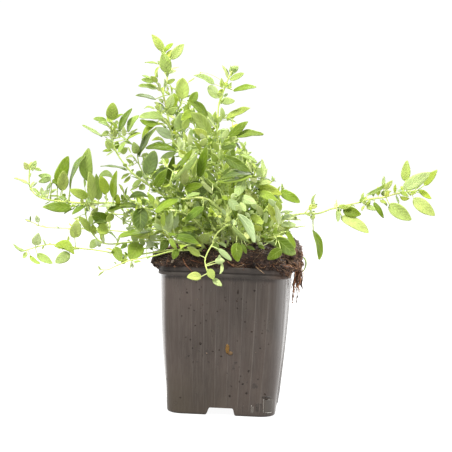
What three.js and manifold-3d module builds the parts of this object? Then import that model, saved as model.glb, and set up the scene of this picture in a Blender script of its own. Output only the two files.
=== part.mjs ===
// Oregano plant growing in a square thin-walled nursery pot.
//
// Frame: millimetres, +Z up. The origin is the pot's axis at the level of its
// feet. The four pot faces look along +X, -X, +Y and -Y.
//
// Construction: a thin pot with a stepped rim and four feet parted by two
// crossing drain channels, a root ball of compost that stands proud of the rim
// and spills over it on the left and on the right, and the shoots that rise
// from it. A shoot, its side branches and its small leaves grew as one piece
// and are one solid; the largest leaves are solids of their own.
import * as THREE from "three";
import { mergeVertices } from "three/addons/utils/BufferGeometryUtils.js";
import Module from "manifold-3d";

const wasm = await Module();
wasm.setup();

// ---------------------------------------------------------------- dimensions
const POT_HEIGHT = 102; // feet to the top of the rim
const RIM_HALF = 45; // half the width of the rim, across flats
const RIM_BOTTOM = 95.3; // underside of the rim band
const RIM_GROOVE = 98.8; // step between the two rim bands
const TOP_HALF = 42.9; // half width of the body under the rim
const BASE_HALF = 36.2; // half width at the feet
const BULGE = 1.2; // how far the walls belly out at mid height
const CORNER = 0.38; // corner radius as a share of the half width
const WALL = 1.2; // wall thickness
const FOOT_ROUND = 0.9; // rounding of the bottom edge
const CHANNEL_HIGH = 5.3; // height of the drain channels
const CHANNEL_TOP = 15; // width of a channel at its roof
const CHANNEL_FOOT = 18.8; // width of a channel at the ground
const DRAIN_RADIUS = 3.4; // holes in the channel roof
const GAP = 0.3; // clearance between pieces that rest on each other
const SOIL_RISE = 0.085; // the root ball's top leans up to the right
const SOIL_TOP = 112.5; // height of its top on the pot's axis
const LEAF_THICK = 0.9; // thickness of a blade at its midrib
const PETIOLE = 0.5; // half width of a leaf stalk
const STEM_SIDES = 4;

// ------------------------------------------------------------------ materials
const material = (colour, roughness) =>
  new THREE.MeshStandardMaterial({ color: colour, roughness, metalness: 0 });
const POT_PLASTIC = material(0x625a54, 0.38);
const COMPOST = material(0x33251e, 0.95);
const STEM_GREEN = material(0x9fb750, 0.6);
const LEAF_GREEN = material(0x86a846, 0.55);

// -------------------------------------------------------------------- helpers
// A closed three.js geometry as a solid.
function solid(geometry) {
  const g = geometry.index ? geometry.toNonIndexed() : geometry.clone();
  const bare = new THREE.BufferGeometry().setAttribute(
    "position",
    g.getAttribute("position"),
  );
  const m = mergeVertices(bare, 1e-3);
  const made = new wasm.Manifold(
    new wasm.Mesh({
      numProp: 3,
      vertProperties: new Float32Array(m.attributes.position.array),
      triVerts: new Uint32Array(m.index.array),
    }),
  );
  return made;
}

// A solid as a named mesh.
function mesh(name, made, mat) {
  const m = made.getMesh(),
    n = m.numProp;
  const v = new Float32Array(m.numVert * 3);
  for (let i = 0; i < m.numVert; i++)
    v.set(m.vertProperties.subarray(i * n, i * n + 3), i * 3);
  const g = new THREE.BufferGeometry();
  g.setAttribute("position", new THREE.BufferAttribute(v, 3));
  g.setIndex(new THREE.BufferAttribute(new Uint32Array(m.triVerts), 1));
  g.computeVertexNormals();
  const out = new THREE.Mesh(g, mat);
  out.name = name;
  return out;
}

const union = (list) => list.reduce((a, b) => a.add(b));

// The outline of a square with round corners, half width 1, as PER_CORNER
// points on each corner.
const PER_CORNER = 5;
const OUTLINE = [];
for (let c = 0; c < 4; c++)
  for (let k = 0; k < PER_CORNER; k++) {
    const a = (c + k / (PER_CORNER - 1)) * (Math.PI / 2);
    const q = c * (Math.PI / 2) + Math.PI / 4;
    const s = (1 - CORNER) * Math.SQRT2;
    OUTLINE.push([
      s * Math.cos(q) + CORNER * Math.cos(a),
      s * Math.sin(q) + CORNER * Math.sin(a),
    ]);
  }

// A stack of round-cornered squares, from [z, half width] pairs. change moves
// each point further: (x, y, z, level) => [x, y, z].
function loft(rings, change) {
  const n = OUTLINE.length,
    levels = rings.length - 1;
  const g = new THREE.CylinderGeometry(1, 1, levels, n, levels);
  const p = g.getAttribute("position");
  for (let i = 0; i < p.count; i++) {
    const x = p.getX(i),
      h = p.getY(i),
      z = p.getZ(i);
    const level = Math.round(h + levels / 2);
    const [zz, half] = rings[level];
    let px = 0,
      py = 0;
    if (Math.hypot(x, z) > 0.5) {
      const turn = Math.round((Math.atan2(-z, x) / (2 * Math.PI)) * n);
      const o = OUTLINE[((turn % n) + n) % n];
      px = o[0] * half;
      py = o[1] * half;
    }
    const q = change ? change(px, py, zz, level) : [px, py, zz];
    p.setXYZ(i, q[0], q[1], q[2]);
  }
  return solid(g);
}

// A prism along Y from a list of [x, z] corners, or along X when turned.
function prism(corners, length, turned) {
  const shape = new THREE.Shape(corners.map(([x, z]) => new THREE.Vector2(x, z)));
  const g = new THREE.ExtrudeGeometry(shape, {
    depth: length,
    bevelEnabled: false,
  });
  g.translate(0, 0, -length / 2);
  g.rotateX(Math.PI / 2);
  if (turned) g.rotateZ(Math.PI / 2);
  return solid(g);
}

// Half width of the pot's outer face at height z.
const bodyHalf = (z) =>
  BASE_HALF +
  ((TOP_HALF - BASE_HALF) * z) / RIM_BOTTOM +
  BULGE * Math.sin((Math.PI * z) / RIM_BOTTOM);

// The crossing channels under the floor, grown by extra on every side.
function channels(extra) {
  const t = CHANNEL_TOP / 2 + extra,
    f = CHANNEL_FOOT / 2 + extra,
    h = CHANNEL_HIGH + extra,
    r = 0.9;
  const corners = [
    [-f - 1.4, -2],
    [f + 1.4, -2],
    [f + 0.5, 0.35],
    [f - 0.2, 1.4],
    [t + 0.25, h - r],
    [t - r + 0.1, h],
    [-t + r - 0.1, h],
    [-t - 0.25, h - r],
    [-f + 0.2, 1.4],
    [-f - 0.5, 0.35],
  ];
  return prism(corners, 120, false).add(prism(corners, 120, true));
}

// ------------------------------------------------------------------------ pot
function makePot() {
  const H = POT_HEIGHT;
  const outer = [[0, BASE_HALF - FOOT_ROUND], [0.3, BASE_HALF - 0.3], [FOOT_ROUND, bodyHalf(FOOT_ROUND)]];
  for (const z of [12, 26, 40, 54, 68, 82]) outer.push([z, bodyHalf(z)]);
  outer.push(
    [RIM_BOTTOM, TOP_HALF],
    [RIM_BOTTOM, RIM_HALF - 0.5],
    [RIM_GROOVE - 0.3, RIM_HALF - 0.4],
    [RIM_GROOVE, RIM_HALF - 0.95],
    [RIM_GROOVE + 0.4, RIM_HALF - 0.2],
    [H - 0.6, RIM_HALF],
    [H, RIM_HALF - 0.5],
  );
  const inner = [[WALL, BASE_HALF - WALL - 0.7], [WALL + 0.8, bodyHalf(2) - WALL]];
  for (const z of [12, 26, 40, 54, 68, 82]) inner.push([z, bodyHalf(z) - WALL]);
  inner.push([RIM_BOTTOM, TOP_HALF - WALL], [H + 2, RIM_HALF - 1.7]);
  let pot = loft(outer).subtract(channels(0));
  pot = pot.subtract(loft(inner).subtract(channels(WALL)));
  const holes = [[0, 0], [20, 0], [-20, 0], [0, 20], [0, -20]].map(([x, y]) => {
    const g = new THREE.CylinderGeometry(DRAIN_RADIUS, DRAIN_RADIUS, 4, 12);
    g.rotateX(Math.PI / 2);
    g.translate(x, y, CHANNEL_HIGH + WALL / 2);
    return solid(g);
  });
  return pot.subtract(union(holes));
}

// ------------------------------------------------------------------ root ball
// Fills the pot, stands proud of the rim and hangs over it on two sides.
const bump = (v, centre, width) => Math.exp(-(((v - centre) / width) ** 2));

function makeRootBall() {
  const c = GAP + 0.05;
  const inside = [[WALL + c, BASE_HALF - WALL - 1.2], [4, bodyHalf(4) - WALL - c]];
  for (const z of [26, 54, 82]) inside.push([z, bodyHalf(z) - WALL - c - 0.15]);
  inside.push([RIM_BOTTOM, TOP_HALF - WALL - c - 0.1], [POT_HEIGHT + 1.4, RIM_HALF - 2.2]);
  const fill = loft(inside).subtract(channels(WALL + c));
  // the part above the rim: leaning top, rough sides
  const above = [
    [POT_HEIGHT - 4, 38],
    [POT_HEIGHT + 0.45, 44.2],
    [POT_HEIGHT + 3.2, 45.4],
    [POT_HEIGHT + 6.4, 43.6],
    [POT_HEIGHT + 8.6, 38.5],
    [SOIL_TOP - 0.6, 28],
    [SOIL_TOP, 14],
  ];
  const mound = loft(above, (x, y, z, level) => {
    const a = Math.atan2(y, x);
    const out = level > 0 && level < 5 ? 1.1 * Math.sin(5 * a + 1.7 * level) + 0.8 * Math.sin(9 * a + level) : 0;
    const r = Math.hypot(x, y) || 1;
    const side = level > 1 && level < 5 ? 4.6 * bump(a, 0.15, 0.55) + 4.6 * bump(Math.abs(a), Math.PI, 0.5) : 0;
    const lift = level > 2 ? SOIL_RISE * x * Math.min(1, (z - POT_HEIGHT) / 10) * (level > 5 ? 1 : 1.25) : 0;
    const k = (r + out + side) / r;
    return [x * k, y * k, z + lift];
  });
  // compost and roots spilled over the rim
  const clump = (cx, cy, cz, rx, ry, rz, seed) => {
    const g = new THREE.SphereGeometry(1, 12, 8);
    const p = g.getAttribute("position");
    for (let i = 0; i < p.count; i++) {
      const x = p.getX(i),
        y = p.getY(i),
        z = p.getZ(i);
      const k = 1 + 0.09 * Math.sin(7 * x + 5 * y + seed) + 0.07 * Math.sin(9 * z - 4 * y + 2 * seed);
      p.setXYZ(i, cx + rx * k * x, cy + ry * k * z, cz + rz * k * y);
    }
    return solid(mergeFlip(g));
  };
  const left = clump(-47.6, -16, 101.5, 5.6, 24, 8.4, 1.2);
  const right = clump(47.4, -14, 99.5, 5.2, 20, 11.5, 2.6);
  const keepOut = loft([
    [60, bodyHalf(60) + c + 0.8],
    [RIM_BOTTOM - 0.4, TOP_HALF + c + 0.2],
    [RIM_BOTTOM - 0.4, RIM_HALF + c],
    [POT_HEIGHT + c, RIM_HALF + c],
    [POT_HEIGHT + c, 40],
  ]);
  const over = union([mound, left, right]).subtract(keepOut);
  return over.add(fill);
}

// three.js spheres have their poles on Y; swapping two axes mirrors them, so
// their faces are turned round.
function mergeFlip(g) {
  const f = g.toNonIndexed(),
    p = f.getAttribute("position");
  for (let i = 0; i < p.count; i += 3) {
    const a = [p.getX(i), p.getY(i), p.getZ(i)],
      b = [p.getX(i + 1), p.getY(i + 1), p.getZ(i + 1)];
    p.setXYZ(i, ...b);
    p.setXYZ(i + 1, ...a);
  }
  return f;
}

// ------------------------------------------------------------ shoots, leaves
const vec = (a) => new THREE.Vector3(a[0], a[1], a[2]);

// A tapered stem along a smooth curve through its points.
function stem(path, r0, r1) {
  const curve = new THREE.CatmullRomCurve3(path.map(vec), false, "centripetal");
  const steps = path.length - 1;
  const shape = new THREE.Shape();
  for (let i = 0; i < STEM_SIDES; i++) {
    const a = (i / STEM_SIDES) * 2 * Math.PI;
    if (i) shape.lineTo(Math.cos(a), Math.sin(a));
    else shape.moveTo(Math.cos(a), Math.sin(a));
  }
  const g = new THREE.ExtrudeGeometry(shape, {
    steps,
    extrudePath: curve,
    bevelEnabled: false,
  });
  const axis = curve.getSpacedPoints(steps);
  const p = g.getAttribute("position"),
    v = new THREE.Vector3();
  for (let i = 0; i < p.count; i++) {
    v.fromBufferAttribute(p, i);
    let near = 0,
      best = Infinity;
    for (let k = 0; k <= steps; k++) {
      const d = Math.abs(axis[k].distanceTo(v) - 1);
      if (d < best) [best, near] = [d, k];
    }
    const r = r0 + ((r1 - r0) * near) / steps;
    v.sub(axis[near]).multiplyScalar(r).add(axis[near]);
    p.setXYZ(i, v.x, v.y, v.z);
  }
  return { body: solid(g), axis, steps };
}

// A leaf: a stalk from the stem and a blade folded a little along its midrib.
// a: on the stem, b: where the blade starts, e: its tip, n: the side it faces.
function leaf(a, b, e, width, n, fold, bend, loose) {
  const A = vec(a),
    B = vec(b),
    E = vec(e),
    bendV = vec(bend);
  const T = E.clone().sub(B).normalize();
  let N = vec(n);
  N.sub(T.clone().multiplyScalar(N.dot(T))).normalize();
  const S = N.clone().cross(T);
  const stalk = A.distanceTo(B),
    length = B.distanceTo(E);
  const D = B.clone().sub(A).normalize();
  const rows = [];
  const start = loose ? A.clone().add(D.clone().multiplyScalar(loose)) : A.clone();
  rows.push([start, 0, 0, 0]);
  if (stalk - (loose || 0) > 4)
    rows.push([start.clone().add(D.clone().multiplyScalar(1.3)), PETIOLE * 0.8, PETIOLE * 0.7, 0]);
  rows.push([loose && stalk < loose + 0.6 ? B.clone().add(T.clone().multiplyScalar(0.9)) : B.clone(), PETIOLE, PETIOLE * 0.8, 0]);
  const stations = length > 10 ? [0.36, 0.72] : [0.42];
  for (const t of stations) {
    const w = (width / 2) * Math.pow(Math.sin(Math.PI * Math.pow(t, 0.8)), 0.65);
    rows.push([
      B.clone()
        .lerp(E, t)
        .add(bendV.clone().multiplyScalar(4 * t * (1 - t))),
      w,
      (LEAF_THICK / 2) * (1 - 0.45 * t),
      w * Math.tan((fold * Math.PI) / 180),
    ]);
  }
  rows.push([E, 0, 0, 0]);
  const k = rows.length - 1;
  const g = new THREE.SphereGeometry(1, 4, k);
  const p = g.getAttribute("position"),
    v = new THREE.Vector3();
  for (let i = 0; i < p.count; i++) {
    v.fromBufferAttribute(p, i);
    const row = Math.round((Math.acos(Math.max(-1, Math.min(1, v.y))) / Math.PI) * k);
    const [c, w, h, lift] = rows[row];
    const s = Math.sin((row / k) * Math.PI) || 1;
    const across = row === 0 || row === k ? 0 : Math.round(v.x / s),
      up = row === 0 || row === k ? 0 : Math.round(v.z / s);
    const q = c
      .clone()
      .add(S.clone().multiplyScalar(across * w))
      .add(N.clone().multiplyScalar(up * h + Math.abs(across) * lift));
    p.setXYZ(i, q.x, q.y, q.z);
  }
  return solid(g);
}

// The point of a stem's axis closest to a, a little short of the stem's end.
function onAxis(made, a) {
  const target = vec(a),
    line = new THREE.Line3(),
    q = new THREE.Vector3();
  let best = Infinity,
    found = null;
  for (let i = 0; i < made.steps; i++) {
    line.set(made.axis[i], made.axis[i + 1]);
    line.closestPointToPoint(target, true, q);
    const d = q.distanceTo(target);
    if (d < best) [best, found] = [d, q.clone()];
  }
  const end = made.axis[made.steps];
  if (found.distanceTo(end) < 0.8)
    found.copy(end).lerp(made.axis[made.steps - 1], 0.8 / end.distanceTo(made.axis[made.steps - 1]));
  return [found.x, found.y, found.z];
}

// ------------------------------------------------------------------ positions
// Each shoot: its stems as [radius at the foot, radius at the tip, the stem it
// branches from or -1, points], and its leaves as [stem, point on the stem,
// start of the blade, tip, width, side it faces, fold in degrees, bend].
const SHOOTS = {
  shoot_tall_left: {
    stems: [
      [0.95, 0.5, -1, [
        [-4.5, 4, 108.6], [-7.3, 2.7, 119.7], [-11.3, 1.4, 130.4], [-14.1, -3.2, 140.5],
        [-16.9, -5.2, 151.5], [-20.9, -8.2, 161.9], [-26.4, -12.6, 170.9], [-34.8, -15.6, 177.6],
        [-40.3, -13.6, 187.2], [-43.2, -11.7, 198.2], [-45.7, -9.4, 209.2], [-45.9, -8.5, 220],
        [-45.6, -5.9, 231], [-47.4, -3.6, 242.1],
      ]],
      [0.5, 0.35, 0, [
        [-46.3, -9, 211.1], [-48.3, -16.1, 217.6], [-51.1, -22.2, 224.8], [-48.2, -24.7, 233.4],
      ]],
      [0.55, 0.35, 0, [
        [-41.1, -13.1, 190.1], [-45.2, -20.5, 197], [-48.2, -25.7, 206],
      ]],
    ],
    leaves: [
      [0, [-47.4, -3.6, 242.1], [-48.4, -5.1, 243.6], [-55.7, -10.7, 254.4], 5.7, [0.42, -0.89, -0.17], 10, [0, 0, 0]],
      [0, [-46.7, -4.2, 237.8], [-43.2, -3, 238.3], [-35.2, 0.6, 248.6], 6.2, [0.23, -0.96, 0.16], 14, [0, 0, 0]],
      [0, [-47.4, -3.6, 242.1], [-47.9, -2.4, 243.1], [-42.6, 2, 249.2], 3.7, [-0.19, -0.71, 0.68], 8, [0, 0, 0]],
      [2, [-45.8, -21.5, 197.9], [-48.9, -23.2, 196.1], [-58.1, -31.9, 184.8], 6.8, [-0.16, -0.72, 0.68], 8, [-0.8, -0.1, 0.7]],
      [0, [-45.3, -6.4, 229], [-45, -8.3, 229], [-47.1, -15.5, 242.5], 7.8, [0.2, -0.88, -0.43], 12, [0, 0, 0]],
      [0, [-40, -13.7, 186.4], [-40.3, -15.2, 185.8], [-50, -26, 192], 6.3, [0.74, -0.67, -0.01], 14, [0, 0, 0]],
    ],
  },
  shoot_tall_middle: {
    stems: [
      [0.95, 0.45, -1, [
        [0.9, 13, 109.8], [0.4, 10.3, 120.7], [-1.6, 9.8, 131.9], [-3.3, 9.1, 143.1],
        [-5, 8.2, 154.2], [-6.9, 7.2, 165.4], [-9.3, 6.3, 176.5], [-10.6, 5.3, 187.7],
        [-10.8, 5.3, 199], [-9.8, 4.3, 210.3], [-6.1, 3.5, 220.9], [-1.9, 4.9, 231.2],
      ]],
      [0.9, 0.4, 0, [
        [1, 11.7, 116], [4, 11.3, 129], [5.5, 15.4, 143.8], [7.3, 20.4, 158.3],
        [9.5, 26.5, 172.3],
      ]],
    ],
    leaves: [
      [0, [-10.8, 5.3, 199.1], [-5, 4.2, 199.2], [11.6, 0.4, 206.8], 7.4, [-0.45, -0.52, 0.72], 8, [0.2, 0, -0.4]],
      [0, [-6.1, 3.5, 220.7], [-0.3, 2.4, 217.9], [15.5, -1.4, 221], 6.6, [-0.28, -0.52, 0.81], 8, [0, 0, 0]],
      [0, [-6.8, 3.5, 219], [-13.8, 1.5, 222], [-27, -5.5, 228.2], 6.5, [0.09, 0.56, 0.83], 8, [0.4, 0, 1]],
      [0, [-9.3, 4.3, 211.7], [-10.9, 3.3, 212.5], [-16.9, -4.2, 221.3], 6.4, [-0.41, 0.82, 0.41], 16, [0, 0, 0]],
    ],
  },
  shoot_upper_middle: {
    stems: [
      [0.85, 0.4, -1, [
        [-8.3, 13.4, 109.4], [-11.9, 13.4, 120.8], [-15.8, 13.1, 132.1], [-19.8, 12, 143.3],
        [-23.8, 10, 154.4], [-27.9, 8, 165.5], [-32.1, 6.3, 176.6], [-35.9, 4.6, 187.7],
        [-38.7, 2.5, 199.2], [-35.6, 0.3, 210.4],
      ]],
    ],
    leaves: [
      [0, [-35.6, 0.3, 210.4], [-35.2, -0.8, 211.4], [-34.4, -6.8, 225.6], 9.2, [0.09, -0.92, -0.39], 22, [0, 0, 0]],
      [0, [-35.9, 0.6, 209.4], [-26.4, -16.2, 203.6], [-32.9, -24.7, 197.9], 5.7, [0.56, -0.71, 0.42], 8, [0, 0, 0]],
      [0, [-35.6, 0.3, 210.4], [-38.5, -1.7, 217.2], [-36.6, -5.6, 224.8], 3.5, [-0.61, -0.76, -0.23], 8, [0, 0, 0]],
    ],
  },
  shoot_left_upper: {
    stems: [
      [0.95, 0.45, -1, [
        [-13.2, -3.2, 108.6], [-17.9, -6.7, 117.7], [-22.6, -11.6, 126.3], [-29.2, -15, 134.5],
        [-36.6, -19, 141.6], [-44.7, -23.9, 147.3], [-53.1, -27.8, 153.4], [-60.9, -32.7, 159.3],
        [-68.2, -36.1, 166.8], [-74.2, -38.4, 175.8], [-77.6, -40.8, 185.9], [-77.2, -40.9, 196.9],
      ]],
      [0.7, 0.4, 0, [
        [-53.7, -28.1, 153.8], [-57.8, -30.9, 163.3], [-60.5, -33.6, 173.1],
      ]],
      [0.45, 0.3, 1, [
        [-59.7, -32.6, 167.7], [-61.7, -35.8, 170.7], [-64.4, -37.9, 174.3],
      ]],
    ],
    leaves: [
      [0, [-66.5, -35.5, 164.7], [-66.8, -37, 163.9], [-83.8, -44.3, 166.1], 7.4, [0.18, -0.13, 0.98], 8, [0.1, 0, 0.7]],
      [0, [-77.6, -41, 190.6], [-72.3, -41.6, 190.1], [-63.6, -45.9, 205.2], 7.2, [-0.72, -0.65, 0.23], 16, [0, 0, 0]],
      [0, [-77.7, -40.9, 187], [-83.3, -41.5, 185.9], [-96, -45.5, 193.5], 6.1, [0.54, -0.13, 0.83], 8, [-0.3, -0.1, -0.6]],
      [0, [-52.6, -27.5, 153], [-52.3, -38, 146.7], [-63.8, -46.9, 145.9], 5.8, [0.29, -0.45, 0.85], 8, [-0.1, 0.1, 1]],
    ],
  },
  shoot_left_long: {
    stems: [
      [0.95, 0.45, -1, [
        [-14, -18.1, 109.1], [-20.1, -22.6, 117.6], [-27.5, -27.7, 124.7], [-35.6, -33.3, 130.4],
        [-45.5, -37.8, 134.1], [-55.6, -40.7, 138.5], [-66.4, -42.9, 141.4], [-77.6, -45.3, 141.9],
        [-89, -47, 141.7], [-100.5, -47.4, 141.5], [-111.9, -46.6, 142.1], [-123.1, -45, 143.9],
        [-131.2, -43.2, 151.2], [-131.6, -43, 162.6],
      ]],
    ],
    leaves: [
      [0, [-131.6, -43, 152.5], [-131.7, -43.6, 152.6], [-141.3, -46.3, 156.6], 4.3, [0.42, -0.19, 0.89], 8, [0, 0, 0]],
      [0, [-59, -41.5, 140], [-58.4, -42.9, 141], [-77.8, -50.4, 137], 8.5, [-0.07, -0.32, 0.94], 8, [-0.1, 0, 0.6]],
      [0, [-88.5, -47, 141.7], [-87.3, -50.4, 143.9], [-88.3, -58.5, 163.4], 8.5, [0.81, -0.55, -0.19], 12, [-0.4, -0.1, 0]],
      [0, [-75.3, -44.8, 141.9], [-74, -48.3, 145.4], [-71.7, -54.1, 164.1], 7.9, [-0.68, -0.72, -0.14], 12, [0, 0, 0]],
      [0, [-84.6, -46.6, 141.8], [-84.2, -45.8, 144], [-85.5, -49.9, 161.6], 7.2, [0.66, -0.74, -0.13], 8, [-0.6, -0.1, -0.1]],
      [0, [-108.5, -47, 142], [-107.6, -51.9, 150.1], [-105.7, -58.8, 163.2], 7.2, [0.12, -0.87, -0.47], 8, [0, 0, 0]],
      [0, [-79, -45.7, 141.9], [-78.4, -48.6, 148.5], [-81.4, -56.9, 160.5], 6.3, [0.33, -0.82, -0.48], 14, [0, 0, 0]],
    ],
  },
  shoot_left_behind: {
    stems: [
      [0.75, 0.35, -1, [
        [-20.2, 21.4, 109], [-31, 23.5, 112.6], [-42.2, 23.8, 115.5], [-53.7, 24.3, 116.4],
        [-65.3, 24.2, 116.1], [-76.8, 23.3, 115.9], [-88.4, 22.4, 116.5], [-99.9, 20.8, 116.8],
        [-111.3, 19.1, 117.1], [-122.8, 17.3, 117.2], [-134.2, 16, 118.1], [-144.8, 14.2, 122.3],
      ]],
      [0.75, 0.4, 0, [
        [-27.9, 23.2, 111.6], [-35.3, 25.8, 116.5], [-46.3, 33.3, 119], [-57.3, 41, 119.8],
        [-68.8, 48, 118.3],
      ]],
    ],
    leaves: [
      [1, [-34.4, 25.1, 116.2], [-34.1, 27.6, 117.9], [-35.3, 40.1, 122.2], 7.4, [-0.71, -0.34, 0.61], 14, [-0.5, 0.2, -0.3]],
      [1, [-42.2, 30.5, 118.2], [-43.6, 32.1, 117.2], [-52.2, 41.2, 112.3], 6.2, [-0.11, 0.26, 0.96], 10, [0.1, -0.2, 0]],
      [1, [-34.4, 25.1, 116.2], [-38.2, 24.7, 117.3], [-50.5, 25, 118.8], 6.7, [0.21, 0.36, 0.91], 6, [0.1, 0, -0.2]],
      [1, [-46.9, 33.7, 119.1], [-49.2, 32.4, 119.7], [-60.8, 28.1, 121.3], 6, [0.25, -0.05, 0.97], 11, [-0.1, -0.5, -0.1]],
    ],
  },
  shoot_left_low: {
    stems: [
      [0.8, 0.4, -1, [
        [-19.1, -23.9, 109.2], [-27.6, -30, 110.9], [-37.1, -35.6, 110.9], [-46.8, -40.6, 109.6],
        [-57, -44.4, 108], [-67.7, -46.8, 108], [-78.3, -49.1, 109.9], [-89.1, -50.9, 111.2],
        [-100, -51.6, 112.3], [-110.9, -52.5, 113.5], [-121.8, -53.3, 112.4], [-132.2, -54, 108.8],
      ]],
    ],
    leaves: [
      [0, [-98.8, -51.5, 112.1], [-98.5, -53.5, 118.8], [-96, -60.4, 131.4], 7.6, [0.08, -0.87, -0.49], 8, [0, 0, 0]],
      [0, [-111.6, -52.5, 113.6], [-111.7, -54.2, 113.5], [-97.8, -59.2, 108.4], 6.6, [-0.23, -0.93, 0.28], 8, [1.3, 0.6, 3]],
      [0, [-100.7, -51.7, 112.4], [-101.7, -53.3, 108.2], [-109.7, -60.9, 102.8], 7.2, [0.51, -0.78, 0.35], 8, [0, 0, 0]],
    ],
  },
  shoot_left_drooping: {
    stems: [
      [0.7, 0.35, -1, [
        [-13.2, -32.3, 107.9], [-18.7, -37.2, 111.9], [-25.3, -43.1, 112.2], [-32.1, -48.6, 112.1],
        [-39.4, -53.3, 110.7], [-47.2, -56.6, 108.6], [-55.3, -59.8, 107.2], [-63.4, -62.3, 105],
        [-71.2, -64.4, 101.5], [-79.2, -66.1, 100],
      ]],
      [0.75, 0.4, 0, [
        [-16.7, -35.4, 111.8], [-16.7, -44.2, 116.6], [-21.2, -56.2, 118], [-25.8, -68.1, 116.4],
      ]],
    ],
    leaves: [
      [1, [-15.5, -40.9, 115.7], [-14.4, -42.4, 117.5], [-10.2, -53.1, 125.6], 6.9, [0.16, 0.69, 0.7], 12, [-1, 0.3, -0.3]],
      [1, [-15.5, -40.9, 115.7], [-18.9, -40.6, 115.6], [-32.4, -43.5, 113.5], 6.2, [0.17, -0.87, 0.46], 10, [0.2, -0.4, 0.2]],
      [1, [-23.9, -63.2, 117.4], [-24.3, -64.8, 118], [-25.6, -72.1, 116.7], 3.5, [0.05, -0.08, 1], 14, [-0.1, 0.1, 0]],
    ],
  },
  shoot_left_middle: {
    stems: [
      [0.85, 0.4, -1, [
        [-17.4, -15.2, 109.2], [-26.2, -19.7, 113.1], [-35.9, -24.3, 115.3], [-46.2, -28, 116.2],
        [-56.5, -31.6, 115.8], [-66.9, -34.5, 114.6], [-77.6, -36.8, 113.5], [-87.2, -37.6, 117.9],
        [-92.4, -38, 127.4], [-94.7, -38.2, 138],
      ]],
      [0.45, 0.3, 0, [
        [-52.3, -30.1, 116], [-58.6, -35.3, 122.8], [-66.3, -39.6, 128.4], [-74.2, -42.7, 134.5],
      ]],
    ],
    leaves: [
      [0, [-59.6, -32.6, 115.5], [-56.7, -42.2, 115.6], [-61.5, -51.6, 105.7], 10.6, [0.35, -0.76, 0.55], 8, [0, 0, 0]],
      [0, [-72.6, -35.8, 113.9], [-72.2, -34.3, 114.2], [-81, -24.9, 120.7], 5.8, [0.76, 0.3, 0.58], 8, [0, 0, 0]],
    ],
  },
  shoot_right_long: {
    stems: [
      [1, 0.5, -1, [
        [11.6, -12.5, 111.3], [20, -14.7, 118.7], [28.9, -14.3, 125.9], [38, -11, 132.1],
        [47.9, -6.4, 135.7], [58.2, -1.3, 135.9], [67.9, 4.1, 138.6], [77.8, 9.3, 141.1],
        [87.9, 14.6, 143.1], [97.6, 20.1, 145.8], [107.9, 25.1, 147.4], [118.2, 29.6, 150],
        [128.8, 33.7, 151.6],
      ]],
      [0.4, 0.3, 0, [
        [51.3, -4.8, 136], [53.8, -4.9, 138.9], [56.2, -5.8, 141.7],
      ]],
    ],
    leaves: [
      [0, [124.5, 32, 151], [126.1, 30.6, 145.8], [141.3, 26.8, 135.1], 8.8, [-0.14, -0.98, 0.16], 10, [0, 0, 0]],
      [0, [128.8, 33.7, 151.6], [133.3, 35.6, 155.5], [141.8, 41.2, 166.4], 6, [-0.22, -0.79, 0.58], 6, [0, 0, 0]],
      [0, [128.8, 33.7, 151.6], [130.1, 32.6, 152], [138.3, 29.2, 146.4], 4.5, [-0.24, -0.94, 0.22], 6, [0, 0, 0]],
      [0, [107.4, 24.8, 147.2], [109.2, 23.4, 141.6], [124.8, 19.6, 131.8], 9, [-0.14, -0.98, 0.16], 10, [0, 0, 0]],
      [0, [94.1, 18.3, 145.1], [93.2, 19.9, 148.4], [106.5, 25.9, 157.3], 6.8, [-0.31, -0.51, 0.8], 8, [0.5, 0, -0.7]],
      [0, [120.9, 30.6, 150.4], [119.4, 29.3, 158], [120, 25.3, 172.7], 6.4, [-0.04, -0.96, -0.26], 6, [0, 0, 0]],
    ],
  },
  stalk_right_bare: {
    stems: [
      [0.55, 0.35, -1, [
        [14.4, -6, 110.9], [21.6, -2.2, 118], [30.9, 1.3, 122.8], [41.3, 3.7, 125.3],
        [52.1, 5.9, 126.4],
      ]],
    ],
    leaves: [
    ],
  },
  shoot_front_trailing: {
    stems: [
      [0.75, 0.4, -1, [
        [1.9, -20.4, 110], [-1.6, -25.4, 119.2], [-6.3, -33.4, 125.3], [-8.3, -42.1, 123.3],
        [-8.2, -49.7, 115.8], [-11.3, -56.1, 107.2], [-7.7, -59.7, 97.4],
      ]],
      [0.75, 0.4, 0, [
        [0.7, -22.1, 114.6], [1.7, -23.2, 127.2], [2.5, -33.2, 139], [3.4, -45, 148.9],
        [4.4, -58.8, 155.7],
      ]],
      [0.75, 0.4, 0, [
        [1.1, -21.5, 113.7], [-2, -31.2, 121.3], [-2.7, -41.9, 129.8], [-3.5, -54.1, 135.9],
        [-4.4, -67.2, 139.7], [-5.2, -80.8, 140.8],
      ]],
    ],
    leaves: [
      [0, [-8.9, -59.2, 100.1], [-13.1, -60.2, 97.7], [-22.1, -62.8, 98.5], 5.2, [0.29, -0.95, 0.12], 8, [0, 0.1, 0.6]],
      [0, [-7.7, -59.7, 97.4], [-5.5, -60.6, 96.2], [0.9, -63.1, 91.9], 4.5, [0.16, 0.94, -0.31], 8, [0, 0, 0]],
      [2, [-5.2, -80.8, 140.8], [-5.5, -82.3, 141.4], [-6.1, -87.3, 144.9], 2.8, [0.03, -0.58, -0.82], 14, [0, 0, 0]],
      [2, [-4.9, -75.7, 140.6], [-3.5, -76.7, 140.2], [0.9, -80.5, 140.8], 2.6, [0.02, 0.16, 0.99], 14, [0, 0, 0]],
    ],
  },
  shoot_front_left_inner: {
    stems: [
      [0.8, 0.4, -1, [
        [-9, -7.2, 109.8], [-15.4, -13.5, 117.4], [-22.5, -19.7, 124.7], [-29.3, -25.4, 132.7],
        [-35, -30.4, 141.7], [-38, -34.7, 152.3], [-36, -37.8, 163.6],
      ]],
      [0.9, 0.4, 0, [
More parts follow.
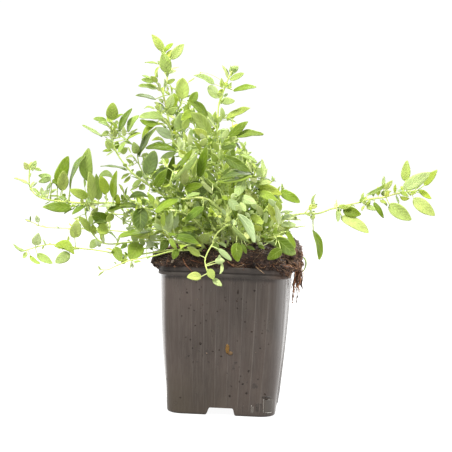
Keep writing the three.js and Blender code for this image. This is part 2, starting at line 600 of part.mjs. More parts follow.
        [-11.3, -9.6, 113.2], [-12, -14, 126.2], [-17.1, -19.1, 139.8], [-22.9, -26.2, 152.1],
        [-29.6, -34.4, 163.1], [-37.7, -43.8, 172.3],
      ]],
    ],
    leaves: [
      [0, [-36, -37.8, 163.6], [-35.3, -36.4, 164.5], [-23.3, -38.5, 179.1], 7.6, [-0.67, -0.57, 0.47], 8, [0.5, 0, -0.4]],
    ],
  },
  shoot_front_left_outer: {
    stems: [
      [0.8, 0.35, -1, [
        [-4.1, -3.8, 110.2], [-7.7, -8.9, 120.6], [-11.3, -14.1, 130.8], [-15, -20.1, 140.7],
        [-19.7, -24.7, 150.8], [-24.6, -27.9, 161.4], [-28.4, -29.4, 172.7], [-29.8, -28.3, 184.6],
      ]],
      [0.55, 0.35, 0, [
        [-23, -26.9, 157.7], [-18.3, -35.6, 163.1], [-12.5, -41, 171.3],
      ]],
      [0.9, 0.4, 0, [
        [-5.2, -5.4, 114.1], [-3.5, -12.4, 123.4], [-4.6, -16.3, 137.1], [-6, -21.4, 150.3],
        [-7.8, -27.7, 162.9], [-9.9, -35.3, 174.8], [-12.4, -44.1, 185.8],
      ]],
    ],
    leaves: [
      [2, [-6.1, -21.7, 151], [-9.1, -21.6, 153.3], [-19.3, -22.2, 162.5], 8, [0.63, -0.53, 0.57], 15, [0.7, 0, 0]],
    ],
  },
  shoot_front_leaning_low: {
    stems: [
      [0.95, 0.5, -1, [
        [7.5, -12.8, 111.1], [5.6, -17.6, 117.7], [3.6, -23.2, 123.9], [1.2, -28.4, 130.2],
        [-1.9, -32.8, 136.9], [-6.9, -37.3, 142.2], [-12.9, -41, 146.9], [-20.6, -44.6, 147.3],
        [-28.4, -48.3, 146.7],
      ]],
    ],
    leaves: [
      [0, [-16, -42.5, 147.5], [-13.4, -49.2, 142.6], [-25, -58.1, 132.4], 7.1, [0.02, -0.76, 0.65], 8, [0, 0, 0]],
      [0, [-25.9, -47.1, 147], [-25.1, -47.9, 149], [-16.3, -50.3, 150.9], 3.7, [-0.31, -0.53, 0.79], 8, [0, 0, 0]],
    ],
  },
  shoot_front_leaning_high: {
    stems: [
      [0.85, 0.4, -1, [
        [6.8, -4.3, 110.8], [5.3, -7.8, 117], [4.2, -12.6, 122.5], [3.1, -17.4, 128],
        [1.7, -21.7, 133.7], [-0.2, -25.8, 139.6], [-2.1, -29.8, 145.4], [-3.7, -33.7, 151.5],
        [-7.9, -37.8, 155.7], [-12.1, -42, 160.1],
      ]],
      [0.9, 0.4, 0, [
        [5.9, -6.1, 114.7], [8.1, -12.2, 124.7], [10.4, -15.2, 137.8], [13.5, -19.8, 150.1],
        [17.4, -24.7, 162.2], [21.9, -32.1, 172.6],
      ]],
    ],
    leaves: [
      [1, [8.8, -13.1, 129.4], [11.6, -12.7, 131.8], [21.4, -12.8, 141.6], 8.2, [-0.66, -0.49, 0.57], 16, [0.1, -0.1, -0.1]],
      [1, [10.5, -15.4, 138.3], [11.7, -18.1, 139.1], [17.4, -28, 145.8], 7.3, [-0.56, 0.3, 0.77], 9, [0, 0.5, 0.6]],
    ],
  },
  shoot_centre: {
    stems: [
      [0.9, 0.4, -1, [
        [2, 2.6, 109.7], [1.5, -1.2, 120.4], [0.8, -5.2, 131], [-0.5, -8.9, 141.8],
        [-2.1, -11.9, 152.6], [-4.1, -12.8, 163.8], [-6.1, -11.9, 174.9], [-7, -8.6, 185.8],
      ]],
    ],
    leaves: [
      [0, [-6.9, -9.4, 183.3], [3, -14.9, 186.3], [22.4, -19.5, 189.8], 8.1, [-0.28, -0.65, 0.7], 8, [0, 0, 0]],
      [0, [-7, -8.6, 185.8], [-16.5, -8.7, 199.8], [-29.1, -19.7, 211], 8.1, [0.77, -0.54, 0.34], 8, [0.4, 0.1, 0.5]],
      [0, [-6.9, -8.9, 184.8], [-1.1, -13.9, 186.8], [11.6, -19, 198.1], 7.1, [-0.55, -0.79, 0.27], 8, [0, 0, 0]],
      [0, [-6.9, -8.9, 184.8], [-15.9, -19.9, 187.6], [-23.7, -28.5, 192.1], 5.8, [0.65, -0.72, -0.24], 8, [0, 0, 0]],
    ],
  },
  shoot_centre_right: {
    stems: [
      [0.9, 0.4, -1, [
        [7.9, -1.2, 110.4], [7.5, -4.2, 116.6], [6.9, -7.8, 122.7], [6.5, -11.6, 128.6],
        [6.2, -15.5, 134.5], [5.6, -18.7, 140.7], [5.4, -21.7, 147.1], [6.9, -24.3, 153.4],
        [10.7, -26.4, 158.9], [17, -26.7, 161.7], [22.7, -23.9, 164],
      ]],
      [0.9, 0.4, 0, [
        [7.7, -2.9, 114.3], [8, 0.6, 126.2], [10.7, 0.8, 140.4], [14, 1.1, 154.4],
        [18.1, 1.4, 168.3],
      ]],
    ],
    leaves: [
      [0, [11.6, -26.7, 159.6], [11.2, -35.4, 159.5], [6.8, -45.7, 148.8], 7, [-0.29, 0.74, -0.6], 10, [0, 0, 0]],
      [1, [9.5, 0.7, 134.6], [9.1, 3, 136.6], [8.9, 14.4, 148.3], 7.8, [0, -0.76, 0.65], 15, [0.9, 0.3, 1.3]],
    ],
  },
  shoot_centre_right_short: {
    stems: [
      [0.85, 0.45, -1, [
        [9.4, 4.7, 111.6], [10.8, -0.5, 123.1], [12.1, -6.5, 134.1], [13.7, -13.5, 144.5],
        [18.7, -20.7, 153.5],
      ]],
      [0.9, 0.4, 0, [
        [9.7, 3.6, 114], [17, 14.4, 118.2], [24, 20.3, 129.4], [32, 27.2, 139.2],
      ]],
      [0.75, 0.4, 0, [
        [9.7, 3.6, 114], [21.8, 9.8, 116.4], [31.4, 14.2, 125.7], [42.1, 19, 133.4],
      ]],
      [0.75, 0.4, 0, [
        [9.7, 3.6, 114], [24.8, 6.5, 114.8], [38.1, 9.7, 120.8],
      ]],
    ],
    leaves: [
      [0, [18.7, -20.7, 153.5], [20.1, -22.3, 155], [36.7, -27, 150.3], 7.1, [-0.16, -0.91, 0.37], 8, [0, 0, 0]],
      [0, [18.7, -20.7, 153.5], [35.2, -21.4, 152.6], [48.8, -26.4, 146.2], 6.3, [-0.19, -0.93, 0.32], 8, [0, 0, 0]],
      [0, [18.7, -20.7, 153.5], [21.2, -28.5, 151.3], [34.1, -33.5, 146.7], 5.8, [-0.21, -0.9, 0.39], 8, [0, 0, 0]],
    ],
  },
  shoot_front_short_a: {
    stems: [
      [0.85, 0.4, -1, [
        [8.2, -20.9, 110], [7.3, -25.2, 115.8], [6.3, -30.1, 121.1], [5.2, -35.4, 126],
        [3.3, -40.5, 130.8], [1, -46.1, 135],
      ]],
      [0.75, 0.4, 0, [
        [7.8, -23, 113.6], [7.1, -36.5, 114.3], [9, -49.5, 116.7], [11.4, -62.7, 117.1],
        [13.7, -75.6, 114.5],
      ]],
    ],
    leaves: [
    ],
  },
  shoot_front_short_b: {
    stems: [
      [0.7, 0.35, -1, [
        [10.5, -17.2, 110.2], [10.5, -23.4, 116], [9.8, -30.8, 120.6], [9.4, -37.5, 126.3],
        [9, -43.8, 132.3], [9.1, -49.5, 138.9],
      ]],
      [0.75, 0.4, 0, [
        [10.6, -20.2, 114.1], [10.1, -27.5, 120.9], [13.7, -38.8, 126.8], [17.6, -50.2, 132],
        [21.8, -62.4, 134.8], [26.2, -74.8, 135],
      ]],
    ],
    leaves: [
      [0, [8.9, -47, 135.5], [6.1, -52.5, 130.2], [19.7, -57.5, 120], 7.1, [0.59, 0.66, 0.46], 8, [-0.6, -0.1, -0.7]],
      [1, [11.8, -32.6, 123.5], [14.1, -33.2, 124.2], [21.1, -36.8, 127.6], 4.8, [-0.61, -0.34, 0.72], 10, [0, 0.1, -0.1]],
    ],
  },
  shoot_front_left_low: {
    stems: [
      [0.7, 0.35, -1, [
        [-18.6, -26.3, 108.3], [-24.4, -34.4, 114.1], [-31.1, -43.6, 118], [-36.5, -51.7, 123.9],
        [-47.1, -53.7, 126.6],
      ]],
      [0.5, 0.3, 0, [
        [-35.6, -48.8, 120.6], [-33.1, -52.5, 117.8], [-30.7, -55.4, 114.2],
      ]],
    ],
    leaves: [
      [0, [-36.3, -51.2, 123], [-31.2, -53.6, 122.2], [-15.4, -58.4, 118.7], 6.8, [-0.06, -0.72, 0.7], 14, [0, 0, 0]],
      [0, [-34.8, -47.7, 119.9], [-31.4, -47.3, 122.4], [-16.8, -54.2, 122.7], 6.5, [-0.36, -0.75, 0.56], 8, [0, 0, 0]],
      [0, [-31.1, -43.6, 118], [-28.8, -43, 126.1], [-18.3, -48.3, 127.1], 4.7, [-0.4, -0.69, 0.6], 8, [0, 0, 0]],
    ],
  },
  shoot_front_right_short: {
    stems: [
      [0.7, 0.4, -1, [
        [18.9, -15.9, 112], [24.6, -21, 118.7], [30.4, -26.6, 124.7], [34, -35.6, 121.5],
      ]],
      [0.75, 0.4, 0, [
        [21.4, -18.1, 115.4], [24.1, -24.7, 122.8], [31.9, -32.7, 129.1], [40.1, -41.1, 133.8],
        [48.8, -50, 136.7],
      ]],
      [0.75, 0.4, 0, [
        [20.4, -17.2, 114.4], [27.1, -8.7, 117], [38.2, -12.2, 123.8],
      ]],
    ],
    leaves: [
      [0, [34, -35.6, 121.5], [34.1, -37.4, 121.8], [46.4, -43.5, 112.5], 10.2, [-0.22, -0.92, 0.32], 10, [0, 0, 0]],
      [0, [31.9, -30.3, 123.8], [35.6, -31.5, 131], [33.1, -36.7, 144.1], 5.7, [0.5, 0.77, 0.4], 8, [0, 0, 0]],
      [0, [34, -35.6, 121.5], [38.1, -42.9, 115.1], [29.3, -48.5, 108.9], 6.8, [0.34, -0.88, 0.33], 8, [0, 0, 0]],
    ],
  },
  shoot_right_inner: {
    stems: [
      [0.8, 0.4, -1, [
        [11.5, -7.4, 111.2], [15.7, -13.9, 119.2], [19.4, -21.8, 126.4], [22.4, -29.2, 134.3],
        [27.8, -34, 142.9],
      ]],
      [0.9, 0.4, 0, [
        [13.1, -9.6, 114.8], [17.5, -8.4, 123.6], [23, -11.1, 134.4], [29.6, -14.2, 144.6],
        [37.1, -17.9, 153.8],
      ]],
    ],
    leaves: [
      [1, [17, -8.1, 122.7], [16.9, -10.8, 123.3], [17.4, -21.8, 127.8], 6.1, [0.33, 0.45, 0.83], 15, [-0.4, -0.3, 0.1]],
      [1, [20.8, -10, 130.3], [19.9, -9.3, 131.9], [18, -7.6, 142.5], 5.9, [0.95, -0.26, 0.2], 8, [-0.1, 0.2, -0.4]],
    ],
  },
  shoot_back_centre: {
    stems: [
      [0.9, 0.4, -1, [
        [0.5, 16, 111], [0.7, 22.5, 123.1], [0.9, 30, 134.5], [1.2, 38.7, 145.1],
        [1.5, 47.8, 155.2], [1.8, 58.3, 164.1], [2.2, 70, 171.2], [2.7, 82.8, 176],
      ]],
      [0.9, 0.4, 0, [
        [0.5, 18, 115], [10.2, 21.2, 122.8], [14.5, 30.1, 134.5], [19.6, 40.5, 144.6],
        [25.8, 51.6, 153.2],
      ]],
    ],
    leaves: [
      [0, [2.5, 75.8, 173.6], [2.8, 76.9, 172.7], [2.6, 83.9, 170.7], 3.8, [-0.38, 0.12, 0.92], 9, [-0.4, 0.2, -0.1]],
      [1, [15.2, 31.7, 136.2], [19.2, 33.1, 137.9], [31.9, 39.4, 143.5], 8.4, [-0.6, 0.55, 0.58], 12, [-0.4, 0, -1]],
      [0, [1, 34.1, 139.9], [1, 32.8, 144.5], [-0.6, 32.1, 159.2], 8.9, [0.94, 0.33, 0.1], 6, [0.6, -0.1, 0]],
      [1, [13, 27, 130.9], [12.8, 26, 134.3], [12.8, 23.4, 148.4], 8.4, [0.93, 0.36, 0.06], 12, [-0.2, -0.2, -0.4]],
    ],
  },
  shoot_back_left: {
    stems: [
      [0.9, 0.4, -1, [
        [-6.1, 14.8, 110.5], [-9.3, 22.6, 122.9], [-13.1, 31.9, 134.2], [-17.6, 42.4, 144],
        [-23, 53.7, 152.3], [-29.2, 66.3, 157.7], [-35.7, 79.7, 159.6],
      ]],
    ],
    leaves: [
      [0, [-35.2, 78.8, 159.5], [-33.8, 79.5, 160.5], [-32, 85.9, 163.4], 4.2, [-0.18, -0.41, 0.9], 12, [0, -0.2, 0.1]],
      [0, [-35.7, 79.7, 159.6], [-35.3, 79.4, 160.1], [-33.5, 85.4, 163.9], 3.8, [-0.81, 0.42, -0.4], 14, [0, 0, 0]],
      [0, [-35.7, 79.7, 159.6], [-35.7, 80.9, 159.1], [-37.1, 86.2, 156.6], 3.2, [-0.42, 0.26, 0.87], 14, [0, 0, 0]],
      [0, [-35.7, 79.7, 159.6], [-36.2, 80.2, 160.1], [-39.8, 83.8, 162.9], 2.9, [0.26, 0.68, -0.68], 14, [0, 0, 0]],
      [0, [-13.7, 33.4, 135.7], [-12.4, 32.6, 140], [-7.4, 31.1, 155.4], 9.8, [-0.96, -0.09, 0.27], 13, [0, 0, -1.1]],
    ],
  },
  shoot_back_left_high: {
    stems: [
      [0.9, 0.4, -1, [
        [-11.6, 11.1, 110], [-16.3, 15.6, 121.9], [-21.9, 21, 132.9], [-28.5, 27.3, 142.9],
        [-36.1, 34.5, 151.5], [-44.6, 42.2, 158.6], [-54.3, 50.1, 163.9],
      ]],
    ],
    leaves: [
      [0, [-19.1, 18.3, 127.8], [-20, 22, 129.3], [-25.3, 36.1, 133.9], 8, [-0.54, -0.5, 0.67], 10, [-0.4, -0.2, -0.3]],
      [0, [-36.6, 35, 152], [-39.1, 34, 153.2], [-51.7, 32.2, 159.9], 8.4, [0.55, -0.04, 0.84], 15, [0.6, -0.5, 0.9]],
      [0, [-19.1, 18.3, 127.8], [-21.9, 15.8, 130.2], [-31.9, 8.9, 137.1], 7.8, [0.16, 0.66, 0.73], 10, [0.1, -0.1, 0.2]],
      [0, [-36.6, 35, 152], [-36.5, 37.4, 154.2], [-39.3, 45.8, 164.2], 8.5, [0.5, -0.61, 0.62], 6, [0.1, 0, 0]],
    ],
  },
  shoot_back_low_left: {
    stems: [
      [0.9, 0.4, -1, [
        [-3.9, 21.6, 110.7], [-5.9, 32.3, 118.5], [-8.1, 43.7, 124.9], [-10.7, 55.9, 129.6],
        [-13.4, 68.7, 131.3], [-16.2, 81.6, 129.5],
      ]],
      [0.75, 0.4, 0, [
        [-4.3, 23.7, 112.3], [-9.2, 36.1, 115.3], [-12.9, 48.9, 119.3], [-16.9, 62.2, 120.6],
        [-20.8, 75.3, 118.4],
      ]],
    ],
    leaves: [
      [0, [-16.2, 81.6, 129.5], [-16.2, 83.9, 129], [-14.7, 90.4, 127.6], 3.7, [-0.98, 0.19, 0.02], 14, [0, 0, 0]],
      [0, [-16.2, 81.6, 129.5], [-15.7, 81.5, 128.8], [-15.4, 86.3, 124.3], 3.3, [-0.42, 0.57, 0.7], 14, [0, 0, 0]],
      [0, [-16.2, 81.6, 129.5], [-16.7, 83.2, 129.1], [-20.6, 88.3, 128.8], 3.3, [0.81, 0.51, -0.3], 14, [0, 0, 0]],
      [0, [-10.9, 57, 129.9], [-11.3, 58.7, 127.9], [-14, 70.8, 117.5], 8.1, [0.16, 0.54, 0.83], 6, [-0.6, 0.9, -0.2]],
    ],
  },
  shoot_back_low_right: {
    stems: [
      [0.9, 0.4, -1, [
        [5.2, 21.4, 111.4], [7.8, 32, 118], [10.6, 43, 123.7], [13.9, 54.4, 128.2],
        [17.4, 66.4, 130.5], [20.9, 78.6, 130.3],
      ]],
    ],
    leaves: [
      [0, [20.9, 78.6, 130.3], [21.3, 80, 130], [27.2, 85, 129], 3.9, [-0.7, 0.71, 0.1], 14, [0, 0, 0]],
      [0, [20.9, 78.6, 130.3], [20, 78.3, 130.5], [16.2, 84.5, 130.2], 3.8, [0.89, 0.45, -0.04], 14, [0, 0, 0]],
      [0, [20.9, 78.6, 130.3], [21.1, 78.8, 130.9], [22.5, 84.3, 134.7], 3.5, [0.15, 0.48, -0.86], 14, [0, 0, 0]],
      [0, [14, 54.7, 128.3], [14.5, 54.9, 131.3], [18.6, 58.9, 145.8], 9.7, [-0.96, 0.22, 0.18], 8, [-0.3, -0.1, 0.3]],
    ],
  },
  shoot_back_left_low: {
    stems: [
      [0.75, 0.4, -1, [
        [-12.4, 18.2, 110], [-18.2, 26.7, 117.5], [-24.6, 36.1, 123.4], [-31.9, 45.7, 127.8],
        [-39.8, 55.5, 129.9], [-47.8, 65.5, 129.2],
      ]],
    ],
    leaves: [
      [0, [-20.4, 29.9, 119.7], [-18.8, 32.3, 121.1], [-13.6, 41.4, 126.1], 5.8, [-0.88, 0.21, 0.43], 15, [-0.5, 0.1, 0.3]],
      [0, [-29.1, 42.3, 126.4], [-28.1, 44.5, 126.8], [-25.3, 54.2, 128.2], 6.7, [-0.49, -0.08, 0.87], 7, [-0.3, 0.2, -0.1]],
      [0, [-33.2, 47.3, 128.3], [-33.8, 48.9, 126.9], [-39.6, 57.5, 123.6], 5.6, [-0.5, -0.11, 0.86], 13, [0.5, 0.4, 0.3]],
      [0, [-20.4, 29.9, 119.7], [-23.7, 28.8, 121.1], [-34.2, 26.8, 123.4], 5.2, [0.17, 0.54, 0.82], 10, [0.4, 0.2, -0.4]],
    ],
  },
  shoot_left_back_high: {
    stems: [
      [0.75, 0.4, -1, [
        [-16.2, 7.8, 109.6], [-22.7, 10.9, 121.2], [-30.5, 14.7, 131.8], [-39.5, 19, 141.1],
        [-49.7, 23.9, 148.7], [-60.9, 29.3, 154.5],
      ]],
    ],
    leaves: [
      [0, [-41.7, 20.1, 142.9], [-43, 22.2, 142.2], [-49, 33.6, 139.2], 6.6, [0.18, 0.24, 0.96], 13, [0, -1.4, -0.5]],
      [0, [-24.8, 12, 124.4], [-27.1, 10, 126.6], [-34.6, 4.8, 132.7], 6.1, [0.4, 0.49, 0.77], 6, [0.2, 0, -0.4]],
      [0, [-41.7, 20.1, 142.9], [-42.8, 19.8, 146.3], [-47.9, 19.8, 155.5], 6.2, [0.73, -0.58, 0.36], 6, [0.1, 0.2, -0.1]],
      [0, [-24.8, 12, 124.4], [-24.7, 14.7, 126], [-24.7, 23.6, 132.4], 5.4, [0.18, -0.64, 0.75], 14, [0.2, 0.4, -0.5]],
    ],
  },
  shoot_back_tall: {
    stems: [
      [0.9, 0.4, -1, [
        [-1.2, 9, 111], [-1.6, 14.1, 123.4], [-1.3, 17, 136.5], [-1.6, 21.5, 149.2],
        [-2, 26.8, 161.5], [-2.5, 32.9, 173.5], [-3, 39.8, 185.1], [-3.6, 46.7, 196.6],
      ]],
    ],
    leaves: [
      [0, [-1.9, 25.9, 159.5], [-1.9, 23.9, 162.6], [-1.5, 17.1, 174.8], 7.8, [-0.08, 0.89, 0.45], 10, [0.4, -0.3, -0.6]],
      [0, [-1.9, 25.9, 159.5], [-1.8, 27.8, 162.7], [-1.8, 34, 174.2], 7.5, [-0.12, -0.9, 0.43], 10, [-0.7, 0.1, -0.3]],
      [0, [-2.5, 32.9, 173.6], [-3.8, 31.6, 176.6], [-9.7, 30.4, 187.9], 7.6, [0.73, -0.63, 0.28], 7, [0.1, 0, -0.7]],
      [0, [-2.5, 32.9, 173.6], [-2.3, 36.6, 174.6], [0.2, 45.7, 182.6], 7.8, [-0.56, -0.48, 0.67], 11, [0.5, 0.3, 0.3]],
    ],
  },
  shoot_back_tall_left: {
    stems: [
      [0.9, 0.4, -1, [
        [-4.3, 6.8, 110.6], [-5.8, 9.2, 124.3], [-7.8, 12.3, 137.7], [-10.2, 16.1, 150.9],
        [-13.1, 20.7, 163.7], [-16.5, 26.1, 176.1], [-20.4, 32.3, 187.9],
      ]],
    ],
    leaves: [
      [0, [-8.1, 12.8, 139.8], [-8.6, 10.8, 143.3], [-11.8, 5.3, 154.6], 7.1, [0.17, 0.89, 0.43], 9, [0.1, 0.1, -0.7]],
      [0, [-11.4, 18, 156.6], [-12.3, 20.8, 157.4], [-16.7, 31.7, 162.3], 6.3, [0.78, -0.03, 0.62], 7, [0.4, -0.4, -0.9]],
      [0, [-9.8, 15.5, 149.2], [-9.2, 15.9, 151.6], [-8.8, 13.9, 164], 6.4, [0.72, 0.69, 0.08], 12, [0.2, 0.5, -0.3]],
      [0, [-11.4, 18, 156.6], [-12.7, 16.7, 158.7], [-20.1, 13.6, 167.1], 6.2, [0.68, 0.36, 0.64], 12, [0.2, -0.2, -0.4]],
    ],
  },
  shoot_left_back_low: {
    stems: [
      [0.75, 0.4, -1, [
        [-19.2, 5.4, 109.4], [-27.8, 7.8, 118.8], [-37.7, 10.6, 126.8], [-48.8, 13.7, 132.9],
        [-60.7, 17.1, 136.9], [-73.1, 20.6, 138.5],
      ]],
    ],
    leaves: [
      [0, [-37.6, 10.6, 126.7], [-41, 10.1, 126.2], [-56.1, 7.6, 123.8], 8.3, [-0.1, 0.25, 0.96], 6, [-0.2, 0.6, 0.5]],
      [0, [-37.6, 10.6, 126.7], [-38, 10.6, 129.4], [-42.9, 10.8, 141], 7.2, [0.87, 0.37, 0.32], 13, [1, -0.5, 0.6]],
      [0, [-30.6, 8.6, 121.4], [-32.2, 6.7, 123.5], [-40.2, 0.3, 130.3], 6, [-0.13, 0.83, 0.54], 16, [0.5, -0.1, -1]],
      [0, [-45.1, 12.7, 131.1], [-46.4, 16, 131.2], [-53.6, 24.6, 131.4], 6.1, [-0.72, -0.65, 0.25], 9, [0, 0.1, -0.6]],
    ],
  },
  shoot_inner_left: {
    stems: [
      [0.9, 0.4, -1, [
        [-8, -0.6, 110.3], [-9.5, -1.7, 124.1], [-10.8, -0.7, 137.7], [-14.2, -0.9, 151],
        [-17.3, -1.3, 164.6], [-21, -1.6, 177.9], [-25.1, -1.9, 191.1], [-29.9, -2.2, 204.2],
      ]],
    ],
    leaves: [
      [0, [-12.2, -0.2, 142.7], [-14.1, 2.3, 145.2], [-21.7, 10.5, 155.9], 9.1, [0.24, -0.73, 0.64], 11, [0, -0.4, -0.2]],
      [0, [-12.2, -0.2, 142.7], [-11.9, -2.4, 145.7], [-12.9, -11.4, 156], 7.3, [-0.03, 0.8, 0.6], 15, [0.4, 0.6, -0.3]],
      [0, [-14.5, -1, 152.4], [-12.7, 0.1, 154.2], [-5.6, 4.9, 163.5], 7.2, [-0.82, -0.06, 0.57], 14, [-0.3, -0.6, -0.7]],
    ],
  },
  shoot_inner_left_front: {
    stems: [
      [0.9, 0.4, -1, [
        [-12.4, -7.2, 110.1], [-18.4, -8.3, 124], [-26.2, -11.8, 136.5], [-34.9, -15.7, 148.4],
        [-44.7, -20.2, 159.1], [-55.9, -25.2, 168.2],
      ]],
    ],
    leaves: [
      [0, [-20.7, -9, 127.7], [-20.6, -13.2, 129.4], [-20.8, -26.2, 133.4], 7, [0.04, 0.39, 0.92], 6, [-0.1, 0.1, -0.7]],
      [0, [-36.6, -16.5, 150.5], [-39.1, -17.3, 150.3], [-50.8, -20.9, 151], 6.5, [0.1, 0.2, 0.98], 14, [-0.7, 0.4, 0.8]],
      [0, [-26.7, -12, 137.2], [-24.9, -11.7, 140.7], [-20.4, -11.2, 151.4], 7, [-0.92, 0.19, 0.34], 11, [0.4, -0.2, -0.5]],
      [0, [-20.7, -9, 127.7], [-22.5, -7.2, 130.4], [-29.5, -2.6, 139], 5.8, [0.66, -0.39, 0.64], 6, [0, -0.1, 0.6]],
    ],
  },
  shoot_front_inner_left: {
    stems: [
      [0.9, 0.4, -1, [
        [-8.7, -18, 110.3], [-13.1, -27.3, 120.5], [-18.2, -37.8, 129.1], [-23.8, -49.4, 135.8],
        [-29.8, -61.8, 140.2], [-36, -74.8, 141.9],
      ]],
    ],
    leaves: [
      [0, [-17.2, -35.6, 127.6], [-17.6, -36.7, 132.4], [-19.9, -41.7, 145.2], 8.3, [-0.7, 0.7, 0.13], 16, [0, 0.3, -0.6]],
      [0, [-17.2, -35.6, 127.6], [-18.6, -37.7, 126.5], [-26.6, -47.4, 121.8], 6.1, [-0.17, -0.2, 0.96], 14, [0, -0.8, 0.4]],
      [0, [-14.4, -30, 123], [-16.6, -29, 123.8], [-25.9, -21.8, 125.7], 6.5, [0.11, -0.27, 0.96], 8, [-0.6, 0, -0.2]],
      [0, [-14.4, -30, 123], [-12.2, -31.3, 122.5], [-3.4, -36.8, 117.5], 5.5, [0.31, -0.16, 0.94], 14, [-0.2, 0.1, 0]],
    ],
  },
  shoot_front_side_left: {
    stems: [
      [0.75, 0.4, -1, [
        [-15.2, -12.7, 109.7], [-23.2, -19.6, 119.3], [-32.1, -26.9, 127.6], [-41.9, -34.3, 134.7],
        [-51.6, -43.8, 138.9], [-62.3, -52.8, 141.5],
      ]],
    ],
    leaves: [
      [0, [-26.8, -22.7, 123], [-25.4, -26.6, 125.2], [-21.9, -36.8, 129.8], 5.5, [-0.09, 0.47, 0.88], 11, [-0.2, 0.3, 0.6]],
      [0, [-31.8, -26.6, 127.3], [-33.8, -25.5, 125.8], [-43.9, -29.3, 120.9], 5.1, [-0.31, -0.11, 0.94], 13, [0.4, -0.2, 0.2]],
    ],
  },
  shoot_side_left: {
    stems: [
      [0.75, 0.4, -1, [
        [-21.3, -5.4, 109.2], [-31.7, -8.1, 117.2], [-43.1, -11, 123.6], [-55.2, -14.1, 128.4],
        [-67.8, -17.3, 131.4], [-80.8, -20.6, 132.5],
      ]],
    ],
    leaves: [
      [0, [-41.3, -10.5, 122.7], [-41.7, -10.3, 125.6], [-46, -11.6, 139.2], 7.3, [0.76, -0.63, 0.17], 12, [-0.3, 0.1, -0.5]],
      [0, [-41.3, -10.5, 122.7], [-44.2, -12.4, 121.6], [-55.9, -19.1, 116.8], 6.7, [-0.44, 0.34, 0.83], 6, [-0.1, -0.5, -0.2]],
      [0, [-34.9, -8.9, 119.2], [-37.6, -7.7, 120.8], [-47.5, -4.3, 124.2], 5.5, [0.32, -0.27, 0.91], 10, [-0.2, -0.4, -0.2]],
      [0, [-56.2, -14.3, 128.7], [-58.1, -16, 127.2], [-66.8, -20.5, 121.5], 4.9, [-0.58, 0.39, 0.72], 16, [0.4, 0, 0.1]],
    ],
  },
  shoot_back_right_low: {
    stems: [
      [0.75, 0.4, -1, [
        [12.2, 25.2, 112.1], [17.4, 36.1, 115.9], [23.3, 47.1, 118.7], [29.6, 58.1, 119.6],
        [35.9, 69.2, 118.1],
      ]],
    ],
    leaves: [
      [0, [22.2, 45.1, 118.3], [23.4, 46.6, 121], [28.7, 53.4, 129.2], 6.1, [-0.66, -0.35, 0.66], 13, [-0.5, 0.1, 0.1]],
      [0, [22.2, 45.1, 118.3], [25, 46.8, 116.6], [34.4, 51.8, 112.7], 6.1, [0.28, 0, 0.96], 14, [-0.4, 0.1, 0.4]],
      [0, [28.6, 56.5, 119.7], [30.2, 57.4, 118.2], [37.8, 63.5, 112.6], 5.2, [0.09, 0.45, 0.89], 14, [0.2, -0.2, 0.3]],
      [0, [18.2, 37.9, 116.4], [21.3, 37.4, 116.7], [31.2, 38.7, 119.8], 6, [-0.4, 0.29, 0.87], 14, [0.2, 0.1, 0.1]],
    ],
  },
};

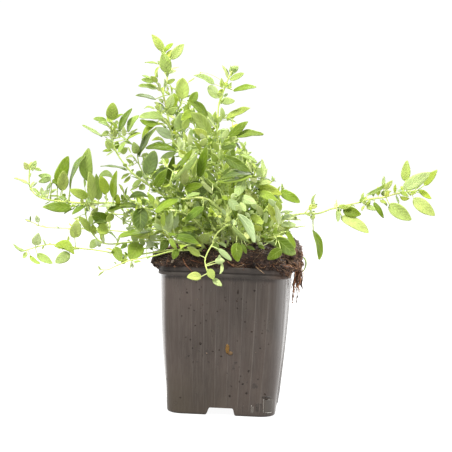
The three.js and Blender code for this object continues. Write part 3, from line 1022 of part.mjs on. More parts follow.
// The largest leaves: the shoot that carries each, then as above.
const LARGE_LEAVES = {
  leaf_front_left_inner: ["shoot_front_left_inner", 0, [-37.3, -36.4, 158.6], [-36.8, -41.3, 157.4], [-19.7, -46, 178.2], 10.9, [-0.72, 0.25, 0.65], 0, [0, 0, 0]],
  leaf_left_long_a: ["shoot_left_long", 0, [-103.2, -47.3, 141.7], [-103.1, -49.9, 151], [-93.2, -55.1, 174.2], 10.3, [-0.9, -0.31, 0.31], 8, [-0.8, -0.1, 0.3]],
  leaf_left_upper_a: ["shoot_left_upper", 1, [-60.5, -33.6, 173.1], [-59.7, -34.7, 172.9], [-48, -41.8, 192.8], 9.7, [-0.81, -0.51, 0.29], 16, [0, 0, 0]],
  leaf_left_long_b: ["shoot_left_long", 0, [-112.2, -46.6, 142.2], [-111.7, -48.8, 151.6], [-103.5, -56.2, 172.9], 9.6, [-0.42, -0.89, -0.15], 12, [0, 0, 0]],
  leaf_right_long_a: ["shoot_right_long", 0, [119.4, 30, 150.2], [118.9, 28.5, 153], [137, 23.8, 165.2], 10.2, [-0.22, -0.97, -0.05], 12, [0, 0, 0]],
  leaf_front_left_outer: ["shoot_front_left_outer", 1, [-19.3, -34.7, 162.1], [-19.4, -37.9, 159.6], [-13.5, -45.5, 181.4], 9.5, [-0.47, -0.86, -0.17], 16, [0, 0, 0]],
  leaf_tall_left: ["shoot_tall_left", 0, [-35.7, -15.5, 178.3], [-35.6, -17.7, 177], [-55.1, -31.2, 179.1], 9.5, [0.35, -0.37, 0.86], 14, [0.1, 0.1, 0.9]],
  leaf_left_long_c: ["shoot_left_long", 0, [-90.5, -47.1, 141.6], [-91.5, -47.9, 156.3], [-90.4, -54.8, 178.2], 9.2, [-0.29, -0.92, -0.27], 14, [0, 0, 0]],
  leaf_front_leaning_high: ["shoot_front_leaning_high", 0, [-7.8, -37.8, 155.7], [-6.2, -35.9, 158.7], [16.2, -38.2, 163.2], 9.2, [-0.21, -0.16, 0.96], 0, [0.1, 0, -0.6]],
  leaf_centre_right: ["shoot_centre_right", 0, [16.8, -26.8, 161.7], [17.1, -31.1, 163.8], [-3.4, -40.6, 160.7], 9.1, [0.07, -0.44, 0.9], 8, [-0.2, 0.1, 1]],
  leaf_right_long_b: ["shoot_right_long", 0, [74.5, 7.5, 140.3], [76.4, 6.2, 134.2], [95.8, -0.4, 124.5], 9.1, [0.05, -0.77, 0.63], 8, [0, 0, 0]],
  leaf_centre: ["shoot_centre", 0, [-7, -8.6, 185.8], [-14.3, -14.5, 188.5], [-25.7, -27.4, 203], 9, [0.72, -0.69, -0.04], 16, [0.5, 0.1, 0.4]],
  leaf_left_middle: ["shoot_left_middle", 0, [-52.3, -30.1, 116], [-49.4, -43.3, 123.7], [-69.5, -52.8, 120.3], 9, [0.01, -0.35, 0.94], 12, [-0.1, 0, 0.5]],
  leaf_front_left_low: ["shoot_front_left_low", 0, [-44.1, -53.5, 126.9], [-44.7, -54.6, 137.5], [-29.5, -41.4, 146.5], 8.8, [-0.18, -0.4, 0.9], 8, [0, 0, 0]],
  leaf_left_upper_b: ["shoot_left_upper", 1, [-56.3, -29.9, 160.1], [-54.7, -31.9, 160.9], [-48.8, -41.5, 177.4], 9.6, [-0.06, -0.87, -0.49], 10, [0, 0, 0]],
  leaf_right_long_c: ["shoot_right_long", 0, [56.6, -2.2, 136], [57.1, -5.7, 125.2], [62.4, -14.4, 106.1], 8.7, [0.7, -0.56, 0.45], 18, [1.2, 0.1, 0.3]],
  leaf_front_short_b: ["shoot_front_short_b", 0, [9, -48.9, 138.1], [9.6, -51.3, 138.2], [20.9, -56.4, 120.5], 8.6, [0.62, 0.76, 0.18], 10, [1.1, 0.1, 0.7]],
};

// ------------------------------------------------------------------- assembly
const oregano = new THREE.Group();

const rootBall = makeRootBall();
oregano.add(mesh("pot", makePot(), POT_PLASTIC));
oregano.add(mesh("compost_root_ball", rootBall, COMPOST));

// the shoots end a little above the compost
const above = mesh("cut", rootBall, COMPOST).geometry;
above.translate(0, 0, GAP);
const cut = solid(above);

const built = {};
for (const [name, shoot] of Object.entries(SHOOTS)) {
  const made = [];
  for (const [r0, r1, from, path] of shoot.stems) {
    const points = path.map((p) => p.slice());
    if (from >= 0) points[0] = onAxis(made[from], points[0]);
    made.push(stem(points, r0, r1));
  }
  built[name] = made;
  const pieces = [union(made.map((m) => m.body)).subtract(cut)];
  for (const [on, a, b, e, width, n, fold, bend] of shoot.leaves)
    pieces.push(leaf(onAxis(made[on], a), b, e, width, n, fold, bend, 0));
  oregano.add(mesh(name, union(pieces), STEM_GREEN));
}

for (const [name, row] of Object.entries(LARGE_LEAVES)) {
  const [shoot, on, a, b, e, width, n, fold, bend] = row;
  const [r0, r1] = SHOOTS[shoot].stems[on];
  const clear = Math.max(r0, r1) + GAP + 0.1;
  const blade = leaf(onAxis(built[shoot][on], a), b, e, width, n, fold, bend, clear);
  oregano.add(mesh(name, blade, LEAF_GREEN));
}

export default oregano;
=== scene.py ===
"""Oregano plant in its nursery pot: the visual model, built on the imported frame.

Lengths in the tables are millimetres in the frame of the part, and become
metres when a mesh is made. Every random choice is seeded.
"""

import math
import random

import bmesh
import bpy
import numpy as np
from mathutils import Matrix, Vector, noise
from mathutils.bvhtree import BVHTree


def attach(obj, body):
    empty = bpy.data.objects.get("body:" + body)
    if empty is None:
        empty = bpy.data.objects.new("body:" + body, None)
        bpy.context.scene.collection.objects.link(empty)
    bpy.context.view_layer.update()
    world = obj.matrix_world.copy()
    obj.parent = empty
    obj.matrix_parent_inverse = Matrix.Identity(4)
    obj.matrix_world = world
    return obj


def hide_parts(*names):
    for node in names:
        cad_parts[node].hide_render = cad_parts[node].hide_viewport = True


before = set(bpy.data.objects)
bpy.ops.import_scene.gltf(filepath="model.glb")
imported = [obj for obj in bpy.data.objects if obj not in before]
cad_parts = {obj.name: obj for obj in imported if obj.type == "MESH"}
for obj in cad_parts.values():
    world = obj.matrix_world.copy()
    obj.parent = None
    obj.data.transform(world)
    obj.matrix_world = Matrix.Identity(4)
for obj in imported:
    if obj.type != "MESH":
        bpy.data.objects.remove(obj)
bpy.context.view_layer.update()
MM = 0.001

# ---------------------------------------------------------------------- tables

# Stems: the part they belong to, the stem they branch from, radius at the foot and
# at the tip, and the points they pass through.
STEMS = {
    "T": ("shoot_tall_left", None, .95, .5, [
        (-4.5,4,108.6),(-5.4,3.5,113.5),(-6.8,2.8,118.3),(-8.4,2.6,123),(-10.2,2.1,127.6),(-11.9,.8,132.1),
        (-13.2,-1.5,136.3),(-14.2,-3.3,140.9),(-15.3,-4.1,145.7),(-16.6,-4.9,150.4),(-18.1,-6,155),(-19.8,-7.4,159.5),
        (-21.8,-9,163.8),(-24.1,-10.9,167.8),(-26.8,-13,171.5),(-29.9,-14.7,174.9),(-34.2,-15.6,177.2),(-37.7,-14.8,180.5),
        (-39.6,-13.9,185),(-41,-13.2,189.7),(-42.3,-12.3,194.5),(-43.4,-11.5,199.3),(-44.5,-10.6,204.1),(-45.6,-9.5,208.8),
        (-47.2,-8.7,213.5),(-46.8,-8.6,218.3),(-45.1,-7.8,222.9),(-45.1,-6.7,227.7),(-45.8,-5.4,232.5),(-46.6,-4.3,237.3),
        (-47.4,-3.6,242.1),
    ]),
    "TS": ("shoot_tall_left", "T", .5, .35, [
        (-46.3,-9,211.1),(-47.1,-12.7,214.3),(-48.3,-16.1,217.6),(-49.8,-19.3,221),(-51.1,-22.2,224.8),(-50.6,-23.8,229.2),
        (-48.2,-24.7,233.4),
    ]),
    "TB": ("shoot_tall_left", "T", .55, .35, [
        (-41.1,-13.1,190.1),(-42.8,-16.7,193.9),(-45.2,-20.5,197),(-46.9,-23.8,201),(-48.2,-25.7,206),
    ]),
    "G": ("shoot_tall_middle", None, .95, .45, [
        (.9,13,109.8),(1,12.1,114.7),(.6,10.6,119.4),(-.2,9.8,124.3),(-1.2,9.8,129.2),(-1.9,9.8,134.1),
        (-2.7,9.5,139),(-3.4,9.1,144),(-4.1,8.7,148.9),(-4.9,8.2,153.8),(-5.7,7.8,158.7),(-6.6,7.4,163.6),
        (-7.6,7,168.5),(-8.7,6.6,173.4),(-9.6,6.2,178.3),(-10.2,5.7,183.2),(-10.7,5.3,188.2),(-11,5.1,193.1),
        (-10.8,5.2,198.1),(-10.6,5.2,203.1),(-10.2,4.5,208),(-8.8,4.4,212.8),(-7.2,3.8,217.4),(-5.6,3.5,222.1),
        (-3.8,3.7,226.8),(-1.9,4.9,231.2),
    ]),
    "S2": ("shoot_upper_middle", None, .85, .4, [
        (-8.3,13.4,109.4),(-9.6,13.4,114.1),(-11.2,13.4,118.7),(-12.8,13.3,123.4),(-14.4,13.3,128),(-16,13.1,132.6),
        (-17.6,12.7,137.2),(-19.3,12.2,141.8),(-20.9,11.5,146.4),(-22.5,10.7,150.9),(-24.2,9.8,155.4),(-25.8,8.9,159.9),
        (-27.5,8.1,164.5),(-29.2,7.4,169),(-30.9,6.8,173.5),(-32.7,6.1,178.1),(-34.3,5.5,182.6),(-35.8,4.7,187.2),
        (-37.1,3.8,191.9),(-38.2,2.9,196.6),(-38.7,2.1,201.3),(-37,1.3,205.8),(-35.6,.3,210.4),
    ]),
    "A": ("shoot_left_upper", None, .95, .45, [
        (-13.2,-3.2,108.6),(-15,-4.1,113.2),(-17.5,-6.3,117),(-19.6,-8.8,120.8),(-21.8,-10.9,124.9),(-24.4,-12.6,128.9),
        (-27.4,-14.1,132.6),(-30.7,-15.8,136),(-34.1,-17.6,139.3),(-37.6,-19.6,142.4),(-41.3,-21.8,145.1),(-45.1,-24.1,147.6),
        (-48.9,-25.9,150.3),(-52.7,-27.6,153.1),(-56.4,-29.9,155.8),(-59.9,-32.2,158.5),(-63.5,-34.1,161.5),(-66.8,-35.6,165),
        (-69.9,-36.7,168.9),(-72.7,-37.8,173),(-75,-38.8,177.4),(-76.8,-39.9,181.9),(-77.6,-40.9,186.8),(-77.5,-40.9,191.9),
        (-77.2,-40.9,196.9),
    ]),
    "A2": ("shoot_left_upper", "A", .7, .4, [
        (-53.7,-28.1,153.8),(-55.7,-29.4,158.6),(-57.8,-30.9,163.3),(-59.7,-32.6,168),(-60.5,-33.6,173.1),
    ]),
    "A3": ("shoot_left_upper", "A2", .45, .3, [
        (-59.7,-32.6,167.7),(-61.7,-35.8,170.7),(-64.4,-37.9,174.3),
    ]),
    "B": ("shoot_left_long", None, .95, .45, [
        (-14,-18.1,109.1),(-16.1,-19.7,113.3),(-19.1,-21.9,116.6),(-22.2,-24.1,119.8),(-25.4,-26.3,122.9),(-28.8,-28.6,125.8),
        (-32.3,-30.9,128.3),(-35.9,-33.5,130.6),(-39.9,-35.9,132.4),(-44.4,-37.5,133.8),(-49,-38.7,135.2),(-53.3,-40,137.3),
        (-57.6,-41.2,139.5),(-62.3,-42.2,140.8),(-67.2,-43,141.5),(-72,-44,141.8),(-76.9,-45.2,141.9),(-81.8,-46.2,141.9),
        (-86.7,-46.8,141.8),(-91.7,-47.1,141.6),(-96.6,-47.3,141.5),(-101.6,-47.3,141.6),(-106.6,-47.1,141.9),(-111.5,-46.7,142.1),
        (-116.4,-46.1,142.5),(-121.3,-45.3,143.4),(-125.9,-44.5,145),(-129.6,-43.9,148.3),(-131.6,-43,152.6),(-131.8,-43,157.6),
        (-131.6,-43,162.6),
    ]),
    "C": ("shoot_left_behind", None, .75, .35, [
        (-20.2,21.4,109),(-24.8,22.6,110.7),(-29.6,23.4,112.2),(-34.5,23.6,113.6),(-39.5,23.6,114.9),(-44.5,24,115.8),
        (-49.5,24.2,116.2),(-54.6,24.3,116.4),(-59.7,24.3,116.3),(-64.8,24.2,116.1),(-69.9,23.9,116),(-75,23.5,115.9),
        (-80.1,23.1,116),(-85.2,22.7,116.3),(-90.2,22.1,116.5),(-95.3,21.4,116.7),(-100.3,20.7,116.8),(-105.4,20,117),
        (-110.4,19.2,117.1),(-115.4,18.4,117.2),(-120.5,17.6,117.2),(-125.5,16.8,117.2),(-130.6,16.2,117.4),(-135.5,15.8,118.5),
        (-140,14.7,120.7),(-144.8,14.2,122.3),
    ]),
    "D": ("shoot_left_low", None, .8, .4, [
        (-19.1,-23.9,109.2),(-22.7,-26.7,110.7),(-26.9,-29.5,110.9),(-31.1,-32.2,111),(-35.5,-34.7,110.9),(-39.9,-37.1,110.6),
        (-44.3,-39.5,110),(-48.9,-41.6,109.3),(-53.6,-43.3,108.6),(-58.3,-44.7,107.8),(-63.2,-46,107.5),(-68.1,-46.9,108),
        (-73,-47.8,108.9),(-77.8,-49,109.8),(-82.8,-49.9,110.5),(-87.7,-50.7,111.1),(-92.7,-51.1,111.4),(-97.7,-51.5,112),
        (-102.7,-51.8,112.7),(-107.7,-52.2,113.3),(-112.8,-52.6,113.6),(-117.8,-53,113.3),(-122.7,-53.3,112.1),(-127.4,-53.7,110.5),
        (-132.2,-54,108.8),
    ]),
    "E": ("shoot_left_drooping", None, .7, .35, [
        (-13.2,-32.3,107.9),(-16.1,-34.8,111.1),(-19.6,-38,111.9),(-23.2,-41.3,112.1),(-27,-44.5,112.2),(-30.8,-47.6,112.1),
        (-34.8,-50.5,111.8),(-38.9,-53.1,110.9),(-43.2,-55.1,109.6),(-47.8,-56.8,108.5),(-52.3,-58.6,107.7),(-56.8,-60.4,106.9),
        (-61.4,-61.8,105.8),(-65.8,-63,103.9),(-70.2,-64.2,101.9),(-74.5,-65.4,99.8),(-79.2,-66.1,100),
    ]),
    "F": ("shoot_left_middle", None, .85, .4, [
        (-17.4,-15.2,109.2),(-21.1,-17,111.5),(-25.3,-19.3,112.8),(-29.5,-21.4,114),(-33.9,-23.4,114.9),(-38.5,-25.2,115.7),
        (-43.1,-26.8,116.1),(-47.7,-28.5,116.2),(-52.4,-30.1,116),(-57,-31.7,115.7),(-61.7,-33.2,115.3),(-66.4,-34.4,114.7),
        (-71.2,-35.5,114.1),(-76,-36.5,113.6),(-80.8,-37.2,113.9),(-85.2,-37.5,116),(-88.6,-37.7,119.6),(-91.1,-37.9,123.8),
        (-92.8,-38,128.4),(-94,-38.1,133.2),(-94.7,-38.2,138),
    ]),
    "FB": ("shoot_left_middle", "F", .45, .3, [
        (-52.3,-30.1,116),(-55.4,-32.7,119.4),(-58.6,-35.3,122.8),(-61.9,-37.6,126.2),(-66.3,-39.6,128.4),(-70.1,-41.1,131.6),
        (-74.2,-42.7,134.5),
    ]),
    "R": ("shoot_right_long", None, 1, .5, [
        (11.6,-12.5,111.3),(14.9,-13.3,114.8),(18.7,-14.4,117.8),(22.6,-15.3,120.7),(26.4,-14.8,123.8),(30.2,-14,126.9),
        (34,-12.7,129.7),(38,-11,132.1),(42.1,-9.1,134.1),(46.4,-7.1,135.4),(50.9,-5,136),(55.3,-2.8,136.1),
        (59.7,-.5,135.9),(63.8,1.9,136.8),(67.9,4.1,138.6),(72.2,6.2,139.7),(76.4,8.5,140.8),(80.7,10.8,141.7),
        (85,13,142.5),(89.3,15.4,143.5),(93.3,17.8,144.9),(97.6,20.1,145.8),(102.1,22.2,146.3),(106.5,24.3,147),
        (110.7,26.5,148.3),(115.1,28.5,149.5),(119.7,30.2,150.2),(124.3,31.9,150.9),(128.8,33.7,151.6),
    ]),
    "RS": ("shoot_right_long", "R", .4, .3, [
        (51.3,-4.8,136),(53.8,-4.9,138.9),(56.2,-5.8,141.7),
    ]),
    "RP": ("stalk_right_bare", None, .55, .35, [
        (14.4,-6,110.9),(17,-4.6,114.8),(20.6,-2.7,117.4),(24.5,-.9,119.9),(28.6,.6,122),(33.1,1.8,123.6),
        (37.8,2.9,124.8),(42.5,4,125.4),(47.3,4.9,125.8),(52.1,5.9,126.4),
    ]),
    "H": ("shoot_front_trailing", None, .75, .4, [
        (3.5,-20.4,110),(4.6,-24,116.5),(5.2,-28.5,123),(4.6,-33,128),(2.2,-36.4,129.3),(-1.2,-39.2,127.6),
        (-4.2,-41.6,125),(-6.4,-44.4,121.8),(-7,-47.5,118.2),(-8.9,-50.8,114.6),(-10.7,-53.6,110.6),(-11.2,-56.6,106.5),
        (-9.7,-58.7,102),(-7.7,-59.7,97.4),
    ]),
    "J": ("shoot_front_left_inner", None, .8, .4, [
        (-9,-7.2,109.8),(-11.5,-9.8,113.4),(-14.4,-12.6,116.4),(-17.4,-15.3,119.5),(-20.5,-18,122.6),(-23.5,-20.6,125.8),
        (-26.5,-23,129.1),(-29.3,-25.4,132.7),(-31.9,-27.6,136.4),(-34.3,-29.7,140.4),(-36.2,-31.8,144.6),(-37.5,-33.6,149.1),
        (-38,-35.2,154),(-37.2,-36.5,158.8),(-36,-37.8,163.6),
    ]),
    "J2": ("shoot_front_left_outer", None, .8, .35, [
        (-4.1,-3.8,110.2),(-5.4,-5.7,114.6),(-7,-7.9,118.8),(-8.6,-10.1,123),(-10.1,-12.2,127.2),(-11.5,-14.5,131.4),
        (-12.9,-16.9,135.5),(-14.5,-19.4,139.5),(-16.3,-21.7,143.6),(-18.2,-23.6,147.7),(-20.3,-25.1,152),(-22.4,-26.5,156.3),
        (-24.3,-27.8,160.7),(-26.2,-28.7,165.2),(-27.7,-29.4,169.9),(-28.8,-29.4,174.8),(-29.5,-29,179.7),(-29.8,-28.3,184.6),
    ]),
    "J3": ("shoot_front_left_outer", "J2", .55, .35, [
        (-23,-26.9,157.7),(-21.5,-30.9,159.6),(-19.6,-34.3,161.8),(-16.9,-36.8,164.5),(-14.4,-39.1,167.6),(-12.5,-41,171.3),
    ]),
    "I1": ("shoot_front_leaning_low", None, .95, .5, [
        (7.5,-12.8,111.1),(6.5,-15.3,115),(5.3,-18.4,118.6),(4.2,-21.6,122.1),(2.9,-24.8,125.6),(1.5,-27.7,129.3),
        (0,-30.3,133.2),(-1.9,-32.8,136.9),(-4.6,-35.5,140),(-7.7,-37.9,142.9),(-11,-40,145.8),(-15.1,-42.1,147.4),
        (-19.5,-44.1,147.4),(-23.9,-46.2,147.1),(-28.4,-48.3,146.7),
    ]),
    "I2": ("shoot_front_leaning_high", None, .85, .4, [
        (6.8,-4.3,110.8),(5.8,-6.5,115.3),(4.9,-9.6,119.1),(4.2,-13,122.9),(3.4,-16.3,126.7),(2.5,-19.4,130.6),
        (1.4,-22.4,134.6),(.1,-25.2,138.7),(-1.2,-28,142.7),(-2.5,-30.7,146.8),(-3.5,-33.4,151),(-6,-36.2,154.3),
        (-9.3,-39.1,157),(-12.1,-42,160.1),
    ]),
    "N1": ("shoot_centre", None, .9, .4, [
        (2,2.6,109.7),(1.8,1.1,114.4),(1.6,-.7,119),(1.3,-2.5,123.7),(1,-4.3,128.4),(.6,-5.9,133),
        (0,-7.5,137.7),(-.6,-9.1,142.4),(-1.2,-10.6,147.1),(-2,-11.8,151.9),(-2.8,-12.6,156.8),(-3.7,-12.8,161.7),
        (-4.7,-12.7,166.6),(-5.6,-12.4,171.4),(-6.3,-11.6,176.3),(-6.7,-10.1,181.1),(-7,-8.6,185.8),
    ]),
    "U": ("shoot_centre_right", None, .9, .4, [
        (7.9,-1.2,110.4),(7.6,-3.2,114.9),(7.3,-5.7,119.2),(6.9,-8.3,123.6),(6.5,-11,127.8),(6.4,-13.9,131.9),
        (6.1,-16.5,136.2),(5.6,-18.7,140.7),(5.4,-20.9,145.3),(5.8,-22.9,149.8),(7.3,-24.7,154.3),(9.9,-26.2,158.3),
        (14.1,-27,160.9),(18.9,-26.1,161.8),(22.7,-23.9,164),
    ]),
    "V": ("shoot_centre_right_short", None, .85, .45, [
        (9.4,4.7,111.6),(10,2.7,116.2),(10.5,.6,120.8),(11.1,-1.6,125.4),(11.6,-3.9,129.8),(12.1,-6.5,134.1),
        (12.6,-9.3,138.3),(13.3,-12.1,142.5),(14.3,-15,146.5),(15.9,-17.9,150.3),(18.7,-20.7,153.5),
    ]),
    "W": ("shoot_front_short_a", None, .85, .4, [
        (8.2,-20.9,110),(7.6,-23.8,114.3),(6.8,-27.2,118.1),(6.2,-30.8,121.8),(5.4,-34.6,125.3),(4.2,-38.3,128.8),
        (2.7,-42.1,132.1),(1,-46.1,135),
    ]),
    "W2": ("shoot_front_short_b", None, .7, .35, [
        (10.5,-17.2,110.2),(10.5,-20,114),(10.5,-24.3,116.4),(10,-28.4,119),(9.6,-32.3,121.8),(9.4,-36,125),
        (9.3,-39.6,128.2),(9.1,-43.1,131.6),(8.9,-46.5,135),(9.1,-49.5,138.9),
    ]),
    "P1": ("shoot_front_left_low", None, .7, .35, [
        (-18.6,-26.3,108.3),(-20.5,-28.9,111.7),(-23.1,-32.5,113.3),(-25.7,-36.3,114.9),(-28.2,-40,116.5),(-31.1,-43.6,118),
        (-34.1,-47,119.5),(-36.3,-50.4,121.9),(-38,-52.6,125.5),(-42.4,-53.4,127),(-47.1,-53.7,126.6),
    ]),
    "P2": ("shoot_front_left_low", "P1", .5, .3, [
        (-35.6,-48.8,120.6),(-33.1,-52.5,117.8),(-30.7,-55.4,114.2),
    ]),
    "X": ("shoot_front_right_short", None, .7, .4, [
        (18.9,-15.9,112),(21.6,-18.2,115.6),(24.6,-21,118.7),(27.6,-23.5,122.1),(30.4,-26.6,124.7),(32.2,-31.2,123.5),
        (34,-35.6,121.5),
    ]),
    "Q": ("shoot_right_inner", None, .8, .4, [
        (11.5,-7.4,111.2),(13.3,-9.9,115.1),(15.3,-13.1,118.4),(17.1,-16.5,121.6),(18.7,-20,124.8),(20,-23.5,128.1),
        (21.3,-26.9,131.6),(22.9,-30,135.2),(25.1,-32.3,139),(27.8,-34,142.9),
    ]),
    "b1": ("shoot_back_centre", "b2", .9, .4, [
        (.5,18,115),(5.5,17.7,116.2),(8.9,18.6,118.6),(10.2,21.2,122.8),(11.6,24,126.9),(13,27,130.8),
        (14.5,30.1,134.5),(16.1,33.5,138.1),(17.8,36.9,141.5),(19.6,40.5,144.6),(21.6,44,147.8),(23.6,47.7,150.7),
        (25.8,51.6,153.2),
    ]),
    "b2": ("shoot_back_centre", None, .9, .4, [
        (.5,16,111),(.5,18.3,115.5),(.6,20.7,120),(.7,23.2,124.3),(.8,25.9,128.6),(.9,28.7,132.8),
        (.9,31.7,136.9),(1,34.8,140.8),(1.1,38.2,144.6),(1.2,41.5,148.4),(1.4,44.8,152.1),(1.5,48.4,155.8),
        (1.6,52.1,159.2),(1.8,56,162.4),(1.9,60,165.4),(2.1,64.3,168.1),(2.2,68.7,170.5),(2.4,73.3,172.6),
        (2.5,78,174.3),(2.7,82.8,176),
    ]),
    "b3": ("shoot_back_left", None, .9, .4, [
        (-6.1,14.8,110.5),(-7.1,17.3,114.7),(-8.2,19.9,118.9),(-9.3,22.6,122.9),(-10.5,25.6,126.8),(-11.8,28.7,130.6),
        (-13.1,31.9,134.2),(-14.5,35.3,137.6),(-15.9,38.9,140.8),(-17.6,42.4,144),(-19.3,46,147),(-21.1,49.8,149.8),
        (-23,53.7,152.3),(-25,57.8,154.4),(-27.1,62,156.2),(-29.2,66.3,157.7),(-31.3,70.7,158.7),(-33.5,75.2,159.2),
        (-35.7,79.7,159.6),
    ]),
    "b4": ("shoot_back_left_high", None, .9, .4, [
        (-11.6,11.1,110),(-13.3,12.7,114.5),(-15,14.4,119),(-16.9,16.2,123.3),(-19,18.2,127.5),(-21.2,20.2,131.6),
        (-23.5,22.5,135.5),(-26,24.8,139.3),(-28.5,27.3,142.9),(-31.3,29.9,146.3),(-34.1,32.6,149.5),(-37.1,35.5,152.5),
        (-40.2,38.4,155.2),(-43.5,41.3,157.8),(-47,44.1,160.2),(-50.6,47.1,162.1),(-54.3,50.1,163.9),
    ]),
    "b5": ("shoot_back_low_left", None, .9, .4, [
        (-3.9,21.6,110.7),(-4.7,25.7,113.8),(-5.4,29.7,116.8),(-6.2,34,119.5),(-7,38.4,122),(-7.9,42.8,124.5),
        (-8.8,47.3,126.6),(-9.8,52,128.5),(-10.9,56.8,129.8),(-11.9,61.7,130.8),(-13,66.7,131.2),(-14.1,71.7,131.2),
        (-15.2,76.7,130.4),(-16.2,81.6,129.5),
    ]),
    "b6": ("shoot_back_low_right", None, .9, .4, [
        (5.2,21.4,111.4),(6.2,25.4,114),(7.2,29.5,116.6),(8.2,33.6,118.9),(9.2,37.9,121.1),(10.4,42.1,123.2),
        (11.6,46.4,125.3),(12.9,50.8,127),(14.2,55.3,128.5),(15.5,59.9,129.6),(16.8,64.5,130.3),(18.2,69.2,130.7),
        (19.5,73.9,130.6),(20.9,78.6,130.3),
    ]),
    "b7": ("shoot_back_left_low", None, .75, .4, [
        (-12.4,18.2,110),(-14.6,21.4,113),(-16.8,24.7,115.9),(-19.2,28.1,118.5),(-21.6,31.7,120.9),(-24.1,35.3,123),
        (-26.7,39.1,124.9),(-29.5,42.8,126.6),(-32.5,46.4,128),(-35.5,50.2,129.1),(-38.6,54,129.7),(-41.7,57.8,130),
        (-44.7,61.6,129.7),(-47.8,65.5,129.2),
    ]),
    "b8": ("shoot_left_back_high", None, .75, .4, [
        (-16.2,7.8,109.6),(-18.4,8.9,113.8),(-20.7,10,118),(-23.2,11.2,122),(-25.9,12.5,125.9),(-28.7,13.8,129.6),
        (-31.7,15.3,133.2),(-34.9,16.8,136.6),(-38.2,18.4,139.8),(-41.6,20,142.9),(-45.2,21.8,145.7),(-48.9,23.6,148.2),
        (-52.8,25.4,150.6),(-56.8,27.4,152.6),(-60.9,29.3,154.5),
    ]),
    "b9": ("shoot_centre_right_short", "V", .9, .4, [
        (9.7,3.6,114),(12.2,7.7,114.8),(14.7,11.7,115.7),(17,14.4,118.2),(19.2,16.3,122.1),(21.6,18.3,125.8),
        (24,20.3,129.4),(26.5,22.5,132.8),(29.2,24.8,136.1),(32,27.2,139.2),
    ]),
    "b10": ("shoot_back_tall", None, .9, .4, [
        (-1.2,9,111),(-1.8,11,115.5),(-1.8,13,120),(-1.5,14.4,124.7),(-1.3,15.3,129.6),(-1.3,16.4,134.4),
        (-1.3,17.8,139.2),(-1.5,19.5,143.9),(-1.6,21.2,148.5),(-1.7,23.1,153.1),(-1.9,25,157.7),(-2,27.1,162.2),
        (-2.2,29.3,166.6),(-2.4,31.5,171),(-2.5,33.9,175.4),(-2.7,36.4,179.6),(-2.9,39,183.9),(-3.1,41.6,188.1),
        (-3.4,44.1,192.4),(-3.6,46.7,196.6),
    ]),
    "b11": ("shoot_tall_middle", "G", .9, .4, [
        (1,11.7,116),(3.2,9.1,119),(3.6,10.1,124),(4,11.3,129),(4.5,12.5,134),(5,13.9,138.9),
        (5.5,15.4,143.8),(6.1,16.9,148.7),(6.7,18.6,153.5),(7.3,20.4,158.3),(8,22.3,163),(8.7,24.4,167.7),
        (9.5,26.5,172.3),
    ]),
    "b12": ("shoot_back_tall_left", None, .9, .4, [
        (-4.3,6.8,110.6),(-4.8,7.6,115.5),(-5.3,8.4,120.3),(-5.9,9.4,125.1),(-6.6,10.4,129.8),(-7.3,11.5,134.6),
        (-8,12.7,139.3),(-8.8,14,143.9),(-9.7,15.3,148.6),(-10.6,16.8,153.2),(-11.6,18.4,157.7),(-12.7,20.1,162.2),
        (-13.8,21.9,166.7),(-15,23.7,171),(-16.3,25.7,175.4),(-17.6,27.8,179.6),(-19,30,183.8),(-20.4,32.3,187.9),
    ]),
    "b13": ("shoot_centre_right_short", "V", .75, .4, [
        (9.7,3.6,114),(14.4,6.1,114.6),(19,8.5,115.2),(22.9,10.4,117.6),(26.5,11.9,121.2),(30.1,13.6,124.7),
        (34,15.3,127.8),(38,17.1,130.8),(42.1,19,133.4),
    ]),
    "b14": ("shoot_left_back_low", None, .75, .4, [
        (-19.2,5.4,109.4),(-22.4,6.3,113.2),(-25.7,7.2,116.8),(-29.3,8.2,120.2),(-33,9.3,123.3),(-36.9,10.4,126.2),
        (-41,11.5,128.9),(-45.3,12.7,131.2),(-49.7,14,133.3),(-54.2,15.2,135),(-58.8,16.5,136.4),(-63.5,17.9,137.5),
        (-68.3,19.2,138.1),(-73.1,20.6,138.5),
    ]),
    "u1": ("shoot_centre_right", "U", .9, .4, [
        (7.7,-2.9,114.3),(6.7,.6,116.6),(7.3,.6,121.4),(8,.6,126.2),(8.8,.7,130.9),(9.7,.7,135.7),
        (10.7,.8,140.4),(11.7,.9,145.1),(12.8,1,149.8),(14,1.1,154.4),(15.3,1.1,159.1),(16.7,1.2,163.7),
        (18.1,1.4,168.3),
    ]),
    "u2": ("shoot_inner_left", None, .9, .4, [
        (-8,-.6,110.3),(-8.6,-.8,115.4),(-9.1,-1.2,120.5),(-9.6,-1.9,125.5),(-9.9,-2.1,130.6),(-10.4,-1.2,135.6),
        (-11.5,-.3,140.5),(-12.9,-.4,145.4),(-14.1,-.9,150.3),(-15.2,-1.1,155.3),(-16.3,-1.2,160.3),(-17.5,-1.3,165.3),
        (-18.8,-1.4,170.2),(-20.1,-1.5,175.1),(-21.6,-1.6,180),(-23.1,-1.7,184.9),(-24.7,-1.8,189.8),(-26.4,-2,194.6),
        (-28.1,-2.1,199.4),(-29.9,-2.2,204.2),
    ]),
    "u3": ("shoot_front_left_outer", "J2", .9, .4, [
        (-5.2,-5.4,114.1),(-3.2,-10,114.9),(-3.2,-11.4,119.3),(-3.5,-12.6,124.2),(-3.9,-13.8,129.1),(-4.3,-15.3,133.9),
        (-4.7,-16.8,138.6),(-5.2,-18.6,143.3),(-5.7,-20.4,148),(-6.3,-22.4,152.6),(-6.9,-24.6,157.1),(-7.6,-26.9,161.5),
        (-8.3,-29.4,165.8),(-9,-32,170),(-9.8,-34.8,174.1),(-10.6,-37.8,178.1),(-11.5,-40.9,181.9),(-12.4,-44.1,185.8),
    ]),
    "u4": ("shoot_front_leaning_high", "I2", .9, .4, [
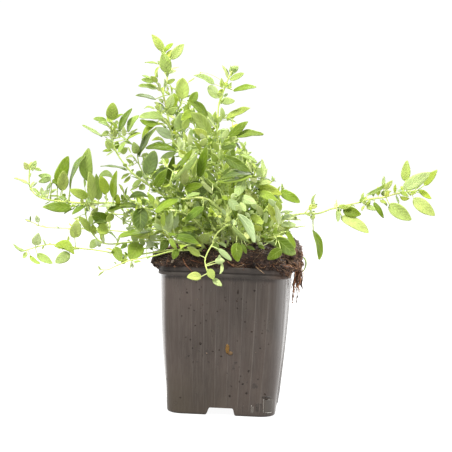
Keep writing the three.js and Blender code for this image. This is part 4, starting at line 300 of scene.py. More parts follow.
        (5.9,-6.1,114.7),(6.7,-10.4,116.3),(7.5,-11.5,121),(8.2,-12.4,125.7),(9,-13.3,130.4),(9.8,-14.4,135),
        (10.8,-15.8,139.6),(11.9,-17.4,144),(13,-19.1,148.4),(14.3,-20.8,152.8),(15.7,-22.4,157.1),(17.1,-24.2,161.4),
        (18.6,-26.7,165.3),(20.2,-29.4,169),(21.9,-32.1,172.6),
    ]),
    "u5": ("shoot_front_trailing", "H", .75, .4, [
        (.7,-22.1,114.6),(1.4,-18.8,117.9),(1.5,-20.9,122.6),(1.7,-23.2,127.2),(2,-26.2,131.4),(2.2,-29.6,135.3),
        (2.5,-33.2,139),(2.8,-36.9,142.5),(3.1,-40.8,145.9),(3.4,-45,148.9),(3.7,-49.4,151.5),(4.1,-54.1,153.7),
        (4.4,-58.8,155.7),
    ]),
    "u6": ("shoot_front_left_inner", "J", .9, .4, [
        (-11.3,-9.6,113.2),(-9.2,-11.2,116.7),(-10.6,-12.5,121.5),(-12,-14,126.2),(-13.6,-15.7,130.8),(-15.4,-17.3,135.3),
        (-17.1,-19.1,139.8),(-19,-21.1,144.1),(-20.9,-23.5,148.2),(-22.9,-26.2,152.1),(-24.9,-28.9,156),(-27.2,-31.6,159.7),
        (-29.6,-34.4,163.1),(-32.2,-37.4,166.4),(-34.9,-40.6,169.4),(-37.7,-43.8,172.3),
    ]),
    "u7": ("shoot_right_inner", "Q", .9, .4, [
        (13.1,-9.6,114.8),(14.6,-6.5,116.9),(16.5,-7.8,121.4),(18.5,-8.9,125.8),(20.7,-10,130.2),(23,-11.1,134.4),
        (25.5,-12.3,138.6),(28.2,-13.6,142.6),(31,-14.9,146.5),(34,-16.4,150.2),(37.1,-17.9,153.8),
    ]),
    "u8": ("shoot_inner_left_front", None, .9, .4, [
        (-12.4,-7.2,110.1),(-14.1,-8,114.8),(-16,-8.2,119.5),(-18.4,-8.3,124),(-21,-9.2,128.2),(-23.6,-10.5,132.4),
        (-26.2,-11.8,136.5),(-29,-13.1,140.6),(-31.8,-14.4,144.6),(-34.9,-15.7,148.4),(-38,-17.2,152.1),(-41.3,-18.6,155.7),
        (-44.7,-20.2,159.1),(-48.3,-21.8,162.3),(-52,-23.5,165.4),(-55.9,-25.2,168.2),
    ]),
    "f1": ("shoot_front_trailing", "H", .75, .4, [
        (1.1,-21.5,113.7),(-1.6,-24.9,115.2),(-1.8,-28.4,118.6),(-2,-31.9,122),(-2.3,-35.5,125.3),(-2.5,-39.4,128.2),
        (-2.8,-43.6,130.8),(-3.1,-47.9,133.1),(-3.4,-52.3,135.1),(-3.7,-56.8,136.9),(-4,-61.5,138.4),(-4.3,-66.2,139.5),
        (-4.6,-71,140.3),(-4.9,-75.9,140.6),(-5.2,-80.8,140.8),
    ]),
    "f2": ("shoot_front_short_b", "W2", .75, .4, [
        (10.6,-20.2,114.1),(7.9,-21.3,116.3),(9.3,-25,119.3),(10.7,-29.3,121.8),(12.1,-33.6,124),(13.4,-37.9,126.3),
        (14.8,-42.2,128.7),(16.3,-46.6,130.6),(17.9,-51.1,132.3),(19.5,-55.8,133.6),(21.2,-60.5,134.6),(22.8,-65.2,135.1),
        (24.5,-70,135.2),(26.2,-74.8,135),
    ]),
    "f3": ("shoot_front_inner_left", None, .9, .4, [
        (-8.7,-18,110.3),(-10.1,-21,113.8),(-11.6,-24.1,117.2),(-13.1,-27.3,120.5),(-14.8,-30.6,123.5),(-16.4,-34.1,126.4),
        (-18.2,-37.8,129.1),(-20,-41.5,131.6),(-21.8,-45.4,133.8),(-23.8,-49.4,135.8),(-25.7,-53.4,137.5),(-27.7,-57.6,139),
        (-29.8,-61.8,140.2),(-31.8,-66.1,141),(-33.9,-70.4,141.5),(-36,-74.8,141.9),
    ]),
    "f4": ("shoot_front_right_short", "X", .75, .4, [
        (21.4,-18.1,115.4),(19.7,-20.2,118.4),(22.6,-23.2,121.4),(25.6,-26.2,124.2),(28.7,-29.4,126.7),(31.9,-32.7,129.1),
        (35.1,-36,131.2),(38.4,-39.4,133),(41.8,-42.9,134.5),(45.3,-46.4,135.8),(48.8,-50,136.7),
    ]),
    "f5": ("shoot_front_side_left", None, .75, .4, [
        (-15.2,-12.7,109.7),(-18,-15,113.3),(-20.8,-17.5,116.7),(-23.8,-20.1,119.9),(-26.8,-22.7,123),(-30.1,-25.4,125.9),
        (-33.5,-27.9,128.7),(-37.1,-30.3,131.4),(-40.6,-33,133.9),(-43.9,-36.3,135.8),(-47.2,-39.8,137.4),(-50.9,-43.1,138.7),
        (-54.7,-46.3,139.8),(-58.5,-49.6,140.7),(-62.3,-52.8,141.5),
    ]),
    "f6": ("shoot_front_right_short", "X", .75, .4, [
        (20.4,-17.2,114.4),(22.6,-12.3,114.8),(25,-8,115.4),(29.3,-9.4,118.4),(33.7,-10.8,121.1),(38.2,-12.2,123.8),
    ]),
    "f7": ("shoot_side_left", None, .75, .4, [
        (-21.3,-5.4,109.2),(-25.2,-6.4,112.5),(-29.2,-7.4,115.5),(-33.4,-8.5,118.3),(-37.7,-9.6,120.8),(-42.2,-10.7,123.1),
        (-46.8,-11.9,125.2),(-51.4,-13.1,127.1),(-56.2,-14.3,128.7),(-61,-15.5,130),(-65.9,-16.8,131.1),(-70.8,-18,131.8),
        (-75.8,-19.3,132.2),(-80.8,-20.6,132.5),
    ]),
    "f8": ("shoot_centre_right_short", "V", .75, .4, [
        (9.7,3.6,114),(14.7,4.6,114.2),(19.8,5.5,114.5),(24.8,6.5,114.8),(29.1,7.4,116.6),(33.7,8.6,118.6),
        (38.1,9.7,120.8),
    ]),
    "l1": ("shoot_back_low_left", "b5", .75, .4, [
        (-4.3,23.7,112.3),(-6.7,28.2,112.7),(-8.3,32.7,113.9),(-9.5,37.3,115.7),(-10.8,41.9,117.3),(-12.2,46.6,118.8),
        (-13.6,51.3,119.8),(-15,56.1,120.4),(-16.5,60.9,120.6),(-18,65.8,120.3),(-19.4,70.6,119.6),(-20.8,75.3,118.4),
    ]),
    "l2": ("shoot_back_right_low", None, .75, .4, [
        (12.2,25.2,112.1),(14.3,29.6,113.7),(16.3,33.9,115.2),(18.5,38.3,116.5),(20.8,42.7,117.7),(23.3,47.1,118.7),
        (25.8,51.5,119.4),(28.3,55.9,119.6),(30.9,60.4,119.5),(33.4,64.8,119),(35.9,69.2,118.1),
    ]),
    "l3": ("shoot_left_behind", "C", .75, .4, [
        (-27.9,23.2,111.6),(-29.1,20.5,113.8),(-32.6,23.5,115.6),(-36.2,26.5,116.7),(-40.2,29.2,117.7),(-44.3,31.9,118.6),
        (-48.2,34.7,119.3),(-52.2,37.5,119.7),(-56.2,40.4,119.8),(-60.4,42.9,119.7),(-64.6,45.4,119.1),(-68.8,48,118.3),
    ]),
    "l4": ("shoot_front_short_a", "W", .75, .4, [
        (7.8,-23,113.6),(7.5,-27.9,113.9),(7.3,-32.8,114.1),(7,-37.7,114.3),(7.7,-42.4,115.4),(8.6,-47.1,116.4),
        (9.4,-51.9,117),(10.3,-56.7,117.3),(11.2,-61.5,117.2),(12,-66.3,116.7),(12.9,-71,115.7),(13.7,-75.6,114.5),
    ]),
    "l5": ("shoot_left_drooping", "E", .75, .4, [
        (-16.7,-35.4,111.8),(-14,-36.9,114.3),(-15.6,-41.2,115.8),(-17.3,-45.6,116.9),(-18.9,-50.1,117.6),(-20.7,-54.6,118),
        (-22.4,-59.2,117.9),(-24.1,-63.7,117.3),(-25.8,-68.1,116.4),
    ]),
}

# Leaves: the stem, the point on it, the start of the blade, its tip, its width, the
# way its upper side faces, its fold in degrees, its bend and its colour class.
LEAVES = [
    ("T",(-47.4,-3.6,242.1),(-48.4,-5.1,243.6),(-55.7,-10.7,254.4),5.7,(.42,-.89,-.17),10,(0,0,0),"L"),
    ("T",(-47.4,-3.6,242.1),(-47.9,-2.4,243.1),(-42.6,2,249.2),3.7,(-.19,-.71,.68),8,(0,0,0),"M"),
    ("T",(-46.7,-4.2,237.8),(-43.2,-3,238.3),(-35.2,.6,248.6),6.2,(.23,-.96,.16),14,(0,0,0),"M"),
    ("T",(-45.3,-6.4,229),(-45,-8.3,229),(-47.1,-15.5,242.5),7.8,(.2,-.88,-.43),12,(0,0,0),"P"),
    ("T",(-46.4,-4.5,236),(-51.8,-4,234.7),(-61.4,-1.7,235.3),4,(0,-.29,.96),8,(0,0,0),"M"),
    ("T",(-45.6,-6,230.6),(-44.7,-4.7,230.3),(-37.9,-.2,233.2),3.5,(-.18,-.33,.93),8,(0,0,0),"P"),
    ("T",(-45.3,-6.4,229),(-44.2,-6.8,228.9),(-38.9,-9.4,230.6),2.4,(-.51,-.77,.38),8,(0,0,0),"p"),
    ("T",(-45.4,-8.2,221.5),(-45.3,-7.2,221.5),(-39.9,-3.8,224.7),2.9,(.41,-.88,.23),8,(0,0,0),"q"),
    ("T",(-46.6,-8.6,218.8),(-46.6,-8.7,218.5),(-46.1,-12.7,224.7),2.9,(.74,-.54,-.4),8,(0,0,0),"p"),
    ("T",(-47.2,-8.6,217.5),(-45.9,-9.5,216.5),(-42.3,-13.2,213.9),2.6,(.05,-.54,.84),8,(0,0,0),"Y"),
    ("T",(-45.8,-8.4,220.2),(-44.3,-9.4,219.3),(-43.9,-12.4,216.6),1.8,(.6,-.48,.64),8,(0,0,0),"g"),
    ("T",(-47,-8.8,212.8),(-41.1,-8.8,214.4),(-42.6,-11,221.2),2.9,(.96,-.25,.13),8,(0,0,0),"L"),
    ("T",(-45.8,-8.4,220.2),(-37.8,-8.7,217.6),(-40.7,-10.9,218.5),1.7,(.62,-.55,.56),8,(0,0,0),"g"),
    ("TS",(-50.5,-20.8,222.9),(-49.7,-22.8,222.8),(-53.9,-26.2,226.2),3.5,(.46,-.85,-.25),8,(0,0,0),"Y"),
    ("TS",(-50.5,-20.8,222.9),(-52.4,-21.9,222.9),(-59.9,-26.5,224.1),3.6,(.52,-.73,.46),8,(0,0,0),"q"),
    ("TS",(-51.2,-22.9,225.9),(-55,-21,225.2),(-60.7,-18.4,226.9),2.6,(.07,-.43,.9),8,(0,0,0),"q"),
    ("TS",(-49,-17.7,219.2),(-50.7,-19.5,218.2),(-62.1,-26.3,219.7),5.4,(.4,-.49,.78),8,(0,0,0),"D"),
    ("TS",(-48.2,-15.7,217.2),(-48.2,-15.7,216.7),(-50.8,-17.9,218.5),2,(.52,-.82,-.24),8,(0,0,0),"p"),
    ("TS",(-51.2,-22.9,225.9),(-49.9,-21.8,225.6),(-48.9,-18.8,233.6),3.4,(-.76,-.57,.31),8,(-1,-.1,.2),"M"),
    ("TS",(-48.6,-16.8,218.2),(-48.1,-18,219),(-49.3,-20.1,222.3),1.9,(.84,-.55,-.03),8,(0,0,0),"p"),
    ("T",(-47,-8.8,212.8),(-52,-10.3,210.7),(-65.3,-15.4,213.2),5.8,(.3,-.33,.9),8,(.1,0,.7),"d"),
    ("T",(-46.3,-9,211.1),(-46.8,-9.7,209.9),(-50.1,-11.9,211),1.8,(.6,-.79,.16),8,(0,0,0),"p"),
    ("T",(-45.7,-9.4,209),(-45.5,-8.8,208.3),(-43.8,-6.7,210.7),1.6,(.38,-.81,.45),8,(0,0,0),"L"),
    ("TB",(-48.2,-25.7,206),(-47.9,-26,207.7),(-50.6,-29.2,209.3),2,(.68,-.69,-.26),8,(0,0,0),"P"),
    ("TB",(-47.8,-25.3,204.4),(-48,-27.9,204.1),(-48.8,-31,208.4),2.7,(.25,-.81,-.53),8,(0,0,0),"P"),
    ("TB",(-47.2,-24.6,202.3),(-46.5,-24.6,202.3),(-46.6,-26.6,207.2),2.4,(.63,-.72,-.28),8,(0,0,0),"p"),
    ("TB",(-47.2,-24.6,202.3),(-45.7,-22.8,202.2),(-44.4,-20.7,204.2),1.8,(.44,-.74,.51),8,(0,0,0),"P"),
    ("TB",(-48.2,-25.7,206),(-51.1,-25.3,204.6),(-58.4,-23.8,204.8),3,(-.03,-.32,.95),8,(0,0,1.1),"q"),
    ("TB",(-46.4,-22.7,199.3),(-45.2,-24.5,199.6),(-60.4,-30.6,199.3),6.6,(.26,-.67,.69),8,(0,0,.7),"q"),
    ("TB",(-46.4,-22.7,199.3),(-48.3,-27,195.5),(-59.4,-33.8,197.3),5.3,(.46,-.57,.68),8,(-.2,-.1,-1.3),"D"),
    ("TB",(-45.8,-21.5,197.9),(-48.9,-23.2,196.1),(-58.1,-31.9,184.8),5.1,(-.16,-.72,.68),8,(-.8,-.1,.7),"M"),
    ("TB",(-46.4,-22.7,199.3),(-46.8,-21.8,198.6),(-43.7,-18.6,196.1),2.3,(.77,-.63,.13),8,(0,0,0),"p"),
    ("T",(-44.5,-10.6,203.9),(-43,-13.1,205.1),(-39.7,-16.8,214.5),5.8,(.02,.93,.37),8,(0,0,0),"P"),
    ("T",(-44.9,-10.2,205.8),(-42,-9.4,205.3),(-38,-4.1,211.8),4.4,(.38,-.82,.44),8,(0,0,0),"M"),
    ("T",(-43.7,-11.3,200.6),(-42.8,-12.6,201.2),(-36.6,-16.2,206),4.8,(-.3,-.91,-.29),8,(0,0,0),"q"),
    ("S2",(-35.6,.3,210.4),(-35.2,-.8,211.4),(-34.4,-6.8,225.6),9.2,(.09,-.92,-.39),22,(0,0,0),"P"),
    ("S2",(-35.6,.3,210.4),(-38.5,-1.7,217.2),(-36.6,-5.6,224.8),3.5,(-.61,-.76,-.23),8,(0,0,0),"L"),
    ("S2",(-38.7,2.1,201.4),(-37.8,3.4,201.6),(-33.3,7.7,206.7),3.2,(-.45,-.44,.77),8,(0,0,0),"M"),
    ("S2",(-35.6,.3,210.4),(-32.6,1.2,212.6),(-29.1,3.4,214.3),2,(-.16,-.43,.89),8,(0,0,0),"D"),
    ("N1",(-7,-8.6,185.8),(-16.5,-8.7,199.8),(-29.1,-19.7,211),8.1,(.77,-.54,.34),8,(.4,.1,.5),"D"),
    ("S2",(-35.6,.3,210.4),(-27.8,-16.7,208.8),(-23.8,-12.4,216.8),5.4,(.27,-.9,.35),20,(0,0,0),"D"),
    ("S2",(-36.3,.9,207.9),(-32.1,-14.4,202.6),(-29.5,-11.2,208.6),2.9,(-.29,-.79,.54),8,(0,0,0),"D"),
    ("N1",(-7,-8.6,185.8),(-14.3,-14.5,188.5),(-25.7,-27.4,203),9,(.72,-.69,-.04),16,(.5,.1,.4),"q"),
    ("S2",(-35.9,.6,209.4),(-26.4,-16.2,203.6),(-32.9,-24.7,197.9),5.7,(.56,-.71,.42),8,(0,0,0),"M"),
    ("T",(-40.6,-13.4,188.2),(-34.2,-10,189.4),(-34.4,-20.1,201.9),8.5,(.15,-.77,-.62),18,(0,0,0),"p"),
    ("T",(-40.6,-13.4,188.2),(-32.1,-16.7,191.7),(-28.4,-19.4,198.1),5,(-.11,-.94,-.33),8,(0,0,0),"g"),
    ("J2",(-29.8,-28.3,184.6),(-26.4,-20,184.7),(-26,-24,192.6),3.5,(-.61,.69,.38),8,(0,0,0),"p"),
    ("N1",(-6.9,-8.9,184.8),(-15.9,-19.9,187.6),(-23.7,-28.5,192.1),5.39,(.65,-.72,-.24),8,(0,0,0),"L"),
    ("N1",(-6.8,-10,181.6),(-16.5,-23.3,184.8),(-19.6,-27.5,189),3.4,(.48,-.76,-.42),8,(0,0,0),"p"),
    ("J2",(-29.6,-28.9,180.3),(-27.6,-29.1,180.2),(-30.1,-33.3,190.2),4.19,(.92,-.4,.06),8,(-.6,-.1,-.2),"L"),
    ("J2",(-29.6,-28.9,180.3),(-33.1,-32.7,180.1),(-32.4,-37.6,186.8),3.3,(-.55,-.7,-.46),8,(0,0,0),"p"),
    ("J2",(-29.6,-28.9,180.3),(-25.8,-28.5,180.3),(-26.5,-32.6,189.1),3.9,(.62,-.72,-.29),8,(0,0,0),"p"),
    ("J2",(-29.4,-29.1,178.5),(-31.4,-31,177.4),(-29.3,-34.9,184.8),3.4,(-.25,-.88,-.39),8,(0,0,0),"p"),
    ("J2",(-29.2,-29.3,176.6),(-27.7,-30.1,176.7),(-24.8,-32.9,181.7),2.7,(-.16,-.9,-.42),8,(0,0,0),"p"),
    ("J2",(-29.8,-28.3,184.6),(-34,-28.3,184),(-35.2,-31.4,188),2.3,(.53,-.74,-.41),8,(0,0,0),"l"),
    ("J2",(-29.8,-28.3,184.6),(-30.3,-29.6,186.7),(-34,-32.9,187.3),2.2,(.54,-.49,.68),8,(0,0,0),"d"),
    ("J2",(-29.8,-28.3,184.6),(-35.1,-29,188.4),(-37.6,-32.2,190.2),2,(.66,-.69,-.3),8,(0,0,0),"L"),
    ("J2",(-29.2,-29.3,176.6),(-28.2,-32.8,176),(-32.5,-37.1,177.9),2.6,(.74,-.6,.29),8,(0,0,0),"Y"),
    ("J2",(-29.6,-28.9,180.3),(-30.5,-30,180.6),(-26.9,-33.7,183.6),2.4,(-.65,-.75,-.13),8,(0,0,0),"l"),
    ("T",(-40,-13.7,186.4),(-40.3,-15.2,185.8),(-50,-26,192),6.3,(.74,-.67,-.01),14,(0,0,0),"p"),
    ("T",(-38.3,-14.6,181.6),(-43.9,-15.4,180.2),(-53,-20.2,183),4.2,(.44,-.35,.83),8,(.6,.2,2.4),"q"),
    ("T",(-35.7,-15.5,178.3),(-35.59,-17.73,176.66),(-55.09,-31.23,178.77),9.5,(.35,-.37,.86),14,(.1,.1,.9),"D"),
    ("A2",(-60.5,-33.6,173.1),(-59.7,-34.7,172.9),(-48,-41.8,192.8),8.24,(-.81,-.51,.29),16,(0,0,0),"d"),
    ("A2",(-60.5,-33.6,173.1),(-60.5,-34.4,174.8),(-62.7,-39.6,182.5),5.6,(.31,-.83,-.47),8,(0,0,0),"P"),
    ("A2",(-60.5,-33.6,173.1),(-57.8,-34.1,172.8),(-53.8,-36.8,175.3),2.5,(-.58,-.81,.08),8,(0,0,0),"p"),
    ("A2",(-56.3,-29.9,160.1),(-54.23,-31.86,160.91),(-48.34,-41.46,177.41),9.6,(-.06,-.87,-.49),10,(0,0,0),"q"),
    ("A2",(-57,-30.4,161.6),(-57,-30.4,162.2),(-53.8,-33.2,158.5),3.3,(.19,.86,-.48),8,(0,0,0),"D"),
    ("A3",(-61.6,-35.7,170.6),(-60.7,-36.2,170.2),(-67.5,-40.7,171.9),3.3,(.41,-.28,.86),8,(.4,.2,2.2),"P"),
    ("A3",(-60.8,-34.6,169.4),(-63,-34.1,166.9),(-67.5,-37.5,171.2),2.8,(.68,-.72,.15),8,(0,0,0),"g"),
    ("A3",(-61.6,-35.7,170.6),(-65.9,-38.2,166.6),(-62.7,-39.9,168.3),1.8,(-.56,-.8,.22),8,(0,0,0),"P"),
    ("J",(-38,-35.1,153.4),(-40.82,-25.08,156.54),(-36.42,-29.85,173.83),4.62,(.03,-.96,-.26),8,(0,0,0),"d"),
    ("T",(-34.4,-15.6,177.3),(-36.4,-22.3,175.4),(-46,-26,171.8),4.09,(-.37,.93,.04),4,(0,0,0),"p"),
    ("J",(-36,-37.8,163.6),(-40.3,-32.4,166.1),(-50.3,-39.2,158.7),5.7,(-.19,-.59,.79),8,(0,0,0),"d"),
    ("J",(-38,-35.1,153.4),(-47.6,-39.1,153),(-39.8,-44.5,165.4),6.3,(-.2,-.94,-.28),8,(0,0,0),"D"),
    ("J",(-37.3,-36.4,158.6),(-35.85,-41.12,158.42),(-19.69,-46.03,177.94),11.45,(-.72,.25,.65),0,(0,0,0),"g"),
    ("J",(-36,-37.8,163.6),(-35.3,-36.4,164.5),(-23.3,-38.5,179.1),6.08,(-.67,-.57,.47),8,(.5,0,-.4),"D"),
    ("J",(-37.9,-35.5,155),(-39.1,-35.9,155.3),(-44.3,-39.3,159.8),3.3,(.43,-.89,-.18),8,(0,0,0),"D"),
    ("J",(-37.3,-36.4,158.6),(-33.1,-32.2,159.3),(-31.5,-30.1,165.2),3.3,(.17,-.94,.29),8,(0,0,0),"D"),
    ("J",(-37.9,-35.5,155),(-42.7,-39.4,154),(-37.2,-41,155.3),2.6,(-.35,-.79,.5),8,(0,0,0),"M"),
    ("J2",(-23.8,-27.4,159.4),(-28.8,-35.2,155.2),(-27.69,-42.13,167.67),5.63,(.07,-.87,-.48),8,(0,0,0),"l"),
    ("J3",(-20.2,-33.6,161.2),(-22,-35.4,159.8),(-20.5,-40.3,174),5.58,(-.78,-.61,-.13),8,(0,0,0),"L"),
    ("J3",(-19.3,-34.7,162.1),(-18.52,-37.69,160.95),(-13.49,-45.53,181.14),7.03,(-.47,-.86,-.17),16,(0,0,0),"D"),
    ("J3",(-21.6,-30.8,159.5),(-24.8,-31.9,160.5),(-14.5,-35.2,165.3),4.37,(-.44,-.8,.4),8,(0,0,0),"p"),
    ("I2",(-8.9,-38.8,156.6),(-8.72,-44.73,150.86),(-15.39,-53.32,159.1),3.76,(.09,.7,.71),4,(0,0,0),"p"),
    ("I1",(-24.2,-46.3,147.1),(-27.5,-40.2,152.4),(-14.8,-47.2,156.6),5.58,(-.52,-.83,.18),8,(0,0,0),"D"),
    ("J3",(-21.6,-30.8,159.5),(-25.8,-35.6,154.4),(-17.5,-39,157.9),3.8,(-.48,-.79,.38),8,(0,0,0),"d"),
    ("P1",(-44.1,-53.5,126.9),(-44.7,-54.6,137.5),(-29.5,-41.4,146.5),8.18,(-.18,-.4,.9),8,(0,0,0),"D"),
    ("B",(-48.5,-38.5,135),(-44.6,-46.4,139.5),(-30.8,-35.3,147),7.16,(-.16,-.4,.9),8,(0,0,0),"d"),
    ("I1",(-16,-42.5,147.5),(-13.78,-49.27,142.2),(-25,-58.1,132.4),6.25,(.02,-.76,.65),8,(0,0,0),"D"),
    ("I1",(-16,-42.5,147.5),(-16.1,-43.4,143.8),(-12.6,-46.2,146.4),2.3,(-.68,-.71,.17),8,(0,0,0),"P"),
    ("I1",(-22.4,-45.4,147.3),(-21.5,-44.8,142),(-25.5,-48.1,144.6),2.6,(.55,-.81,-.18),8,(0,0,0),"l"),
    ("I1",(-25.9,-47.1,147),(-25.1,-47.9,149),(-16.3,-50.3,150.9),3.7,(-.31,-.53,.79),8,(0,0,0),"q"),
    ("G",(-6.8,3.5,219),(-13.8,1.5,222),(-27,-5.5,228.2),6.5,(.09,.56,.83),8,(.4,0,1),"p"),
    ("G",(-9.3,4.3,211.7),(-10.9,3.3,212.5),(-16.9,-4.2,221.3),6.4,(-.41,.82,.41),16,(0,0,0),"p"),
    ("G",(-7.9,4.4,215),(-8,2.9,214.7),(-11.3,-.4,215.6),2.8,(.68,-.73,-.13),8,(0,0,0),"g"),
    ("G",(-5.4,3.6,222.6),(-23,2.2,230),(-24.5,2.1,228),1.1,(-.6,-.66,.45),8,(0,0,0),"M"),
    ("S2",(-35.6,.3,210.4),(-31.4,2.7,223),(-27,3,226.2),2.5,(-.55,-.32,.77),8,(0,0,0),"M"),
    ("G",(-4.1,3.6,226.2),(-4.4,1.2,226.5),(-8.1,-2,234.9),3.9,(.91,-.29,.29),8,(0,0,0),"P"),
    ("G",(-3.4,3.8,227.8),(-4.6,4.3,227.7),(-5.9,6.2,232.8),2.5,(.56,-.72,.41),8,(0,0,0),"D"),
    ("G",(-2.5,4.3,229.7),(-3.6,4.2,230.4),(2.2,8.6,234.5),5.1,(-.46,.84,-.28),8,(0,0,0),"q"),
    ("G",(-3.4,3.8,227.8),(-3,6.5,227.7),(-1.6,9.6,231.1),2.2,(.02,-.74,.67),8,(0,0,0),"M"),
    ("G",(-4.1,3.6,226.2),(-3.1,2.2,225.6),(6.8,-2.1,230),4.7,(-.51,-.75,.42),8,(0,0,0),"q"),
    ("G",(-6.8,3.5,219),(-8.3,2.5,219.7),(-8.3,-.5,226.2),3,(.09,-.9,-.42),8,(0,0,0),"l"),
    ("G",(-6.1,3.5,220.7),(-4,4.6,219.3),(-2.2,7.7,223.4),2.5,(-.54,.76,-.36),8,(0,0,0),"q"),
    ("G",(-6.1,3.5,220.7),(-4.4,3,219.8),(-1.3,1.2,220.4),1.8,(-.48,-.87,-.07),8,(0,0,0),"L"),
    ("G",(-6.1,3.5,220.7),(-.3,2.4,217.9),(15.5,-1.4,221),6.6,(-.28,-.52,.81),8,(0,0,0),"D"),
    ("G",(-8.5,4.4,213.5),(-7,5.4,213.7),(-4.6,8.6,215.6),2.1,(-.59,.7,-.41),8,(0,0,0),"q"),
    ("G",(-9.3,4.3,211.7),(-8.4,2.8,210.6),(1,-3.5,211),5.1,(-.56,-.83,0),4,(0,0,0),"q"),
    ("G",(-10.8,5.3,199.1),(-7.2,4.3,198.2),(-7.9,.3,206.1),3.6,(.51,-.78,-.36),8,(0,0,0),"l"),
    ("G",(-10.8,5.3,199.1),(-5,4.2,199.2),(11.6,.4,206.8),7.4,(-.45,-.52,.72),8,(.2,0,-.4),"q"),
    ("G",(-10.8,5.3,199.1),(-2.8,5.8,198.1),(1.8,9.2,196),2.4,(.56,-.32,.76),8,(0,0,0),"q"),
    ("G",(-10.9,5.2,197.2),(-4.6,7.3,197.2),(-2.8,9.4,198.8),1.5,(.51,-.76,.41),8,(0,0,0),"L"),
    ("G",(-11,5.2,195.3),(-13.6,3.2,195.6),(-17.4,-2.1,203.6),4.1,(.1,.81,.58),8,(0,0,0),"p"),
    ("G",(-11,5.2,195.3),(-12.5,5.2,195.4),(-12,.2,203.4),3.8,(-.54,-.73,-.42),8,(0,0,0),"Y"),
    ("G",(-11,5.2,193.8),(-16.1,2.7,193.8),(-19.8,-3.6,199.5),3.7,(.54,-.72,-.44),8,(0,0,0),"l"),
    ("G",(-11,5.1,192.6),(-13.6,2.7,193),(-16.6,-3.5,198.2),3.5,(.6,-.66,-.45),8,(0,0,0),"p"),
    ("G",(-11,5.2,193.8),(-11.7,4.4,193.4),(-14.5,.2,188.7),2.8,(-.41,-.55,.73),8,(0,0,0),"Y"),
    ("N1",(-6.9,-8.9,184.8),(-1.1,-13.9,186.8),(11.6,-19,198.1),7.1,(-.55,-.79,.27),8,(0,0,0),"D"),
    ("N1",(-6.9,-9.4,183.3),(-5.1,-18.4,186),(-.6,-23.1,192.5),4.09,(.26,.86,.44),8,(0,0,0),"P"),
    ("N1",(-6.9,-9.4,183.3),(2.97,-14.82,187.11),(22.41,-19.51,189.67),6.48,(-.28,-.65,.7),8,(0,0,0),"D"),
    ("N1",(-6.8,-10,181.6),(-.1,-16.1,184),(4.3,-19.8,187.8),3.4,(-.39,-.84,-.36),8,(0,0,0),"g"),
    ("N1",(-7,-8.6,185.8),(-8.2,-7.9,191.4),(-5.2,-10.7,186.9),2.5,(.52,-.52,.68),8,(0,0,0),"D"),
    ("N1",(-7,-8.6,185.8),(-7.5,-10,191.5),(-1.9,-12.6,191.4),2.4,(-.2,-.46,.86),8,(0,0,0),"q"),
    ("N1",(-7,-8.6,185.8),(-9.7,-10,186.4),(-7.7,-12.9,191.5),2.5,(-.78,-.63,-.05),8,(0,0,0),"Y"),
    ("N1",(-6.9,-9.4,183.3),(-5.6,-11.5,182.5),(-6.4,-15.6,189.1),3.1,(.74,-.61,-.29),8,(0,0,0),"p"),
    ("N1",(-7,-8.6,185.8),(-10.9,-11.9,186),(-11.6,-16,190.9),2.6,(.76,-.55,-.34),8,(0,0,0),"L"),
    ("N1",(-6.8,-10,181.6),(6.57,-15.91,184.1),(10.3,-20.7,177.9),2.17,(.41,-.6,.69),8,(.6,0,.3),"D"),
    ("N1",(-6.8,-10,181.6),(3.6,-15.6,183.5),(6.9,-19.3,178.9),2.7,(.61,-.33,.72),8,(0,0,0),"d"),
    ("N1",(-6.6,-10.5,179.8),(.6,-18.5,183.2),(3.7,-22.2,181.2),3,(-.53,-.69,.5),8,(0,0,0),"D"),
    ("N1",(-6.3,-11.4,176.9),(-5,-22.6,179.6),(4.8,-26.9,181.3),4,(-.41,-.69,.6),8,(0,0,0),"d"),
    ("N1",(-5.5,-12.4,171.1),(1,-21.8,174.3),(3.7,-25.6,179.6),3.8,(-.2,-.84,-.5),8,(0,0,0),"q"),
    ("N1",(-5.9,-12.2,173.4),(9,-17,177.3),(13.4,-19.7,176.3),2.4,(.53,.85,.05),8,(0,0,0),"p"),
    ("N1",(-6.3,-11.4,176.9),(-10.9,-20.9,179.1),(-13.1,-29.1,187),5.02,(.32,-.7,-.64),8,(0,0,0),"q"),
    ("J2",(-29.6,-28.9,180.3),(-19.5,-25.3,180.4),(-14.5,-30.9,186.1),4.74,(-.36,-.8,-.47),8,(0,0,0),"g"),
    ("J2",(-29.2,-29.3,176.6),(-18.4,-27.7,178.4),(-22.8,-33.1,184.3),3.6,(.85,-.48,.21),8,(0,0,0),"M"),
    ("N1",(-5.9,-12.2,173.4),(-7.7,-26,177.1),(-9.8,-32.2,184.2),3.9,(.61,-.68,-.41),8,(0,0,0),"g"),
    ("N1",(-6.2,-11.8,175.3),(-11.5,-29.6,178.2),(-7.5,-32.3,177.8),2.2,(.56,.79,.27),8,(0,0,0),"q"),
    ("N1",(-5.5,-12.4,171.1),(-4.1,-26.3,171.8),(-5.5,-31.4,179),3.6,(.68,-.65,-.33),8,(0,0,0),"g"),
    ("J3",(-12.9,-40.6,170.4),(-7.4,-33.5,171.3),(-10.2,-39.8,177.3),4,(.42,-.72,-.55),8,(0,0,0),"q"),
    ("J3",(-12.5,-41,171.3),(-5.5,-32,172.4),(-3.2,-34.8,176.4),2.4,(-.68,-.72,-.13),8,(0,0,0),"q"),
    ("N1",(-5.5,-12.4,171.1),(-.6,-26,173.7),(.7,-30,178.7),2.9,(-.07,-.79,-.61),8,(0,0,0),"L"),
    ("U",(10.1,-26.3,158.5),(-2.1,-29.5,174.1),(15.5,-38.2,165.7),6.73,(-.32,-.91,.27),12,(0,0,0),"d"),
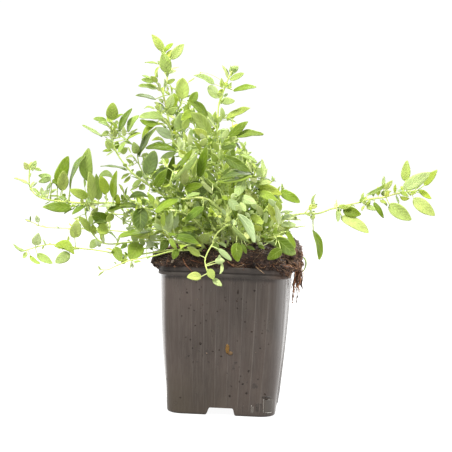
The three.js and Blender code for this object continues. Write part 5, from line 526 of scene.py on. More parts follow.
    ("U",(14.8,-27.1,161.2),(8,-26.9,176.1),(19.6,-32,171.4),5.02,(.15,-.45,.88),8,(.2,0,.5),"D"),
    ("U",(14.8,-27.1,161.2),(12.7,-28,173.8),(19,-33.5,167.9),3.81,(.29,-.53,.8),8,(0,0,0),"L"),
    ("U",(16.8,-26.8,161.7),(18.2,-30,165.9),(14.5,-34.3,173.9),3.9,(.88,-.44,.17),8,(0,0,0),"p"),
    ("U",(16.8,-26.8,161.7),(16.2,-32,164.6),(12.8,-36.3,172.1),3.7,(.92,-.33,.23),8,(0,0,0),"P"),
    ("U",(16.8,-26.8,161.7),(17.1,-31.1,163.8),(-3.4,-40.6,160.7),8.46,(.07,-.44,.9),8,(-.2,.1,1),"d"),
    ("I2",(-7.8,-37.8,155.7),(-6.2,-35.9,158.7),(16.2,-38.2,163.2),8.56,(-.21,-.16,.96),0,(.1,0,-.6),"D"),
    ("U",(21.7,-24.6,163),(23.2,-25.9,160.6),(22.8,-30.9,173.9),5.3,(.76,.6,.25),8,(0,0,0),"p"),
    ("U",(20.1,-25.5,161.9),(20.8,-27,161.2),(20.9,-33,168.6),3.8,(.13,.77,.62),8,(0,0,0),"p"),
    ("U",(21.7,-24.6,163),(24.7,-24.9,161.5),(25.8,-21.8,167),2.6,(-.84,.52,-.12),8,(0,0,0),"P"),
    ("U",(21.7,-24.6,163),(19.6,-24.4,166.1),(17.7,-27.5,169.2),2.4,(.44,-.75,-.49),8,(0,0,0),"p"),
    ("U",(21.7,-24.6,163),(23.2,-23.9,160.7),(30.4,-20.4,158.1),3.4,(.46,-.32,.83),8,(0,0,0),"D"),
    ("U",(21.7,-24.6,163),(21.6,-22.4,161.3),(25.4,-19.1,161.4),2.3,(-.54,.62,.57),8,(0,0,0),"P"),
    ("U",(18.6,-26.2,161.7),(19.8,-29.1,158.6),(15.4,-34.5,160.8),3.1,(.72,-.67,-.19),8,(0,0,0),"p"),
    ("U",(18.6,-26.2,161.7),(18.2,-26,160),(15.8,-30.1,156.2),2.4,(.03,-.68,.73),8,(0,0,0),"p"),
    ("U",(11.6,-26.7,159.6),(11.2,-35.4,159.5),(6.67,-45.71,148.8),6.3,(-.29,.74,-.6),10,(0,0,0),"q"),
    ("U",(13.3,-27,160.5),(13.4,-34.4,158.7),(16.4,-38.2,153.8),2.8,(.61,.76,-.2),8,(0,0,0),"p"),
    ("U",(13.3,-27,160.5),(13.3,-28.2,159.5),(10.8,-32.4,164.4),2.8,(.6,-.73,-.32),8,(0,0,0),"d"),
    ("V",(18.7,-20.7,153.5),(18.3,-25,156.8),(29.5,-30.2,158.4),4.65,(-.39,-.63,.67),8,(0,0,0),"g"),
    ("V",(18.7,-20.7,153.5),(20.1,-22.3,155),(36.7,-27,150.3),6.6,(-.16,-.91,.37),8,(0,0,0),"Y"),
    ("V",(18.7,-20.7,153.5),(35.23,-21.48,151.8),(48.83,-26.47,145.53),6.17,(-.19,-.93,.32),8,(0,0,0),"D"),
    ("V",(18.7,-20.7,153.5),(18,-22,154),(34.7,-25.8,146.7),6.98,(.3,-.39,.87),8,(.4,.1,.8),"d"),
    ("V",(15.2,-16.9,149),(10.9,-19.6,151.6),(21,-26.8,145.7),5.12,(-.01,-.64,.77),8,(0,0,0),"L"),
    ("V",(18.7,-20.7,153.5),(21.2,-28.5,151.3),(34.1,-33.5,146.7),5.39,(-.21,-.9,.39),8,(0,0,0),"M"),
    ("U",(7.3,-24.6,154.3),(8.1,-33.5,149.9),(13.4,-37.1,149.2),2.6,(-.53,-.83,.19),8,(0,0,0),"L"),
    ("V",(17.1,-19.2,151.8),(14.5,-18.7,153.4),(11.8,-22.9,156.7),2.7,(.8,-.59,-.1),8,(0,0,0),"L"),
    ("W",(1,-46.1,135),(2.5,-43.8,147.1),(10,-52.3,140.6),5.77,(.39,.76,-.53),8,(0,0,0),"d"),
    ("W",(1,-46.1,135),(8.8,-39.27,148.81),(21.01,-46.42,145.3),5.7,(.43,.87,-.24),8,(0,0,0),"q"),
    ("W",(1,-46.1,135),(10.1,-43.4,145.3),(14,-49.1,140),4.19,(.27,.75,-.61),8,(0,0,0),"q"),
    ("W",(1,-46.1,135),(3.9,-41.6,147.3),(7.4,-46.3,151.4),3.91,(.43,.75,.5),8,(0,0,0),"p"),
    ("I2",(-2.9,-31.7,148.4),(4,-33.8,148.4),(2.2,-38.9,154.8),3.7,(.28,-.78,-.55),8,(0,0,0),"Y"),
    ("I2",(-4.2,-34.4,152.4),(-2.6,-39.8,148.6),(1.8,-43.5,147.2),2.9,(-.54,-.78,.32),8,(0,0,0),"M"),
    ("W",(2,-43.8,133.4),(3.9,-44.8,135.2),(.4,-49.1,132.9),3.5,(.56,-.71,.43),8,(0,0,0),"g"),
    ("W",(2.7,-41.9,132),(4.5,-43.4,133.1),(8.2,-47.2,131),3.5,(.48,.74,-.47),8,(0,0,0),"q"),
    ("W",(1,-46.1,135),(.6,-47.3,137.3),(-1.4,-51.4,141.6),2.5,(.03,.71,.7),8,(0,0,0),"p"),
    ("W2",(9,-48.9,138.1),(9.8,-51.3,138.08),(21.03,-56.39,120.5),7.4,(.62,.76,.18),10,(1.1,.1,.7),"q"),
    ("W2",(8.9,-47,135.5),(6.1,-52.5,130.2),(18.03,-57.53,120.93),5.32,(.59,.66,.46),8,(-.6,-.1,-.7),"D"),
    ("W2",(9.1,-43.2,131.7),(8.9,-55.5,119.7),(10.3,-58.4,107.8),7.38,(.06,-.97,.24),14,(0,0,0),"D"),
    ("W2",(9.3,-39,127.6),(7.4,-39.6,127.8),(5.4,-42.8,131),2.2,(.47,-.76,-.46),8,(0,0,0),"Y"),
    ("W2",(8.9,-48.1,137),(16.8,-48.6,136.1),(13.9,-51.9,139.6),2.5,(-.2,.8,.57),8,(0,0,0),"p"),
    ("W2",(9.1,-49.5,138.9),(11.1,-49.5,139.6),(7.9,-54.8,144.4),3.3,(-.49,.73,.47),8,(0,0,0),"l"),
    ("W2",(9.3,-40.5,129),(12.3,-51.3,118.9),(15.7,-53,112.6),3,(-.01,-.96,.26),8,(0,0,0),"D"),
    ("H",(-11.1,-54.5,109.4),(-14.8,-54.9,110.4),(-22.88,-58.56,116.2),4.07,(.36,-.93,-.08),14,(0,0,0),"Y"),
    ("H",(-8.9,-59.2,100.1),(-13.07,-60.29,96.85),(-22.05,-62.94,97.07),5.3,(.29,-.95,.12),8,(0,.1,.6),"L"),
    ("H",(-9.5,-58.9,101.5),(-8.31,-60.77,102.4),(-4.54,-63.57,96.44),5.2,(-.06,-.92,.38),14,(0,0,0),"Y"),
    ("H",(-7.7,-59.7,97.4),(-5.5,-60.6,96.2),(.9,-63.1,91.9),3.96,(.16,.94,-.31),8,(0,0,0),"g"),
    ("H",(-10.3,-58.2,103.3),(-.26,-57.22,106.29),(-.75,-61.25,99.42),2.15,(-.15,.86,-.48),8,(.9,0,-.2),"P"),
    ("H",(-10.8,-57.5,104.9),(-4.5,-57.8,107.5),(2.1,-61.3,108.5),4.3,(.48,.88,-.06),16,(0,0,0),"p"),
    ("H",(-10.3,-58.2,103.3),(-1.7,-57.2,106.8),(-1.4,-60.2,112),2.9,(-.07,.86,.5),8,(0,0,0),"P"),
    ("H",(-6.7,-46.6,119.1),(-6.1,-47.8,118.5),(-3,-51.5,113.7),3.5,(-.17,-.82,.54),8,(0,0,0),"d"),
    ("H",(-8.3,-49.8,115.6),(-2.62,-53.13,114.88),(6.1,-55.4,108.2),3.65,(.06,.97,-.24),10,(0,0,0),"q"),
    ("H",(-6.7,-46.6,119.1),(-3.3,-47.3,118),(2.1,-49.9,115.8),2.6,(.49,.85,.2),8,(.4,.1,.8),"d"),
    ("H",(-6.7,-46.6,119.1),(-6.6,-46.8,119.6),(-3.2,-49.5,122.4),2.4,(.02,.73,.68),8,(0,0,0),"g"),
    ("H",(-9.1,-37.7,126.7),(-9.5,-39,127.5),(-13.4,-43.3,131.1),2.7,(.79,-.6,.12),8,(0,0,0),"d"),
    ("W",(4.2,-38.3,128.8),(-2.8,-32.5,129.9),(-7.5,-36.9,133.4),2.9,(.12,.54,.83),8,(.8,.2,1.4),"p"),
    ("W",(4.2,-38.3,128.8),(-7.8,-34.2,126.1),(-2.1,-37.8,130),3.1,(-.27,.49,.83),8,(1,-.1,-1.4),"M"),
    ("P1",(-34.8,-47.7,119.9),(-31.4,-47.3,122.4),(-16.8,-54.2,122.7),6.04,(-.36,-.75,.56),8,(0,0,0),"d"),
    ("P1",(-36.3,-51.2,123),(-31.2,-53.6,122.2),(-15.4,-58.4,118.7),6.32,(-.06,-.72,.7),14,(0,0,0),"D"),
    ("P1",(-31.1,-43.6,118),(-28.8,-43,126.1),(-18.3,-48.3,127.1),4.37,(-.4,-.69,.6),8,(0,0,0),"D"),
    ("P1",(-35.6,-48.8,120.6),(-37.3,-48.9,119.4),(-41.1,-53.2,112.2),5.7,(.26,-.88,.39),8,(0,0,0),"d"),
    ("P1",(-34.8,-47.7,119.9),(-38.7,-43,122.2),(-34.69,-50.81,138.14),6.72,(-.24,-.9,-.37),10,(0,0,0),"p"),
    ("P1",(-31.1,-43.6,118),(-34.6,-38.7,125.6),(-31.5,-43.5,135.8),4.37,(-.23,.85,.47),8,(0,0,0),"p"),
    ("P1",(-36.6,-51.9,124.2),(-36.3,-52.8,124.3),(-30.4,-55.3,124.2),2.6,(-.27,-.62,.73),8,(0,-.1,-.6),"D"),
    ("P1",(-40.5,-53.2,126.8),(-40.3,-56.1,126.6),(-46.1,-60.6,130.9),3.4,(.64,-.77,.07),8,(0,0,0),"q"),
    ("P1",(-42.2,-53.4,127),(-41.6,-54.6,128.9),(-44.5,-58.9,134.8),3.1,(.4,-.83,-.4),8,(0,0,0),"g"),
    ("P1",(-40.5,-53.2,126.8),(-40,-53.1,128.5),(-39.1,-58,138.2),4.4,(-.7,-.66,-.28),8,(0,0,0),"M"),
    ("P2",(-33.1,-52.6,117.8),(-35.1,-56.49,120.62),(-29.69,-59.03,114.13),3.18,(-.05,-.94,.34),8,(0,0,0),"D"),
    ("P2",(-30.7,-55.4,114.2),(-29.8,-56.7,114),(-32,-59.9,107.9),4.4,(.2,-.9,.39),8,(0,0,0),"D"),
    ("X",(34,-35.6,121.5),(34.1,-37.4,121.8),(47.07,-43.49,112.12),8.77,(-.22,-.92,.32),10,(0,0,0),"d"),
    ("X",(34,-35.6,121.5),(38.1,-42.9,115.1),(29.3,-48.5,108.9),6.8,(.34,-.88,.33),8,(0,0,0),"D"),
    ("X",(33.6,-34.6,122),(40.92,-34.14,126.88),(47.36,-39.67,116.21),3.78,(.28,-.76,.58),8,(0,0,0),"D"),
    ("X",(30,-25.8,124.7),(29.6,-23.8,124.6),(25.8,-27,126.8),2.5,(-.23,.71,.67),8,(0,0,0),"p"),
    ("X",(34,-35.6,121.5),(34.2,-45.6,117.3),(28.1,-49,119.7),3,(0,.57,.82),8,(.3,.1,.9),"d"),
    ("X",(31.9,-30.3,123.8),(31.7,-30.6,123.8),(34.3,-32.4,128.8),2.7,(-.19,-.95,-.24),8,(0,0,0),"q"),
    ("X",(30.7,-27.2,124.8),(29.7,-27.8,128.6),(31.3,-30.7,133.7),2.4,(-.22,.82,.54),8,(0,0,0),"p"),
    ("Q",(23.2,-30.5,136),(17,-36,136.3),(25.3,-42.4,131.6),5.34,(-.41,-.82,.39),8,(0,0,0),"M"),
    ("Q",(22.2,-28.7,133.7),(25,-36.3,127.1),(18.4,-41.8,129.6),3.8,(.62,-.78,-.08),8,(0,0,0),"Y"),
    ("Q",(21.6,-27.7,132.4),(26.6,-28.5,131),(26.8,-32.5,138.5),3.4,(-.48,.77,.42),8,(0,0,0),"p"),
    ("X",(31.9,-30.3,123.8),(35.6,-31.5,131),(33.1,-36.7,144.1),4.84,(.5,.77,.4),8,(0,0,0),"p"),
    ("Q",(26,-33,140.4),(31.8,-34.4,136),(28.5,-40.7,145),4.31,(.28,-.83,-.48),8,(0,0,0),"L"),
    ("Q",(23.9,-31.3,137.1),(24.1,-33.4,136.9),(20.6,-38.7,143.4),4,(.38,-.81,-.45),8,(0,0,0),"L"),
    ("Q",(27.8,-34,142.9),(32.3,-35,143.6),(28.2,-40.4,148),3.91,(-.55,.74,.39),8,(0,0,0),"p"),
    ("Q",(27.8,-34,142.9),(35.9,-27.4,139.5),(33.9,-31.6,147.2),3.9,(.2,-.88,-.43),8,(0,0,0),"L"),
    ("Q",(24.9,-32.2,138.7),(21.5,-33.3,140.6),(16.4,-38.7,144.6),3.4,(.73,-.68,.02),8,(0,0,0),"p"),
    ("Q",(23.9,-31.3,137.1),(14.8,-41,137.9),(19,-43.7,139.8),2.5,(-.5,-.86,-.14),8,(0,0,0),"P"),
    ("Q",(21.6,-27.7,132.4),(18.4,-38.8,125.3),(21.2,-42.7,131.1),3,(-.61,-.76,-.22),8,(0,0,0),"Y"),
    ("Q",(22.2,-28.7,133.7),(23.4,-42.1,120.4),(20.8,-45.3,124.1),2.6,(-.44,.81,.39),8,(0,0,0),"p"),
    ("X",(34,-35.6,121.5),(25.6,-44.2,116.8),(23,-47.4,120.1),2.4,(0,.72,.7),8,(0,0,0),"p"),
    ("X",(34,-35.6,121.5),(29.3,-40.2,122.2),(24.8,-43.5,123.3),2.6,(.56,-.54,.63),8,(0,0,0),"D"),
    ("W2",(9.3,-39,127.6),(15.2,-49,117),(20.9,-51.6,115.4),2.6,(-.19,-.78,.59),8,(0,0,0),"d"),
    ("Q",(22.2,-28.7,133.7),(23.1,-48.4,117.9),(27.4,-51.1,116.2),2.4,(-.22,-.74,.63),8,(0,0,0),"D"),
    ("R",(36.3,-11.8,131.1),(36.2,-13,132.6),(43.6,-16.5,136),3.6,(-.54,-.72,.44),8,(0,0,0),"p"),
    ("R",(37.6,-11.2,131.9),(35.6,-10.5,136.7),(43.6,-6.8,137.1),3.5,(.08,-.27,.96),8,(0,0,0),"D"),
    ("R",(39.1,-10.6,132.7),(39,-7.8,132.1),(49.4,-4,131.3),4.4,(.18,-.31,.93),8,(0,0,0),"P"),
    ("R",(35,-12.3,130.3),(36,-13.6,128.4),(46.4,-16.9,129.4),4.09,(-.29,-.74,.61),8,(0,0,0),"p"),
    ("R",(29.5,-14.1,126.4),(30.5,-16.4,126.3),(39.3,-19.7,126),3.8,(-.31,-.86,.4),8,(0,0,0),"l"),
    ("R",(33.7,-12.8,129.5),(32.9,-14.4,130.1),(28.9,-19.7,135.8),3.8,(.45,-.79,-.42),8,(0,0,0),"l"),
    ("R",(31,-13.7,127.5),(32.1,-13.8,126.8),(36,-17.5,123.5),2.5,(-.03,-.68,.73),8,(0,0,0),"L"),
    ("RS",(56.2,-5.8,141.7),(56.3,-6.3,142.6),(58.5,-8.1,149.8),3.1,(-.85,-.51,.14),8,(-.5,0,.2),"g"),
    ("RS",(56.2,-5.8,141.7),(56.7,-5.6,141.1),(57.2,-2.5,145.7),2.9,(-.07,.83,-.55),8,(0,0,0),"P"),
    ("RS",(56.2,-5.8,141.7),(55.9,-8.3,141.3),(60.1,-12,141.6),3.1,(-.66,-.74,.06),8,(0,0,0),"l"),
    ("RS",(56.2,-5.8,141.7),(58.2,-3.4,141.1),(59.8,-.3,142.6),1.7,(.08,-.48,.87),8,(0,0,0),"D"),
    ("R",(54.7,-3.2,136.1),(55.6,-4,136),(56,-6,139),1.9,(-.07,-.85,-.53),8,(0,0,0),"p"),
    ("R",(56.6,-2.2,136),(57.1,-1.3,136),(58,.8,137.7),1.8,(.29,-.69,.67),8,(0,0,0),"D"),
    ("R",(52.9,-4,136.1),(52.6,-5.7,135.6),(55.9,-7.4,134.6),1.8,(.13,-.32,.94),8,(0,0,0),"M"),
    ("R",(58.5,-1.1,135.9),(57.8,-2.6,135.4),(57.7,-5.6,132),2.2,(.04,-.75,.66),8,(0,0,0),"g"),
    ("R",(56.6,-2.2,136),(56,-1.7,134.4),(56.4,-3.7,131.8),1.8,(.05,.81,-.59),8,(0,0,0),"p"),
    ("R",(56.6,-2.2,136),(57.72,-5.67,125.01),(62.89,-14.4,105.78),6.44,(.7,-.56,.45),18,(1.2,.1,.3),"D"),
    ("R",(73,6.7,140),(73.1,7.4,140.2),(72.6,9.4,145.2),2.5,(.91,.41,-.07),8,(0,0,0),"p"),
    ("R",(73,6.7,140),(73.4,4.5,138.2),(74.4,.6,130.5),3.5,(.59,.75,-.3),8,(0,0,0),"q"),
    ("R",(73,6.7,140),(74.2,8.1,137.6),(74.6,10.2,133.8),1.9,(.68,-.67,-.29),8,(0,0,0),"D"),
    ("R",(76,8.3,140.7),(76.4,7.9,137.8),(73.7,5.7,138.4),1.6,(.64,-.7,.32),8,(0,0,0),"D"),
    ("R",(74.5,7.5,140.3),(74.5,5.6,140.8),(81.9,3.1,140.6),3.3,(-.31,-.95,.1),4,(0,0,0),"Y"),
    ("R",(76,8.3,140.7),(77.5,7.2,138.6),(89.8,3.1,135.9),7.1,(-.28,-.95,.16),16,(0,0,0),"D"),
    ("R",(74.5,7.5,140.3),(76.42,6.16,133.79),(95.67,-.44,124.22),8.37,(.05,-.77,.63),8,(0,0,0),"g"),
    ("R",(89.6,15.6,143.6),(89,14.2,142.9),(90.7,12.3,147.3),2.3,(-.7,-.71,-.04),8,(0,0,0),"q"),
    ("R",(91.1,16.5,144.1),(90.3,16.2,144.5),(91.1,13.3,150.2),2.6,(-.65,-.7,-.28),8,(0,0,0),"g"),
    ("R",(91.1,16.5,144.1),(91.4,18.2,142),(92.7,21.3,147),2.7,(-.38,-.74,.56),8,(0,0,0),"M"),
    ("R",(91.1,16.5,144.1),(92,14.5,141.2),(90.3,11.4,137.7),2.2,(-.38,-.6,.71),8,(0,0,0),"g"),
    ("R",(92.6,17.4,144.6),(92.8,16,141.6),(96.3,13.2,145.1),2.5,(-.76,-.57,.31),8,(0,0,0),"Y"),
    ("R",(91.1,16.5,144.1),(93.6,16.4,139.9),(100,12.8,138.4),3.6,(-.44,-.88,.2),8,(.2,0,.7),"g"),
    ("R",(99.1,20.8,146),(98.46,19.51,143.07),(105.54,16.04,132.98),3.67,(.04,-.94,.35),14,(0,0,0),"D"),
    ("R",(94.1,18.3,145.1),(93.21,19.87,148.12),(106.96,25.81,156.06),4.22,(-.31,-.51,.8),8,(.5,0,-.7),"D"),
    ("R",(107.4,24.8,147.2),(105.8,23,152.2),(110.8,19.3,159),3.7,(-.29,-.92,-.28),8,(0,0,0),"l"),
    ("R",(105.8,24,146.8),(104.79,26.94,153.41),(105.12,31.96,160.76),3.15,(-.55,.69,-.47),8,(0,0,0),"q"),
    ("R",(107.4,24.8,147.2),(106.9,23.4,146.9),(108.5,20.5,151.7),2.8,(-.2,-.86,-.46),8,(0,0,0),"L"),
    ("R",(105.8,24,146.8),(105.5,24.9,150),(110.7,28.3,151),2.5,(.2,-.55,.81),8,(0,0,0),"M"),
    ("R",(112.8,27.5,149),(113,26.6,150),(113,23.6,156.1),2.7,(-.6,-.72,-.36),8,(0,0,0),"L"),
    ("R",(114.4,28.2,149.3),(114.8,29,150.7),(117.5,31.2,152.3),1.7,(.04,-.62,.79),8,(0,0,0),"q"),
    ("R",(117.5,29.3,149.9),(116.7,28.2,150.7),(122.6,25.6,147.6),2.9,(-.18,-.9,.4),8,(0,0,0),"q"),
    ("R",(115.9,28.8,149.6),(116.9,29.9,146.7),(123.5,33.4,145.7),3.1,(.47,-.88,.02),8,(-.1,-.1,-.7),"L"),
    ("R",(114.4,28.2,149.3),(114,28.9,147.7),(116.2,32.1,141.8),2.9,(.7,.49,.52),8,(0,0,0),"p"),
    ("R",(102.6,22.5,146.4),(102.8,21.6,144.6),(107.5,18.9,143.2),2.5,(-.22,-.74,.64),8,(0,0,0),"Y"),
    ("R",(95.8,19.2,145.5),(95.9,19.8,143.4),(93.9,21.7,139.6),2.1,(-.52,-.84,-.15),8,(0,0,0),"L"),
    ("R",(120.9,30.6,150.4),(119.68,29.32,158.01),(120.42,25.33,172.64),6.27,(-.04,-.96,-.26),6,(0,0,0),"g"),
    ("R",(119.4,30,150.2),(118.9,28.5,153),(137,23.8,165.2),8.77,(-.22,-.97,-.05),12,(0,0,0),"g"),
    ("R",(128.8,33.7,151.6),(133.74,35.59,155.09),(142.09,41.19,166.13),6,(-.22,-.79,.58),6,(0,0,0),"Y"),
    ("R",(128.8,33.7,151.6),(130.1,32.6,152),(138.3,29.2,146.4),4.05,(-.24,-.94,.22),6,(0,0,0),"L"),
    ("R",(124.5,32,151),(126.1,30.6,145.8),(141.3,26.8,135.1),8.8,(-.14,-.98,.16),10,(0,0,0),"g"),
    ("R",(107.4,24.8,147.2),(109.2,23.4,141.6),(124.8,19.6,131.8),9,(-.14,-.98,.16),10,(0,0,0),"g"),
    ("R",(120.9,30.6,150.4),(121.4,31.6,150.8),(127.7,34.1,151.1),2.7,(.09,-.36,.93),8,(0,0,0),"M"),
    ("R",(122.7,31.3,150.7),(123.7,29.8,149.1),(128,28.1,150.8),2.2,(-.35,-.94,-.04),8,(0,0,0),"L"),
    ("R",(128.8,33.7,151.6),(129,34.5,151.5),(133,36.8,150.8),2.1,(.46,-.58,.67),8,(0,0,0),"M"),
    ("A",(-77.2,-40.9,196.9),(-77.3,-42.4,197.2),(-75.9,-47.3,208.5),7.9,(.11,-.91,-.41),10,(0,0,0),"q"),
    ("A",(-77.3,-40.9,195.7),(-80.8,-39.9,196.2),(-89.2,-44.5,197.6),3.9,(.48,-.72,.51),8,(0,0,0),"q"),
    ("A",(-77.4,-40.9,192.3),(-78.4,-42.5,192.9),(-85.1,-47,195.5),3.4,(.56,-.42,.72),8,(0,0,0),"M"),
    ("A",(-77.7,-40.9,187),(-83.3,-41.5,185.9),(-96,-45.5,193.5),6.1,(.54,-.13,.83),8,(-.3,-.1,-.6),"D"),
    ("A",(-77.7,-41,188.8),(-79.3,-40.7,189.2),(-83.5,-45,186.5),3,(.57,-.76,.32),8,(0,0,0),"q"),
    ("A",(-77.2,-40.9,196.9),(-76.4,-40.4,197),(-70.6,-36.9,201.1),3.2,(-.25,-.53,.81),8,(0,0,0),"D"),
    ("A",(-77.6,-41,190.6),(-72.3,-41.6,190.1),(-63.6,-45.9,205.2),7.2,(-.72,-.65,.23),16,(0,0,0),"D"),
    ("A",(-77.6,-41,190.6),(-66.3,-42,189.4),(-58.9,-46.4,200.7),5.7,(-.67,-.73,.15),14,(-.6,-.1,.3),"M"),
    ("A",(-77.3,-40.9,195.7),(-76.6,-42.2,195.3),(-72.6,-45.9,191.6),2.6,(.13,-.63,.77),8,(0,0,0),"D"),
    ("A",(-77.3,-40.9,195.7),(-75.3,-39.4,195.5),(-73.4,-36.2,195.2),2.7,(.85,-.53,-.04),8,(0,0,0),"p"),
    ("A",(-77.6,-41,190.6),(-77.1,-41.9,191),(-79.9,-45.2,193.5),2.2,(.78,-.62,.08),8,(0,0,0),"p"),
    ("A",(-77.5,-40.6,185.2),(-74.5,-42.6,185.8),(-74.6,-45.6,190.6),2.9,(.18,-.83,-.52),8,(0,0,0),"Y"),
    ("A",(-77.2,-40.3,183.3),(-75.8,-40.4,184.5),(-78.8,-43.7,188.3),2.6,(.47,-.82,-.33),8,(0,0,0),"p"),
    ("A",(-76.8,-39.9,181.6),(-76.5,-41.4,182.2),(-80.7,-44.7,184.5),2.6,(-.16,.69,.71),8,(0,0,0),"p"),
    ("A",(-75.5,-39.1,178.5),(-77,-41.3,178),(-80.5,-45.6,183.1),4.6,(.47,-.81,-.36),12,(0,0,0),"g"),
    ("A",(-74.7,-38.7,177),(-73.7,-37.4,177.6),(-75,-33.5,182.7),3.6,(.03,-.79,.61),8,(0,0,0),"D"),
    ("A",(-75.5,-39.1,178.5),(-77,-39.5,176.8),(-82.7,-42.9,176.1),2.7,(.28,-.61,.74),8,(0,0,0),"D"),
    ("A",(-74.7,-38.7,177),(-76.8,-37.9,175.9),(-81.1,-36.2,172.9),2.5,(-.46,.28,.84),8,(0,0,0),"P"),
    ("A",(-73.3,-38,173.9),(-71.3,-38.5,175.3),(-66.2,-42.1,178.7),4.4,(-.4,-.86,-.31),8,(0,0,0),"g"),
    ("A",(-74,-38.4,175.4),(-72.7,-41,175.8),(-67.5,-44.7,182.6),3.7,(-.69,-.71,.14),8,(0,0,0),"M"),
    ("A",(-76.2,-39.5,180),(-71.6,-39,180.9),(-63,-41.3,181.2),3.5,(-.19,-.57,.8),8,(0,.1,1.1),"p"),
    ("A",(-77.7,-41,188.8),(-72.8,-40.6,188.1),(-62.1,-42.8,181),5.2,(.54,-.1,.84),8,(0,0,0),"M"),
    ("A",(-76.8,-39.9,181.6),(-66.8,-42,184.3),(-57.3,-44.4,189.4),4.4,(-.51,-.46,.73),8,(0,0,0),"q"),
    ("A",(-77.7,-41,188.8),(-65.7,-41.7,188),(-59.8,-44.2,191.9),3,(-.62,-.53,.58),8,(0,0,0),"P"),
    ("A",(-77.5,-40.6,185.2),(-68.4,-43.3,186.6),(-68.4,-47.3,193),3,(.17,-.84,-.52),8,(0,0,0),"p"),
    ("A",(-77.2,-40.3,183.3),(-72.6,-40.5,185.1),(-71,-43.4,188.9),2.3,(-.53,-.77,-.35),8,(0,0,0),"p"),
    ("A",(-74,-38.4,175.4),(-66.2,-39.7,179.3),(-63.8,-41.5,175.5),2.2,(.81,.52,.25),8,(0,0,0),"P"),
    ("A",(-66.5,-35.5,164.7),(-66.8,-37,163.9),(-83.8,-44.3,166.1),7.4,(.18,-.13,.98),8,(.1,0,.7),"d"),
    ("A",(-64,-34.4,162),(-65.7,-35.9,161.4),(-70.1,-40.3,157.9),2.8,(-.08,-.57,.82),8,(0,0,0),"q"),
    ("A",(-64,-34.4,162),(-64.6,-33.8,162.3),(-63.2,-31.7,164.2),1.6,(.46,-.75,.48),8,(0,0,0),"D"),
    ("A",(-60,-32.2,158.6),(-62.2,-26.7,159.6),(-57.1,-21.3,161.3),5.1,(.66,-.71,.26),8,(0,0,0),"q"),
    ("A",(-57.5,-30.6,156.6),(-58,-33.1,157.1),(-63.1,-37.5,152.5),3.5,(.42,-.84,.34),8,(0,0,0),"q"),
    ("A",(-55.1,-29,154.9),(-55.8,-29.9,153.5),(-58.8,-34.1,150.9),4.3,(.57,-.68,.47),8,(0,0,0),"P"),
    ("A",(-56.3,-29.8,155.7),(-57.3,-30.9,153.6),(-64.9,-35.5,149.8),3.9,(-.32,-.23,.92),8,(0,0,0),"q"),
    ("A",(-64,-34.4,162),(-65,-35.4,159.6),(-68.4,-39.6,155.4),2.8,(-.07,-.68,.74),8,(0,0,0),"Y"),
    ("A",(-52.6,-27.5,153),(-52.3,-38,146.7),(-63.8,-46.9,145.9),5.8,(.29,-.45,.85),8,(-.1,.1,1),"d"),
    ("A",(-56.3,-29.8,155.7),(-54.8,-30.4,158.3),(-51.8,-33.2,156.9),2,(.49,.76,-.41),8,(0,0,0),"p"),
    ("B",(-59,-41.5,140),(-58.4,-42.9,141),(-77.8,-50.4,137),8.5,(-.07,-.32,.94),8,(-.1,0,.6),"d"),
    ("B",(-59,-41.5,140),(-59.7,-43,139.6),(-69.6,-48.7,140.7),4.6,(.37,-.49,.79),8,(0,.1,.7),"D"),
    ("B",(-73.5,-44.4,141.8),(-72.7,-46.6,141),(-83,-51.4,140),4.6,(.06,-.32,.94),8,(0,0,0),"q"),
    ("B",(-68.6,-43.2,141.6),(-67,-47.2,149.1),(-70.1,-51.4,155.3),3.3,(.92,-.19,.34),8,(0,0,0),"L"),
    ("B",(-68.6,-43.2,141.6),(-66.4,-47.2,147.7),(-64.6,-50.1,153.7),2.8,(-.85,-.53,-.01),8,(0,0,0),"D"),
    ("B",(-71.8,-44,141.8),(-71,-45.4,141.1),(-71,-49.4,148.2),3.3,(.17,-.86,-.48),8,(0,0,0),"M"),
    ("B",(-66.4,-42.8,141.4),(-67.3,-42.6,143.7),(-69,-46.8,148),2.9,(.44,-.72,-.53),8,(0,0,0),"D"),
    ("B",(-75.3,-44.8,141.9),(-74,-48.3,145.4),(-71.7,-54.1,164.1),7.9,(-.68,-.72,-.14),12,(0,0,0),"D"),
    ("B",(-75.3,-44.8,141.9),(-75.3,-44.4,148.3),(-73.7,-46.3,144.3),2.1,(.84,.54,.08),8,(0,0,0),"P"),
    ("B",(-79,-45.7,141.9),(-78.4,-48.6,148.5),(-81.4,-56.9,160.5),6.3,(.33,-.82,-.48),14,(0,0,0),"M"),
    ("B",(-75.3,-44.8,141.9),(-75.4,-44.7,159.4),(-84,-50.4,159.3),4.2,(-.55,.83,-.08),4,(-.1,.2,2.6),"D"),
    ("B",(-79,-45.7,141.9),(-79.5,-45.7,147.6),(-81,-48.8,151.9),2.9,(.38,-.81,-.45),8,(0,0,0),"D"),
    ("B",(-88.5,-47,141.7),(-87.3,-50.4,143.9),(-88.3,-58.5,163.4),8.5,(.81,-.55,-.19),12,(-.4,-.1,0),"g"),
    ("B",(-84.6,-46.6,141.8),(-84.2,-45.8,144),(-85.5,-49.9,161.6),7.2,(.66,-.74,-.13),8,(-.6,-.1,-.1),"q"),
    ("B",(-90.5,-47.1,141.6),(-91.5,-47.9,156.3),(-90.4,-54.8,178.2),9.2,(-.29,-.92,-.27),14,(0,0,0),"q"),
    ("B",(-103.2,-47.3,141.7),(-103.1,-49.9,151),(-93.2,-55.1,174.2),10.3,(-.9,-.31,.31),8,(-.8,-.1,.3),"D"),
    ("B",(-90.5,-47.1,141.6),(-90.9,-50.1,145.9),(-101.7,-57.9,151),6.2,(.56,-.82,-.08),10,(0,0,0),"L"),
    ("B",(-92.4,-47.2,141.6),(-93.3,-48.2,152.4),(-93.6,-50.2,157.7),2.6,(.94,-.33,-.07),8,(0,0,0),"p"),
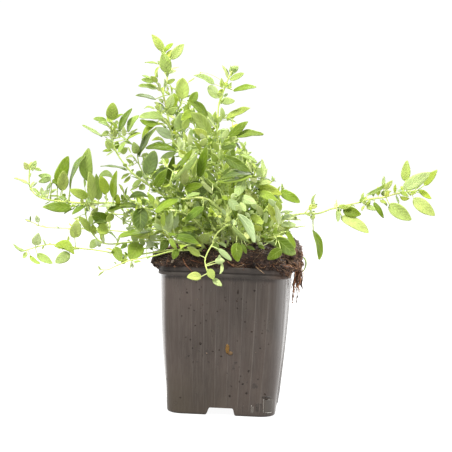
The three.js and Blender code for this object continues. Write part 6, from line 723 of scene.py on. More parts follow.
    ("B",(-88.5,-47,141.7),(-88.5,-47.5,147),(-90.4,-51.7,142),2.7,(.11,-.79,.61),8,(0,0,0),"q"),
    ("B",(-92.4,-47.2,141.6),(-93.1,-48.8,140.2),(-100.4,-54.4,134.7),4.3,(-.14,-.6,.79),8,(0,0,0),"D"),
    ("B",(-99.7,-47.4,141.5),(-100.2,-48,137.7),(-106.3,-51.5,134.4),3.1,(-.37,-.23,.9),8,(0,0,0),"D"),
    ("B",(-101.4,-47.3,141.6),(-101.5,-50.8,138.6),(-118.9,-60.1,139.4),7.9,(.41,-.71,.57),10,(0,0,0),"D"),
    ("B",(-94.2,-47.2,141.5),(-94.8,-47.4,141.4),(-95,-50.4,144.7),2.4,(.29,-.72,-.64),8,(0,0,0),"g"),
    ("B",(-90.5,-47.1,141.6),(-90,-48.4,141.3),(-85.5,-51.1,138.6),2.6,(.06,-.66,.75),8,(0,0,0),"g"),
    ("B",(-92.4,-47.2,141.6),(-91.8,-47.9,141),(-89.5,-50.7,136),2.5,(.84,-.21,.51),8,(0,0,0),"p"),
    ("B",(-110.4,-46.8,142.1),(-109,-46.3,149.3),(-110.2,-41.4,159.9),5.6,(.15,-.89,.43),8,(0,0,0),"D"),
    ("B",(-112.2,-46.6,142.2),(-111.7,-48.8,151.6),(-103.5,-56.2,172.9),9.6,(-.42,-.89,-.15),12,(0,0,0),"D"),
    ("B",(-108.5,-47,142),(-107.6,-51.9,150.1),(-105.7,-58.8,163.2),7.2,(.12,-.87,-.47),8,(0,0,0),"g"),
    ("B",(-108.5,-47,142),(-107.9,-46.3,145.2),(-106.3,-49.2,147.5),2.5,(-.26,-.68,-.68),8,(0,0,0),"D"),
    ("B",(-104.9,-47.2,141.8),(-105.2,-49.1,143.8),(-110.2,-53.5,145.6),2.8,(.67,-.59,.44),8,(0,0,0),"q"),
    ("B",(-104.9,-47.2,141.8),(-104.3,-46.6,145.8),(-103.1,-44.5,146.3),1.6,(.76,-.54,.35),8,(0,0,0),"M"),
    ("B",(-104.9,-47.2,141.8),(-105.2,-47,143.2),(-106.3,-50.1,140.8),1.8,(.18,-.63,.76),8,(0,0,0),"P"),
    ("B",(-119.4,-45.6,143),(-116.6,-44.8,157.6),(-125.5,-42.5,158.5),4.2,(.24,.96,-.13),4,(0,0,0),"D"),
    ("B",(-117.6,-45.9,142.7),(-115.9,-50.3,157.8),(-123,-54.9,155),4.2,(.47,-.86,.19),6,(0,0,0),"q"),
    ("B",(-115.9,-46.1,142.5),(-114.9,-49.1,156.5),(-111.3,-51.8,153.9),2.6,(-.29,-.83,.47),8,(0,0,0),"D"),
    ("B",(-121.2,-45.3,143.4),(-119.5,-45.4,149.6),(-114.9,-48.1,154.4),2.9,(-.71,-.62,.33),8,(0,0,0),"q"),
    ("B",(-117.6,-45.9,142.7),(-117.1,-44.3,146.9),(-113.4,-41,149.7),2.5,(-.05,-.62,.78),8,(0,0,0),"g"),
    ("B",(-117.6,-45.9,142.7),(-117.4,-46,145.5),(-111.5,-43.5,145.5),2.5,(-.17,.41,.9),8,(0,0,0),"P"),
    ("B",(-124.3,-44.8,144.3),(-123.9,-44.3,145.6),(-128.8,-47.7,150.5),3.1,(.77,-.38,.52),8,(0,0,0),"g"),
    ("B",(-124.3,-44.8,144.3),(-122.5,-45.8,146.2),(-122.3,-48.8,151.2),2.9,(.2,-.83,-.52),8,(0,0,0),"p"),
    ("B",(-122.8,-45,143.8),(-121.9,-47.8,146.1),(-116.4,-50.4,149.7),2.9,(-.29,-.93,-.23),8,(0,0,0),"p"),
    ("B",(-121.2,-45.3,143.4),(-120.5,-44.7,144),(-119.6,-42.6,146.6),2,(.34,-.8,.5),8,(0,0,0),"P"),
    ("B",(-125.6,-44.5,144.8),(-125.6,-43,144.9),(-126.2,-41.1,148.5),2,(.13,-.86,.5),8,(0,0,0),"L"),
    ("B",(-130.7,-43.5,149.9),(-130.2,-44.2,150.7),(-127.6,-46,154.5),2.2,(-.77,-.6,.23),8,(0,0,0),"p"),
    ("B",(-130.7,-43.5,149.9),(-129.1,-42.7,151),(-126.8,-40.5,153.6),1.8,(-.83,.42,.36),8,(0,0,0),"P"),
    ("B",(-131.6,-43,152.5),(-131.7,-43.6,152.6),(-141.3,-46.3,156.6),4.3,(.42,-.19,.89),8,(0,0,0),"M"),
    ("B",(-131.6,-43,162.6),(-132,-44.8,162.4),(-134.1,-48.9,167.3),3.9,(.47,-.76,-.45),4,(0,0,0),"p"),
    ("B",(-131.6,-43,162.6),(-130.8,-42.6,162.4),(-126.8,-45.3,168.3),4,(-.08,-.92,-.37),6,(0,0,0),"l"),
    ("B",(-131.6,-43,162.6),(-131.7,-41.4,162.4),(-131.2,-38.4,167.2),2.7,(.26,-.83,.5),8,(0,0,0),"L"),
    ("B",(-131.6,-43,162.6),(-129.8,-44.4,161.9),(-127,-48.2,164.8),2.5,(-.76,-.64,-.13),8,(0,0,0),"g"),
    ("B",(-131.6,-43,162.6),(-128.6,-41.7,163),(-124.3,-38.4,161.4),2.5,(-.43,.77,.48),8,(0,0,0),"p"),
    ("B",(-131.8,-43,157.9),(-131.5,-43.9,157.2),(-130.1,-45.8,160.2),1.7,(-.62,-.76,-.19),8,(0,0,0),"p"),
    ("C",(-136.3,15.6,118.8),(-136.2,14.8,120.9),(-136.9,11.7,126.1),3.4,(.31,-.84,-.45),8,(0,0,0),"p"),
    ("C",(-142.2,14.3,121.6),(-141.4,13.8,121.8),(-141.1,11.8,125.5),1.9,(.93,-.28,-.23),8,(0,0,0),"D"),
    ("C",(-142.2,14.3,121.6),(-142.2,14.9,121.2),(-145.8,16.7,122.6),1.9,(.01,-.61,.79),8,(0,0,0),"d"),
    ("C",(-108.5,19.5,117),(-107.6,18.7,123),(-111.3,15.4,124.6),2.4,(.63,-.39,.67),8,(0,0,0),"L"),
    ("C",(-88.1,22.4,116.5),(-88.1,24.1,126.4),(-86.7,24.2,115.7),4.3,(.87,.47,.12),8,(0,0,0),"P"),
    ("C",(-86.6,22.6,116.4),(-85.9,21.4,118.1),(-88,19.2,119.6),1.7,(.62,-.76,-.2),8,(0,0,0),"p"),
    ("F",(-90.4,-37.9,122.5),(-90.3,-39.3,122.2),(-97.2,-45.8,132.2),5.5,(.73,-.68,.06),14,(0,0,0),"L"),
    ("F",(-94.1,-38.2,133.7),(-97.6,-41.4,132.2),(-100.7,-44.7,130.4),2.2,(-.16,-.36,.92),8,(0,0,0),"p"),
    ("F",(-88.9,-37.8,120),(-87.7,-38.8,120.4),(-88.5,-42.9,127.3),3.7,(.26,-.84,-.47),8,(0,0,0),"Y"),
    ("F",(-90.4,-37.9,122.5),(-79.4,-39.4,128.3),(-87.7,-48,135.2),8.6,(.6,-.76,-.23),8,(0,0,0),"D"),
    ("F",(-88,-37.7,118.8),(-78.9,-41.3,125.8),(-83.9,-47.7,122.2),8,(.59,-.69,.42),10,(0,0,0),"M"),
    ("F",(-91.7,-38,125.3),(-88.9,-45.4,127.3),(-78.8,-48.6,130),4.4,(-.32,-.23,.92),8,(-.2,.1,.9),"d"),
    ("B",(-84.6,-46.6,141.8),(-85.1,-43,138.3),(-89.3,-48.3,132.8),3.5,(.26,-.79,.56),8,(0,0,0),"l"),
    ("FB",(-74.2,-42.7,134.5),(-75.1,-40.7,134.3),(-78.6,-45,129.5),4.6,(.39,-.81,.44),8,(0,0,0),"Y"),
    ("F",(-85.8,-37.5,116.6),(-86.2,-37.1,116.1),(-90.1,-41.4,110.9),5.3,(-.38,.83,-.4),6,(0,0,0),"g"),
    ("F",(-83.1,-37.4,114.7),(-83.4,-38.8,111.8),(-86.4,-42,116.5),2.7,(.45,-.84,-.3),8,(0,0,0),"p"),
    ("F",(-81.4,-37.3,114),(-81.4,-39.2,114.3),(-81.4,-42.2,119.6),2.4,(.78,-.55,-.3),8,(0,0,0),"p"),
    ("F",(-72.6,-35.8,113.9),(-72.2,-34.3,114.2),(-81,-24.9,120.7),5.8,(.76,.3,.58),8,(0,0,0),"q"),
    ("F",(-72.6,-35.8,113.9),(-72.2,-36.7,114.9),(-70.5,-39.6,119.8),2.7,(-.75,.43,.5),8,(0,0,0),"p"),
    ("F",(-59.6,-32.6,115.5),(-56.7,-42.2,115.6),(-61.5,-51.6,105.7),10.6,(.35,-.76,.55),8,(0,0,0),"M"),
    ("F",(-65.6,-34.2,114.8),(-66,-35.4,114.2),(-69.6,-39.7,111.1),3.1,(.51,-.74,.43),8,(0,0,0),"D"),
    ("D",(-73.1,-47.9,108.9),(-72.7,-46.3,112.7),(-67.1,-53.9,104.5),6.2,(-.14,-.77,.62),12,(0,0,0),"D"),
    ("D",(-68.3,-46.9,108),(-68.1,-48.9,104.5),(-63.1,-52.6,108),2.8,(-.7,-.62,.36),8,(0,0,0),"q"),
    ("D",(-66.5,-46.6,107.8),(-67.2,-51.4,102.8),(-62.6,-55.1,106.3),2.9,(-.45,-.84,-.3),8,(0,0,0),"L"),
    ("D",(-64.5,-46.3,107.5),(-63.7,-47.4,107.7),(-65.6,-50.5,110.3),2,(.89,-.43,.14),8,(0,0,0),"M"),
    ("F",(-52.3,-30.1,116),(-49.4,-43.3,123.7),(-69.5,-52.8,120.3),9,(.01,-.35,.94),12,(-.1,0,.5),"D"),
    ("F",(-50.3,-29.4,116.2),(-48.2,-37.8,120.4),(-64,-46,122.3),7.2,(.4,-.61,.68),10,(0,0,0),"L"),
    ("FB",(-59.8,-36.2,124.2),(-61.6,-34.7,123.7),(-66.5,-40,125.1),3.7,(.73,-.68,-.02),8,(0,0,0),"p"),
    ("F",(-59.6,-32.6,115.5),(-59.2,-33.9,116),(-62.6,-39.1,120.2),4.4,(.61,-.7,-.37),8,(0,0,0),"p"),
    ("F",(-54.2,-30.8,115.9),(-54.5,-32.2,113.3),(-57.8,-36.4,118.1),3.1,(.5,-.79,-.35),8,(0,0,0),"L"),
    ("F",(-52.3,-30.1,116),(-48.1,-39.4,117.1),(-51.6,-44.7,112.2),4.4,(.41,-.75,.51),8,(0,0,0),"p"),
    ("F",(-54.2,-30.8,115.9),(-51.4,-39.9,117.8),(-44.8,-44.4,121.2),4,(-.49,-.85,-.19),8,(0,0,0),"p"),
    ("FB",(-66.5,-39.7,128.5),(-67.6,-41.8,127.5),(-67.9,-44.8,133),2.5,(.8,-.54,-.26),8,(0,0,0),"p"),
    ("FB",(-67.7,-40.2,129.1),(-67.4,-40,130.9),(-64.2,-42.8,136.9),2.9,(-.55,-.83,-.09),8,(0,0,0),"p"),
    ("FB",(-66.5,-39.7,128.5),(-66.5,-39,129.8),(-62.4,-36.7,129.3),2.1,(.35,-.45,.82),8,(0,0,0),"p"),
    ("B",(-57.5,-41.2,139.4),(-55.8,-47.1,139.5),(-54.7,-56,125.1),10.9,(.11,-.84,.53),8,(0,0,0),"d"),
    ("B",(-60.8,-41.9,140.5),(-61.9,-42.3,138),(-63.9,-45.5,136.1),2,(.56,-.67,.49),8,(0,0,0),"p"),
    ("E",(-58.8,-61,106.5),(-57.5,-61.6,105.2),(-52.7,-63.2,106.3),2.3,(-.35,-.55,.75),8,(0,0,0),"M"),
    ("E",(-60.1,-61.4,106.2),(-59.2,-62.2,105.2),(-59.6,-64.2,101.4),2,(-.85,.5,-.17),8,(0,0,0),"p"),
    ("E",(-58.8,-61,106.5),(-58.9,-60.2,104.8),(-58.6,-58.2,100.6),2.1,(.7,.62,.36),8,(0,0,0),"p"),
    ("E",(-68.2,-63.6,102.8),(-68.8,-64,104.2),(-70.2,-65.1,104.9),1,(.59,-.81,-.07),8,(0,0,0),"L"),
    ("E",(-76.2,-65.9,99.2),(-76.7,-66.5,98.8),(-80,-68.8,96),2.2,(-.73,.48,.48),8,(0,0,0),"P"),
    ("E",(-79.2,-66.1,100),(-78.7,-66.7,100),(-79.9,-68.8,102.7),1.6,(.8,-.6,-.11),8,(0,0,0),"p"),
    ("E",(-47.6,-56.7,108.5),(-47.2,-57.3,109.1),(-49.2,-59.4,107.4),1.5,(.06,-.65,.76),8,(0,0,0),"q"),
    ("E",(-49,-57.3,108.2),(-50.2,-58,114.4),(-51.9,-60.1,113.9),1.2,(.4,-.49,.77),8,(0,0,0),"D"),
    ("D",(-98.8,-51.5,112.1),(-98.5,-53.5,118.8),(-96,-60.4,131.4),7.6,(.08,-.87,-.49),8,(0,0,0),"L"),
    ("D",(-102.6,-51.8,112.7),(-102.8,-52.3,116.4),(-102.5,-54.3,119.8),1.8,(.6,-.67,-.44),8,(0,0,0),"l"),
    ("D",(-111.6,-52.5,113.6),(-111.7,-54.2,113.5),(-97.8,-59.2,108.4),6.6,(-.23,-.93,.28),8,(1.3,.6,3),"M"),
    ("D",(-100.7,-51.7,112.4),(-101.7,-53.3,108.2),(-109.7,-60.9,102.8),7.2,(.51,-.78,.35),8,(0,0,0),"q"),
    ("D",(-124.3,-53.4,111.6),(-124.3,-55,113),(-121.4,-60.8,122),6.3,(.03,-.84,-.55),8,(0,0,0),"p"),
    ("D",(-118.4,-53,113.2),(-118.1,-53.6,113.5),(-119.4,-55.7,117.5),2.1,(.6,.62,.51),8,(0,0,0),"P"),
    ("D",(-119.8,-53.1,112.8),(-119.4,-52.5,112.4),(-120.5,-50.6,110.1),1.4,(-.42,.58,.7),8,(0,0,0),"P"),
    ("D",(-124.3,-53.4,111.6),(-123.2,-54.9,106.9),(-112,-59,101.8),5.2,(-.12,-.88,.46),12,(0,0,0),"q"),
    ("D",(-129.2,-53.8,109.8),(-127.7,-54.9,105.9),(-120.5,-58.4,101.3),3.7,(.32,-.45,.83),8,(-.8,-.3,-1),"M"),
    ("D",(-131,-54,109.2),(-130.3,-54.4,108.1),(-132,-57.5,104.2),2.9,(.37,-.79,.48),8,(0,0,0),"g"),
    ("D",(-132.2,-54,108.8),(-131.7,-55.6,109.1),(-138.6,-60.2,114.7),4,(.7,-.25,.67),8,(-.7,-.3,-1.1),"q"),
    ("D",(-75.7,-48.6,109.4),(-75.5,-50.3,109.8),(-74.1,-52.2,108.1),1.3,(.56,.74,-.37),8,(0,0,0),"P"),
    ("D",(-74.4,-48.2,109.2),(-73.3,-49.8,111.2),(-77.7,-52.2,112.6),2.3,(.43,-.26,.86),8,(0,0,0),"L"),
    ("b1",(11,22.8,125.2),(13.7,22.2,126),(26.6,22.9,130.2),7.1,(-.29,.76,.58),7,(-.6,-.2,-.4),"d"),
    ("b1",(11,22.8,125.2),(8.6,26.6,126.8),(3,34.8,133),6.5,(.07,-.65,.76),9,(-.2,.4,.5),"D"),
    ("b1",(11,22.8,125.2),(11.9,23.9,124.4),(14.2,26.2,124.1),1.4,(.12,.01,.99),14,(0,0,0),"L"),
    ("b1",(13,27,130.9),(12.8,26,134.3),(12.8,23.4,148.4),8.4,(.93,.36,.06),12,(-.2,-.2,-.4),"d"),
    ("b1",(13,27,130.9),(13.6,29.8,130.5),(16.2,43.8,130.7),7.5,(.46,-.18,.87),9,(-.2,-.2,-.2),"M"),
    ("b1",(13,27,130.9),(14,26.2,131.4),(16.3,25.1,133.4),1.4,(-.36,.57,.74),14,(0,0,0),"M"),
    ("b1",(15.2,31.7,136.2),(19.2,33.1,137.9),(31.9,39.4,143.5),8.4,(-.6,.55,.58),12,(-.4,0,-1),"Y"),
    ("b1",(15.2,31.7,136.2),(12.6,33,138),(3.4,40,146.4),6.9,(.2,-.7,.68),14,(-.3,.7,-.2),"L"),
    ("b1",(15.2,31.7,136.2),(16.6,32,135.7),(20.6,33.8,135.6),2,(.02,.07,1),14,(0,0,0),"L"),
    ("b1",(15.2,31.7,136.2),(15.4,31.1,137.4),(16.5,31.5,142.2),2.2,(-.67,.73,.1),14,(0,0,0),"P"),
    ("b1",(17.7,36.7,141.2),(17.5,35.4,143.8),(17,35.6,155),6.5,(.67,.74,.02),11,(-.4,0,0),"M"),
    ("b1",(17.7,36.7,141.2),(18.3,40.1,141.1),(20.7,50.7,141.8),6.4,(.54,-.23,.81),14,(0,0,-.1),"M"),
    ("b1",(17.7,36.7,141.2),(16.7,37.7,142),(15.7,40.4,146.5),2.4,(.26,-.8,.54),14,(0,0,0),"P"),
    ("b1",(20.2,41.7,145.8),(22.5,42.2,146.4),(29.8,45.9,148.9),5.1,(-.27,-.27,.92),13,(0,-.3,0),"M"),
    ("b1",(20.2,41.7,145.8),(19.2,42.8,146.8),(17.4,49.2,151.3),4.9,(.16,-.56,.82),6,(.4,.2,.4),"P"),
    ("b1",(20.2,41.7,145.8),(21.1,41.1,146.6),(24.4,39.8,150.1),2.3,(-.72,.03,.7),14,(0,0,0),"P"),
    ("b1",(20.2,41.7,145.8),(19.5,43,145.3),(18.6,47,146),2.2,(-.09,-.15,.98),14,(0,0,0),"Y"),
    ("b1",(23,46.5,149.8),(23,48,149.2),(23.6,52.1,149.1),2.2,(.09,-.08,.99),11,(0,.1,-.1),"L"),
    ("b1",(25.8,51.6,153.2),(25.8,52,153.2),(25.4,55.3,153.1),1.8,(.71,.09,.7),14,(0,0,0),"M"),
    ("b2",(.8,28.4,132.3),(2.6,31.4,133.3),(6.8,40.1,136.6),5.9,(.02,-.45,.89),6,(.8,-.1,0),"L"),
    ("b2",(.8,28.4,132.3),(-1.3,30,133),(-7.4,36.5,135.8),5,(.6,.11,.79),13,(0,.1,.1),"q"),
    ("b2",(.8,28.4,132.3),(2.1,27.5,132.8),(5.6,31.3,135.4),2.6,(-.06,-.53,.85),14,(0,0,0),"P"),
    ("b2",(1,34.1,139.9),(1,32.8,144.5),(-.6,32.1,159.2),8.9,(.94,.33,.1),6,(.6,-.1,0),"D"),
    ("b2",(1,34.1,139.9),(1.5,38.5,139.8),(2.8,51.1,140.2),8,(-.32,-.09,.94),14,(.8,.2,-.4),"M"),
    ("b2",(1.1,37.8,144.2),(4.1,39.5,146.5),(13.2,45.1,154.4),6.9,(-.52,-.38,.77),7,(.1,-.4,.5),"D"),
    ("b2",(1.1,37.8,144.2),(-1.6,38.5,146.2),(-8.8,39.2,157.1),7.5,(.86,.07,.5),8,(0,0,.4),"M"),
    ("b2",(1.1,37.8,144.2),(.4,37.2,145.3),(-3,37.4,150.5),2.8,(.83,-.14,.54),14,(0,0,0),"L"),
    ("b2",(1.3,43.7,151),(.7,44.1,155),(-.8,47.6,168.3),7.9,(.89,-.41,.2),5,(-.4,-.1,-.4),"D"),
    ("b2",(1.3,43.7,151),(2.1,47.9,150.8),(3.9,61.2,151.6),8.4,(-.21,-.13,.97),12,(-.5,-.3,.3),"M"),
    ("b2",(1.3,43.7,151),(.4,43.9,150.8),(-2.6,48.7,151.6),2.9,(-.02,-.15,.99),14,(0,0,0),"M"),
    ("b2",(1.5,49.8,157.2),(4.3,52.4,159),(12.4,58.2,167.4),7.5,(-.81,.17,.55),9,(.5,.5,-.6),"Y"),
    ("b2",(1.5,49.8,157.2),(-1.6,51.8,159),(-10.1,58.9,164.7),6.6,(.62,-.03,.78),7,(-.1,.3,.4),"D"),
    ("b2",(1.5,49.8,157.2),(.5,49.7,158.1),(-2.8,51.3,163.1),2.8,(.81,-.11,.58),14,(0,0,0),"L"),
    ("b2",(1.7,53.7,160.6),(2.1,53.7,163.5),(4.1,55.7,175.1),6.1,(-.87,.48,.05),9,(.3,0,.6),"D"),
    ("b2",(1.7,53.7,160.6),(1.8,55.9,160.3),(3,66.4,161.4),6.7,(.8,-.18,.57),7,(.2,.2,.3),"P"),
    ("b2",(1.7,53.7,160.6),(2.8,52.9,161.5),(4.8,54.5,163.8),1.6,(-.65,-.18,.74),14,(0,0,0),"M"),
    ("b2",(1.7,53.7,160.6),(3,54.5,160.4),(7.2,57.5,162),2.6,(-.26,-.13,.96),14,(0,0,0),"P"),
    ("b2",(1.9,60.4,165.6),(3.7,61.3,165.7),(9.1,66.3,163.6),4.2,(-.2,.37,.91),13,(-.1,.1,-.5),"L"),
    ("b2",(1.9,60.4,165.6),(.7,61.4,166),(-2.6,66.8,169.5),4.4,(-.23,-.63,.74),7,(-.2,-.2,.5),"D"),
    ("b2",(2.1,66.1,169.2),(1.8,67.5,168.8),(1.6,71.4,169.5),2.4,(.39,-.2,.9),13,(-.1,-.2,-.1),"M"),
    ("b2",(2.3,70.6,171.5),(.9,71.8,172.2),(-1.4,76.4,175.1),3.4,(0,-.55,.83),11,(.1,.1,-.1),"M"),
    ("b2",(2.3,70.6,171.5),(3.4,71.1,170.9),(7.4,74.7,169.8),2.7,(.28,-.01,.96),14,(0,0,0),"M"),
    ("b2",(2.5,75.8,173.6),(1.4,76.7,175.8),(-1.4,80.8,181.1),3.9,(.91,.02,.4),11,(.2,.3,-.4),"D"),
    ("b2",(2.5,75.8,173.6),(2.8,76.9,172.7),(2.6,83.9,170.7),3.8,(-.38,.12,.92),9,(-.4,.2,-.1),"M"),
    ("b2",(2.7,82.8,176),(2.5,83.1,176),(.4,86.9,175.5),2.3,(.66,.37,.66),14,(0,0,0),"M"),
    ("b3",(-11.6,28.2,130),(-10.5,33,131.1),(-9.8,43.9,134.8),6.7,(.1,-.4,.91),7,(.2,.1,.2),"D"),
    ("b3",(-11.6,28.2,130),(-14.5,28.3,132.2),(-24.2,28.8,139.3),7.1,(.65,.2,.73),10,(.6,.4,-.6),"D"),
    ("b3",(-13.7,33.4,135.7),(-12.4,32.6,140),(-7.4,31.1,155.4),9.8,(-.96,-.09,.27),13,(0,0,-1.1),"D"),
    ("b3",(-13.7,33.4,135.7),(-14.8,37.1,136.6),(-18.4,49.2,139.7),7.2,(.16,-.27,.95),13,(-.8,.5,.1),"Y"),
    ("b3",(-13.7,33.4,135.7),(-13.7,35.7,135),(-14.6,39.2,135.1),1.6,(.16,.03,.99),14,(0,0,0),"Y"),
    ("b3",(-13.7,33.4,135.7),(-15,33.6,136),(-20.4,37,136.2),2.8,(.25,.35,.9),14,(0,0,0),"L"),
    ("b3",(-13.7,33.4,135.7),(-14.9,33.6,134.4),(-18.2,35.7,133.3),1.8,(-.51,-.41,.76),14,(0,0,0),"L"),
    ("b3",(-16.3,39.7,141.5),(-14.6,41.4,142.4),(-7.4,49.8,148.2),7.2,(-.31,-.39,.86),8,(-1.1,-.7,.2),"M"),
    ("b3",(-16.3,39.7,141.5),(-19.9,39.2,144.1),(-31,38.8,151.5),6.8,(.62,-.1,.77),11,(0,-.1,-.4),"L"),
    ("b3",(-16.3,39.7,141.5),(-17.7,39.7,141.4),(-22.2,40.5,141.9),2.1,(.15,.13,.98),14,(0,0,0),"L"),
    ("b3",(-18.5,44.3,145.6),(-19.7,43.5,149),(-23.8,41.9,158.6),6.3,(.57,.74,.35),6,(.2,0,.2),"Y"),
    ("b3",(-18.5,44.3,145.6),(-18.3,47.7,144.9),(-18.4,56.8,143.6),5,(.18,.02,.98),11,(-.6,.5,-.1),"D"),
    ("b3",(-18.5,44.3,145.6),(-19.3,44.4,145),(-21.7,47.7,145.1),2,(-.11,-.1,.99),14,(0,0,0),"M"),
    ("b3",(-21.1,49.7,149.7),(-20.2,51.8,150),(-18.8,61.4,151.7),5.5,(.49,-.28,.83),8,(.1,.1,-.1),"M"),
    ("b3",(-21.1,49.7,149.7),(-24,49.9,151.7),(-32.4,52.3,156.8),5.5,(.5,-.31,.81),11,(.5,.3,.6),"M"),
    ("b3",(-23.8,55.3,153.2),(-24.4,55.6,156.1),(-27.3,57.7,164.6),5.1,(-.51,-.86,.07),11,(-.2,.5,-.6),"M"),
    ("b3",(-23.8,55.3,153.2),(-24.5,56.8,152.5),(-28.4,64.6,152),5.5,(.19,.03,.98),14,(0,0,-.4),"L"),
    ("b3",(-26,59.7,155.3),(-25.4,61.5,155.2),(-24.8,70.1,154),5.4,(-.74,.06,.67),8,(-.2,-.2,.4),"M"),
    ("b3",(-26,59.7,155.3),(-27.6,60.6,157.8),(-31.7,65.8,166),5.7,(.26,-.75,.6),6,(-.3,.1,-.1),"M"),
    ("b3",(-26,59.7,155.3),(-24.8,60.5,155.1),(-23.4,64.3,156),2.2,(-.1,-.15,.98),14,(0,0,0),"L"),
    ("b3",(-28.9,65.8,157.5),(-29.1,67.8,156.1),(-30.7,74.5,152.7),4,(-.3,.24,.92),6,(-.1,-.3,-.1),"M"),
    ("b3",(-31.3,70.6,158.6),(-30.6,72,160),(-31.2,78.5,165.3),5.1,(-.28,-.62,.73),11,(.3,.1,.1),"D"),
    ("b3",(-31.3,70.6,158.6),(-33.4,71,159),(-40.7,74.3,161.4),4,(.3,-.22,.93),16,(0,.1,-.4),"D"),
    ("b3",(-31.3,70.6,158.6),(-31.8,70.5,157.3),(-33.1,72.2,155.4),1.4,(-.4,.5,.77),14,(0,0,0),"L"),
    ("b3",(-31.3,70.6,158.6),(-30.5,71.9,158.2),(-29.8,76.8,157.1),2.7,(-.27,.2,.94),14,(0,0,0),"Y"),
    ("b3",(-33,74.2,159.1),(-33.6,74.9,157.6),(-34.9,77.8,154.5),2,(-.52,.4,.76),9,(-.1,.1,-.1),"L"),
    ("b3",(-35.2,78.8,159.5),(-33.8,79.5,160.5),(-32,85.9,163.4),4.2,(-.18,-.41,.9),12,(0,-.2,.1),"M"),
    ("b3",(-35.2,78.8,159.5),(-37.9,76.5,160.2),(-44.3,79.4,160.8),3.6,(.3,.18,.94),12,(0,-.2,-.2),"Y"),
    ("b3",(-35.7,79.7,159.6),(-36,81.6,159.6),(-35.9,86.4,160.3),2.6,(-1,.03,-.06),14,(0,0,0),"L"),
    ("b3",(-35.7,79.7,159.6),(-36.2,80.2,160.1),(-39.8,83.8,162.9),2.9,(.26,.68,-.68),14,(0,0,0),"L"),
    ("b3",(-35.7,79.7,159.6),(-35.7,80.9,159.1),(-37.1,86.2,156.6),3.2,(-.42,.26,.87),14,(0,0,0),"Y"),
    ("b3",(-35.7,79.7,159.6),(-35.3,79.4,160.1),(-33.5,85.4,163.9),3.8,(-.81,.42,-.4),14,(0,0,0),"L"),
    ("b3",(-35.7,79.7,159.6),(-36,78.6,159.2),(-39.2,80.8,157.6),2,(.31,.74,.6),14,(0,0,0),"M"),
    ("b4",(-19.1,18.3,127.8),(-20,22,129.3),(-25.3,36.1,133.9),8,(-.54,-.5,.67),10,(-.4,-.2,-.3),"L"),
    ("b4",(-19.1,18.3,127.8),(-21.9,15.8,130.2),(-31.9,8.9,137.1),7.8,(.16,.66,.73),10,(.1,-.1,.2),"d"),
    ("b4",(-19.1,18.3,127.8),(-20,17.4,128.2),(-22.5,16.5,129.8),1.4,(.6,-.4,.7),14,(0,0,0),"P"),
    ("b4",(-22.7,21.7,134.2),(-21.6,21.2,137.8),(-20,22.1,149.3),7.1,(-.99,.06,.12),15,(-.3,.3,.3),"D"),
    ("b4",(-22.7,21.7,134.2),(-23.7,22.9,134.4),(-28.4,31.3,137.5),5.6,(.14,-.38,.92),14,(-.2,.6,.6),"Y"),
    ("b4",(-22.7,21.7,134.2),(-23,21.2,135.3),(-24.5,21,141.3),2.8,(.84,-.51,.2),14,(0,0,0),"Y"),
    ("b4",(-27,25.8,140.7),(-26.1,26.8,143),(-25,30.7,152.6),5.3,(.94,-.33,.02),9,(.1,.2,.4),"L"),
    ("b4",(-27,25.8,140.7),(-30.1,25.9,141.9),(-39.5,27.9,146),5.7,(.51,.34,.79),6,(.1,.1,0),"L"),
    ("b4",(-31.6,30.2,146.7),(-31.2,31,149.5),(-31.6,35.6,158.7),5.4,(-.42,-.84,.36),7,(.4,0,-.4),"D"),
    ("b4",(-31.6,30.2,146.7),(-33.8,33.1,146.1),(-40.1,41.4,144.8),5.8,(0,.03,1),12,(0,.1,.2),"M"),
    ("b4",(-31.6,30.2,146.7),(-32.8,29.9,146),(-36.4,31,145.3),1.7,(-.26,-.22,.94),14,(0,0,0),"Y"),
    ("b4",(-36.6,35,152),(-36.5,37.4,154.2),(-39.3,45.8,164.2),8.5,(.5,-.61,.62),6,(.1,0,0),"L"),
    ("b4",(-36.6,35,152),(-39.1,34,153.2),(-51.7,32.2,159.9),8.4,(.55,-.04,.84),15,(.6,-.5,.9),"D"),
    ("b4",(-36.6,35,152),(-36.4,34.5,153.4),(-37,34,159.3),2.7,(-.44,-.89,-.12),14,(0,0,0),"P"),
    ("b4",(-41.4,39.6,156.2),(-41.3,40.8,157.8),(-42.8,46.1,162.5),3.8,(-.34,-.66,.67),14,(0,0,-.1),"P"),
    ("b4",(-41.4,39.6,156.2),(-42.9,40.6,155.7),(-49.2,44.7,155.8),3.6,(.02,-.14,.99),15,(.1,.3,0),"Y"),
    ("b4",(-45.2,42.7,159),(-45,42.6,160),(-46.4,41,165.9),3.4,(.51,.79,.34),10,(0,.1,.2),"D"),
    ("b4",(-49.1,45.8,161.4),(-49.2,46.2,163.2),(-52.1,48.4,169.1),3.5,(.51,-.7,.5),14,(.1,-.1,.4),"M"),
    ("b4",(-49.1,45.8,161.4),(-50.7,46.4,160.4),(-58.1,50.2,158),4.2,(.07,.43,.9),6,(.5,0,-.1),"M"),
    ("b5",(-7.1,39,122.4),(-3.7,40.6,124.8),(5.8,45.4,132.6),7.5,(-.07,-.81,.58),7,(-1.1,-.2,-.1),"D"),
    ("b5",(-7.1,39,122.4),(-10.1,40.8,124.1),(-19.5,49.6,129),7.9,(.78,.4,.48),16,(.4,.4,.2),"Y"),
    ("b5",(-8.2,44.4,125.3),(-7.3,45.2,129.2),(-4.6,48.5,142),6.9,(-.97,.19,.13),12,(.1,-.4,-.6),"L"),
    ("b5",(-8.2,44.4,125.3),(-8.9,44.4,126.5),(-10.2,46,129),1.5,(.33,-.67,.66),14,(0,0,0),"P"),
    ("b5",(-8.2,44.4,125.3),(-6.9,44.9,125.7),(-4.3,46.9,126.9),1.7,(-.27,-.2,.94),14,(0,0,0),"M"),
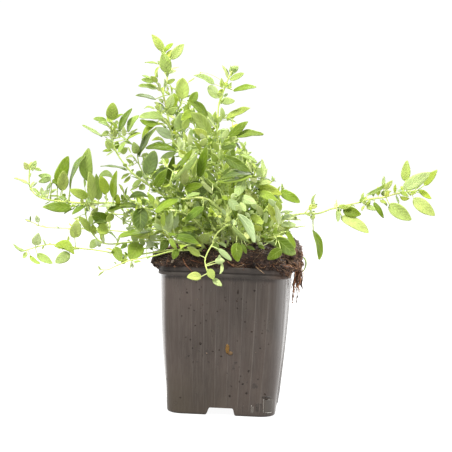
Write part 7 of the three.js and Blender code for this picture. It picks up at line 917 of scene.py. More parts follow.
    ("b5",(-9.4,49.9,127.7),(-7.5,51.1,129.5),(-1,56.5,137.5),6.1,(-.79,-.09,.61),13,(-.4,-.2,.4),"L"),
    ("b5",(-9.4,49.9,127.7),(-11.7,51.2,128.1),(-19.6,58,129.8),5.5,(-.02,-.36,.93),12,(.4,.2,.6),"M"),
    ("b5",(-10.9,57,129.9),(-11.3,58,132.3),(-14.8,66.5,143.3),8.5,(-.9,-.43,.09),9,(-.5,-1.3,0),"Y"),
    ("b5",(-10.9,57,129.9),(-11.3,58.7,127.9),(-14,70.8,117.5),8.1,(.16,.54,.83),6,(-.6,.9,-.2),"Y"),
    ("b5",(-12.2,62.8,130.9),(-10.5,65,130.9),(-7.1,72.6,131.1),4.9,(-.13,-.08,.99),6,(0,.2,.1),"M"),
    ("b5",(-12.2,62.8,130.9),(-14.5,63.9,131.9),(-21.7,69.5,133.8),4.6,(.56,.25,.79),11,(.3,.6,0),"M"),
    ("b5",(-13.7,70,131.2),(-13.6,71.3,133.4),(-14.2,76.4,138.6),3.9,(.14,-.69,.71),14,(.4,.2,.2),"Y"),
    ("b5",(-13.7,70,131.2),(-14.1,70.6,129.5),(-14.9,74.8,122.5),4,(.31,.77,.56),16,(.3,-.2,.2),"M"),
    ("b5",(-14.7,74.7,130.8),(-12.7,76.3,130.8),(-7.3,83,130.5),4.5,(-.63,.38,.68),5,(-.2,.1,.3),"P"),
    ("b5",(-14.7,74.7,130.8),(-17,74.9,130.5),(-24.2,81,127.6),5.3,(-.04,.21,.98),10,(.2,.1,0),"Y"),
    ("b5",(-14.7,74.7,130.8),(-14.2,75.3,131.8),(-13.6,78.1,133.4),1.7,(-.05,-.41,.91),14,(0,0,0),"L"),
    ("b5",(-16,80.7,129.6),(-17,79.6,131.4),(-19.9,83.9,132.4),3.2,(-.79,-.53,.3),15,(0,.2,-.1),"L"),
    ("b5",(-16,80.7,129.6),(-15.3,79.2,128.1),(-14.2,82.5,123.5),2.6,(.49,.54,.68),14,(.2,.2,0),"P"),
    ("b5",(-16.2,81.6,129.5),(-16.2,83.9,129),(-14.7,90.4,127.6),3.7,(-.98,.19,.02),14,(0,0,0),"L"),
    ("b5",(-16.2,81.6,129.5),(-16.7,83.2,129.1),(-20.6,88.3,128.8),3.3,(.81,.51,-.3),14,(0,0,0),"L"),
    ("b5",(-16.2,81.6,129.5),(-15.7,81.5,128.8),(-15.4,86.3,124.3),3.3,(-.42,.57,.7),14,(0,0,0),"Y"),
    ("b5",(-16.2,81.6,129.5),(-16,81.9,130.1),(-16.4,86.6,132.3),2.7,(-.22,.34,-.91),14,(0,0,0),"L"),
    ("b5",(-16.2,81.6,129.5),(-16.8,80.8,129.4),(-20.8,83.9,128.6),2.5,(.68,.73,-.07),14,(0,0,0),"M"),
    ("b6",(8.8,36,120.2),(12.8,37.2,121.3),(25.3,43,124.6),7.9,(-.32,-.08,.94),8,(-.2,.2,-.5),"D"),
    ("b6",(8.8,36,120.2),(8,37.6,121.7),(7.7,45.1,130.2),6.4,(-.89,-.36,.29),12,(.8,.1,.1),"L"),
    ("b6",(10.9,44,124.2),(11.4,44.8,128.3),(13.5,49.4,141.2),8.2,(.85,-.53,.08),15,(.5,.5,-.2),"L"),
    ("b6",(10.9,44,124.2),(12.2,45.1,121.5),(20.6,50.2,108),7.3,(.64,.4,.66),9,(-.1,-.5,-.1),"M"),
    ("b6",(10.9,44,124.2),(12.2,44.2,124),(14.9,46,124.5),1.6,(0,-.23,.97),14,(0,0,0),"L"),
    ("b6",(12.2,48.5,126.1),(15,49.3,127.4),(25,53.8,132.4),6.9,(-.56,.07,.82),13,(.3,-.1,0),"P"),
    ("b6",(12.2,48.5,126.1),(10.1,49.8,127.5),(2.4,56.3,134.1),6.7,(.77,.14,.62),5,(.2,-.5,-.2),"L"),
    ("b6",(14,54.7,128.3),(14.5,54.9,131.3),(18.6,58.9,145.8),9.7,(-.96,.22,.18),8,(-.3,-.1,.3),"P"),
    ("b6",(14,54.7,128.3),(15.5,57.9,126),(21,69.4,118.9),8.3,(.51,.14,.85),11,(-.6,-.3,-.1),"L"),
    ("b6",(15.4,59.4,129.5),(19.3,60.2,130.7),(31.9,64,133.3),7.3,(-.39,.34,.86),13,(-.5,-.1,0),"M"),
    ("b6",(15.4,59.4,129.5),(14.1,61.1,129.4),(11.2,72,129.2),6.8,(.13,-.06,.99),13,(.2,.1,-.1),"P"),
    ("b6",(15.4,59.4,129.5),(14.4,60.3,130.2),(13.6,63.1,132.3),1.8,(.64,-.28,.72),14,(0,0,0),"L"),
    ("b6",(15.4,59.4,129.5),(15.8,59.1,130.8),(17.3,61.6,134.2),2.1,(-.22,-.68,.7),14,(0,0,0),"M"),
    ("b6",(17.6,67.4,130.6),(17.8,68.2,132.3),(17.9,74.4,137.4),4.4,(-.81,-.37,.46),13,(-.2,-.4,.3),"M"),
    ("b6",(17.6,67.4,130.6),(17.8,68,129.2),(20,76.6,126.9),5.1,(-.21,.16,.97),13,(-.1,.2,-.2),"P"),
    ("b6",(19.1,72.5,130.6),(20.8,72.6,131.3),(27.6,74.7,134.1),4.1,(-.37,-.3,.88),10,(-.3,.3,.2),"L"),
    ("b6",(19.1,72.5,130.6),(17.3,75,130.8),(13,80.7,130.6),3.8,(.74,.41,.54),11,(.2,.3,.2),"P"),
    ("b6",(19.1,72.5,130.6),(18.4,72.1,130.2),(17.5,74.4,129.1),1.4,(-.22,.3,.92),14,(0,0,0),"P"),
    ("b6",(20.2,76.1,130.4),(20.4,76.8,132.1),(21.5,80.9,134.6),3.2,(-.01,-.54,.84),10,(-.1,0,-.2),"M"),
    ("b6",(20.2,76.1,130.4),(20.7,75.6,129.1),(22.1,79.2,126.6),2.2,(.47,.25,.85),13,(.2,0,.1),"Y"),
    ("b6",(20.2,76.1,130.4),(21.8,74.5,130.4),(26.3,78,129.5),2.8,(.02,.19,.98),14,(0,0,0),"M"),
    ("b6",(20.9,78.6,130.3),(21.3,80,130),(27.2,85,129),3.9,(-.7,.71,.1),14,(0,0,0),"L"),
    ("b6",(20.9,78.6,130.3),(20,78.3,130.5),(16.2,84.5,130.2),3.8,(.89,.45,-.04),14,(0,0,0),"L"),
    ("b6",(20.9,78.6,130.3),(21.4,78,129.9),(25.2,82.6,125.5),3.7,(-.24,.71,.66),14,(0,0,0),"Y"),
    ("b6",(20.9,78.6,130.3),(21.1,78.8,130.9),(22.5,84.3,134.7),3.5,(.15,.48,-.86),14,(0,0,0),"L"),
    ("b6",(20.9,78.6,130.3),(20.6,81.4,129.8),(19.1,85.8,128.3),2.6,(.87,.35,.34),14,(0,0,0),"M"),
    ("b7",(-20.4,29.9,119.7),(-18.8,32.3,121.1),(-13.6,41.4,126.1),5.8,(-.88,.21,.43),15,(-.5,.1,.3),"D"),
    ("b7",(-20.4,29.9,119.7),(-23.7,28.8,121.1),(-34.2,26.8,123.4),5.2,(.17,.54,.82),10,(.4,.2,-.4),"Y"),
    ("b7",(-20.4,29.9,119.7),(-20.8,28.8,121.2),(-23.5,29.8,125.9),2.5,(-.03,-.98,.19),14,(0,0,0),"M"),
    ("b7",(-20.4,29.9,119.7),(-20,30.4,121.2),(-20,31.6,124.7),1.7,(-.24,-.92,.31),14,(0,0,0),"Y"),
    ("b7",(-20.4,29.9,119.7),(-20.9,30.6,119.2),(-24.2,35.4,118.3),2.6,(-.15,.1,.98),14,(0,0,0),"L"),
    ("b7",(-24.2,35.4,123.1),(-24.4,35.4,125.8),(-26.3,35.1,132.9),4.1,(.16,.98,.07),16,(0,0,.3),"L"),
    ("b7",(-24.2,35.4,123.1),(-25.5,36.6,122.2),(-31,41.1,119),3.9,(-.29,.14,.95),16,(.4,0,-.3),"D"),
    ("b7",(-29.1,42.3,126.4),(-28.1,44.5,126.8),(-25.3,54.2,128.2),6.7,(-.49,-.08,.87),7,(-.3,.2,-.1),"L"),
    ("b7",(-29.1,42.3,126.4),(-31.5,41.7,128.8),(-38.9,42,135.7),5.7,(.72,.21,.66),13,(.1,.1,.2),"Y"),
    ("b7",(-29.1,42.3,126.4),(-29.1,42.5,127.8),(-30.8,44.5,132.9),2.7,(.5,-.72,.49),14,(0,0,0),"Y"),
    ("b7",(-33.2,47.3,128.3),(-33.8,47.7,130.3),(-38.7,52.2,138.3),5.7,(-.44,-.86,.27),6,(0,-.5,-.4),"D"),
    ("b7",(-37.3,52.5,129.5),(-37.2,54.5,129.7),(-38.8,61.7,130.8),4.6,(-.65,-.28,.71),13,(.1,.1,.1),"M"),
    ("b7",(-37.3,52.5,129.5),(-39.2,53.1,130.8),(-44.8,55.4,135.3),3.8,(.7,.04,.72),8,(.2,0,.1),"Y"),
    ("b7",(-37.3,52.5,129.5),(-37.6,52.9,128.7),(-37.9,54.3,126.1),1.4,(-.64,.63,.44),14,(0,0,0),"L"),
    ("b7",(-37.3,52.5,129.5),(-37.4,52.2,130.9),(-39.3,53.6,135.8),2.5,(.7,-.56,.44),14,(0,0,0),"L"),
    ("b7",(-41.5,57.7,130),(-41.5,58.2,132.1),(-41.7,60.8,138.2),3.4,(-.99,-.13,.02),12,(0,.4,-.4),"D"),
    ("b7",(-41.5,57.7,130),(-42,58.1,128.6),(-46.2,62,123.8),4,(-.41,.37,.83),6,(-.2,-.1,.2),"P"),
    ("b7",(-41.5,57.7,130),(-42.7,57.3,130),(-46,58.1,129.5),1.5,(-.1,.21,.97),14,(0,0,0),"P"),
    ("b7",(-45.1,62,129.7),(-46.7,60.9,129.3),(-52.5,63.8,127.8),3.3,(-.18,-.06,.98),6,(0,0,0),"P"),
    ("b7",(-45.1,62,129.7),(-46,60.7,130.6),(-50.2,62.3,131.4),2.1,(.11,-.16,.98),14,(0,0,0),"Y"),
    ("b7",(-45.1,62,129.7),(-45.4,61.6,128.3),(-48,62.6,123.6),2.5,(-.61,.61,.51),14,(0,0,0),"M"),
    ("b7",(-47.8,65.5,129.2),(-46.9,65.4,129.2),(-46.2,71.5,128.4),3.4,(-.99,.1,-.02),14,(0,0,0),"L"),
    ("b7",(-47.8,65.5,129.2),(-48.7,66.6,129.1),(-55.1,70.1,130.5),3.6,(.37,.75,-.55),14,(0,0,0),"L"),
    ("b7",(-47.8,65.5,129.2),(-48.4,67.7,128.5),(-49.6,71.4,125.8),2.4,(-.7,.23,.68),14,(0,0,0),"Y"),
    ("b7",(-47.8,65.5,129.2),(-48,65.7,129.8),(-49,69.7,132.2),2.5,(-.67,.2,-.71),14,(0,0,0),"L"),
    ("b7",(-47.8,65.5,129.2),(-48.3,64.8,129),(-52.2,65.8,127.1),2.1,(.13,.94,.33),14,(0,0,0),"M"),
    ("b8",(-24.8,12,124.4),(-24.7,14.7,126),(-24.7,23.6,132.4),5.4,(.18,-.64,.75),14,(.2,.4,-.5),"d"),
    ("b8",(-24.8,12,124.4),(-27.1,10,126.6),(-34.6,4.8,132.7),6.1,(.4,.49,.77),6,(.2,0,-.4),"D"),
    ("b8",(-31.5,15.2,133),(-30.7,15.7,135.5),(-28.7,19.3,144.7),5.4,(-.91,.41,.04),11,(.3,0,.2),"L"),
    ("b8",(-35.2,16.9,137),(-35.1,18.8,137.8),(-36.5,27.5,142.6),5.4,(.29,-.5,.82),15,(.7,0,-.2),"D"),
    ("b8",(-35.2,16.9,137),(-37.1,15.8,138.2),(-45.1,13.4,143),4.7,(.41,.49,.77),14,(-.1,.3,.6),"D"),
    ("b8",(-41.7,20.1,142.9),(-42.8,19.8,146.3),(-47.9,19.8,155.5),6.2,(.73,-.58,.36),6,(.1,.2,-.1),"Y"),
    ("b8",(-41.7,20.1,142.9),(-42.8,20.1,142.8),(-45.7,19.7,143.9),1.4,(.34,.14,.93),14,(0,0,0),"M"),
    ("b8",(-45.8,22.1,146.1),(-47.3,24.2,147.1),(-53.2,29.9,150.4),4.7,(.04,-.57,.82),9,(-.5,.6,-.3),"M"),
    ("b8",(-45.8,22.1,146.1),(-47.5,20.8,147.4),(-54,18.1,151.3),4.2,(.61,-.07,.79),8,(0,-.1,-.4),"L"),
    ("b8",(-51.6,24.9,149.9),(-52.3,25,152.2),(-56.8,25.5,159),4.3,(.86,.14,.49),11,(-.1,.4,0),"M"),
    ("b8",(-51.6,24.9,149.9),(-53.2,25,150),(-59.6,25.6,152.6),4,(.43,-.19,.88),14,(0,-.3,-.4),"D"),
    ("b8",(-58.4,28.1,153.4),(-58.5,32,152.9),(-61.3,37.8,153.5),3.3,(-.3,-.34,.89),7,(0,-.2,.4),"Y"),
    ("b8",(-58.4,28.1,153.4),(-59.9,24.8,154.7),(-65.4,25.2,157.8),3.5,(.45,-.53,.72),6,(-.2,.2,-.2),"Y"),
    ("b8",(-58.4,28.1,153.4),(-58.2,25.2,154.6),(-59.7,23.2,157.8),1.8,(.91,0,.42),14,(0,0,0),"L"),
    ("b8",(-58.4,28.1,153.4),(-58.1,28.6,154.5),(-59.4,31.4,158.7),2.4,(.63,-.54,.56),14,(0,0,0),"P"),
    ("b8",(-60.9,29.3,154.5),(-61,32,154.3),(-64.4,39.1,155.9),3.7,(-.8,-.47,.37),14,(0,0,0),"L"),
    ("b8",(-60.9,29.3,154.5),(-61.2,29.3,153.7),(-66.7,32.2,152),3,(-.27,.08,.96),14,(0,0,0),"Y"),
    ("b8",(-60.9,29.3,154.5),(-60.4,28.4,155.4),(-63,31.3,162),3.5,(-.89,.18,-.43),14,(0,0,0),"L"),
    ("b8",(-60.9,29.3,154.5),(-61.7,30.4,154.8),(-65.4,31,155.1),1.7,(.18,.59,.79),14,(0,0,0),"M"),
    ("b9",(19.6,16.6,122.7),(21.7,14.9,123.6),(30.1,9.2,131),6.8,(-.3,.64,.71),7,(.8,.1,-.2),"M"),
    ("b9",(19.6,16.6,122.7),(18.8,17.6,122.8),(18.3,20,125.1),1.5,(-.44,-.67,.6),14,(0,0,0),"P"),
    ("b9",(22.4,19,127.1),(22.6,18.9,131.1),(24.9,19.8,142.6),5.9,(-.35,-.93,.13),9,(0,.5,-.1),"D"),
    ("b9",(22.4,19,127.1),(23.8,19,126.3),(27.2,19.2,125.7),1.6,(.12,.54,.84),14,(0,0,0),"Y"),
    ("b9",(26.5,22.5,132.8),(27.2,21.7,134.8),(28.7,21.3,142.8),4,(-.51,.85,.13),9,(.8,.1,-.3),"M"),
    ("b9",(26.5,22.5,132.8),(26.4,24.3,133.2),(27.8,32.3,138.8),4.8,(.32,-.64,.7),7,(0,.1,.6),"L"),
    ("b9",(30.9,26.2,138),(30.4,25.6,140.6),(30.4,26.5,148.6),4.8,(.06,-.99,.09),7,(-.1,.1,-.3),"M"),
    ("b9",(30.9,26.2,138),(29.9,28.6,138),(30.2,31.1,139.8),1.4,(-.02,-.58,.81),14,(0,0,0),"L"),
    ("b9",(32,27.2,139.2),(31.9,28.3,139.3),(32.8,33.6,142.5),2.9,(.84,-.37,.39),14,(0,0,0),"L"),
    ("b9",(32,27.2,139.2),(32.8,25.8,139.5),(35,28.8,140.6),1.8,(.14,-.42,.9),14,(0,0,0),"M"),
    ("b10",(-1.3,16.7,135.6),(1.5,16.7,137.8),(9,15.8,145.2),6.2,(-.74,-.24,.62),13,(-.3,.2,.2),"D"),
    ("b10",(-1.3,16.7,135.6),(-2.9,18.1,137),(-8.5,22.6,144.5),5.4,(.87,.22,.45),5,(-.7,.3,-.1),"q"),
    ("b10",(-1.3,16.7,135.6),(-2.2,15.5,136.3),(-5.1,14.1,140.8),2.5,(.34,.82,.47),14,(0,0,0),"L"),
    ("b10",(-1.5,19.9,145),(-2.2,17.4,149),(-4.5,12.8,160.8),6.5,(.24,.9,.36),10,(.2,.2,0),"D"),
    ("b10",(-1.5,19.9,145),(-1.6,21.8,146.7),(-2.9,24,157.4),6,(.44,-.87,.21),14,(.2,-.1,.6),"M"),
    ("b10",(-1.5,19.9,145),(0,20.5,145.1),(2.8,20.6,146.4),1.4,(-.4,-.28,.87),14,(0,0,0),"L"),
    ("b10",(-1.5,19.9,145),(-2.7,18.8,145.4),(-5.6,18.7,149.6),2.3,(.56,-.74,.38),14,(0,0,0),"L"),
    ("b10",(-1.5,19.9,145),(-.7,18.2,145.9),(2,16,150),2.4,(-.55,.55,.63),14,(0,0,0),"M"),
    ("b10",(-1.8,23.5,154.1),(-1.4,25.2,155.9),(-2.1,31.4,164.1),5.4,(-.71,-.61,.35),7,(.1,.4,-.2),"q"),
    ("b10",(-1.9,25.9,159.5),(-1.9,23.9,162.6),(-1.5,17.1,174.8),7.8,(-.08,.89,.45),10,(.4,-.3,-.6),"d"),
    ("b10",(-1.9,25.9,159.5),(-1.8,27.8,162.7),(-1.8,34,174.2),7.5,(-.12,-.9,.43),10,(-.7,.1,-.3),"D"),
    ("b10",(-1.9,25.9,159.5),(-.3,27.6,159.3),(4.4,30.7,160.8),2.6,(-.18,-.19,.96),14,(0,0,0),"Y"),
    ("b10",(-2.2,29.2,166.6),(-4.2,29.5,168.3),(-9.4,32.5,174.4),5.1,(.29,-.79,.55),9,(0,-.3,.4),"d"),
    ("b10",(-2.2,29.2,166.6),(-1.9,28.4,167.6),(-1.6,27.8,171.1),1.6,(-.54,.82,.2),14,(0,0,0),"M"),
    ("b10",(-2.5,32.9,173.6),(-3.8,31.6,176.6),(-9.7,30.4,187.9),7.6,(.73,-.63,.28),7,(.1,0,-.7),"D"),
    ("b10",(-2.5,32.9,173.6),(-2.3,36.6,174.6),(.2,45.7,182.6),7.8,(-.56,-.48,.67),11,(.5,.3,.3),"D"),
    ("b10",(-2.5,32.9,173.6),(-3.7,33.2,173.8),(-6,35.7,176.5),2,(.64,-.21,.74),14,(0,0,0),"L"),
    ("b10",(-2.8,36.8,180.4),(-.5,37.2,182.2),(4.8,41.1,188.6),5.5,(-.65,-.38,.66),15,(-.1,-.3,-.4),"P"),
    ("b10",(-2.8,36.8,180.4),(-5,36.9,182.1),(-10.4,39.3,187.6),4,(.45,-.64,.62),9,(.2,.2,.5),"D"),
    ("b10",(-2.8,36.8,180.4),(-3.5,36.1,181.3),(-5.1,35.3,184.3),1.6,(.59,-.8,.09),14,(0,0,0),"L"),
    ("b10",(-2.8,36.8,180.4),(-1.7,36.7,180.5),(.6,40.1,180.4),1.9,(.23,-.11,.97),14,(0,0,0),"L"),
    ("b10",(-2.8,36.8,180.4),(-2.7,38.5,179.8),(-2.8,43.4,179.1),2.5,(.4,.12,.91),14,(0,0,0),"P"),
    ("b10",(-3,40,185.4),(-2.4,39.4,187),(.4,39,193.9),4.2,(-.46,-.88,.12),12,(-.6,0,-.2),"L"),
    ("b10",(-3,40,185.4),(-3.8,42.8,185.2),(-5.8,50,185.7),4.2,(-.14,-.2,.97),7,(-.1,-.1,0),"P"),
    ("b10",(-3,40,185.4),(-4.1,40.6,185.5),(-6.3,42.6,187.1),1.6,(.48,-.12,.87),14,(0,0,0),"Y"),
    ("b10",(-3,40,185.4),(-2.2,41.6,185.4),(-.1,45,187.6),2.3,(.41,-.59,.69),14,(0,0,0),"P"),
    ("b10",(-3.6,46.7,196.6),(-3.9,46.9,196.9),(-7.4,48.9,199.5),2.3,(.71,.33,.62),14,(0,0,0),"M"),
    ("b11",(3.8,10.6,126),(5.4,10.4,127.3),(12.2,10.9,135.9),6.6,(-.79,-.24,.56),7,(1,-.3,-.4),"D"),
    ("b11",(3.8,10.6,126),(1.2,11.8,126.8),(-7.9,15,132.5),6.2,(.44,-.44,.78),12,(-.2,0,1),"D"),
    ("b11",(3.8,10.6,126),(4.8,11.6,125.9),(8.5,15.8,127.2),2.6,(-.29,-.04,.96),14,(0,0,0),"L"),
    ("b11",(4.6,12.8,135.2),(4.1,10.3,138.3),(1.5,3.1,150.7),8.2,(.67,.6,.44),16,(0,-.4,.1),"d"),
    ("b11",(4.6,12.8,135.2),(5.6,16.3,136.7),(9.4,28.6,143.6),7.1,(-.47,-.4,.79),12,(-1.2,.2,.8),"D"),
    ("b11",(4.6,12.8,135.2),(4.6,10.5,135.6),(5,7.6,138.2),1.8,(.55,.59,.59),14,(0,0,0),"L"),
    ("b11",(5.4,14.9,142.4),(6.6,13.1,143.2),(9.7,2.8,146.3),5.8,(-.24,.31,.92),13,(0,.2,-.4),"d"),
    ("b11",(5.4,14.9,142.4),(4.2,14.5,143.1),(1.4,13,146.8),2.2,(.81,-.19,.55),14,(0,0,0),"P"),
    ("b11",(5.4,14.9,142.4),(4.9,17.2,142.6),(3.9,22,145),2.4,(.5,-.3,.81),14,(0,0,0),"M"),
    ("b11",(6.2,17.2,149.6),(6.4,16.1,153.6),(7.5,14.8,167),6.8,(.36,.93,.06),5,(-.3,.5,.1),"q"),
    ("b11",(6.2,17.2,149.6),(5.4,21.1,151.8),(1.4,31.6,159.2),7,(.49,-.44,.75),5,(.3,-.2,-.6),"d"),
    ("b11",(6.2,17.2,149.6),(7.4,17.8,149.8),(11.2,20.5,153.3),2.6,(-.12,-.72,.68),14,(0,0,0),"L"),
    ("b11",(7.1,19.8,156.7),(8.7,19.8,157.9),(15.7,22,166.5),6.8,(-.8,.35,.49),7,(-.1,0,.6),"M"),
    ("b11",(7.1,19.8,156.7),(5.2,21,159.4),(.9,25.9,168.1),5.9,(.24,-.82,.52),5,(-.2,0,0),"d"),
    ("b11",(8.1,22.6,163.7),(7.5,23.7,165.4),(7.7,28.5,173.2),4.9,(.46,-.78,.42),12,(.1,.6,0),"D"),
    ("b11",(8.1,22.6,163.7),(7.5,25.7,164.1),(4.7,31.3,168.7),4.3,(.78,-.19,.59),10,(.3,0,-.4),"D"),
    ("b11",(9.5,26.5,172.3),(9.3,24.4,173),(7,24.6,177.8),2.5,(.74,.59,.33),14,(0,0,0),"q"),
    ("b11",(9.5,26.5,172.3),(9.7,27.1,173),(7.2,29.9,176.4),2.3,(.8,0,.6),14,(0,0,0),"d"),
    ("b12",(-7.2,11.4,134.1),(-6.3,10.1,134.7),(-5.4,7.9,136.6),1.4,(-.24,.59,.77),14,(0,0,0),"L"),
    ("b12",(-8.1,12.8,139.8),(-8.6,10.8,143.3),(-11.8,5.3,154.6),7.1,(.17,.89,.43),9,(.1,.1,-.7),"d"),
    ("b12",(-8.1,12.8,139.8),(-8.9,11.6,140.3),(-11.4,8.9,142.6),2,(.48,.3,.83),14,(0,0,0),"M"),
    ("b12",(-8.1,12.8,139.8),(-8.8,14.1,139.6),(-10.4,17,140.1),1.5,(-.12,-.21,.97),14,(0,0,0),"L"),
    ("b12",(-9.8,15.5,149.2),(-9.2,15.9,151.6),(-8.8,13.9,164),6.4,(.72,.69,.08),12,(.2,.5,-.3),"q"),
    ("b12",(-9.8,15.5,149.2),(-11.6,14,152),(-16.6,11.8,161.3),5.4,(.88,.13,.45),7,(0,-.4,.1),"d"),
    ("b12",(-9.8,15.5,149.2),(-10.1,16.8,149.2),(-11.4,21.1,152),2.4,(-.37,-.59,.72),14,(0,0,0),"Y"),
    ("b12",(-9.8,15.5,149.2),(-9.5,13.9,150.1),(-9.2,12.5,153.6),1.7,(-.73,.61,.31),14,(0,0,0),"P"),
    ("b12",(-11.4,18,156.6),(-12.7,16.7,158.7),(-20.1,13.6,167.1),6.2,(.68,.36,.64),12,(.2,-.2,-.4),"d"),
    ("b12",(-11.4,18,156.6),(-12.3,20.8,157.4),(-16.7,31.7,162.3),6.3,(.78,-.03,.62),7,(.4,-.4,-.9),"D"),
    ("b12",(-13.1,20.7,163.8),(-11.9,21.6,165.1),(-8.6,27.7,171.8),4.7,(-.54,-.53,.65),12,(.5,-.3,0),"D"),
    ("b12",(-13.1,20.7,163.8),(-15.5,20.5,165.3),(-21.6,20.8,171.2),4.4,(.75,.01,.66),9,(.4,-.4,-.3),"q"),
    ("b12",(-13.1,20.7,163.8),(-13.2,22.4,163.6),(-14.3,28.2,166.5),2.9,(.43,-.33,.84),14,(0,0,0),"P"),
    ("b12",(-13.1,20.7,163.8),(-13.3,19.5,164.8),(-14.9,18.5,167.9),1.7,(.88,-.34,.34),14,(0,0,0),"L"),
    ("b12",(-15,23.7,170.9),(-14.8,22.2,172.4),(-14.8,17.9,178.7),4.2,(.95,.26,.15),14,(-.5,0,0),"M"),
    ("b12",(-15,23.7,170.9),(-16,25.9,171.7),(-20.4,32.8,176.1),5.3,(-.27,-.69,.67),13,(-.3,.2,0),"L"),
    ("b12",(-16.5,26.1,176.1),(-15.6,27.9,176.9),(-12.8,35.6,181.8),5.5,(-.23,-.54,.81),16,(.6,.3,.2),"D"),
    ("b12",(-16.5,26.1,176.1),(-17.6,25.4,177.8),(-23.2,25,186.9),5.4,(.69,.61,.4),6,(-.1,-.4,.2),"D"),
    ("b12",(-16.5,26.1,176.1),(-17.7,24.7,176.4),(-21.5,23,179.2),2.3,(.47,.33,.82),14,(0,0,0),"Y"),
    ("b12",(-16.5,26.1,176.1),(-15.7,25.5,177.1),(-14.6,24.9,180.4),1.6,(-.92,-.3,.27),14,(0,0,0),"M"),
    ("b12",(-18.3,29,181.8),(-17.4,28.4,183.9),(-15.6,27.9,190.8),3.5,(-.73,.65,.22),14,(.5,0,-.2),"D"),
    ("b12",(-18.3,29,181.8),(-19.8,30.8,182.1),(-25,37.3,185.6),5.1,(.03,-.55,.84),15,(.1,-.1,0),"Y"),
    ("b12",(-18.3,29,181.8),(-19.5,29.3,182.3),(-22.9,28.8,185),2,(.57,-.57,.6),14,(0,0,0),"Y"),
    ("b12",(-20.4,32.3,187.9),(-19.9,33.6,188),(-18.8,37.7,191.3),2.5,(-.75,-.28,.6),14,(0,0,0),"L"),
    ("b12",(-20.4,32.3,187.9),(-20.2,29.6,188.6),(-21.6,28.7,195.6),3.3,(-.24,.97,.07),14,(0,0,0),"L"),
    ("b12",(-20.4,32.3,187.9),(-21.2,35.5,187.2),(-25.2,40.7,189.4),3.2,(.25,-.2,.95),14,(0,0,0),"Y"),
    ("b12",(-20.4,32.3,187.9),(-20.4,31.6,188.8),(-19.5,35.3,196.3),3.9,(-.99,.15,.04),14,(0,0,0),"L"),
    ("b12",(-20.4,32.3,187.9),(-21.3,32,188.2),(-24.9,32.6,191.6),2.3,(.58,.63,.51),14,(0,0,0),"M"),
    ("b13",(25.7,11.6,120.5),(26.2,11.6,120.5),(29.8,9.6,123.8),2.4,(-.58,.22,.78),14,(0,0,0),"Y"),
    ("b13",(31.6,14.3,126),(30.9,15,128.3),(29.4,17.4,141),7.4,(.99,-.09,.12),9,(-1,-.2,-.7),"L"),
    ("b13",(31.6,14.3,126),(34.6,14.7,125),(47.2,16,123.9),5.9,(-.03,.07,1),15,(-.1,-.6,-.2),"D"),
    ("b13",(31.6,14.3,126),(32.3,13.3,126),(35.6,10.8,128),2,(-.29,.34,.89),14,(0,0,0),"L"),
    ("b13",(36.7,16.6,129.9),(38.3,14.3,130.7),(45.1,10.2,132),4.3,(-.21,.17,.96),12,(-.5,-.1,0),"D"),
    ("b13",(36.7,16.6,129.9),(37.2,18,130.6),(40,24.7,133.3),4.3,(.44,-.56,.71),13,(.2,-.2,-.2),"L"),
    ("b13",(36.7,16.6,129.9),(37,18.8,128.8),(39.2,21.8,128.4),1.7,(.05,.06,1),14,(0,0,0),"M"),
    ("b13",(36.7,16.6,129.9),(36.8,15.8,130.9),(38.8,14.7,134.2),1.8,(-.3,.83,.46),14,(0,0,0),"P"),
    ("b13",(36.7,16.6,129.9),(37.8,16.1,129.3),(43.3,14.6,129.7),2.6,(-.16,-.34,.93),14,(0,0,0),"M"),
    ("b14",(-30.6,8.6,121.4),(-32,11.4,122.8),(-37.9,19.4,126.7),5.3,(.67,.04,.74),11,(0,0,-.1),"M"),
    ("b14",(-30.6,8.6,121.4),(-32.2,6.7,123.5),(-40.2,.3,130.3),6,(-.13,.83,.54),16,(.5,-.1,-1),"M"),
    ("b14",(-30.6,8.6,121.4),(-31.5,9.1,121.2),(-36.1,11.5,121.2),2.4,(-.28,-.52,.81),14,(0,0,0),"Y"),
    ("b14",(-37.6,10.6,126.7),(-38,10.6,129.4),(-42.9,10.8,141),7.2,(.87,.37,.32),13,(1,-.5,.6),"M"),
    ("b14",(-37.6,10.6,126.7),(-41,10.1,126.2),(-56.1,7.6,123.8),8.3,(-.1,.25,.96),6,(-.2,.6,.5),"Y"),
    ("b14",(-37.6,10.6,126.7),(-38.3,11.4,126.4),(-41.3,13.3,126.7),1.6,(.09,.01,1),14,(0,0,0),"M"),
    ("b14",(-45.1,12.7,131.1),(-46.4,16,131.2),(-53.6,24.6,131.4),6.1,(-.72,-.65,.25),9,(0,.1,-.6),"L"),
    ("b14",(-45.1,12.7,131.1),(-46.3,10.9,132.4),(-53.6,4.5,137.2),5.8,(.12,.59,.8),13,(-.3,.6,-.6),"D"),
    ("b14",(-45.1,12.7,131.1),(-46,11.4,130.6),(-51.2,10.7,128.4),2.6,(-.27,-.51,.82),14,(0,0,0),"P"),
    ("b14",(-45.1,12.7,131.1),(-45.8,13.5,130),(-48.6,14.2,127.5),1.7,(-.68,-.09,.73),14,(0,0,0),"L"),
    ("b14",(-53,14.9,134.6),(-53.7,15.8,136.7),(-59.8,20.1,144.6),5.2,(.52,-.59,.62),7,(-.2,.8,0),"M"),
    ("b14",(-53,14.9,134.6),(-55.4,14.4,133.2),(-66.1,12.9,128.1),5,(-.37,.28,.88),6,(0,0,.2),"D"),
    ("b14",(-57.9,16.3,136.2),(-58.8,18,137),(-63.8,23.4,140.3),4.1,(.42,-.26,.87),5,(-.1,.3,-.1),"L"),
    ("b14",(-57.9,16.3,136.2),(-58.8,15,136.7),(-64.2,10.7,139.8),4.4,(-.56,.82,.15),6,(.1,-.2,.1),"D"),
    ("b14",(-57.9,16.3,136.2),(-58.4,18.2,135.6),(-60.4,20.2,134.7),1.4,(-.16,.26,.95),14,(0,0,0),"P"),
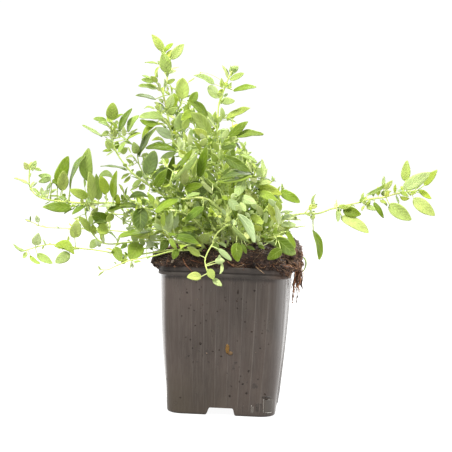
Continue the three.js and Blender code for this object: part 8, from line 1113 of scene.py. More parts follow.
    ("b14",(-57.9,16.3,136.2),(-58.3,16,135.1),(-61.5,19,132),2.4,(-.04,.71,.7),14,(0,0,0),"Y"),
    ("b14",(-64.7,18.2,137.6),(-65.5,18.4,139.3),(-71.4,20.4,145.1),4.7,(.75,-.04,.66),12,(-.2,0,.1),"M"),
    ("b14",(-64.7,18.2,137.6),(-66.9,18.3,137),(-75.6,20,135.3),4.1,(-.16,-.38,.91),13,(.2,.5,-.3),"L"),
    ("b14",(-64.7,18.2,137.6),(-65.2,18.6,136.3),(-68.1,18.8,133.9),1.7,(-.64,-.08,.77),14,(0,0,0),"L"),
    ("b14",(-72,20.3,138.4),(-73.4,22.9,139.3),(-79.4,26.6,140.8),4,(.32,-.04,.95),16,(-.2,-.2,-.1),"M"),
    ("b14",(-72,20.3,138.4),(-73.4,17.4,138.8),(-78.9,15.4,140),2.9,(.21,.28,.94),12,(-.3,.2,.1),"P"),
    ("b14",(-72,20.3,138.4),(-72.1,23.5,137.8),(-75.4,27.2,138),2.2,(.2,.14,.97),14,(0,0,0),"L"),
    ("b14",(-72,20.3,138.4),(-72.2,17.8,139.9),(-76.2,15.7,142.7),2.4,(.21,.63,.75),14,(0,0,0),"Y"),
    ("b14",(-73.1,20.6,138.5),(-73.7,21.8,138.2),(-77.6,25.2,138.1),2.4,(-.65,-.73,.21),14,(0,0,0),"L"),
    ("b14",(-73.1,20.6,138.5),(-73.8,20.6,138.7),(-78.8,18.9,140.9),2.6,(-.43,.82,-.38),14,(0,0,0),"L"),
    ("b14",(-73.1,20.6,138.5),(-73.8,21.2,138),(-80.8,23.2,136.2),3.5,(-.26,.02,.97),14,(0,0,0),"Y"),
    ("b14",(-73.1,20.6,138.5),(-73,20.3,139.5),(-77.1,22.2,144),2.9,(-.72,.07,-.68),14,(0,0,0),"L"),
    ("b14",(-73.1,20.6,138.5),(-73.4,19.2,138.2),(-78.8,16.8,137.6),2.7,(-.42,.87,.25),14,(0,0,0),"M"),
    ("u1",(8.2,.6,127.5),(11.4,.6,130.4),(20.3,.1,140.4),7.5,(-.7,.43,.57),7,(.1,.2,-.1),"q"),
    ("u1",(8.2,.6,127.5),(6.6,0,129.1),(.8,-3.5,140.4),6.7,(.65,.6,.46),7,(-.4,-.6,0),"d"),
    ("u1",(9.5,.7,134.6),(10.6,-1.1,136.5),(15.2,-8.3,148.2),7.7,(-.48,.69,.55),13,(1,-.3,.1),"D"),
    ("u1",(9.5,.7,134.6),(9.1,3,136.6),(8.9,14.4,148.3),7.8,(0,-.76,.65),15,(.9,.3,1.3),"M"),
    ("u1",(10.6,.8,140),(13.8,1.1,142.1),(24.3,-.9,150.7),6.5,(-.58,.43,.69),6,(0,.4,0),"d"),
    ("u1",(10.6,.8,140),(11.2,-1.1,140.4),(13.1,-2.6,143.3),1.7,(-.72,.31,.62),14,(0,0,0),"P"),
    ("u1",(12.2,.9,147.2),(12.9,-1.4,149.2),(14.6,-7.8,156.4),5,(-.09,.78,.62),6,(-.1,0,.5),"D"),
    ("u1",(12.2,.9,147.2),(11.6,3.8,148.7),(10.6,13,154.1),6.1,(-.1,-.58,.8),15,(.1,-.6,.1),"q"),
    ("u1",(12.2,.9,147.2),(11,.7,147.6),(9.3,.5,150.6),1.6,(.86,-.2,.47),14,(0,0,0),"M"),
    ("u1",(15.4,1.2,159.5),(14.1,1.9,162.5),(12.1,3.6,172),5,(.5,-.83,.24),12,(.1,.2,0),"d"),
    ("u1",(17,1.3,164.8),(17.9,.2,165.8),(20.8,-1.8,171.1),3.3,(-.76,.41,.5),8,(0,.1,.2),"D"),
    ("u2",(-10.3,-1.3,135),(-7.6,-1.2,136.9),(1.1,-.7,144.4),5.8,(-.57,-.54,.61),11,(-.7,-.1,-.3),"D"),
    ("u2",(-10.3,-1.3,135),(-13.2,-.6,136.3),(-23.6,-3.2,143.3),6.8,(.64,-.19,.75),14,(.8,0,-.1),"q"),
    ("u2",(-12.2,-.2,142.7),(-11.9,-2.4,145.7),(-12.9,-11.4,156),7.3,(-.03,.8,.6),15,(.4,.6,-.3),"d"),
    ("u2",(-12.2,-.2,142.7),(-14.1,2.3,145.2),(-21.7,10.5,155.9),9.1,(.24,-.73,.64),11,(0,-.4,-.2),"D"),
    ("u2",(-14.5,-1,152.4),(-12.7,.1,154.2),(-5.6,4.9,163.5),7.2,(-.82,-.06,.57),14,(-.3,-.6,-.7),"M"),
    ("u2",(-14.5,-1,152.4),(-17.1,-1.7,154.7),(-24.8,-9.3,164.2),7.9,(.35,.64,.68),13,(1,-.3,.6),"d"),
    ("u2",(-16.3,-1.2,160.2),(-18.2,-2.6,162.5),(-25.2,-8.7,170.8),7.3,(.77,.09,.63),10,(-.3,0,-.6),"D"),
    ("u2",(-16.3,-1.2,160.2),(-15.6,1,162.1),(-13.5,7.9,171.3),6.4,(-.81,-.4,.43),11,(-.4,-.6,0),"D"),
    ("u2",(-16.3,-1.2,160.2),(-15.8,-2.4,160.8),(-15.4,-4.4,163.5),1.6,(-.12,.79,.6),14,(0,0,0),"Y"),
    ("u2",(-16.3,-1.2,160.2),(-17.4,-.2,160.6),(-20.3,1.5,164.6),2.4,(.38,-.72,.58),14,(0,0,0),"L"),
    ("u2",(-18.2,-1.4,168),(-17.8,-1.4,169.8),(-18,5.7,178.7),5.9,(.5,-.71,.5),11,(.6,.1,-.3),"D"),
    ("u2",(-18.2,-1.4,168),(-18.1,-3.2,169.6),(-17.3,-9.6,178.6),6.5,(-.65,.62,.44),13,(-.2,-.2,-.4),"M"),
    ("u2",(-18.2,-1.4,168),(-18,.4,168.3),(-17.6,5.5,171.8),2.8,(.85,-.34,.41),14,(0,0,0),"Y"),
    ("u2",(-18.2,-1.4,168),(-19.5,1.7,167.8),(-22.4,5.8,170),2.5,(.16,-.37,.91),14,(0,0,0),"M"),
    ("u2",(-19.8,-1.5,173.8),(-18,-1.2,175.6),(-11.2,.3,184.4),6.6,(-.24,.97,.02),15,(-.3,-.4,.7),"D"),
    ("u2",(-19.8,-1.5,173.8),(-22.4,-1.2,175.2),(-31.5,.6,181.9),6,(.33,-.77,.55),13,(.3,0,-.5),"q"),
    ("u2",(-22.3,-1.7,182.4),(-22.9,.1,183.6),(-25.9,5.4,189.7),4.5,(.55,-.55,.64),15,(0,.3,.1),"d"),
    ("u2",(-22.3,-1.7,182.4),(-22.3,-4,184),(-22.7,-10.6,189.7),4.7,(.32,.67,.67),10,(-.5,0,-.1),"D"),
    ("u2",(-22.3,-1.7,182.4),(-23.4,.5,182.1),(-26.5,3.5,183.6),2.1,(.12,-.36,.93),14,(0,0,0),"L"),
    ("u2",(-22.3,-1.7,182.4),(-23.5,-2.6,182.5),(-27.3,-4,184.8),2.1,(.52,-.01,.85),14,(0,0,0),"M"),
    ("u2",(-23.9,-1.8,187.4),(-23.3,-3.2,189.4),(-24.3,-6.3,196),4.3,(.7,.62,.35),7,(.2,-.2,-.4),"L"),
    ("u2",(-23.9,-1.8,187.4),(-25,-3,187.8),(-27.4,-7.6,191),3.1,(.31,.52,.8),10,(0,.4,-.3),"M"),
    ("u2",(-23.9,-1.8,187.4),(-24.6,-1.1,187.8),(-27.2,1,190.7),2,(.75,.02,.66),14,(0,0,0),"P"),
    ("u2",(-26.4,-2,194.7),(-27.2,-.2,195.9),(-30,2.6,201.5),3.7,(.41,-.75,.52),10,(0,.2,.1),"M"),
    ("u2",(-26.4,-2,194.7),(-26.4,-3,195.8),(-26.9,-6.3,201.1),3.3,(.59,.68,.43),8,(.2,-.2,-.1),"Y"),
    ("u2",(-28.5,-2.1,200.3),(-27.6,-2.5,201.3),(-26.2,-3.9,206.8),3.1,(-.98,-.08,.19),11,(.2,.2,-.3),"D"),
    ("u2",(-28.5,-2.1,200.3),(-30.4,-1.4,200.1),(-35.5,-1.3,200),2.6,(.07,-.21,.98),15,(.2,.2,.4),"M"),
    ("u2",(-28.5,-2.1,200.3),(-29.5,-3.9,200.2),(-33.6,-6.6,201.9),2.3,(-.33,.81,.49),14,(0,0,0),"P"),
    ("u2",(-29.9,-2.2,204.2),(-29.9,.8,204.1),(-30.1,3.7,208.3),2.3,(-.49,-.73,.47),14,(0,0,0),"L"),
    ("u2",(-29.9,-2.2,204.2),(-29.6,-2.9,204.7),(-29.4,-6.8,210.5),3.2,(-.59,.66,.46),14,(0,0,0),"L"),
    ("u2",(-29.9,-2.2,204.2),(-30.3,-.9,204.8),(-29.8,.3,212),3.4,(-.92,-.37,.13),14,(0,0,0),"L"),
    ("u2",(-29.9,-2.2,204.2),(-30,-5,204.3),(-31.9,-8.7,207.9),2.5,(-.13,.72,.68),14,(0,0,0),"M"),
    ("u3",(-4.1,-14.5,131.3),(-7.5,-12.9,134.3),(-17.2,-7.7,143.6),7,(.7,-.16,.7),8,(.2,-.1,.5),"M"),
    ("u3",(-4.1,-14.5,131.3),(-4.2,-15.9,131.4),(-4.5,-19.6,132.9),1.8,(-.6,.36,.72),14,(0,0,0),"L"),
    ("u3",(-5,-18,141.8),(-5.5,-16.5,143.7),(-8.5,-9.4,154.7),7.6,(.89,-.27,.37),6,(.3,-.3,0),"D"),
    ("u3",(-5,-18,141.8),(-5.3,-21.1,143.4),(-6.4,-33.1,151.2),6.8,(.23,.59,.78),10,(-.3,-1.1,.2),"q"),
    ("u3",(-5,-18,141.8),(-5.7,-17.1,142.6),(-7.9,-15.9,148.3),2.8,(.58,.81,.05),14,(0,0,0),"Y"),
    ("u3",(-6.1,-21.7,151),(-9.1,-21.6,153.3),(-19.3,-22.2,162.5),8,(.63,-.53,.57),15,(.7,0,0),"M"),
    ("u3",(-6.1,-21.7,151),(-5.8,-20.8,152),(-5.4,-20,156.1),1.9,(.68,-.73,.09),14,(0,0,0),"L"),
    ("u3",(-6.9,-24.7,157.3),(-4.6,-24.4,159.7),(2.2,-23.4,167.1),5.2,(-.74,.42,.54),6,(-.5,.2,.1),"D"),
    ("u3",(-6.9,-24.7,157.3),(-9,-27.3,158.6),(-16.3,-31,164.8),5.2,(.74,-.45,.5),15,(.1,-.3,0),"q"),
    ("u3",(-6.9,-24.7,157.3),(-6.7,-22.3,158.1),(-6.3,-19.1,163.2),2.7,(-.29,-.8,.52),14,(0,0,0),"L"),
    ("u3",(-6.9,-24.7,157.3),(-7.9,-24.5,158.1),(-10,-23.8,161.7),1.9,(.87,0,.5),14,(0,0,0),"L"),
    ("u3",(-6.9,-24.7,157.3),(-6.6,-26.2,157.1),(-6.8,-30.6,159.1),2.2,(-.2,.42,.89),14,(0,0,0),"L"),
    ("u3",(-7.6,-27.1,161.9),(-9.7,-26.7,164),(-15.7,-26.9,171.3),4.9,(.81,-.06,.58),16,(.1,.1,.2),"d"),
    ("u3",(-7.6,-27.1,161.9),(-6.4,-27.4,161.9),(-2.8,-32.1,162.5),2.7,(.31,.36,.88),14,(0,0,0),"L"),
    ("u3",(-7.6,-27.1,161.9),(-7.8,-29.3,161.3),(-8.1,-33.9,161.4),2.1,(-.41,.05,.91),14,(0,0,0),"Y"),
    ("u3",(-8.7,-31,168.5),(-9.1,-29.7,169.9),(-10.8,-25.6,175.9),4.2,(.13,-.84,.54),7,(.1,.2,-.3),"q"),
    ("u3",(-8.7,-31,168.5),(-8.6,-34,168.2),(-9.4,-41,168.9),3.9,(.21,.17,.96),8,(-.1,0,.3),"D"),
    ("u3",(-8.7,-31,168.5),(-7.4,-32.2,168.6),(-5,-34.4,171),1.8,(-.38,.46,.8),14,(0,0,0),"P"),
    ("u3",(-8.7,-31,168.5),(-9.8,-31.2,168.3),(-13.2,-35.9,170.9),2.9,(-.08,.52,.85),14,(0,0,0),"L"),
    ("u3",(-11.1,-39.5,180.2),(-11.6,-40.4,179.8),(-14.6,-42.6,180),2,(.23,-.06,.97),10,(0,0,-.1),"L"),
    ("u4",(8.8,-13.1,129.4),(6.9,-17.1,133.4),(0,-23.5,146.3),8.7,(.9,-.33,.28),16,(.8,-.5,-.1),"D"),
    ("u4",(8.8,-13.1,129.4),(11.6,-12.7,131.8),(21.4,-12.8,141.6),8.2,(-.66,-.49,.57),16,(.1,-.1,-.1),"D"),
    ("u4",(8.8,-13.1,129.4),(7.8,-14.8,128.7),(5.4,-19.1,130.3),2.4,(.3,.16,.94),14,(0,0,0),"L"),
    ("u4",(10.5,-15.4,138.3),(9.8,-14.5,140.5),(7.4,-13.8,150.7),5.8,(.44,.9,.04),16,(-.7,-.5,.4),"D"),
    ("u4",(10.5,-15.4,138.3),(11.7,-18.1,139.1),(17.4,-28,145.8),7.3,(-.56,.3,.77),9,(0,.5,.6),"M"),
    ("u4",(12.6,-18.5,147),(10.6,-19.2,148.8),(6.6,-23.2,156.2),5.5,(.53,.65,.55),11,(-.1,-.4,-.2),"d"),
    ("u4",(12.6,-18.5,147),(15.7,-17.9,147.2),(24.3,-15.6,149.7),5.1,(-.39,.07,.92),8,(.4,0,.1),"D"),
    ("u4",(12.6,-18.5,147),(13.6,-19.5,146.7),(15.8,-21.3,148.2),1.5,(-.23,.45,.86),14,(0,0,0),"L"),
    ("u4",(14.1,-20.5,152),(13.4,-17,154),(14.4,-13.1,163.2),5.2,(-.95,-.24,.19),12,(-.2,.9,-.6),"q"),
    ("u4",(16.2,-23,158.6),(17.6,-22.2,159.7),(20.5,-20.8,163.4),2.7,(-.84,.19,.51),11,(-.1,.1,.1),"d"),
    ("u5",(1.6,-22.2,125.4),(-.3,-22.6,127),(-7.5,-25.4,135),6.3,(.8,-.25,.55),7,(.4,-.3,.1),"D"),
    ("u5",(2.2,-28.6,134.2),(2.9,-28.3,135),(4.7,-29.2,138.8),1.9,(-.86,.25,.46),14,(0,0,0),"M"),
    ("u5",(2.5,-33.7,139.5),(3,-33,141.7),(7.3,-29.9,149.4),5.4,(-.49,-.72,.49),12,(.2,-.3,.3),"D"),
    ("u5",(2.5,-33.7,139.5),(5,-34.6,140.4),(12.8,-40.6,143.5),5.1,(-.54,-.12,.83),14,(.2,.2,-.3),"L"),
    ("u5",(2.9,-38.9,144.3),(3.9,-40.1,144.1),(7.2,-45.1,145.5),3.5,(-.29,.2,.94),16,(0,.1,.4),"M"),
    ("u5",(2.9,-38.9,144.3),(3.2,-38.6,143.2),(5,-43.8,141.4),2.6,(.17,-.27,.95),14,(0,0,0),"P"),
    ("u6",(-13.2,-15.2,129.6),(-14.3,-14.6,131.2),(-20.2,-11,138),4.9,(.44,-.64,.63),13,(-.1,.3,-.4),"M"),
    ("u6",(-13.2,-15.2,129.6),(-12.7,-18.4,129.2),(-12.5,-26.2,127.6),3.7,(-.11,-.11,.99),7,(-.1,-.1,.1),"d"),
    ("u6",(-13.2,-15.2,129.6),(-14.5,-13.8,129.7),(-17,-12.5,130.8),1.4,(.3,-.26,.92),14,(0,0,0),"Y"),
    ("u6",(-13.2,-15.2,129.6),(-13.6,-16,129.6),(-15.3,-20.6,131.2),2.3,(-.08,.36,.93),14,(0,0,0),"L"),
    ("u6",(-15.6,-17.6,136.1),(-15.8,-15.3,138.9),(-17.4,-9,147.1),5.2,(-.14,-.83,.54),9,(-.5,-.4,.3),"q"),
    ("u6",(-15.6,-17.6,136.1),(-16.6,-20.4,137.4),(-20.1,-30.3,143.4),7,(.13,.56,.82),12,(-1,-.1,.6),"d"),
    ("u6",(-15.6,-17.6,136.1),(-16.8,-18.4,135.8),(-20.6,-21.6,136.3),2.3,(.04,.12,.99),14,(0,0,0),"L"),
    ("u6",(-19.6,-21.9,145.4),(-22,-21.1,147.2),(-32.1,-18.9,156.7),6.8,(.57,-.53,.63),6,(0,.3,.8),"M"),
    ("u6",(-19.6,-21.9,145.4),(-18.8,-24.7,147.3),(-17.5,-32.1,157.4),7.3,(.3,.82,.49),8,(.5,-.3,-.2),"d"),
    ("u6",(-19.6,-21.9,145.4),(-20.5,-22.8,144.9),(-22.7,-25.3,144.8),1.5,(-.21,.15,.97),14,(0,0,0),"L"),
    ("u6",(-22.5,-25.7,151.4),(-22.2,-23.7,154.7),(-22.8,-16.8,166),6.9,(-.48,-.78,.4),5,(-.4,-.6,-.8),"D"),
    ("u6",(-22.5,-25.7,151.4),(-22.8,-28.7,150.3),(-22.6,-41,146.2),6.9,(-.07,-.22,.97),8,(.8,-.7,.1),"Y"),
    ("u6",(-22.5,-25.7,151.4),(-23.7,-26.1,151.1),(-27.8,-28.7,152.5),2.3,(.26,.13,.96),14,(0,0,0),"L"),
    ("u6",(-26.4,-30.6,158.4),(-27.7,-30.1,160.4),(-32.2,-28.7,167.8),4.9,(.33,.94,.01),8,(.1,.6,.2),"L"),
    ("u6",(-26.4,-30.6,158.4),(-26.2,-32.6,159.3),(-29.9,-37.9,163),4.4,(.11,.61,.79),6,(-.5,.4,0),"Y"),
    ("u6",(-30.8,-35.8,164.7),(-30.8,-34.8,165.8),(-32.3,-35.3,169.8),1.9,(.08,-.99,-.1),14,(0,0,0),"M"),
    ("u7",(17,-8.1,122.7),(16.9,-10.8,123.3),(17.4,-21.8,127.8),6.1,(.33,.45,.83),15,(-.4,-.3,.1),"D"),
    ("u7",(17,-8.1,122.7),(18,-6.5,123.6),(23.7,-4.1,131.9),6.2,(-.86,.25,.45),9,(-.9,.2,.7),"D"),
    ("u7",(20.8,-10,130.3),(19.9,-9.3,131.9),(18,-7.6,142.5),5.9,(.95,-.26,.2),8,(-.1,.2,-.4),"q"),
    ("u7",(20.8,-10,130.3),(21.4,-11.4,131),(21.6,-17.6,138.9),5,(-.25,.8,.55),6,(.4,0,-.6),"d"),
    ("u7",(20.8,-10,130.3),(22,-9.3,130.1),(25.7,-8.6,132.1),1.9,(-.48,.02,.88),14,(0,0,0),"Y"),
    ("u7",(24.1,-11.6,136.2),(25.4,-14.7,136.8),(31.7,-22.4,138.8),4.6,(-.2,.22,.96),6,(-.2,-.3,.1),"D"),
    ("u7",(24.1,-11.6,136.2),(25.3,-10.7,138),(30.7,-7.5,147),5.8,(-.4,-.79,.46),8,(.2,-.3,-.4),"d"),
    ("u7",(27.7,-13.3,142),(27.4,-13,145),(28.3,-13,154.7),5.3,(-.76,.65,.06),12,(-.4,.4,-.1),"D"),
    ("u7",(32.8,-15.8,148.7),(33.2,-15,149.9),(34.5,-13.5,154.8),2.8,(-.74,-.58,.33),13,(-.4,.2,.1),"Y"),
    ("u7",(32.8,-15.8,148.7),(34,-14.9,148.5),(38.4,-14.1,150.3),2.2,(-.29,-.33,.9),14,(0,0,0),"L"),
    ("u8",(-20.7,-9,127.7),(-22.5,-7.2,130.4),(-29.5,-2.6,139),5.8,(.66,-.39,.64),6,(0,-.1,.6),"D"),
    ("u8",(-20.7,-9,127.7),(-20.6,-13.2,129.4),(-20.8,-26.2,133.4),7,(.04,.39,.92),6,(-.1,.1,-.7),"M"),
    ("u8",(-20.7,-9,127.7),(-19.6,-9,128.9),(-16.8,-9,132.8),2.1,(-.77,-.34,.55),14,(0,0,0),"P"),
    ("u8",(-26.7,-12,137.2),(-24.9,-11.7,140.7),(-20.4,-11.2,151.4),7,(-.92,.19,.34),11,(.4,-.2,-.5),"D"),
    ("u8",(-26.7,-12,137.2),(-29.6,-13.8,137.1),(-39.8,-18.4,136.8),6.2,(.01,.15,.99),12,(.3,.1,.2),"M"),
    ("u8",(-32,-14.4,144.8),(-33.8,-13.5,147),(-41.6,-10.9,154),6.1,(.44,-.64,.63),7,(.2,.1,-.6),"P"),
    ("u8",(-32,-14.4,144.8),(-32,-17.2,146),(-33.5,-26.7,150.3),6,(.09,.48,.87),7,(-.2,-.1,-.5),"D"),
    ("u8",(-32,-14.4,144.8),(-31.2,-14.8,145.9),(-30.6,-16.1,149.7),1.8,(-.02,-.94,-.33),14,(0,0,0),"P"),
    ("u8",(-32,-14.4,144.8),(-32.7,-15.5,144.2),(-35.5,-19.2,145.3),2.2,(.23,.11,.97),14,(0,0,0),"L"),
    ("u8",(-32,-14.4,144.8),(-33,-13,144.9),(-37.7,-10,147.4),2.8,(.31,-.27,.91),14,(0,0,0),"Y"),
    ("u8",(-36.6,-16.5,150.5),(-37.5,-17.2,154.2),(-41.2,-18,163.5),5.8,(.92,.2,.34),8,(.6,.1,0),"M"),
    ("u8",(-36.6,-16.5,150.5),(-39.1,-17.3,150.3),(-50.8,-20.9,151),6.5,(.1,.2,.98),14,(-.7,.4,.8),"D"),
    ("u8",(-36.6,-16.5,150.5),(-35.6,-16.6,151.8),(-34.9,-15.1,156.7),2.4,(.26,-.94,.23),14,(0,0,0),"L"),
    ("u8",(-36.6,-16.5,150.5),(-36.5,-14.2,151.4),(-36.5,-10.9,156.7),2.8,(1,.08,-.04),14,(0,0,0),"Y"),
    ("u8",(-36.6,-16.5,150.5),(-36.2,-18,151.1),(-36.7,-20.9,153.8),1.8,(.11,.67,.73),14,(0,0,0),"M"),
    ("u8",(-41.5,-18.7,155.9),(-42.9,-17.5,157.6),(-48.1,-15.3,163.1),4.7,(.63,-.42,.66),8,(-.1,.3,-.2),"D"),
    ("u8",(-46.8,-21.1,161),(-46.2,-19.8,162.7),(-45.4,-15.8,166.8),3.2,(-.05,-.75,.66),6,(0,-.1,.4),"Y"),
    ("u8",(-46.8,-21.1,161),(-48.8,-21.7,160.7),(-55,-22.5,161.2),2.9,(.16,.2,.97),14,(0,0,.1),"D"),
    ("u8",(-51,-23,164.5),(-52.9,-22,165.2),(-59.9,-21.2,166.8),4,(.34,.2,.92),14,(0,-.2,.1),"D"),
    ("u8",(-51,-23,164.5),(-51.1,-25.6,165.9),(-54.2,-32.4,169.8),4.3,(.1,.54,.84),14,(-.3,-.2,-.1),"P"),
    ("u8",(-51,-23,164.5),(-51.5,-24.8,164),(-54.4,-27.3,164.5),1.7,(.33,-.2,.92),14,(0,0,0),"P"),
    ("u8",(-51,-23,164.5),(-52.2,-22.5,163.6),(-56.6,-22.7,164),2,(.07,.26,.96),14,(0,0,0),"L"),
    ("u8",(-54.3,-24.5,167),(-54,-24.6,168.7),(-55.9,-25.4,175.1),3.8,(-.28,.96,.02),8,(.4,-.4,0),"D"),
    ("f1",(-2.1,-33,123.1),(-1,-31.3,123.9),(1.4,-30.4,128.4),2.6,(-.57,-.72,.4),14,(0,-.4,0),"d"),
    ("f1",(-2.7,-42,129.9),(-3.5,-42.8,129.4),(-5.1,-45.8,129.3),1.5,(-.01,-.01,1),14,(0,0,0),"L"),
    ("f1",(-3.5,-54.2,135.9),(-4.5,-55.3,138.1),(-9,-62.2,144.6),5.5,(.82,.09,.57),9,(0,0,0),"D"),
    ("f1",(-4,-61.6,138.4),(-3.1,-62.2,137.9),(-.7,-66.7,137.1),2.3,(-.13,-.24,.96),14,(0,0,0),"L"),
    ("f1",(-4.9,-75.7,140.6),(-4.1,-75.6,141.4),(-1.8,-79.3,143.2),2.1,(-.42,.26,.87),14,(.1,0,.2),"D"),
    ("f1",(-4.9,-75.7,140.6),(-3.5,-76.7,140.2),(.9,-80.5,140.8),2.6,(.02,.16,.99),14,(0,0,0),"Y"),
    ("f1",(-5.2,-80.8,140.8),(-4.7,-80,140.4),(-2,-84.4,139.6),2.4,(-.79,-.55,.28),14,(0,0,0),"L"),
    ("f1",(-5.2,-80.8,140.8),(-5.5,-82.3,141.4),(-6.1,-87.3,144.9),2.8,(.03,-.58,-.82),14,(0,0,0),"L"),
    ("f2",(11.8,-32.6,123.5),(14.1,-33.2,124.2),(21.1,-36.8,127.6),4.8,(-.61,-.34,.72),10,(0,.1,-.1),"D"),
    ("f2",(11.8,-32.6,123.5),(11.2,-33.4,124.5),(9.8,-35.2,129.4),2.4,(.44,.8,.42),14,(0,0,0),"L"),
    ("f2",(11.8,-32.6,123.5),(11.9,-31.4,124.5),(12.3,-31.8,127.9),1.5,(-.34,.93,.15),14,(0,0,0),"P"),
    ("f2",(14,-39.9,127.4),(13.5,-39.8,129),(10.2,-41.6,136),4,(.91,-.27,.32),7,(-.6,-.1,.4),"M"),
    ("f2",(14,-39.9,127.4),(14.3,-41.8,125.8),(15,-49.7,121.7),4.2,(.41,-.31,.86),7,(.3,0,-.5),"P"),
    ("f2",(14,-39.9,127.4),(13.4,-40.8,127.4),(12.8,-45.1,127.4),1.9,(.21,-.05,.98),14,(0,0,0),"M"),
    ("f2",(16.7,-47.6,131),(15.9,-48.9,131),(15.4,-51.9,131),1.4,(-.26,.04,.96),14,(0,0,0),"L"),
    ("f2",(16.7,-47.6,131),(16.6,-47.3,129.6),(17,-51,129),1.7,(-.17,-.17,.97),14,(0,0,0),"M"),
    ("f3",(-14.4,-30,123),(-16.6,-29,123.8),(-25.9,-21.8,125.7),6.5,(.11,-.27,.96),8,(-.6,0,-.2),"D"),
    ("f3",(-14.4,-30,123),(-12.2,-31.3,122.5),(-3.4,-36.8,117.5),5.5,(.31,-.16,.94),14,(-.2,.1,0),"L"),
    ("f3",(-17.2,-35.6,127.6),(-17.6,-36.7,132.4),(-19.9,-41.7,145.2),8.3,(-.7,.7,.13),16,(0,.3,-.6),"D"),
    ("f3",(-17.2,-35.6,127.6),(-18.6,-37.7,126.5),(-26.6,-47.4,121.8),6.1,(-.17,-.2,.96),14,(0,-.8,.4),"Y"),
    ("f3",(-17.2,-35.6,127.6),(-17.1,-35.2,129),(-17.4,-35.3,132.6),1.6,(-1,0,-.09),14,(0,0,0),"P"),
    ("f3",(-17.2,-35.6,127.6),(-16.4,-36.9,127.4),(-15.3,-42.3,127.8),2.5,(.05,.1,.99),14,(0,0,0),"L"),
    ("f3",(-17.2,-35.6,127.6),(-18,-35.5,126.4),(-20,-37.6,124.8),1.5,(-.1,-.56,.82),14,(0,0,0),"L"),
    ("f3",(-20.3,-42.2,132),(-21.9,-43,132.3),(-27.8,-51.2,133.5),5.5,(-.41,.5,.76),13,(-.5,0,0),"L"),
    ("f3",(-20.3,-42.2,132),(-19,-44.5,132.7),(-16.8,-51.3,133.8),3.8,(.1,.29,.95),8,(.2,-.3,0),"L"),
    ("f3",(-20.3,-42.2,132),(-21.7,-41.7,132.4),(-25.6,-41.3,133.7),1.9,(.33,.53,.78),14,(0,0,0),"P"),
    ("f3",(-23.7,-49.2,135.7),(-24.6,-46.9,137.4),(-30.6,-39.8,143.8),5.7,(.03,-.72,.69),15,(.3,.1,.4),"D"),
    ("f3",(-23.7,-49.2,135.7),(-24.3,-48,136.9),(-26.2,-49,142.6),2.7,(.67,-.74,.09),14,(0,0,0),"P"),
    ("f3",(-23.7,-49.2,135.7),(-23.2,-49.8,137.2),(-23.2,-52,140.3),1.7,(-.07,.82,.57),14,(0,0,0),"L"),
    ("f3",(-27.2,-56.5,138.6),(-26.1,-58.3,139.2),(-24.5,-65.6,140.9),4.3,(-.22,.26,.94),9,(0,.1,0),"M"),
    ("f3",(-27.2,-56.5,138.6),(-28.6,-56.3,138.2),(-31.8,-56.6,137.6),1.5,(-.22,.36,.91),14,(0,0,0),"Y"),
    ("f3",(-30.1,-62.5,140.3),(-30.2,-63.9,139.3),(-30.8,-69.7,137.5),2.8,(-.69,-.08,.72),6,(.3,.3,0),"L"),
    ("f4",(22.9,-23.5,121.7),(22.3,-27.3,121.9),(21.3,-38.8,124.2),6,(.23,.26,.94),9,(.6,-.3,-.2),"L"),
    ("f4",(22.9,-23.5,121.7),(23.4,-22.6,122.7),(23.7,-22.1,130.6),4.1,(-.09,-.99,.05),11,(.1,-.2,-.2),"D"),
    ("f4",(22.9,-23.5,121.7),(23.3,-23.9,120.6),(24.9,-27.1,121),1.6,(-.22,0,.98),14,(0,0,0),"M"),
    ("f4",(22.9,-23.5,121.7),(22.2,-23.6,122),(21,-26.7,123.8),1.7,(.03,.49,.87),14,(0,0,0),"L"),
    ("f5",(-26.8,-22.7,123),(-25.4,-26.6,125.2),(-21.9,-36.8,129.8),5.5,(-.09,.47,.88),11,(-.2,.3,.6),"M"),
    ("f5",(-26.8,-22.7,123),(-28,-22.2,122.8),(-31.4,-23.2,123.3),1.6,(.18,-.16,.97),14,(0,0,0),"Y"),
    ("f5",(-26.8,-22.7,123),(-27.2,-22.1,124.2),(-30,-21.9,127.8),2,(.78,.04,.62),14,(0,0,0),"L"),
    ("f5",(-26.8,-22.7,123),(-26.2,-23.9,123.3),(-26.2,-29.9,123.2),2.7,(.14,-.02,.99),14,(0,0,0),"M"),
    ("f5",(-31.8,-26.6,127.3),(-31.7,-27.6,130.4),(-30.7,-31.8,142.8),7,(-1,.04,.08),15,(0,.4,.3),"M"),
    ("f5",(-31.8,-26.6,127.3),(-32.1,-28,126.7),(-35.2,-33.1,125.8),2.7,(-.06,-.14,.99),14,(0,0,0),"P"),
    ("f5",(-31.8,-26.6,127.3),(-30.6,-27.2,128.1),(-28.4,-31,132.2),2.7,(-.29,.62,.73),14,(0,0,0),"L"),
    ("f5",(-37,-30.2,131.3),(-38.9,-29,132.2),(-48.3,-27.1,135.6),5.9,(.45,.1,.89),13,(-.4,.1,-.1),"D"),
    ("f5",(-37,-30.2,131.3),(-36.6,-32.3,131.7),(-39.5,-42.7,135.4),6.1,(-.31,.47,.82),12,(0,-.1,-.5),"L"),
    ("f5",(-37,-30.2,131.3),(-38.2,-29.6,130.9),(-43.7,-30.2,130.5),2.5,(-.11,.31,.94),14,(0,0,0),"L"),
    ("f5",(-37,-30.2,131.3),(-36.6,-30.3,132.6),(-36.2,-31.3,137.1),2.1,(-.64,.73,.22),14,(0,0,0),"Y"),
    ("f5",(-37,-30.2,131.3),(-37,-30.5,130.2),(-37.4,-33.6,128.9),1.6,(-.4,-.32,.86),14,(0,0,0),"L"),
    ("f5",(-43.7,-36.1,135.7),(-43.9,-36.1,137.6),(-46.6,-37.7,146.4),5.4,(.84,.44,.31),9,(.1,.2,.1),"Y"),
